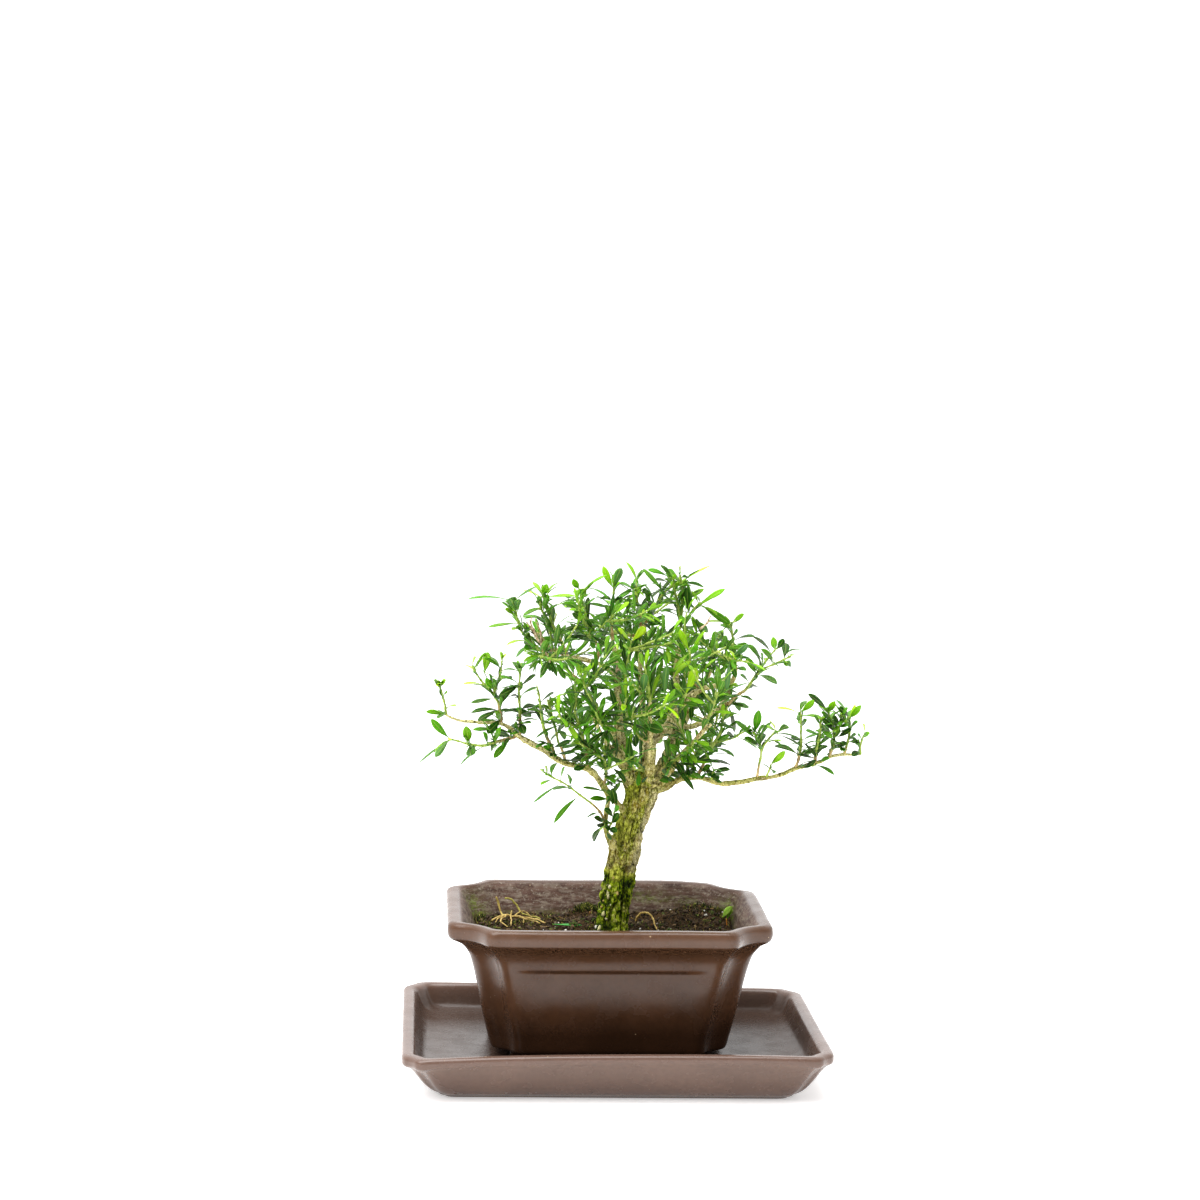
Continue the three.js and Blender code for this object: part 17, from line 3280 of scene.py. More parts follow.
            ([-25.2, 37.1, 193], [-23.9, 42.2, 199], [-0.55, -0.57, 0.61], 2.3, 0.09, "g", [-25.4, 36.5, 192.3]),
            ([-30.8, 27.5, 213.2], [-34.9, 23.3, 217.1], [0.06, 0.64, 0.76], 1.7, 0.03, "g", [-30.2, 28.1, 212.7]),
            ([-15.4, 35.7, 183.9], [-17.7, 29, 190.7], [0.4, 0.58, 0.71], 2.3, 0.05, "g", [-15.2, 36.3, 183.2]),
            ([-15.5, 37, 183.1], [-21.2, 45.1, 183.8], [-0.04, -0.11, 0.99], 1.6, 0.09, "u", [-15, 36.3, 183.1]),
            ([-35, 35.7, 202], [-44.2, 37.1, 198], [-0.41, -0.21, 0.89], 2.6, 0.1, "p", [-34.1, 35.5, 202.3]),
            ([-31.3, 31.5, 205.6], [-28.4, 23.2, 209.1], [0.15, 0.43, 0.89], 1.7, 0.1, "g", [-31.6, 32.3, 205.3]),
            ([-32, 33.5, 202.5], [-30, 26.1, 204.5], [0.41, 0.34, 0.85], 2.5, 0.05, "d", [-32.3, 34.3, 202.3]),
            ([-32.5, 34.9, 199.8], [-33.8, 25, 199.4], [0.31, -0.08, 0.95], 2.4, 0.08, "y", [-32.4, 35.8, 199.8]),
            ([-16.7, 35.8, 183.6], [-24.5, 28, 176.9], [-0.45, -0.28, 0.85], 2.1, 0.11, "u", [-16.2, 36.4, 184.1]),
            ([-27.4, 35.5, 194.5], [-28.3, 27.1, 197.6], [-0.61, 0.33, 0.72], 2.3, 0.11, "u", [-27.3, 36.4, 194.2]),
            ([-30.9, 29.5, 208.6], [-30, 22.1, 210.1], [-0.98, -0.08, 0.21], 2, 0.12, "y", [-31, 30.4, 208.4]),
           ]),
    "b2": ("shoot_42",
           [[[-3.6, 26.9, 164], [3.7, 30.2, 164.6], [10.5, 34.2, 166], [17.1, 38, 168.6], [23.7, 41.6, 171.3]],
            [[16, 37.4, 168.1], [17.5, 36.1, 172.6], [19.1, 34.8, 177], [20.9, 33.4, 181.4], [22.8, 32.4, 185.8]],
            [[7.1, 32.2, 165.2], [7, 36.8, 167.9], [7.2, 40.9, 171.2], [7.1, 44.7, 174.9], [7.3, 48.1, 179]],
            [[0.1, 28.5, 164.2], [4.8, 25.1, 164.1], [9.5, 21.7, 164.9], [14.3, 18.5, 166], [19.3, 15.8, 167.8]],
            [[19.3, 39.2, 169.5], [18.9, 43.4, 171.4], [18.9, 47.4, 173.7], [18.3, 51, 176.5], [17.8, 54.6, 179.4]]],
           [
            ([23.7, 41.6, 171.3], [36.7, 47.1, 169.6], [0.13, 0.02, 0.99], 2.9, 0.09, "g", [23.7, 41.6, 171.3]),
            ([19.6, 39.4, 169.6], [28.6, 38, 172.7], [-0.31, 0.14, 0.94], 2.2, 0.01, "y", [19.6, 39.4, 169.6]),
            ([19.6, 39.4, 169.6], [22.9, 49.8, 173.3], [0.2, -0.38, 0.9], 2.3, 0.03, "y", [19.6, 39.4, 169.6]),
            ([14.6, 36.6, 167.6], [25.7, 42.1, 164.6], [0.08, 0.34, 0.94], 2.9, 0.02, "d", [14.6, 36.6, 167.6]),
            ([14.6, 36.6, 167.6], [21.7, 40.6, 179.6], [0.74, 0.38, -0.56], 2.8, 0.05, "d", [14.6, 36.6, 167.6]),
            ([10.5, 34.2, 166], [14.4, 48.6, 168.1], [0.84, -0.29, 0.45], 3.1, 0.08, "d", [10.5, 34.2, 166]),
            ([10.5, 34.2, 166], [23.8, 29.2, 171.1], [-0.04, 0.66, 0.75], 2.9, 0.07, "d", [10.5, 34.2, 166]),
            ([6.3, 31.7, 165], [15.3, 38.4, 176.1], [0.72, -0.68, -0.17], 3, 0.07, "d", [6.3, 31.7, 165]),
            ([6.3, 31.7, 165], [15.9, 37.2, 154.6], [0.52, 0.45, 0.72], 2.8, 0.03, "d", [6.3, 31.7, 165]),
            ([1, 28.9, 164.3], [12, 24.3, 168.1], [0.14, 0.8, 0.58], 2.9, 0.06, "d", [1, 28.9, 164.3]),
            ([1, 28.9, 164.3], [8.6, 42.3, 167.7], [0.58, -0.5, 0.64], 3, 0.02, "d", [1, 28.9, 164.3]),
            ([22.8, 32.4, 185.8], [23.7, 29.3, 196.1], [-0.23, 0.93, 0.3], 2.2, 0.08, "y", [22.8, 32.4, 185.8]),
            ([20.9, 33.4, 181.4], [23.4, 38, 193.2], [-0.33, -0.85, 0.4], 2.7, 0.07, "g", [20.9, 33.4, 181.4]),
            ([20.9, 33.4, 181.4], [23.7, 20, 187.6], [0.04, 0.43, 0.9], 2.7, 0.03, "g", [20.9, 33.4, 181.4]),
            ([18.9, 34.9, 176.5], [27.9, 39.6, 183.9], [-0.44, -0.42, 0.79], 2.9, 0.06, "d", [18.9, 34.9, 176.5]),
            ([18.9, 34.9, 176.5], [15.5, 26.5, 186.6], [0.3, 0.68, 0.67], 2.8, 0.08, "d", [18.9, 34.9, 176.5]),
            ([17.1, 36.4, 171.5], [18.4, 46.5, 181.1], [0.22, -0.69, 0.7], 2.6, 0.01, "g", [17.1, 36.4, 171.5]),
            ([17.1, 36.4, 171.5], [24.6, 28.7, 175.2], [-0.17, 0.28, 0.94], 2.7, 0.01, "g", [17.1, 36.4, 171.5]),
            ([7.3, 48.1, 179], [4.8, 53.4, 187.5], [0.41, -0.71, 0.57], 2.5, 0.1, "y", [7.3, 48.1, 179]),
            ([7.3, 48.1, 179], [11.8, 53.7, 185.6], [-0.63, -0.33, 0.71], 2.3, 0.09, "y", [7.3, 48.1, 179]),
            ([7.2, 40.4, 170.8], [-1, 47.2, 179.4], [0.56, -0.31, 0.77], 2.9, 0.04, "g", [7.2, 40.4, 170.8]),
            ([7.1, 36.2, 167.5], [4.3, 49.2, 165.9], [0.06, 0.13, 0.99], 3.2, 0.02, "d", [7.1, 36.2, 167.5]),
            ([7.1, 36.2, 167.5], [6.7, 37.3, 180.4], [0.19, 0.98, -0.08], 3, 0.07, "d", [7.1, 36.2, 167.5]),
            ([19.3, 15.8, 167.8], [26.8, 13, 175.6], [-0.67, 0.19, 0.72], 2.7, 0.05, "g", [19.3, 15.8, 167.8]),
            ([19.3, 15.8, 167.8], [31.4, 7.5, 169], [-0.06, 0.06, 1], 2.9, 0.04, "g", [19.3, 15.8, 167.8]),
            ([14.9, 18.1, 166.2], [14.2, 4.7, 162.9], [0.18, -0.25, 0.95], 3.2, 0.02, "d", [14.9, 18.1, 166.2]),
            ([14.9, 18.1, 166.2], [27.9, 23.7, 172.3], [0.48, -0.83, -0.27], 2.9, 0.02, "d", [14.9, 18.1, 166.2]),
            ([10.1, 21.3, 165], [13.3, 13.6, 154.8], [0.54, -0.58, 0.61], 2.7, 0.09, "g", [10.1, 21.3, 165]),
            ([6, 24.2, 164.3], [16.8, 29.5, 165.3], [-0.03, -0.13, 0.99], 2.8, 0.08, "d", [6, 24.2, 164.3]),
            ([6, 24.2, 164.3], [5.7, 8.6, 161.6], [0.84, -0.11, 0.53], 2.9, 0.03, "d", [6, 24.2, 164.3]),
            ([17.8, 54.6, 179.4], [17.4, 62.9, 181.9], [-0.06, -0.29, 0.95], 2.2, 0.06, "y", [17.8, 54.6, 179.4]),
            ([18.5, 49.7, 175.4], [7.9, 56.9, 183.2], [0.5, -0.19, 0.85], 2.7, 0.07, "g", [18.5, 49.7, 175.4]),
            ([18.5, 49.7, 175.4], [29.8, 57.4, 175.9], [-0.28, 0.36, 0.89], 2.9, 0.08, "g", [18.5, 49.7, 175.4]),
            ([18.9, 45.4, 172.5], [22.3, 51.7, 185.2], [-0.1, 0.9, -0.42], 2.9, 0.03, "d", [18.9, 45.4, 172.5]),
            ([18.9, 45.4, 172.5], [21, 59.7, 172.2], [0.15, 0, 0.99], 2.8, 0.07, "d", [18.9, 45.4, 172.5]),
            ([19.3, 50.2, 176.1], [30.1, 52.1, 180.5], [0.16, -0.99, 0.03], 1.8, 0.1, "d", [18.4, 50.1, 175.7]),
            ([6.5, 45.4, 176.1], [0.1, 46.6, 181.3], [0.61, -0.12, 0.78], 2.3, 0.04, "y", [7.1, 45.3, 175.5]),
            ([4.7, 31.5, 164.5], [7.5, 40.1, 161.3], [0.9, -0.14, 0.42], 2.5, 0.09, "d", [4.5, 30.7, 164.7]),
            ([17.9, 35.8, 172.4], [24, 31.6, 176.4], [-0.01, 0.69, 0.73], 2.3, 0.05, "d", [17.2, 36.2, 172]),
            ([3.1, 30.5, 164.2], [7.7, 38.9, 160.9], [0.4, 0.14, 0.91], 3, 0.07, "d", [2.7, 29.8, 164.5]),
            ([4.2, 25.9, 163.5], [10.8, 25.2, 156.7], [0.62, -0.44, 0.65], 2.6, 0.11, "d", [3.6, 26, 164.2]),
            ([17.3, 52.1, 177.5], [7, 53, 180.2], [0.22, -0.25, 0.94], 2.6, 0.08, "y", [18.1, 52.1, 177.3]),
            ([22.5, 33.4, 185], [24.5, 39.5, 188.7], [0.49, -0.56, 0.67], 2, 0.04, "g", [22.3, 32.7, 184.6]),
            ([11.3, 35.4, 166.7], [12, 43, 170.6], [0.04, -0.45, 0.89], 2.2, 0.07, "d", [11.2, 34.6, 166.3]),
            ([7, 39.2, 169.1], [6.1, 46.3, 169], [-0.04, 0.01, 1], 1.6, 0.07, "d", [7.1, 38.3, 169.1]),
            ([18.8, 16.7, 167.1], [25.5, 17.3, 166.2], [0.12, 0.2, 0.97], 1.7, 0.11, "g", [17.9, 16.6, 167.3]),
            ([18.8, 35, 174.8], [24, 30.4, 178.3], [0.62, 0.78, 0.1], 1.7, 0.1, "d", [18.1, 35.5, 174.4]),
            ([16.5, 16.8, 166.6], [21.6, 8.9, 166.3], [0.04, -0.01, 1], 1.8, 0.06, "g", [16, 17.6, 166.6]),
            ([6.7, 35.5, 167.9], [3.8, 36.1, 174.9], [-0.32, -0.94, -0.06], 1.7, 0.06, "g", [7.1, 35.5, 167.1]),
            ([7.8, 42.1, 171.6], [13.3, 47.5, 169], [0.47, -0.07, 0.88], 2.3, 0.11, "g", [7.2, 41.5, 171.9]),
            ([6.5, 44, 174.3], [0.7, 47.5, 179], [0.34, -0.5, 0.79], 2.5, 0.08, "d", [7.1, 43.6, 173.8]),
            ([19.6, 45.2, 172.3], [28.5, 53.2, 174.5], [0.21, -0.47, 0.86], 2.3, 0.04, "g", [18.9, 44.6, 172.1]),
            ([5.8, 23.4, 164.2], [4.2, 15, 163.3], [0.18, -0.14, 0.97], 2.6, 0.04, "g", [5.9, 24.3, 164.3]),
            ([0.1, 29.4, 164.7], [0.3, 36.2, 168], [0.32, -0.42, 0.85], 1.5, 0.09, "d", [0.1, 28.6, 164.3]),
            ([-2.4, 28.2, 163.8], [0, 35.7, 161.2], [0.77, -0.03, 0.63], 2.2, 0.1, "d", [-2.6, 27.4, 164.1]),
            ([1, 26.8, 164.2], [-1.3, 20.6, 164.4], [-0.66, 0.27, 0.7], 1.3, 0.09, "d", [1.3, 27.6, 164.2]),
            ([6.6, 47.5, 177.7], [-0.9, 53.5, 178.7], [-0.11, -0.3, 0.95], 2.7, 0.03, "g", [7.2, 47, 177.6]),
            ([6.4, 45.7, 175.4], [-2.6, 51.5, 174.4], [-0.05, 0.1, 0.99], 2.5, 0.04, "d", [7.1, 45.3, 175.5]),
            ([12.2, 19.6, 166.4], [12.3, 16.4, 174.4], [0.2, 0.91, 0.36], 1.7, 0.05, "g", [12.2, 19.9, 165.5]),
            ([3.1, 30, 163.7], [6.4, 32.4, 157.3], [0.79, -0.59, 0.2], 1.4, 0.05, "d", [2.7, 29.8, 164.5]),
            ([21.2, 32.6, 181.6], [23.7, 24.8, 184.9], [0.75, 0.45, 0.5], 2.6, 0.1, "g", [20.9, 33.4, 181.3]),
            ([8.2, 23, 165], [18.9, 20.2, 170.7], [-0.12, 0.79, 0.6], 2.9, 0.06, "g", [7.5, 23.2, 164.6]),
            ([19.6, 41.5, 169.9], [26.5, 53, 166], [0.37, 0.1, 0.93], 2, 0.08, "u", [19.2, 40.8, 170.2]),
            ([0.2, 29.3, 163.8], [2.3, 40.6, 155.9], [0.13, 0.55, 0.83], 2.3, 0.09, "d", [0.1, 28.6, 164.3]),
            ([-2.3, 28.2, 164], [1.5, 39.3, 162.7], [-0.15, 0.16, 0.98], 2.8, 0.11, "d", [-2.6, 27.4, 164.1]),
            ([4.5, 31.5, 165.1], [5.3, 42, 170], [0.27, -0.42, 0.87], 2.7, 0.05, "d", [4.5, 30.7, 164.7]),
            ([7.8, 22.7, 163.9], [10.4, 18.9, 158.9], [0.92, 0.19, 0.34], 2, 0.11, "d", [7.5, 23.2, 164.6]),
            ([6.3, 41.5, 172.1], [-3.7, 40.6, 175.4], [0.25, -0.79, 0.55], 2.6, 0.11, "d", [7.2, 41.5, 171.9]),
            ([17.9, 54.1, 178.1], [16.8, 65.5, 176.5], [0.66, 0.17, 0.74], 2.8, 0.05, "b", [18, 53.2, 178.2]),
            ([17.7, 50.6, 175.7], [10.5, 55.3, 175.4], [0.53, 0.82, 0.2], 2, 0.09, "g", [18.4, 50.1, 175.7]),
            ([19.3, 41.5, 169.7], [21, 52.3, 162.1], [-0.65, 0.5, 0.57], 2.1, 0.07, "d", [19.2, 40.8, 170.2]),
            ([20.7, 33.7, 179.6], [29.2, 29.6, 184.2], [-0.02, 0.73, 0.68], 2, 0.1, "g", [20, 34.1, 179.2]),
            ([19.5, 35.5, 176.7], [24.3, 40.6, 179.5], [0.58, -0.75, 0.32], 1.6, 0.07, "g", [18.9, 34.9, 176.4]),
            ([14, 18.3, 166.8], [12.9, 14.2, 176.9], [0.65, 0.68, 0.34], 1.8, 0.06, "u", [14.1, 18.6, 165.9]),
            ([6.7, 47.8, 179], [-0.3, 50.7, 187], [0.58, 0.79, 0.21], 2.7, 0.04, "g", [7.3, 47.5, 178.3]),
            ([12.6, 19.2, 165.9], [16.1, 12.2, 169.4], [-0.37, 0.26, 0.89], 2.3, 0.08, "y", [12.2, 19.9, 165.5]),
            ([-0.3, 27.5, 164.1], [2.7, 22.9, 163.7], [0.72, 0.41, 0.56], 0.9, 0.08, "d", [-0.7, 28.2, 164.2]),
            ([6.7, 42, 172], [1.9, 48.1, 174.9], [-0.33, -0.61, 0.72], 1.7, 0.05, "g", [7.2, 41.4, 171.7]),
            ([1.4, 27, 163.8], [3, 21.9, 160.8], [0.28, -0.41, 0.87], 1.5, 0.08, "g", [1.2, 27.7, 164.2]),
            ([16.1, 36.7, 169.9], [14.6, 34.1, 174.5], [0.43, 0.72, 0.54], 1.2, 0.1, "g", [16.3, 37.1, 169.1]),
            ([2.7, 28.9, 164.4], [7.2, 24.9, 164.3], [-0.15, -0.21, 0.97], 1.5, 0.04, "g", [2, 29.5, 164.4]),
            ([19.2, 15.6, 167.2], [23.1, 11.8, 165.5], [0.55, 0.2, 0.81], 1.7, 0.12, "y", [18.6, 16.2, 167.5]),
            ([0.8, 29.6, 164], [4.7, 40.5, 159.7], [0.34, 0.23, 0.91], 2.3, 0.09, "g", [0.5, 28.8, 164.3]),
            ([17.7, 54.9, 178.7], [16.8, 60.5, 176.9], [0.78, 0.3, 0.55], 1.2, 0.1, "b", [17.9, 54.1, 178.9]),
            ([20.2, 33.3, 179.3], [23.1, 24.8, 182.1], [-0.4, 0.16, 0.9], 2.5, 0.12, "u", [19.9, 34.1, 179]),
            ([0.5, 29.5, 163.8], [0.7, 37.9, 157], [-0.98, 0.15, 0.16], 2.5, 0.11, "u", [0.5, 28.8, 164.3]),
            ([4.7, 30.2, 164.4], [10, 29.7, 162.9], [0.22, -0.33, 0.92], 1.3, 0.07, "g", [3.8, 30.3, 164.6]),
            ([21.2, 32.7, 182.8], [21.2, 26, 191.4], [-0.96, 0.23, 0.18], 1.9, 0.12, "g", [21.2, 33.2, 182.1]),
            ([12.9, 20.5, 165.6], [22.6, 28.5, 166.2], [0.08, -0.17, 0.98], 2, 0.12, "g", [12.2, 19.9, 165.5]),
            ([15.4, 17, 166.8], [14.1, 11.8, 169.2], [0.42, 0.29, 0.86], 1.5, 0.11, "y", [15.6, 17.8, 166.5]),
            ([17.7, 37.9, 169.1], [23.4, 37.8, 173.5], [-0.44, -0.71, 0.55], 1.7, 0.07, "g", [17, 37.9, 168.5]),
            ([19.4, 16, 167.3], [25.1, 14.4, 165.7], [0.36, 0.75, 0.56], 1.9, 0.06, "g", [18.6, 16.2, 167.5]),
            ([6.4, 37.1, 168.9], [2.4, 36.8, 173.2], [0.6, 0.54, 0.59], 1.3, 0.05, "d", [7.1, 37.2, 168.2]),
            ([7, 22.6, 164.5], [6.5, 17, 164.7], [0.76, -0.04, 0.65], 1.6, 0.1, "g", [7.1, 23.5, 164.5]),
            ([6.5, 44.1, 174.9], [2.6, 44.1, 179.1], [0.57, 0.63, 0.53], 1.7, 0.08, "y", [7.1, 44.1, 174.3]),
            ([11.3, 35.6, 166.6], [9.9, 40.9, 167.6], [0.07, -0.17, 0.98], 1.3, 0.06, "g", [11.5, 34.8, 166.4]),
            ([7.5, 47.1, 176.8], [9.2, 53, 177.5], [0.23, -0.18, 0.96], 1.9, 0.08, "y", [7.2, 46.2, 176.7]),
            ([1.3, 26.9, 163.8], [1.9, 21.5, 160.8], [0.17, -0.45, 0.88], 1.5, 0.09, "u", [1.2, 27.7, 164.2]),
            ([2.6, 25.9, 163.8], [4.1, 14.3, 158.4], [0.77, -0.19, 0.61], 2.1, 0.07, "g", [2.5, 26.8, 164.2]),
            ([17.4, 16, 167.1], [18.6, 7.2, 167.8], [-0.93, -0.09, 0.36], 2.5, 0.08, "y", [17.3, 16.9, 167.1]),
            ([-2.4, 28.1, 164.1], [1, 35.7, 164.7], [-0.23, 0.03, 0.97], 2.4, 0.1, "d", [-2.8, 27.3, 164]),
            ([7.6, 43.3, 172.6], [10.5, 48.2, 171.2], [0.73, -0.25, 0.63], 1.1, 0.05, "g", [7.1, 42.6, 172.9]),
            ([6.5, 46.4, 177.2], [-2.1, 48.4, 182.4], [0.44, -0.33, 0.84], 2.5, 0.12, "y", [7.2, 46.2, 176.7]),
           ]),
    "b3": ("shoot_43",
           [[[48, 39.5, 188.4], [43.2, 34.7, 183.2], [38.7, 29.1, 178.5], [34, 23.5, 174.1], [28.3, 18.7, 169.8]],
            [[36.4, 26.2, 176.3], [34.2, 27.4, 171.4], [31.6, 28.8, 166.7], [28.7, 30.6, 162.3], [25.4, 31.8, 158]],
            [[35.3, 26.8, 173.8], [38.3, 28.5, 170.4], [41.9, 30.6, 168], [45.9, 32.9, 166.5], [50, 35.4, 165.9]]],
           [
            ([28.3, 18.7, 169.8], [23.1, 11.4, 168.1], [-0.29, 0.41, -0.86], 2.4, 0.05, "y", [28.3, 18.7, 169.8]),
            ([28.3, 18.7, 169.8], [19.3, 19.8, 163.8], [-0.56, -0.1, 0.82], 2.2, 0.09, "y", [28.3, 18.7, 169.8]),
            ([31.9, 21.7, 172.5], [22.6, 13.1, 173.8], [-0.03, 0.18, 0.98], 3.1, 0.07, "d", [31.9, 21.7, 172.5]),
            ([31.9, 21.7, 172.5], [35.7, 16.9, 158.8], [0.5, -0.77, 0.4], 2.7, 0.1, "d", [31.9, 21.7, 172.5]),
            ([35.2, 24.8, 175.2], [23.4, 23.5, 167.7], [-0.5, -0.26, 0.83], 2.6, 0.02, "g", [35.2, 24.8, 175.2]),
            ([35.2, 24.8, 175.2], [38, 13, 175.3], [-0.87, -0.2, 0.46], 2.9, 0.09, "g", [35.2, 24.8, 175.2]),
            ([38.1, 28.4, 178], [38.2, 24.2, 166.7], [-0.42, -0.85, 0.31], 2.9, 0.06, "d", [38.1, 28.4, 178]),
            ([38.1, 28.4, 178], [25.4, 22.5, 183.1], [0.52, -0.72, 0.46], 3.1, 0.08, "d", [38.1, 28.4, 178]),
            ([41.5, 32.6, 181.4], [46.8, 21.3, 177.3], [-0.62, -0.51, 0.6], 3.2, 0.09, "d", [41.5, 32.6, 181.4]),
            ([41.5, 32.6, 181.4], [32.1, 37.7, 174.5], [-0.65, -0.2, 0.73], 2.9, 0.09, "d", [41.5, 32.6, 181.4]),
            ([44.9, 36.5, 185.1], [32.1, 35.2, 187.3], [0.19, -0.28, 0.94], 2.7, 0.1, "u", [44.9, 36.5, 185.1]),
            ([44.9, 36.5, 185.1], [49.8, 38, 172.8], [0.73, -0.65, 0.21], 3.1, 0.05, "u", [44.9, 36.5, 185.1]),
            ([25.4, 31.8, 158], [19.3, 30.3, 151.9], [-0.54, 0.77, 0.34], 2.4, 0.09, "y", [25.4, 31.8, 158]),
            ([25.4, 31.8, 158], [22.6, 39.2, 153.1], [0, -0.55, -0.84], 2.5, 0.02, "y", [25.4, 31.8, 158]),
            ([28.3, 30.8, 161.8], [18.3, 34.6, 165.6], [0.31, -0.13, 0.94], 2.3, 0.06, "y", [28.3, 30.8, 161.8]),
            ([28.3, 30.8, 161.8], [33.2, 30, 154.4], [-0.78, 0.32, -0.54], 2.4, 0.09, "y", [28.3, 30.8, 161.8]),
            ([31.3, 29, 166.1], [31.2, 42.7, 166.1], [-0.61, 0, 0.79], 2.8, 0.08, "d", [31.3, 29, 166.1]),
            ([31.3, 29, 166.1], [21, 24.5, 158.8], [0.49, 0.25, -0.84], 3, 0.02, "d", [31.3, 29, 166.1]),
            ([33.9, 27.5, 170.8], [37.6, 27.8, 159.2], [-0.95, -0.08, -0.3], 2.9, 0.06, "g", [33.9, 27.5, 170.8]),
            ([33.9, 27.5, 170.8], [23.1, 32.5, 170.5], [0.03, 0.03, -1], 2.7, 0.08, "g", [33.9, 27.5, 170.8]),
            ([50, 35.4, 165.9], [56, 40.8, 159.3], [0.64, 0.19, 0.74], 2.5, 0.02, "y", [50, 35.4, 165.9]),
            ([50, 35.4, 165.9], [58.5, 39.8, 168.5], [0.23, 0.11, -0.97], 2.2, 0.08, "y", [50, 35.4, 165.9]),
            ([44.9, 32.3, 166.8], [46.2, 46.3, 165.3], [0.43, -0.13, -0.89], 2.8, 0.06, "g", [44.9, 32.3, 166.8]),
            ([44.9, 32.3, 166.8], [53, 24, 160.7], [0.78, 0.38, 0.5], 2.6, 0.04, "g", [44.9, 32.3, 166.8]),
            ([40, 29.5, 169.1], [51, 32.3, 173.7], [0.36, 0.11, -0.93], 2.8, 0.05, "g", [40, 29.5, 169.1]),
            ([40, 29.5, 169.1], [36.6, 30.1, 157.4], [-0.92, 0.28, 0.29], 2.8, 0.05, "g", [40, 29.5, 169.1]),
            ([31.1, 29.8, 164.6], [36.5, 35, 154.8], [0.74, 0.33, 0.58], 2, 0.06, "g", [30.7, 29.4, 165.4]),
            ([46, 33.8, 166.8], [45.2, 44.2, 171.6], [0.46, -0.34, 0.82], 2, 0.08, "d", [46, 32.9, 166.5]),
            ([33.1, 28.1, 170.2], [22.9, 34.8, 164.3], [-0.24, 0.4, 0.88], 2.9, 0.06, "g", [33.7, 27.6, 170.6]),
            ([31.4, 29.1, 167.6], [25, 34.3, 167.7], [-0.1, -0.16, 0.98], 1.6, 0.1, "y", [32.1, 28.6, 167.5]),
            ([34.1, 27.6, 172.9], [27.3, 32.4, 173.7], [0.17, 0.07, 0.98], 1.6, 0.07, "d", [34.8, 27, 172.9]),
            ([27.9, 19, 170.5], [19, 17.9, 174.6], [0.42, -0.42, 0.8], 2.4, 0.03, "b", [28.7, 19.1, 170.1]),
            ([40.1, 29.5, 179.3], [47, 18.3, 176.1], [0.55, 0.09, 0.83], 2.6, 0.08, "g", [39.7, 30.3, 179.6]),
            ([42.8, 33.6, 182.2], [42.6, 25.3, 174.1], [0.74, -0.48, 0.47], 2.5, 0.1, "d", [42.8, 34.2, 182.8]),
            ([36.5, 28.4, 172.2], [36.1, 36.6, 170.9], [0.68, 0.15, 0.72], 2.5, 0.06, "g", [36.6, 27.5, 172.4]),
            ([28.6, 30.6, 163.4], [18.8, 35.2, 164.3], [0.36, 0.63, 0.69], 2.4, 0.07, "d", [29.4, 30.2, 163.3]),
            ([45.1, 37.4, 185.7], [35.7, 37.7, 180.2], [-0.22, -0.92, 0.33], 1.8, 0.03, "g", [45.9, 37.4, 186.1]),
            ([30.3, 21.4, 171.4], [20.7, 26.3, 165.1], [-0.6, -0.72, 0.36], 2.8, 0.06, "y", [31, 21, 171.9]),
            ([34.8, 26.7, 174.8], [23.2, 28.5, 176.3], [0.1, -0.14, 0.99], 2.1, 0.05, "g", [35.7, 26.6, 174.7]),
            ([35.3, 25.8, 175.1], [31.6, 27.2, 169.3], [-0.51, 0.71, 0.49], 1.7, 0.1, "g", [35.8, 25.7, 175.8]),
            ([43, 34.2, 182], [45.3, 33.3, 171.5], [0.96, 0.19, 0.2], 2.4, 0.1, "g", [42.8, 34.2, 182.8]),
            ([31.3, 22, 173], [18.1, 21.5, 177.5], [0.31, -0.35, 0.89], 2.7, 0.08, "g", [32.2, 22, 172.8]),
            ([36.9, 26.2, 176.7], [35.7, 17.7, 174.1], [-0.56, -0.16, 0.81], 1.9, 0.03, "y", [37, 27.1, 177]),
            ([43, 30.5, 167.3], [53.2, 25.8, 159.1], [0.59, -0.12, 0.8], 2.1, 0.04, "d", [42.3, 30.8, 167.8]),
            ([32, 21.2, 172.8], [29.6, 14.2, 172.3], [-0.94, 0.31, 0.15], 2.4, 0.1, "p", [32.3, 22.1, 172.9]),
            ([44.1, 35.2, 184.6], [40.2, 26.9, 184.7], [-0.05, 0.03, 1], 2.1, 0.12, "d", [44.5, 36, 184.6]),
            ([35.5, 26.8, 172.4], [30.6, 23.2, 162], [-0.54, -0.68, 0.49], 2.1, 0.04, "g", [35.8, 27.1, 173.2]),
            ([26.9, 31, 158.9], [28.3, 27.2, 149.6], [0.92, -0.28, 0.26], 2.3, 0.12, "y", [26.7, 31.3, 159.7]),
            ([30.2, 30.6, 163.8], [31.5, 36.4, 160.3], [0.67, 0.26, 0.69], 1.7, 0.09, "d", [30, 29.8, 164.2]),
            ([28.2, 30.9, 160.7], [28.8, 32, 147.8], [0.96, 0.26, 0.07], 2.8, 0.07, "g", [28.1, 30.8, 161.6]),
            ([34.8, 27.9, 172.6], [35.1, 34.2, 171.7], [0.05, 0.15, 0.99], 1.4, 0.11, "g", [34.8, 27.1, 172.8]),
            ([30.9, 20.6, 171.1], [29.6, 15.5, 159.6], [-0.99, 0.13, 0.05], 1.7, 0.12, "y", [31, 21, 171.9]),
            ([29.1, 30.4, 161.9], [29.7, 30.3, 155.8], [0.9, -0.42, 0.09], 1.2, 0.04, "g", [29.1, 30.4, 162.8]),
            ([30.6, 30.4, 164.9], [32.1, 41.2, 162.4], [0.67, 0.08, 0.73], 2.4, 0.05, "g", [30.5, 29.5, 165.1]),
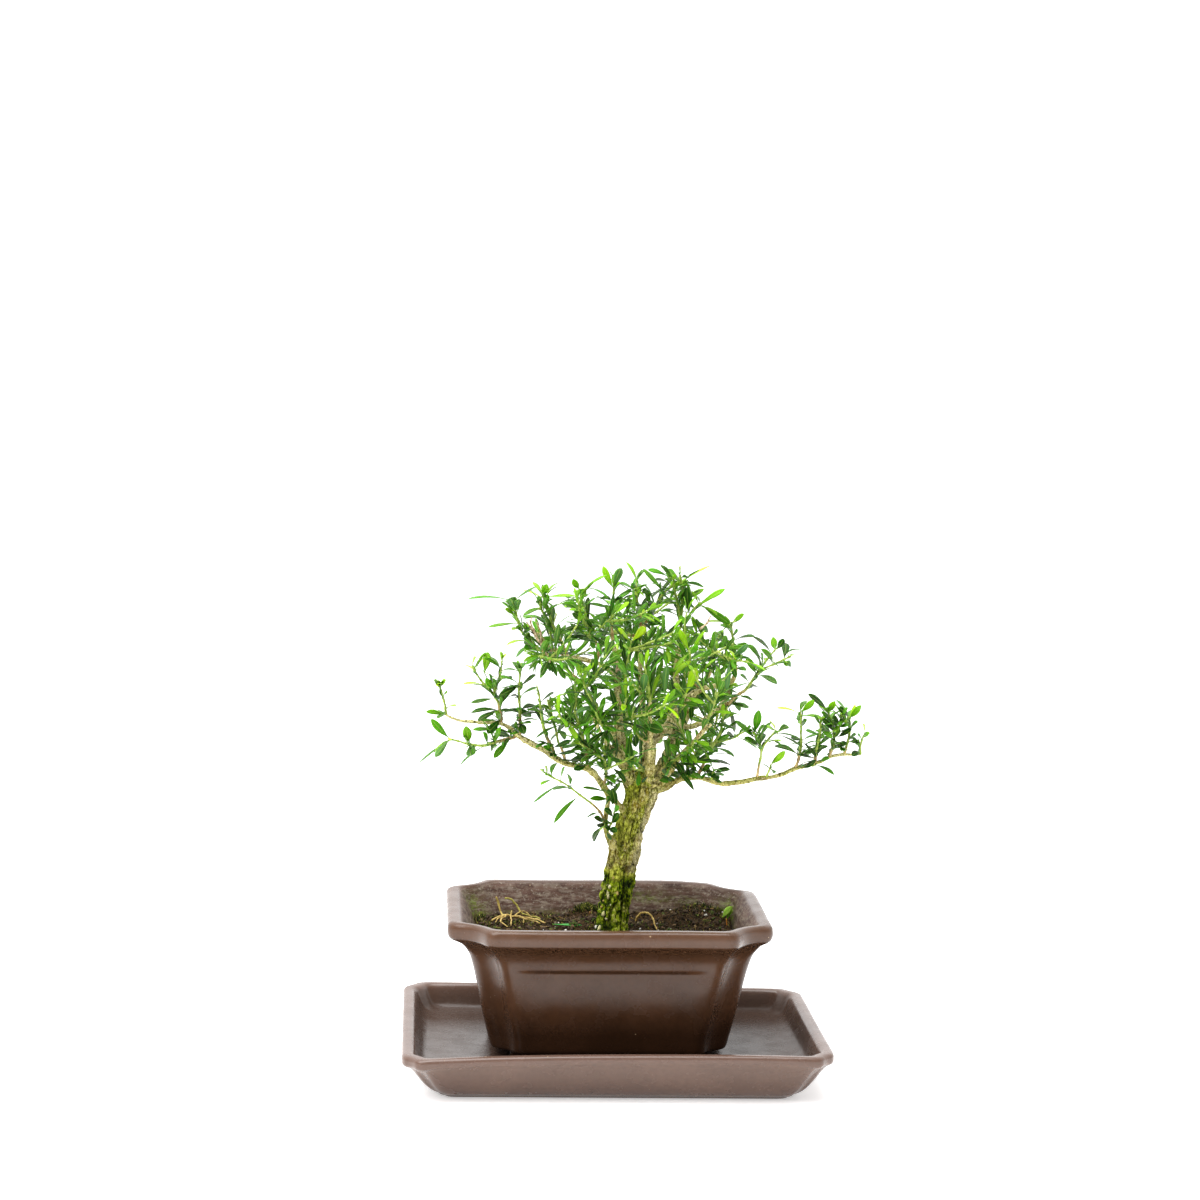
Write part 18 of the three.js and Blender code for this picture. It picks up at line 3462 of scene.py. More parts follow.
            ([31.1, 28.7, 165.6], [28.2, 26.6, 159.5], [-0.62, -0.6, 0.5], 1.4, 0.09, "d", [31.4, 28.9, 166.4]),
            ([36.4, 27.8, 173.1], [42.3, 34.8, 171.9], [0.77, -0.6, 0.23], 2.3, 0.08, "d", [35.8, 27.1, 173.2]),
            ([49.2, 35.6, 166.4], [50.4, 40.5, 168.4], [-0.09, -0.36, 0.93], 1.7, 0.05, "g", [49, 34.8, 166.1]),
            ([35.8, 27.3, 175.4], [34.4, 33.8, 175.6], [0.39, 0.06, 0.92], 1.5, 0.08, "d", [36, 26.4, 175.4]),
            ([46.9, 38.1, 188], [44.1, 32.3, 190.8], [0.32, 0.28, 0.91], 1.8, 0.05, "d", [47.3, 38.8, 187.7]),
            ([33.7, 24, 173.8], [27.4, 24.7, 166.4], [-0.47, 0.74, 0.48], 2.8, 0.09, "g", [34.3, 23.9, 174.4]),
            ([35.1, 24.2, 175.8], [33.3, 16.8, 180.1], [0.27, 0.43, 0.86], 1.5, 0.05, "g", [35.2, 25, 175.3]),
            ([34.4, 28.2, 170.6], [37.8, 34.8, 167.3], [0.19, 0.37, 0.91], 1.5, 0.05, "g", [34, 27.5, 171]),
            ([26.2, 32.3, 157.9], [31.3, 38.7, 152.5], [0.39, 0.39, 0.83], 2.6, 0.13, "g", [25.7, 31.7, 158.4]),
            ([40.2, 30.1, 180.2], [40.5, 18.1, 180.4], [-0.42, 0.01, 0.91], 2.4, 0.11, "g", [40.2, 31, 180.1]),
            ([32.8, 27.6, 168.7], [29.6, 23.7, 162.2], [-0.35, -0.73, 0.59], 1.8, 0.11, "g", [33.1, 28, 169.5]),
            ([30.1, 29.3, 163.5], [30.6, 25, 157.7], [-0.11, -0.81, 0.58], 1.8, 0.12, "g", [30, 29.8, 164.2]),
            ([28.3, 30.5, 162.4], [17.1, 31.7, 156.3], [-0.39, 0.47, 0.8], 1.9, 0.12, "g", [29.1, 30.4, 162.8]),
            ([45.7, 36.1, 185.8], [47.2, 30, 186.4], [-0.46, -0.02, 0.89], 1.7, 0.06, "d", [45.5, 37, 185.7]),
            ([40.4, 31, 180.9], [35, 21.5, 182.2], [0.87, -0.48, 0.12], 2.8, 0.08, "d", [40.8, 31.8, 180.8]),
            ([33.4, 22.1, 173.8], [34.2, 16.4, 174.8], [-0.23, 0.15, 0.96], 1.5, 0.08, "g", [33.3, 23, 173.6]),
            ([47.6, 34.9, 166.3], [46.7, 45.2, 166.5], [0.32, 0.01, 0.95], 1.9, 0.05, "y", [47.7, 34, 166.2]),
            ([28.3, 30, 162.7], [18.5, 25.3, 161.4], [-0.37, 0.56, 0.74], 1.7, 0.12, "g", [29.1, 30.4, 162.8]),
           ]),
    "b4": ("shoot_44",
           [[[37.1, 30.9, 168], [36.2, 29.1, 176.2], [35.1, 27.8, 184.5], [33.9, 27.1, 192.8], [32.9, 27, 201.2]],
            [[36.4, 29.4, 174.9], [40.7, 28.1, 178.3], [44.5, 26.5, 182.3], [48.3, 25, 186.3], [51.6, 23.8, 190.7]],
            [[35.1, 27.8, 184.5], [35.8, 31.7, 188.8], [36.5, 35.4, 193.2], [37.2, 38.7, 198], [37.4, 42, 202.8]]],
           [
            ([32.9, 27, 201.2], [24.7, 25.2, 208.8], [0.56, 0.43, 0.71], 2.4, 0.04, "y", [32.9, 27, 201.2]),
            ([32.9, 27, 201.2], [36.6, 29.5, 210.1], [-0.75, -0.49, 0.45], 2.5, 0.08, "y", [32.9, 27, 201.2]),
            ([33.5, 27, 196], [33.1, 18.3, 203.8], [-0.09, 0.67, 0.74], 2.8, 0.04, "g", [33.5, 27, 196]),
            ([33.5, 27, 196], [26.8, 37.3, 204.4], [0.26, -0.5, 0.82], 2.7, 0.08, "g", [33.5, 27, 196]),
            ([34.4, 27.3, 189.7], [23.5, 24.8, 192.5], [0.29, -0.2, 0.94], 2.8, 0.1, "g", [34.4, 27.3, 189.7]),
            ([35.1, 27.8, 184.5], [33.9, 33.8, 195.8], [0.15, -0.87, 0.48], 2.8, 0.03, "g", [35.1, 27.8, 184.5]),
            ([35.8, 28.6, 179.3], [27.2, 31.5, 188.8], [0.6, -0.42, 0.68], 2.8, 0.04, "d", [35.8, 28.6, 179.3]),
            ([35.8, 28.6, 179.3], [48.3, 29.1, 186.9], [-0.36, -0.68, 0.64], 3.1, 0.07, "d", [35.8, 28.6, 179.3]),
            ([36.4, 29.6, 174.2], [34.9, 19.3, 184.8], [0.28, 0.67, 0.69], 3.1, 0.05, "d", [36.4, 29.6, 174.2]),
            ([51.6, 23.8, 190.7], [61, 24, 196.8], [-0.51, -0.31, 0.8], 2.3, 0.09, "y", [51.6, 23.8, 190.7]),
            ([51.6, 23.8, 190.7], [50.1, 22.3, 199.5], [0.84, -0.54, 0.06], 2.5, 0.05, "y", [51.6, 23.8, 190.7]),
            ([48.7, 24.9, 186.8], [56.4, 30.5, 195], [-0.22, -0.69, 0.69], 2.7, 0.01, "g", [48.7, 24.9, 186.8]),
            ([48.7, 24.9, 186.8], [52.8, 13.1, 194.6], [0.45, 0.6, 0.66], 2.8, 0.09, "g", [48.7, 24.9, 186.8]),
            ([44.5, 26.5, 182.3], [41.9, 25.1, 197.4], [0.97, -0.2, 0.15], 3, 0.1, "d", [44.5, 26.5, 182.3]),
            ([44.5, 26.5, 182.3], [60.4, 24.7, 180.8], [0.03, -0.44, 0.9], 2.9, 0.1, "d", [44.5, 26.5, 182.3]),
            ([40.7, 28.1, 178.3], [46.6, 13.4, 177.3], [0.16, 0, 0.99], 2.8, 0.04, "d", [40.7, 28.1, 178.3]),
            ([40.7, 28.1, 178.3], [48.9, 36.3, 187], [-0.3, -0.54, 0.79], 2.8, 0.06, "d", [40.7, 28.1, 178.3]),
            ([37.4, 42, 202.8], [34.9, 43.9, 212], [-0.36, 0.89, -0.28], 2.4, 0.08, "y", [37.4, 42, 202.8]),
            ([37.4, 42, 202.8], [41.6, 50.5, 207.7], [-0.68, -0.09, 0.73], 2.4, 0.07, "y", [37.4, 42, 202.8]),
            ([37.2, 38.7, 198], [36.7, 49.5, 201], [0.1, -0.26, 0.96], 2.5, 0.09, "g", [37.2, 38.7, 198]),
            ([36.5, 35.4, 193.2], [28.7, 33.9, 206], [0.82, 0.21, 0.53], 2.9, 0.05, "d", [36.5, 35.4, 193.2]),
            ([35.9, 32.1, 189.3], [37.3, 47.6, 188.7], [0.01, 0.04, 1], 3, 0.03, "d", [35.9, 32.1, 189.3]),
            ([38.2, 41.6, 202], [47.1, 43, 202.5], [0.01, -0.38, 0.92], 2.2, 0.09, "g", [37.4, 41.5, 202]),
            ([39.9, 27.6, 177.4], [43.3, 18.1, 177.4], [0.88, 0.31, 0.36], 2.6, 0.08, "g", [39.6, 28.5, 177.4]),
            ([32.2, 26.9, 199.7], [26.8, 26.3, 199.8], [-0.1, 0.97, 0.24], 1.5, 0.03, "y", [33.1, 27, 199.7]),
            ([35, 30.8, 187.7], [27.2, 39.7, 194.9], [0.48, -0.26, 0.84], 2.4, 0.03, "g", [35.5, 30.2, 187.2]),
            ([33.2, 27.2, 192.8], [25.2, 27.9, 197.3], [0.15, 0.98, 0.12], 1.7, 0.08, "y", [34, 27.1, 192.3]),
            ([48.7, 25.2, 187.6], [49.5, 29.3, 200.2], [-0.76, -0.61, 0.24], 2.6, 0.06, "g", [48.6, 24.9, 186.8]),
            ([37.1, 34.8, 193.3], [48.1, 31.9, 200.8], [-0.6, -0.27, 0.76], 2.5, 0.09, "y", [36.4, 35, 192.8]),
            ([33.1, 26.5, 195.3], [26.2, 20.3, 199.9], [0.73, -0.39, 0.57], 2.8, 0.03, "y", [33.7, 27.1, 194.9]),
            ([34.1, 27.7, 186.9], [23.4, 29.1, 193.3], [0.51, -0.02, 0.86], 2.1, 0.05, "g", [34.8, 27.6, 186.5]),
            ([32.6, 27.2, 198.4], [24, 28.6, 204.5], [0.47, 0.73, 0.5], 2.7, 0.1, "y", [33.3, 27, 197.9]),
            ([37.3, 37.1, 194.7], [43.5, 44.8, 194.9], [0.32, -0.28, 0.91], 2.1, 0.1, "y", [36.7, 36.4, 194.7]),
            ([38.6, 28.6, 175.6], [45.2, 24.3, 168.9], [0.7, -0.04, 0.71], 2.6, 0.07, "g", [38, 28.9, 176.2]),
            ([33.6, 27.6, 190.4], [25.3, 31.3, 194.7], [0.18, -0.55, 0.82], 1.9, 0.05, "g", [34.3, 27.3, 190]),
            ([41.4, 27.6, 180.2], [36.6, 27.2, 187.6], [0.42, 0.85, 0.32], 2.1, 0.05, "g", [41.8, 27.7, 179.5]),
            ([37.2, 38.5, 196.8], [40.6, 50.6, 199.7], [-0.97, 0.25, 0.06], 2.8, 0.1, "y", [37, 37.7, 196.5]),
            ([35.9, 29.3, 185.9], [46, 38.1, 189.8], [-0.4, 0.05, 0.92], 2.7, 0.08, "d", [35.3, 28.8, 185.6]),
            ([37.7, 39.2, 200], [43.6, 34.5, 208], [-0.52, 0.51, 0.68], 2.7, 0.06, "y", [37.3, 39.6, 199.3]),
            ([34.3, 27.4, 184.9], [27.4, 24.2, 187.2], [0.25, 0.15, 0.96], 2, 0.06, "g", [35.1, 27.8, 184.6]),
            ([35, 28.7, 182.2], [28.5, 34.5, 190], [-0.34, -0.87, 0.35], 2.8, 0.1, "g", [35.5, 28.3, 181.6]),
            ([44.6, 27.2, 182], [50.4, 30.6, 184.8], [-0.12, -0.51, 0.85], 1.8, 0.05, "g", [43.9, 26.8, 181.6]),
            ([34.6, 28.7, 186.2], [25.2, 26.8, 195.5], [0.44, 0.68, 0.59], 2.3, 0.09, "g", [35.3, 28.8, 185.6]),
            ([37.9, 42.2, 202.1], [41.8, 47.3, 202.9], [-0.37, 0.14, 0.92], 1.7, 0.09, "b", [37.4, 41.5, 202]),
            ([34, 27.6, 186.8], [21.6, 27.2, 192.3], [0.18, -0.92, 0.35], 2.5, 0.06, "g", [34.8, 27.6, 186.5]),
            ([32.4, 26.7, 197.9], [25.9, 24.2, 198.4], [-0.05, 0.32, 0.95], 1.5, 0.08, "y", [33.3, 27, 197.9]),
            ([42.6, 27.2, 179.5], [53.3, 21.2, 179.2], [0.24, 0.38, 0.9], 2.3, 0.04, "d", [41.8, 27.7, 179.5]),
            ([37.5, 41.5, 202.9], [38.2, 41.4, 210.1], [-0.65, -0.76, 0.06], 1.6, 0.1, "y", [37.4, 41.5, 202]),
            ([38.7, 28.3, 176.2], [45.8, 21.5, 175.9], [0.18, 0.15, 0.97], 2.2, 0.07, "d", [38, 28.9, 176.2]),
            ([37.6, 38.3, 196.5], [46.7, 47.5, 196.5], [0.6, -0.59, 0.55], 2.3, 0.04, "y", [37, 37.7, 196.5]),
            ([34.7, 29.5, 185.7], [27.9, 37.9, 186.4], [-0.08, -0.15, 0.99], 2.3, 0.07, "d", [35.3, 28.8, 185.6]),
            ([33.2, 27.7, 194], [26.3, 34.1, 196.9], [0.27, -0.14, 0.95], 2.3, 0.08, "g", [33.8, 27.1, 193.7]),
            ([41.1, 27.1, 178.7], [41, 17.2, 179], [0.22, 0.02, 0.98], 2.1, 0.07, "d", [41.1, 28, 178.7]),
            ([35.5, 28.6, 183.7], [38.3, 37.3, 192.9], [-0.97, 0.05, 0.25], 1.8, 0.05, "y", [35.3, 28, 183.1]),
            ([33, 27.8, 197.2], [28.1, 37, 198.4], [0.32, 0.04, 0.95], 2.8, 0.07, "y", [33.4, 27, 197.1]),
            ([49.1, 24.7, 186.4], [58.2, 21.3, 187.6], [-0.02, 0.3, 0.95], 2.7, 0.07, "g", [48.3, 25, 186.3]),
            ([35.4, 27.9, 185.9], [37, 23.5, 192.7], [0.13, 0.84, 0.52], 1.8, 0.13, "g", [35.2, 28.4, 185.2]),
            ([48.9, 25.2, 188.3], [46.3, 28.6, 192], [0.56, -0.38, 0.74], 1.8, 0.11, "y", [49.3, 24.6, 187.7]),
            ([33.1, 26.8, 194.1], [22.4, 23.1, 199.8], [-0.11, 0.92, 0.39], 2.2, 0.09, "y", [33.8, 27.1, 193.7]),
            ([44.7, 26.2, 183.2], [46.1, 23, 192.9], [-0.33, 0.88, 0.34], 1.8, 0.09, "d", [44.6, 26.5, 182.3]),
            ([34.6, 28.1, 185.2], [31.3, 29.8, 189.4], [0.7, -0.28, 0.66], 1.8, 0.05, "g", [35.1, 27.8, 184.5]),
           ]),
    "b5": ("shoot_45",
           [[[12.8, 31.1, 207.8], [7.6, 27.7, 208.1], [2.3, 24.5, 209.4], [-3, 21.7, 211.4], [-8, 18.7, 213.6]],
            [[3.2, 25, 209.2], [-1.4, 28, 209.9], [-6.2, 30.3, 211.6], [-10.7, 32.7, 213.8], [-15, 35.3, 216]]],
           [
            ([-8, 18.7, 213.6], [-13.4, 15.5, 220.3], [0.39, 0.67, 0.64], 2.3, 0.05, "y", [-8, 18.7, 213.6]),
            ([-4.3, 21, 211.9], [-9.7, 9.5, 219.9], [-0.29, 0.63, 0.72], 2.9, 0.08, "g", [-4.3, 21, 211.9]),
            ([-4.3, 21, 211.9], [-16.9, 28.1, 213.5], [0.04, -0.15, 0.99], 2.7, 0.1, "g", [-4.3, 21, 211.9]),
            ([-0.3, 23.1, 210.3], [-2.2, 22.9, 224.4], [-0.74, -0.66, -0.1], 2.7, 0.06, "g", [-0.3, 23.1, 210.3]),
            ([-0.3, 23.1, 210.3], [-9.3, 18.1, 199.7], [-0.63, -0.35, 0.69], 2.7, 0.02, "g", [-0.3, 23.1, 210.3]),
            ([4.3, 25.6, 208.9], [-7.2, 33.9, 208], [-0.33, -0.36, 0.88], 2.9, 0.02, "d", [4.3, 25.6, 208.9]),
            ([4.3, 25.6, 208.9], [6.4, 12.6, 215.6], [-0.96, -0.01, 0.27], 3, 0.02, "d", [4.3, 25.6, 208.9]),
            ([8.3, 28.1, 208.1], [4.3, 17.8, 200.3], [-0.33, -0.49, 0.81], 2.8, 0.03, "g", [8.3, 28.1, 208.1]),
            ([-15, 35.3, 216], [-21.8, 41.7, 213.6], [-0.19, 0.17, 0.97], 2.5, 0.02, "y", [-15, 35.3, 216]),
            ([-10.7, 32.7, 213.8], [-15.5, 43.7, 220.9], [-0.89, -0.11, -0.44], 2.8, 0.09, "g", [-10.7, 32.7, 213.8]),
            ([-10.7, 32.7, 213.8], [-24.2, 28.8, 208.6], [-0.43, 0.41, 0.81], 2.9, 0.02, "g", [-10.7, 32.7, 213.8]),
            ([-1.4, 28, 209.9], [-12.3, 23.2, 216], [-0.49, 0.84, -0.22], 3.1, 0.09, "d", [-1.4, 28, 209.9]),
            ([-8.1, 30.5, 212], [-15.7, 26.1, 209.9], [-0.14, -0.22, 0.97], 1.8, 0.04, "g", [-7.4, 31, 212.2]),
            ([1.2, 25.5, 210], [-4.1, 20.5, 215.9], [0.39, 0.5, 0.77], 2.3, 0.08, "g", [1.7, 25.9, 209.4]),
            ([-12.2, 33.6, 213.6], [-16.5, 36.1, 207.8], [0.05, -0.9, -0.43], 1.6, 0.03, "y", [-11.7, 33.3, 214.3]),
            ([4.3, 26.4, 209.4], [-1.7, 30.8, 216.3], [0.03, -0.82, 0.56], 2.8, 0.03, "g", [4.8, 26, 208.8]),
            ([6.4, 26.4, 209], [4.3, 17.5, 217.4], [-0.81, 0.5, 0.32], 2.1, 0.08, "g", [6.6, 27.1, 208.4]),
            ([0, 28.1, 209.6], [2.5, 37.7, 208.1], [-0.78, 0.29, 0.56], 2.8, 0.04, "u", [-0.3, 27.2, 209.7]),
            ([-8.1, 30.5, 211.8], [-14.4, 26.3, 208.7], [-0.18, -0.41, 0.9], 2, 0.1, "g", [-7.4, 31, 212.2]),
            ([-4.4, 19.9, 212.2], [-1.5, 8.7, 213.3], [-0.2, 0.05, 0.98], 2.5, 0.04, "y", [-4.6, 20.7, 212.1]),
            ([-7.5, 31.7, 211.6], [-8.4, 37.6, 207.2], [-0.99, -0.1, 0.06], 1.8, 0.1, "g", [-7.4, 31, 212.2]),
            ([1, 25.5, 209.6], [-5, 22, 211.2], [0.52, -0.63, 0.57], 1.6, 0.07, "d", [1.7, 25.9, 209.4]),
            ([-12.3, 33.4, 213.7], [-20, 34.7, 206.4], [-0.21, 0.9, 0.38], 2.3, 0.06, "y", [-11.7, 33.3, 214.3]),
            ([8.6, 28.6, 208.9], [3.5, 28.1, 219.1], [0.4, -0.9, 0.16], 2.2, 0.09, "d", [9, 28.6, 208.1]),
            ([10.7, 30.4, 208.5], [2.8, 33.8, 215.5], [-0.02, -0.91, 0.41], 1.9, 0.09, "g", [11.3, 30.1, 207.9]),
            ([8.6, 27.8, 208.4], [4.4, 19, 212.4], [-0.17, 0.47, 0.86], 2.5, 0.05, "d", [8.9, 28.5, 208.1]),
            ([1, 24.2, 209.2], [-9.2, 24.5, 203.6], [-0.43, 0.42, 0.8], 1.7, 0.1, "g", [1.8, 24.2, 209.6]),
            ([-1.9, 29.1, 210.1], [-0.6, 36.1, 209.6], [-0.28, 0.11, 0.95], 1.8, 0.11, "d", [-2, 28.3, 210.1]),
            ([9.1, 28.1, 208.8], [10.7, 23.9, 216.7], [-0.98, -0.19, 0.09], 2.2, 0.13, "d", [8.9, 28.5, 208.1]),
            ([-4, 28.8, 210.5], [-9.9, 28.8, 210.5], [0, -0.11, 0.99], 1, 0.04, "g", [-3.1, 28.8, 210.5]),
            ([-14.7, 35.5, 216.3], [-19.4, 43.8, 224.3], [0.45, -0.48, 0.76], 2.6, 0.11, "g", [-14.4, 34.9, 215.7]),
            ([-4.3, 19.9, 212.2], [-0.7, 12.1, 212.8], [0.16, 0.16, 0.97], 2.3, 0.1, "b", [-4.7, 20.7, 212.1]),
            ([5.9, 26, 208.8], [4.3, 19.5, 211.5], [-0.92, 0.33, 0.21], 2.1, 0.05, "g", [6.2, 26.8, 208.5]),
            ([-6.5, 31.3, 211.9], [-7.4, 38.5, 213.8], [-0.43, -0.28, 0.86], 2, 0.12, "d", [-6.4, 30.5, 211.7]),
           ]),
    "b6": ("shoot_46",
           [[[14.4, 32.5, 177.1], [16, 36.4, 184.4], [16.9, 40.3, 191.7], [17.3, 44.2, 199.2], [17.2, 48, 206.7]],
            [[17.3, 43.6, 197.9], [13.2, 44.6, 201.2], [9.6, 45.4, 205.1], [6.2, 45.8, 209.2], [2.7, 46, 213.2]],
            [[16.5, 38.4, 188], [13.2, 41.7, 190], [9.9, 44.8, 192.2], [7.1, 48, 194.9], [3.9, 50.6, 197.9]],
            [[17.2, 42.3, 195.4], [17.5, 39.8, 200], [17.7, 37.5, 204.7], [18.2, 35.6, 209.5], [18.6, 34, 214.5]],
            [[16, 36.4, 184.4], [12, 38, 187.9], [8.2, 39.6, 191.6], [4.8, 41, 195.7], [1.3, 42.1, 200]]],
           [
            ([17.2, 48, 206.7], [13.9, 57.1, 216.6], [0.3, -0.65, 0.69], 2.7, 0.08, "g", [17.2, 48, 206.7]),
            ([17.2, 48, 206.7], [24.7, 50.3, 215.6], [-0.77, 0.16, 0.61], 2.5, 0.01, "g", [17.2, 48, 206.7]),
            ([17.3, 45.7, 202], [9.8, 39.1, 210.8], [0.3, 0.63, 0.72], 2.5, 0.05, "g", [17.3, 45.7, 202]),
            ([17.3, 45.7, 202], [18.9, 55.9, 208], [-0.3, -0.45, 0.84], 2.6, 0.03, "g", [17.3, 45.7, 202]),
            ([17.2, 43.3, 197.3], [22.1, 43.6, 207.9], [-0.69, 0.66, 0.29], 2.3, 0.1, "y", [17.2, 43.3, 197.3]),
            ([17.2, 43.3, 197.3], [13.2, 51.5, 202.9], [0.49, -0.31, 0.81], 2.2, 0.1, "y", [17.2, 43.3, 197.3]),
            ([17, 40.8, 192.6], [23.6, 50.6, 197.3], [-0.22, -0.29, 0.93], 2.8, 0.04, "d", [17, 40.8, 192.6]),
            ([17, 40.8, 192.6], [14.1, 38.3, 206.1], [0.54, 0.8, 0.27], 2.8, 0.02, "d", [17, 40.8, 192.6]),
            ([16.5, 38.4, 188], [10.3, 49.2, 194.2], [0.64, -0.07, 0.77], 2.9, 0.09, "g", [16.5, 38.4, 188]),
            ([16.5, 38.4, 188], [22.5, 36.5, 201.7], [-0.8, 0.43, 0.41], 2.7, 0.04, "g", [16.5, 38.4, 188]),
            ([15.6, 35.4, 182.5], [6.8, 34.7, 193.3], [0.69, 0.41, 0.59], 2.8, 0.02, "d", [15.6, 35.4, 182.5]),
            ([15.6, 35.4, 182.5], [29.5, 41.4, 183], [-0.13, 0.23, 0.96], 2.8, 0.1, "d", [15.6, 35.4, 182.5]),
            ([2.7, 46, 213.2], [1.2, 46.3, 222.1], [-0.9, 0.4, -0.16], 2.3, 0.02, "y", [2.7, 46, 213.2]),
            ([6.2, 45.8, 209.2], [1.8, 38.3, 214.6], [-0.23, 0.65, 0.72], 2.5, 0.08, "y", [6.2, 45.8, 209.2]),
            ([6.2, 45.8, 209.2], [0.8, 50.9, 213.5], [0.24, -0.47, 0.85], 2.3, 0.1, "y", [6.2, 45.8, 209.2]),
            ([10.1, 45.3, 204.6], [8.4, 46.3, 218.8], [-0.85, 0.5, -0.13], 2.8, 0.03, "d", [10.1, 45.3, 204.6]),
            ([10.1, 45.3, 204.6], [-1.3, 48.2, 208.4], [0.37, 0.31, 0.87], 3, 0.06, "d", [10.1, 45.3, 204.6]),
            ([14.2, 44.3, 200.4], [7.4, 54.9, 206.9], [-0.1, -0.57, 0.82], 3.1, 0.07, "d", [14.2, 44.3, 200.4]),
            ([3.9, 50.6, 197.9], [-7, 50.1, 203.1], [0.31, 0.63, 0.71], 2.8, 0.08, "g", [3.9, 50.6, 197.9]),
            ([3.9, 50.6, 197.9], [1.3, 61.4, 205.5], [-0.3, -0.6, 0.74], 2.7, 0.05, "g", [3.9, 50.6, 197.9]),
            ([7.1, 48, 194.9], [-1.4, 54.4, 190.3], [-0.31, 0.25, 0.92], 2.5, 0.07, "y", [7.1, 48, 194.9]),
            ([10.3, 44.4, 191.9], [14.4, 57.1, 197.6], [-0.46, 0.49, -0.74], 2.9, 0.02, "d", [10.3, 44.4, 191.9]),
            ([10.3, 44.4, 191.9], [-5.2, 41.2, 192], [-0.1, 0.52, 0.85], 2.8, 0.05, "d", [10.3, 44.4, 191.9]),
            ([13.2, 41.7, 190], [2.5, 51.1, 186.6], [-0.17, 0.15, 0.97], 2.9, 0.07, "d", [13.2, 41.7, 190]),
            ([13.2, 41.7, 190], [11.6, 40.2, 202.2], [-0.38, 0.92, 0.06], 2.8, 0.07, "d", [13.2, 41.7, 190]),
            ([18.1, 35.8, 208.9], [24.4, 22.8, 210.9], [0, 0.15, 0.99], 2.8, 0.02, "g", [18.1, 35.8, 208.9]),
            ([18.1, 35.8, 208.9], [13.8, 42.9, 219.7], [0.36, -0.7, 0.61], 2.7, 0.09, "g", [18.1, 35.8, 208.9]),
            ([17.7, 37.8, 204.1], [12.1, 42.8, 214.9], [0.49, -0.67, 0.56], 2.8, 0.01, "d", [17.7, 37.8, 204.1]),
            ([17.7, 37.8, 204.1], [26.9, 26.7, 210], [-0.45, 0.1, 0.89], 3.1, 0.1, "d", [17.7, 37.8, 204.1]),
            ([17.4, 40.4, 198.9], [12.6, 33.8, 206.4], [0.62, 0.35, 0.7], 2.8, 0.04, "g", [17.4, 40.4, 198.9]),
            ([17.4, 40.4, 198.9], [26.6, 42.3, 208.3], [-0.53, -0.57, 0.63], 2.7, 0.08, "g", [17.4, 40.4, 198.9]),
            ([1.3, 42.1, 200], [-1.4, 45.8, 209.3], [-0.82, -0.57, -0.01], 2.2, 0.04, "y", [1.3, 42.1, 200]),
            ([4.3, 41.1, 196.3], [5, 32.9, 204.9], [-0.26, 0.69, 0.67], 3, 0.06, "d", [4.3, 41.1, 196.3]),
            ([4.3, 41.1, 196.3], [-7.2, 48.9, 198.7], [0.14, -0.09, 0.99], 3.1, 0.08, "d", [4.3, 41.1, 196.3]),
            ([8.2, 39.6, 191.6], [10.5, 48.7, 199.7], [-0.79, -0.29, 0.55], 3.1, 0.03, "d", [8.2, 39.6, 191.6]),
            ([11.5, 38.2, 188.3], [4.4, 47.7, 187.1], [-0.12, 0.05, 0.99], 3, 0.07, "u", [11.5, 38.2, 188.3]),
            ([17.7, 41, 192.7], [25.1, 45, 196.9], [-0.35, -0.3, 0.89], 1.9, 0.06, "g", [16.9, 40.6, 192.3]),
            ([3.1, 45.9, 213.6], [2.9, 45.5, 219], [0.66, 0.75, 0.1], 1.2, 0.03, "y", [3.2, 46, 212.7]),
            ([17, 48.1, 204.9], [15.8, 55.4, 203.8], [-0.5, 0.04, 0.86], 1.6, 0.06, "g", [17.2, 47.2, 205.1]),
            ([18, 35.5, 208.3], [17.9, 24.8, 215.1], [0.88, 0.25, 0.41], 2.8, 0.03, "d", [18, 36.3, 207.8]),
            ([18.4, 38.6, 201.8], [28.3, 34.1, 202.9], [-0.01, 0.22, 0.98], 2.1, 0.06, "d", [17.6, 39, 201.7]),
            ([17.8, 40.9, 196.6], [25, 30.6, 196.6], [-0.07, -0.06, 1], 2.5, 0.08, "g", [17.3, 41.6, 196.6]),
            ([7.7, 45, 207.2], [3.6, 40.8, 210.3], [-0.6, 0.76, 0.23], 1.6, 0.03, "y", [8.3, 45.6, 206.7]),
            ([2.6, 41.2, 197.3], [-8.9, 39.2, 196.9], [-0.01, -0.16, 0.99], 2.3, 0.09, "g", [3.5, 41.4, 197.3]),
            ([8.1, 46.9, 194.9], [11.8, 44.8, 208], [-0.83, 0.46, 0.3], 1.9, 0.04, "g", [7.9, 47, 194.1]),
            ([17.9, 40.2, 198.6], [22.1, 35, 201.9], [-0.02, 0.52, 0.85], 1.4, 0.11, "g", [17.4, 40.8, 198.2]),
            ([10.8, 37.9, 188], [0.7, 35.1, 184.1], [0.06, -0.86, 0.5], 3, 0.05, "g", [11.6, 38.2, 188.3]),
            ([15.9, 35.5, 184.5], [16.1, 28.4, 194.1], [-0.4, 0.73, 0.55], 2.3, 0.06, "d", [15.8, 36.1, 183.8]),
            ([8, 45.5, 208.4], [15, 43.6, 216.8], [-0.66, 0.4, 0.64], 2, 0.1, "g", [7.4, 45.6, 207.7]),
            ([14.3, 33.2, 179], [10, 34.7, 189], [0.57, -0.74, 0.36], 2.4, 0.07, "g", [14.6, 33.1, 178.2]),
            ([13, 37, 187.3], [9.2, 32.5, 193.1], [0.67, 0.31, 0.68], 2.4, 0.07, "g", [13.4, 37.4, 186.6]),
            ([9.4, 39.6, 191], [7.2, 45.7, 198], [-0.54, -0.71, 0.44], 2.5, 0.08, "g", [9.6, 39, 190.3]),
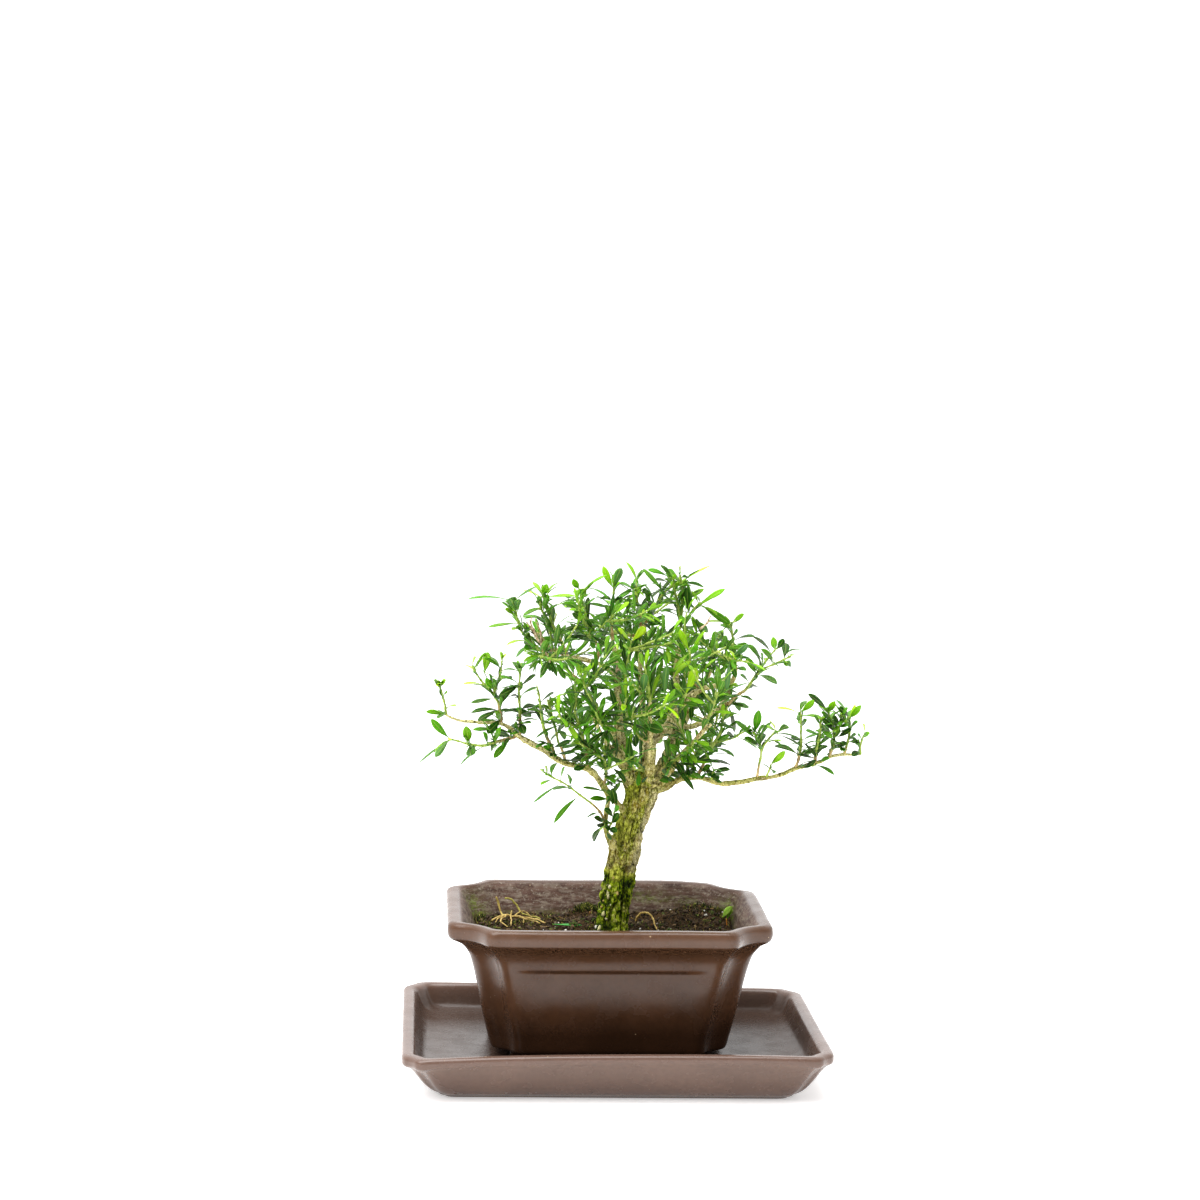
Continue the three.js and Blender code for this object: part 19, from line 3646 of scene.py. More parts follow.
            ([15, 40.2, 188.1], [12, 47.6, 176.7], [0.59, 0.74, 0.33], 2.9, 0.05, "g", [15.1, 39.8, 188.8]),
            ([17.3, 39.8, 190.5], [26.4, 45.7, 197.5], [0.32, -0.89, 0.34], 2.7, 0.07, "d", [16.7, 39.4, 190]),
            ([12, 44.4, 202], [1.5, 40.3, 206.1], [0.45, -0.82, 0.35], 3, 0.1, "d", [12.8, 44.7, 201.7]),
            ([2.3, 42.3, 198.8], [-1, 47.7, 203], [0.78, -0.01, 0.62], 1.5, 0.03, "y", [2.6, 41.6, 198.3]),
            ([18.4, 37.3, 207], [23.5, 42, 212], [-0.42, -0.41, 0.81], 1.6, 0.09, "y", [17.9, 36.8, 206.5]),
            ([14.6, 34.9, 180.6], [8.6, 42.5, 183.1], [0.75, 0.41, 0.52], 2, 0.06, "g", [15.1, 34.2, 180.4]),
            ([16.3, 38.9, 187.3], [15.5, 46.6, 185.8], [-0.51, 0.12, 0.85], 2.3, 0.1, "g", [16.4, 38.1, 187.5]),
            ([3.3, 45.5, 213.4], [3.9, 42.1, 217.8], [-0.1, 0.78, 0.62], 1.1, 0.08, "y", [3.2, 46, 212.7]),
            ([19.2, 34, 213.7], [24.3, 30.6, 216.9], [0.03, 0.71, 0.7], 1.6, 0.03, "g", [18.5, 34.4, 213.3]),
            ([3.4, 42.2, 197.5], [2.4, 53.7, 200.3], [-0.65, -0.24, 0.72], 2, 0.07, "b", [3.5, 41.4, 197.3]),
            ([17.7, 42.1, 196.4], [23.2, 38.9, 201.2], [-0.71, -0.2, 0.68], 2.1, 0.09, "y", [17.1, 42.5, 195.9]),
            ([18, 46.4, 202.4], [23.2, 50.3, 202.1], [0.51, -0.65, 0.57], 1.9, 0.11, "y", [17.2, 45.9, 202.4]),
            ([17, 37.5, 185.8], [30, 41.8, 184.2], [0.26, -0.46, 0.85], 2.2, 0.04, "d", [16.2, 37.2, 185.9]),
            ([16.4, 41.1, 192.8], [8.6, 47, 199.7], [0.34, -0.49, 0.8], 2.7, 0.1, "d", [16.9, 40.6, 192.3]),
            ([2.6, 45.4, 213.2], [-0.6, 41.9, 216], [-0.35, 0.76, 0.55], 1.1, 0.1, "g", [3.2, 46, 212.7]),
            ([16.9, 38.7, 202.2], [6.7, 34.6, 210.3], [0.63, -0.58, 0.51], 2.2, 0.09, "d", [17.6, 39, 201.7]),
            ([14.8, 37.5, 185], [9.7, 46.8, 184.2], [-0.36, -0.12, 0.92], 3, 0.04, "g", [15.2, 36.7, 185]),
            ([17, 44.6, 198.2], [15.2, 51.2, 197.4], [-0.94, -0.23, 0.25], 1.5, 0.04, "g", [17.2, 43.8, 198.3]),
            ([18.4, 37.4, 204.1], [26.8, 32.2, 205], [-0.12, -0.03, 0.99], 2.5, 0.04, "g", [17.7, 37.8, 204]),
            ([16.5, 44, 198.7], [6.2, 47.1, 203.6], [-0.08, -0.91, 0.4], 2.1, 0.11, "g", [17.2, 43.8, 198.3]),
            ([9, 39.6, 189.9], [4.2, 44.4, 186.4], [-0.23, 0.42, 0.88], 1.7, 0.09, "d", [9.6, 39, 190.3]),
            ([17.1, 40.2, 190.3], [23.3, 51, 194.9], [-0.25, -0.25, 0.94], 2.3, 0.06, "g", [16.7, 39.4, 190]),
            ([3.7, 41.8, 196.7], [0.5, 46.4, 198.6], [0.05, -0.35, 0.93], 1.3, 0.11, "y", [4.2, 41.1, 196.4]),
            ([17.6, 37.1, 203.9], [17.2, 31.9, 205.6], [0.58, 0.2, 0.79], 1.7, 0.11, "u", [17.7, 38, 203.7]),
            ([16.7, 40.4, 193.6], [12.7, 30.4, 200.6], [-0.48, 0.62, 0.62], 2.8, 0.1, "d", [17, 41.1, 193.2]),
            ([17.7, 44.9, 201.8], [21.7, 43.1, 207.7], [-0.83, -0.33, 0.45], 1.2, 0.12, "y", [17.3, 45.2, 201.1]),
            ([17.3, 38, 202.7], [14.4, 31.3, 207.6], [-0.02, 0.59, 0.81], 2.8, 0.13, "d", [17.6, 38.7, 202.2]),
            ([2.1, 41.1, 198.7], [-2.1, 37.9, 201.8], [0.69, -0.69, 0.23], 1.5, 0.08, "y", [2.7, 41.6, 198.2]),
            ([15.5, 37.9, 187.4], [9.9, 37.9, 188.8], [0.24, 0.24, 0.94], 1.3, 0.09, "u", [16.3, 37.9, 187.2]),
            ([15.9, 38.7, 187.2], [11.9, 45.1, 187.5], [-0.38, -0.29, 0.88], 2.2, 0.06, "u", [16.3, 37.9, 187.2]),
            ([1.1, 41.9, 199.1], [-4.8, 42, 198.5], [-0.09, -0.63, 0.77], 1.4, 0.08, "y", [2, 41.9, 199.2]),
            ([13.6, 36.9, 186.7], [9.8, 34.5, 191.8], [0.02, -0.92, -0.4], 2.2, 0.09, "u", [14.1, 37.2, 186]),
            ([16.2, 40.1, 190.4], [9.4, 48.7, 194.4], [0.29, -0.2, 0.93], 1.8, 0.07, "g", [16.7, 39.5, 190.1]),
            ([7.9, 47.5, 195], [8.8, 49.9, 200.5], [0.11, -0.92, 0.39], 1.5, 0.12, "g", [7.8, 47.2, 194.2]),
            ([17, 45.6, 203.7], [15.3, 40.3, 207.8], [-0.49, 0.63, 0.6], 1.5, 0.09, "b", [17.2, 46.3, 203.2]),
            ([1.4, 42.5, 198.8], [-4.9, 49.7, 195.3], [-0.68, -0.27, 0.68], 2.8, 0.1, "y", [2, 41.9, 199.2]),
           ]),
    "b7": ("shoot_47",
           [[[-29.4, -4.6, 203.4], [-29.6, 2.7, 200], [-30.1, 10.1, 197.3], [-31.2, 17.6, 194.5], [-32.3, 25.2, 192.4]],
            [[-30, 8.9, 197.7], [-25.4, 11.8, 197.7], [-21, 14.7, 198.5], [-16.7, 17.5, 200.1], [-12.6, 20.2, 202.3]],
            [[-30.4, 12.6, 196.3], [-32.8, 16, 199.6], [-35.1, 19.2, 203.3], [-37.3, 22.7, 206.6], [-39.2, 25.9, 210.4]]],
           [
            ([-32.3, 25.2, 192.4], [-35.8, 37.7, 185.1], [-0.04, 0.5, 0.87], 2.6, 0.1, "g", [-32.3, 25.2, 192.4]),
            ([-31.5, 19.4, 193.9], [-41.1, 24.6, 200.4], [0.51, -0.13, 0.85], 3.2, 0.08, "d", [-31.5, 19.4, 193.9]),
            ([-31.5, 19.4, 193.9], [-21.1, 26.3, 187.1], [0.21, 0.51, 0.83], 2.9, 0.03, "d", [-31.5, 19.4, 193.9]),
            ([-30.1, 10.1, 197.3], [-24.4, 17.3, 187.5], [-0.22, 0.84, 0.49], 2.9, 0.04, "g", [-30.1, 10.1, 197.3]),
            ([-29.7, 4.5, 199.2], [-25.3, 15.2, 201.9], [-0.86, 0.24, 0.45], 2.9, 0.03, "g", [-29.7, 4.5, 199.2]),
            ([-29.5, -1, 201.6], [-20.5, 5.4, 193.8], [0.07, 0.73, 0.68], 2.5, 0.09, "g", [-29.5, -1, 201.6]),
            ([-12.6, 20.2, 202.3], [-3.7, 28.9, 202.5], [0.07, -0.1, 0.99], 2.9, 0.01, "g", [-12.6, 20.2, 202.3]),
            ([-12.6, 20.2, 202.3], [-6.8, 23.1, 211.4], [0.54, 0.64, -0.55], 2.7, 0.06, "g", [-12.6, 20.2, 202.3]),
            ([-16.2, 17.9, 200.3], [-8.6, 13.4, 200.6], [0.4, 0.72, 0.57], 2.3, 0.02, "y", [-16.2, 17.9, 200.3]),
            ([-21, 14.7, 198.5], [-11.6, 18.9, 210.4], [0.41, 0.7, -0.58], 2.7, 0.06, "d", [-21, 14.7, 198.5]),
            ([-21, 14.7, 198.5], [-13.1, 25.1, 191.7], [0.35, 0.32, 0.88], 3.1, 0.02, "d", [-21, 14.7, 198.5]),
            ([-26, 11.4, 197.7], [-21.2, 21.9, 201], [0.75, -0.14, -0.65], 2.7, 0.04, "d", [-26, 11.4, 197.7]),
            ([-37.3, 22.7, 206.6], [-45.8, 29.5, 207.6], [0.14, 0.03, 0.99], 2.2, 0.02, "y", [-37.3, 22.7, 206.6]),
            ([-34.8, 18.8, 202.8], [-34.6, 31.4, 201.4], [-0.24, 0.11, 0.96], 3, 0.04, "d", [-34.8, 18.8, 202.8]),
            ([-34.8, 18.8, 202.8], [-41.7, 19, 213.1], [0.49, 0.82, 0.31], 2.8, 0.01, "d", [-34.8, 18.8, 202.8]),
            ([-32.2, 15.2, 198.8], [-44.4, 17.1, 199.9], [0.13, 0.25, 0.96], 2.7, 0.08, "g", [-32.2, 15.2, 198.8]),
            ([-32.2, 15.2, 198.8], [-30.3, 21.5, 208.6], [-0.94, -0.17, 0.3], 2.8, 0.09, "g", [-32.2, 15.2, 198.8]),
            ([-35.4, 19.3, 202.5], [-44.9, 27.1, 199.8], [-0.48, -0.3, 0.83], 2, 0.05, "g", [-34.7, 18.7, 202.7]),
            ([-21.6, 14.1, 197.7], [-13.3, 18, 190.3], [0.01, 0.88, 0.48], 2.9, 0.1, "u", [-22.3, 13.8, 198.3]),
            ([-39.8, 25.1, 209.9], [-47, 22.7, 211.1], [0.01, 0.43, 0.9], 2.1, 0.1, "y", [-38.9, 25.4, 209.8]),
            ([-25.8, 11.2, 198.3], [-19.2, 12.5, 203.3], [-0.62, 0.28, 0.73], 2.2, 0.05, "u", [-26.5, 11.1, 197.7]),
            ([-32.2, 16.1, 199.4], [-31, 24.1, 203.9], [0.76, -0.4, 0.51], 2.5, 0.06, "d", [-32.4, 15.3, 199]),
            ([-20.1, 15.8, 198.3], [-16.2, 26.1, 191.4], [0.78, 0.12, 0.62], 2.5, 0.06, "d", [-20.4, 15.1, 198.7]),
            ([-31.5, 15, 195.8], [-40.5, 20, 197.7], [0.37, 0.32, 0.87], 2.7, 0.04, "d", [-30.7, 14.5, 195.6]),
            ([-30.9, 11.9, 196.7], [-36.8, 18.2, 195.2], [-0.47, -0.24, 0.85], 2.4, 0.09, "g", [-30.3, 11.3, 196.9]),
            ([-28.7, -3.8, 202.5], [-18.1, -3.5, 195.3], [0.5, -0.49, 0.71], 2.3, 0.08, "d", [-29.4, -3.8, 203.1]),
            ([-35.2, 21, 204.3], [-28.7, 32, 204.7], [-0.55, 0.29, 0.78], 1.9, 0.05, "g", [-35.7, 20.2, 204.2]),
            ([-31.2, 19.6, 194.8], [-28.7, 27.1, 202.5], [0.47, -0.7, 0.53], 2.3, 0.05, "g", [-31.4, 19, 194.1]),
            ([-29.8, 1, 200.1], [-32.3, 3, 193.1], [-0.94, -0.18, 0.28], 1.5, 0.06, "d", [-29.6, 0.7, 200.9]),
            ([-31.8, 13.8, 196.9], [-42.9, 19.4, 193.2], [-0.01, 0.53, 0.85], 2.1, 0.05, "d", [-31, 13.4, 197.1]),
            ([-36.5, 23, 206.1], [-31.6, 30.2, 204.5], [0.42, -0.09, 0.9], 1.8, 0.08, "y", [-37, 22.3, 206.2]),
            ([-28.5, 9.6, 198.1], [-20, 12.4, 202.7], [-0.48, 0.03, 0.88], 1.9, 0.04, "d", [-29.3, 9.3, 197.7]),
            ([-30.7, 7, 198.6], [-42.1, 10.8, 199.8], [0.22, 0.36, 0.91], 2.2, 0.06, "d", [-29.9, 6.8, 198.5]),
            ([-13.3, 19.4, 202.4], [-8.6, 19.2, 210.1], [-0.61, -0.71, 0.36], 2.3, 0.09, "y", [-13.8, 19.4, 201.6]),
            ([-18.1, 17.3, 199.4], [-16.3, 24.8, 198.8], [0.05, 0.07, 1], 2.1, 0.09, "g", [-18.3, 16.5, 199.5]),
            ([-33.2, 15.6, 199], [-40.6, 18.2, 199.3], [0.24, 0.63, 0.74], 1.6, 0.03, "g", [-32.4, 15.3, 199]),
            ([-29.6, 11.7, 197.1], [-21.6, 16.9, 200.4], [-0.56, 0.41, 0.72], 2.5, 0.1, "g", [-30.3, 11.3, 196.9]),
            ([-20.7, 15.5, 199.4], [-25.5, 22.1, 210.2], [0.8, 0.6, -0.02], 2.4, 0.05, "d", [-20.4, 15.1, 198.7]),
            ([-30.6, 15.4, 195.7], [-28.5, 28.8, 196], [-0.24, 0.01, 0.97], 2.6, 0.09, "y", [-30.7, 14.5, 195.6]),
            ([-31, 14.1, 196.8], [-32.4, 23, 196.4], [0.33, 0.1, 0.94], 2.5, 0.07, "d", [-30.8, 13.2, 196.9]),
            ([-17.5, 17.7, 199.6], [-14.9, 24.7, 199], [0.03, 0.07, 1], 2.2, 0.06, "y", [-17.8, 16.8, 199.7]),
            ([-19.1, 16.9, 199], [-20.6, 25.1, 196.1], [0.04, 0.34, 0.94], 1.7, 0.07, "u", [-18.9, 16.1, 199.3]),
            ([-16.4, 18.6, 200.1], [-17, 25.8, 199.1], [-0.53, 0.08, 0.84], 1.3, 0.04, "d", [-16.4, 17.8, 200.3]),
            ([-31.2, 20.2, 194.1], [-29.1, 28.3, 194.4], [0.07, -0.06, 1], 1.8, 0.05, "y", [-31.4, 19.4, 194]),
            ([-24.2, 11.8, 198.4], [-20.6, 8.5, 202.7], [0.66, 0.75, 0.02], 1.7, 0.08, "d", [-24.7, 12.2, 197.9]),
            ([-22.7, 14.2, 198.1], [-19.9, 20.8, 198], [0, 0.03, 1], 1.2, 0.08, "u", [-23, 13.3, 198.2]),
            ([-28.9, 10.4, 197.5], [-28.1, 17.7, 195.3], [0.55, 0.18, 0.82], 1.9, 0.08, "d", [-29, 9.5, 197.7]),
            ([-32.5, 16.6, 199.4], [-30.9, 25, 199], [0.81, -0.13, 0.57], 1.8, 0.09, "d", [-32.7, 15.7, 199.4]),
            ([-16.9, 17, 199.6], [-11.2, 18.3, 198.8], [0.2, -0.32, 0.93], 1.6, 0.05, "d", [-17.8, 16.8, 199.7]),
            ([-21.6, 15, 198.2], [-19.3, 26.1, 195.7], [-0.1, 0.23, 0.97], 1.8, 0.12, "g", [-21.8, 14.1, 198.4]),
            ([-18.8, 16.8, 198.8], [-17.9, 21.9, 195.3], [-0.95, 0.28, 0.16], 1.7, 0.07, "d", [-18.9, 16.1, 199.3]),
           ]),
    "b8": ("shoot_48",
           [[[36.7, -26, 165.7], [40.1, -29.3, 171.9], [42.4, -32.6, 178.6], [44.4, -35.2, 185.8], [46.4, -37.5, 193]],
            [[43.8, -34.4, 183.4], [40.2, -36.7, 187], [37.5, -39.6, 191], [35, -41.8, 195.4], [32.9, -44.1, 200]],
            [[41.4, -31, 175.2], [42.8, -28.8, 179.3], [44.4, -26.2, 183.1], [45.5, -23.6, 187], [46.3, -21.1, 191.1]]],
           [
            ([46.4, -37.5, 193], [43.8, -41, 202.1], [0.79, 0.47, 0.41], 2.3, 0.08, "y", [46.4, -37.5, 193]),
            ([46.4, -37.5, 193], [53.3, -38.6, 201.8], [-0.79, 0, 0.61], 2.2, 0.03, "y", [46.4, -37.5, 193]),
            ([45.2, -36, 188.5], [46.9, -45.2, 195.8], [0.04, 0.63, 0.78], 2.9, 0.01, "g", [45.2, -36, 188.5]),
            ([45.2, -36, 188.5], [44.8, -29.3, 198.4], [0.06, -0.82, 0.56], 2.8, 0.1, "g", [45.2, -36, 188.5]),
            ([43.7, -34.3, 183.1], [56, -33.7, 187.2], [-0.27, -0.39, 0.88], 3.1, 0.09, "d", [43.7, -34.3, 183.1]),
            ([43.7, -34.3, 183.1], [39.4, -41.3, 195.9], [0.71, 0.49, 0.51], 2.8, 0.1, "d", [43.7, -34.3, 183.1]),
            ([42.2, -32.2, 177.8], [41, -43.7, 184.9], [0.38, 0.46, 0.8], 2.9, 0.08, "d", [42.2, -32.2, 177.8]),
            ([42.2, -32.2, 177.8], [50.2, -30.1, 187.2], [-0.64, -0.43, 0.64], 3, 0.1, "d", [42.2, -32.2, 177.8]),
            ([40.8, -30.1, 173.6], [53.1, -38, 171.9], [-0.11, -0.36, 0.93], 3, 0.04, "d", [40.8, -30.1, 173.6]),
            ([40.8, -30.1, 173.6], [35.5, -24.9, 184.7], [0.58, -0.6, 0.55], 2.8, 0.01, "d", [40.8, -30.1, 173.6]),
            ([38.5, -27.6, 168.8], [46.9, -26.6, 178.7], [-0.7, -0.33, 0.63], 3, 0.05, "d", [38.5, -27.6, 168.8]),
            ([38.5, -27.6, 168.8], [40.2, -38.3, 176.6], [0.19, 0.6, 0.78], 3.1, 0.09, "d", [38.5, -27.6, 168.8]),
            ([32.9, -44.1, 200], [25.7, -48.5, 206.7], [0.58, 0.22, 0.78], 2.4, 0.03, "y", [32.9, -44.1, 200]),
            ([34.7, -42.1, 196], [30.9, -36.5, 202], [0.1, -0.7, 0.71], 2.2, 0.07, "y", [34.7, -42.1, 196]),
            ([37.5, -39.6, 191], [25.8, -48.9, 191.5], [-0.12, 0.21, 0.97], 3, 0.06, "d", [37.5, -39.6, 191]),
            ([37.5, -39.6, 191], [39.1, -42.2, 206.4], [-0.96, -0.27, 0.05], 3, 0.05, "d", [37.5, -39.6, 191]),
            ([40.6, -36.4, 186.5], [33.1, -32.2, 194.9], [0.46, -0.56, 0.69], 2.7, 0.06, "u", [40.6, -36.4, 186.5]),
            ([46.3, -21.1, 191.1], [47, -14.1, 197.7], [-0.09, -0.68, 0.73], 2.2, 0.05, "y", [46.3, -21.1, 191.1]),
            ([45.4, -23.9, 186.5], [36.7, -17.8, 194.7], [0.56, -0.27, 0.79], 2.8, 0.02, "g", [45.4, -23.9, 186.5]),
            ([45.4, -23.9, 186.5], [56.6, -20.7, 190], [-0.3, 0.02, 0.95], 2.7, 0.02, "g", [45.4, -23.9, 186.5]),
            ([44, -26.9, 182.1], [48.3, -32.6, 191.9], [0.2, 0.88, 0.43], 2.7, 0.06, "d", [44, -26.9, 182.1]),
            ([44, -26.9, 182.1], [48.4, -13, 181.4], [0.07, 0.03, 1], 3, 0.05, "d", [44, -26.9, 182.1]),
            ([42.4, -29.4, 178.3], [53.2, -26.1, 184.5], [-0.54, 0.35, 0.76], 3.1, 0.09, "u", [42.4, -29.4, 178.3]),
            ([45.1, -36.3, 187.2], [47.9, -42.3, 189.2], [-0.67, -0.07, 0.74], 1.7, 0.05, "y", [44.7, -35.5, 186.9]),
            ([42.6, -35.8, 184.2], [38.3, -48.7, 184.6], [-0.75, 0.27, 0.6], 2.1, 0.04, "d", [42.9, -34.9, 184.2]),
            ([42.5, -28.2, 179.5], [40.3, -20.8, 183.7], [0.7, -0.19, 0.69], 2.6, 0.07, "d", [42.7, -28.9, 179.1]),
            ([44.4, -25.5, 183.3], [45, -18.8, 186.1], [-0.99, 0.05, 0.11], 1.9, 0.06, "g", [44.3, -26.3, 183]),
            ([42.9, -27.2, 180.4], [39.4, -19.3, 180.1], [0.47, 0.23, 0.85], 2.2, 0.07, "g", [43.2, -28, 180.4]),
            ([43.2, -33.6, 179.4], [50.8, -43.8, 180.3], [-0.57, -0.36, 0.74], 2.3, 0.05, "y", [42.6, -32.9, 179.4]),
            ([38, -26.4, 166.4], [47.3, -27.3, 167.8], [-0.16, -0.21, 0.96], 2.2, 0.05, "g", [37.1, -26.3, 166.3]),
            ([41.7, -36.7, 185.8], [43.3, -43.8, 187.3], [0.72, 0.29, 0.64], 2.1, 0.06, "d", [41.5, -35.9, 185.6]),
            ([41, -31.6, 176.1], [36.5, -38.3, 182.9], [0.85, -0.04, 0.52], 2.5, 0.05, "d", [41.4, -31.1, 175.5]),
            ([33.7, -44.2, 199.6], [36.4, -49.1, 204.8], [-0.89, 0, 0.46], 1.7, 0.06, "y", [33.4, -43.6, 199]),
            ([38.2, -39.4, 190.9], [39, -43.1, 198.5], [-0.71, 0.6, 0.37], 1.8, 0.08, "g", [38.1, -39, 190.1]),
            ([35, -41.9, 197.1], [38.3, -39, 202.2], [-0.74, 0.66, 0.09], 1.6, 0.1, "y", [34.6, -42.3, 196.4]),
            ([43.2, -32.4, 178.1], [56.2, -32.9, 177.8], [0.03, 0.28, 0.96], 2, 0.11, "g", [42.3, -32.4, 178.1]),
            ([45.6, -22.2, 190.6], [42.6, -24.5, 194.7], [0.73, -0.67, 0.15], 1.6, 0.1, "g", [46.1, -21.8, 189.9]),
            ([45.5, -36, 187.1], [51.6, -39.7, 187.9], [0.08, 0.34, 0.94], 2.2, 0.08, "y", [44.7, -35.5, 187]),
            ([44.9, -26.8, 183.4], [50.7, -30.5, 187.9], [-0.6, -0.79, 0.12], 2.4, 0.04, "g", [44.3, -26.4, 182.9]),
            ([35.4, -41.9, 196.2], [39.4, -42.4, 206.9], [-0.87, -0.39, 0.3], 2.7, 0.05, "d", [35.1, -41.8, 195.3]),
            ([40.5, -29.8, 171.3], [45.1, -35.7, 168.1], [0.04, -0.47, 0.88], 2.4, 0.13, "d", [40, -29.2, 171.7]),
            ([41.5, -31.5, 177.4], [39.2, -30.7, 185.5], [0.65, 0.75, 0.11], 1.4, 0.13, "g", [41.7, -31.6, 176.5]),
            ([35.2, -42.1, 196.9], [43.6, -39.2, 205.3], [-0.35, -0.72, 0.6], 1.6, 0.09, "y", [34.6, -42.3, 196.3]),
            ([46.6, -21, 190.3], [51.9, -11.6, 193.4], [-0.2, -0.21, 0.96], 2.2, 0.08, "g", [46.1, -21.8, 190]),
            ([40, -37.9, 187.6], [40.1, -44.3, 189.5], [-0.28, 0.26, 0.92], 2, 0.07, "g", [39.9, -37, 187.4]),
            ([39.9, -30.3, 173.8], [33.5, -31.7, 176.1], [-0.19, 0.98, 0.1], 2.2, 0.08, "d", [40.7, -30.1, 173.6]),
            ([45.5, -25.1, 184.9], [53.9, -22.7, 189.9], [-0.55, 0.5, 0.67], 2.5, 0.06, "g", [44.8, -25.3, 184.4]),
           ]),
}
for name, (node, stems, leaves) in GROUPS.items():
    r = np.random.default_rng(1000 + int(node[-2:]))
    sh = Shape(["la", "tone", "age"])
    lines = []
    for k, st in enumerate(stems):
        p = np.array(st, float)
        gap, at = nearest_limb(p[0])
        if k == 0 and 0 < gap + 0.3 < 5.0:
            p = np.vstack([at, p])
        elif k > 0 and lines:
            d = [np.linalg.norm(q - p[0], axis=1) for q in lines]
            w = int(np.argmin([x.min() for x in d]))
            if 0.05 < d[w].min() < 3.0:
                p = np.vstack([lines[w][d[w].argmin()], p])
        c = spline(p, 0.8)
        L = np.linalg.norm(np.diff(c, axis=0), axis=1).sum()
        c = c + 0.14 * np.column_stack([noise(c, 0.35, 31 + k), noise(c, 0.35, 41 + k), noise(c, 0.35, 51 + k)]) * np.minimum(1, np.arange(len(c)) / 4)[:, None]
        lines.append(c)
        r0 = np.clip(0.42 + 0.009 * L, 0.44, 0.74) if k == 0 else np.clip(0.38 + 0.007 * L, 0.4, 0.58)
        u = np.linspace(0, 1, len(c))
        rad = r0 + (0.31 - r0) * u ** 0.9
        knots = np.array([l[6] for l in leaves], float).reshape(-1, 3)
        if len(knots):
            dk = np.linalg.norm(c[:, None] - knots[None], axis=2).min(1)
            rad = rad + 0.2 * np.exp(-(dk / 0.8) ** 2)
        v, f, al, an = sweep(c, rad, 8, 0.07)
        uu = al / max(al.max(), 1e-6)
        age = (1 - smooth(0.1, 0.55 if L > 24 else 0.35, uu)) * (0.9 if k == 0 and L > 18 else 0.35)
        sh.add(v, f, 2, la=np.zeros(3), tone=np.zeros(3), age=np.clip(age, 0, 1))
        tip_dir = c[-1] - c[-3]
        bud(sh, c[-1] - tip_dir * 0.05, tip_dir / np.linalg.norm(tip_dir), r.uniform(0.28, 0.4), r)
    allc = np.vstack(lines)
    for b, t, n, w, cam, tone, pet in leaves:
        b, t, n, pet = map(lambda q: np.array(q, float), (b, t, n, pet))
        i = int(np.linalg.norm(allc - pet, axis=1).argmin())
        foot = allc[i]
        far = np.linalg.norm(foot - pet)
        if far > 3:
            gap, at = nearest_limb(pet)
            if gap < far:
                far, foot = gap, at
            if far > 10:
                foot = pet
        d = (t - b) / np.linalg.norm(t - b)
        if np.linalg.norm(b - foot) < 0.9:
            b = foot + d * 0.75
        v, f, _, _ = sweep(spline(np.array([foot, (foot + b) / 2 + d * 0.1, b + d * 0.5]), 1.2), 0.2, 5)
        sh.add(v, f, 2, la=np.zeros(3), tone=np.zeros(3), age=0.0)
        leaf(sh, b, t, n, w, cam, tint(tone, r), r)
        if r.random() < 0.22:
            bud(sh, foot + d * 0.25, d * 0.6 + np.array([0, 0, 0.6]), r.uniform(0.22, 0.34), r)
    sh.piece("foliage_" + node[-2:], [mat_leaf, mat_under, mat_twig, mat_bud], "foliage", [node])

# a few dead, split twig stubs in the crown
sh = Shape()
for n_, p in enumerate([[[-35.9, -16, 205.1], [-37.8, -15, 208.3], [-40.7, -14, 213.5], [-43.4, -13, 219.5]], [[-38.8, -16, 209.4], [-41.7, -15, 214], [-44.8, -14, 218.7]], [[-37.8, -16, 207.5], [-37.9, -15, 213.1], [-39.8, -14, 218.7]], [[-39.8, -16, 211.8], [-42.4, -15, 216.4], [-42.7, -14, 221.1]], [[-36.8, -16, 206.6], [-34.8, -15, 203.1], [-33.3, -14, 199.6]], [[-1.8, -16, 195.5], [-1.1, -15, 199.2], [-2.4, -14, 203.4]], [[-0.6, -16, 196], [0, -15, 200.2], [-0.5, -14, 204.9]], [[37.8, -16, 216.7], [40.7, -15, 219], [43.1, -14, 222.8]]]):
    c = spline(np.array(p, float), 0.5)
    c = c + 0.22 * np.column_stack([noise(c, 0.8, 71 + n_), noise(c, 0.8, 81 + n_), noise(c, 0.8, 91 + n_)])
    u = np.linspace(0, 1, len(c))
    v, f, _, _ = sweep(c, (0.62 - 0.3 * u) * (1 + 0.35 * noise(c, 1.1, 73)), 7)
    sh.add(v, f)
sh.piece("dead_twigs", [mat_dead], "bark", ["trunk"])

# ------------------------------------------- dropped leaf, seedling, rootlets
lift = 0.45
r = np.random.default_rng(77)
sh = Shape(["la", "tone", "age"])
leaf(sh, np.array([-28.4, 17.5, 65.8 + lift]), np.array([-14.6, 7.4, 67.3 + lift]), np.array([0.1, -0.3, 1.0]), 3.3, 0.0, np.array(srgb(20, 150, 50)), r, 1.0)
sh.piece("dropped_leaf", [mat_leaf, mat_under], "fallen_leaf", ["fallen_leaf"])
sh = Shape(["la", "tone", "age"])
leaf(sh, np.array([57.8, 23.6, 68.1]), np.array([60.0, 23.6, 74.8]), np.array([0.45, -1.0, 0.1]), 2.6, 0.02, np.array(srgb(112, 160, 40)), r, 0.2)
leaf(sh, np.array([55.6, 23.2, 69.2]), np.array([59.9, 23.4, 74.7]), np.array([-0.35, -1.0, 0.25]), 3.4, 0.03, np.array(srgb(150, 190, 70)), r, 0.0)
v, f, _, _ = sweep(spline(np.array([[58.2, 23.5, 63.4], [57.9, 23.5, 66], [57.7, 23.5, 68.5]]), 0.6), 0.3, 8)
sh.add(v, f, 2, la=np.zeros(3), tone=np.zeros(3), age=0.0)
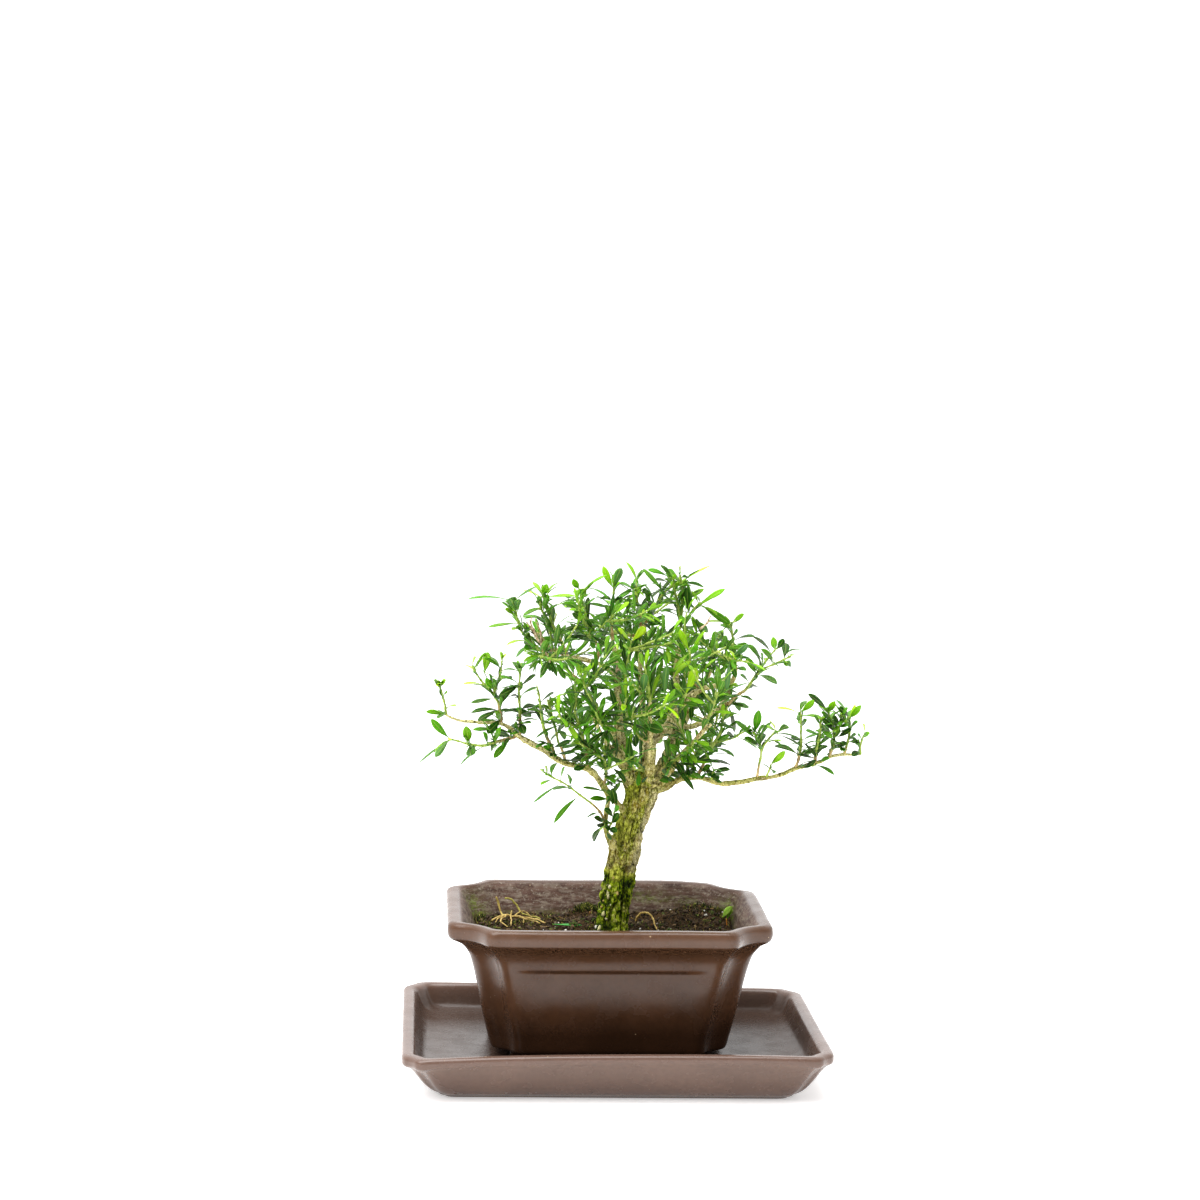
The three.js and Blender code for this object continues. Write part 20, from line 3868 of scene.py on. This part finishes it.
sh.piece("seedling_leaf", [mat_leaf, mat_under, mat_stalk], "seedling", ["seedling"])
ROOTLETS = {
    "dry_rootlet_1": [
        [[-57.9, 28, 65.4], [-54.5, 29.3, 67.2], [-51.1, 30, 67.8], [-47.6, 30.4, 67.5], [-44.7, 30, 67.1], [-41.5, 29.6, 67.0], [-38.9, 29, 66.6], [-35.0, 25.6, 66.6], [-32, 22, 65.6]],
        [[-48.4, 31.5, 69.9], [-48.7, 29.9, 67.5], [-48.4, 23.0, 67.2], [-48.8, 16, 65.6]],
        [[-52.0, 29.8, 67.7], [-54.8, 26.4, 66.9], [-56.4, 23.5, 65.6]],
        [[-43.6, 29.9, 67.0], [-42.2, 26.4, 66.8], [-42.6, 23.4, 65.8]],
        [[-47.6, 30.2, 67.5], [-45, 27, 68.2], [-41, 24.5, 67.2], [-37.5, 25.5, 66.2], [-34.5, 22, 65.6]],
        [[-50.8, 29.8, 67.8], [-53.2, 25, 67.4], [-53.6, 19, 66.6], [-50.6, 14, 65.6]],
        [[-46.5, 30.1, 67.4], [-43.5, 33, 69.4], [-40.5, 34.5, 68.4], [-38, 33, 66.0]]],
    "dry_rootlet_2": [[[-55.5, 42.5, 74.6], [-54.7, 42.1, 72.6], [-54.2, 41.5, 70.6], [-53.2, 39.5, 67.6], [-52.2, 36.5, 65.2]]],
    "dry_rootlet_3": [[[-51.2, 45.5, 73.5], [-49.2, 45.4, 73.4], [-47.6, 45, 72.7], [-45.6, 44, 70.4], [-44.6, 43, 69], [-41.4, 40.5, 66.3], [-33, 35, 65.4]]],
    "arching_rootlet": [[[13, 27, 66.2], [14.6, 23.5, 70.4], [16.6, 21.9, 71.5], [18.6, 20.5, 71.6], [20.4, 18.5, 70.1], [21.4, 14, 68.2], [22, 9, 65.8]]],
}
SHADES = {"dry_rootlet_1": (1.0, 0.95, 0.8), "dry_rootlet_2": (0.95, 0.95, 0.62), "dry_rootlet_3": (0.62, 0.72, 0.36), "arching_rootlet": (1.08, 1.0, 0.72)}
for name, parts in ROOTLETS.items():
    sh = Shape(["shade"])
    for number, p in enumerate(parts):
        c = spline(np.array(p), 0.6)
        c = c + 0.34 * np.column_stack([noise(c, 0.5, 61), noise(c, 0.5, 62), noise(c, 0.5, 63)])
        u = np.linspace(0, 1, len(c))
        rad = (0.58 - 0.22 * u) * (1.0 if number == 0 else 0.72) * (1 + 0.25 * noise(c, 0.9, 64))
        v, f, _, _ = sweep(c, rad, 8)
        sh.add(v, f, 0, shade=np.array(SHADES[name]))
    sh.piece("look_" + name, [mat_root], "dry_root", [name])

# ------------------------------------------------------- floor, light, camera
me = bpy.data.meshes.new("floor")
s = 6.0
me.from_pydata([(-s, -s, 0), (s, -s, 0), (s, s, 0), (-s, s, 0)], [], [[0, 1, 2, 3]])
me.materials.append(floor_material())
floor = bpy.data.objects.new("floor", me)
bpy.context.scene.collection.objects.link(floor)

world = bpy.data.worlds.new("studio")
bpy.context.scene.world = world
world.use_nodes = True
nt = world.node_tree
bg = nt.nodes["Background"]
co_ = nt.nodes.new("ShaderNodeTexCoord")
sep = nt.nodes.new("ShaderNodeSeparateXYZ")
dim = nt.nodes.new("ShaderNodeMapRange")
dim.interpolation_type = "SMOOTHSTEP"
for key, value in ((1, -0.7), (2, 0.5), (3, 0.33), (4, 1.6)):
    dim.inputs[key].default_value = value
nt.links.new(co_.outputs["Generated"], sep.inputs[0])
nt.links.new(sep.outputs[1], dim.inputs[0])
nt.links.new(dim.outputs[0], bg.inputs[1])
bg.inputs[0].default_value = (1.0, 1.0, 1.0, 1.0)


def softbox(name, at, aim, size, watts, color=(1, 1, 1)):
    l = bpy.data.lights.new(name, "AREA")
    l.shape = "RECTANGLE"
    l.size, l.size_y = size
    l.energy = watts
    l.color = color
    o = bpy.data.objects.new(name, l)
    o.location = at
    o.rotation_mode = "QUATERNION"
    o.rotation_quaternion = (Vector(aim) - Vector(at)).to_track_quat("-Z", "Y")
    bpy.context.scene.collection.objects.link(o)


softbox("top", (-0.25, -0.15, 1.5), (0, 0, 0.1), (1.3, 1.3), 34)
softbox("key", (-0.95, -0.85, 1.2), (0, 0, 0.12), (0.6, 0.6), 12)

cam = bpy.data.cameras.new("camera")
cam.lens = 36.0 * 3250.02 / 1200.0
cam.sensor_width = 36.0
cam.clip_start, cam.clip_end = 0.01, 50.0
co = bpy.data.objects.new("camera", cam)
bpy.context.scene.collection.objects.link(co)
yaw, pitch, roll = 0.0556722, 0.103106, 0.0197216
fwd = Vector((math.sin(yaw) * math.cos(pitch), math.cos(yaw) * math.cos(pitch), -math.sin(pitch)))
right = Vector((math.cos(yaw), -math.sin(yaw), 0))
up = right.cross(fwd)
rr = math.cos(roll) * right + math.sin(roll) * up
uu = -math.sin(roll) * right + math.cos(roll) * up
m = Matrix((rr, uu, -fwd)).transposed().to_4x4()
m.translation = Vector((-95.6399 - SHIFT_X, -1550.1, 388.871)) * 0.001
co.matrix_world = m
bpy.context.scene.camera = co
bpy.context.scene.view_settings.view_transform = "Standard"
bpy.context.scene.view_settings.look = "None"

bpy.context.view_layer.update()
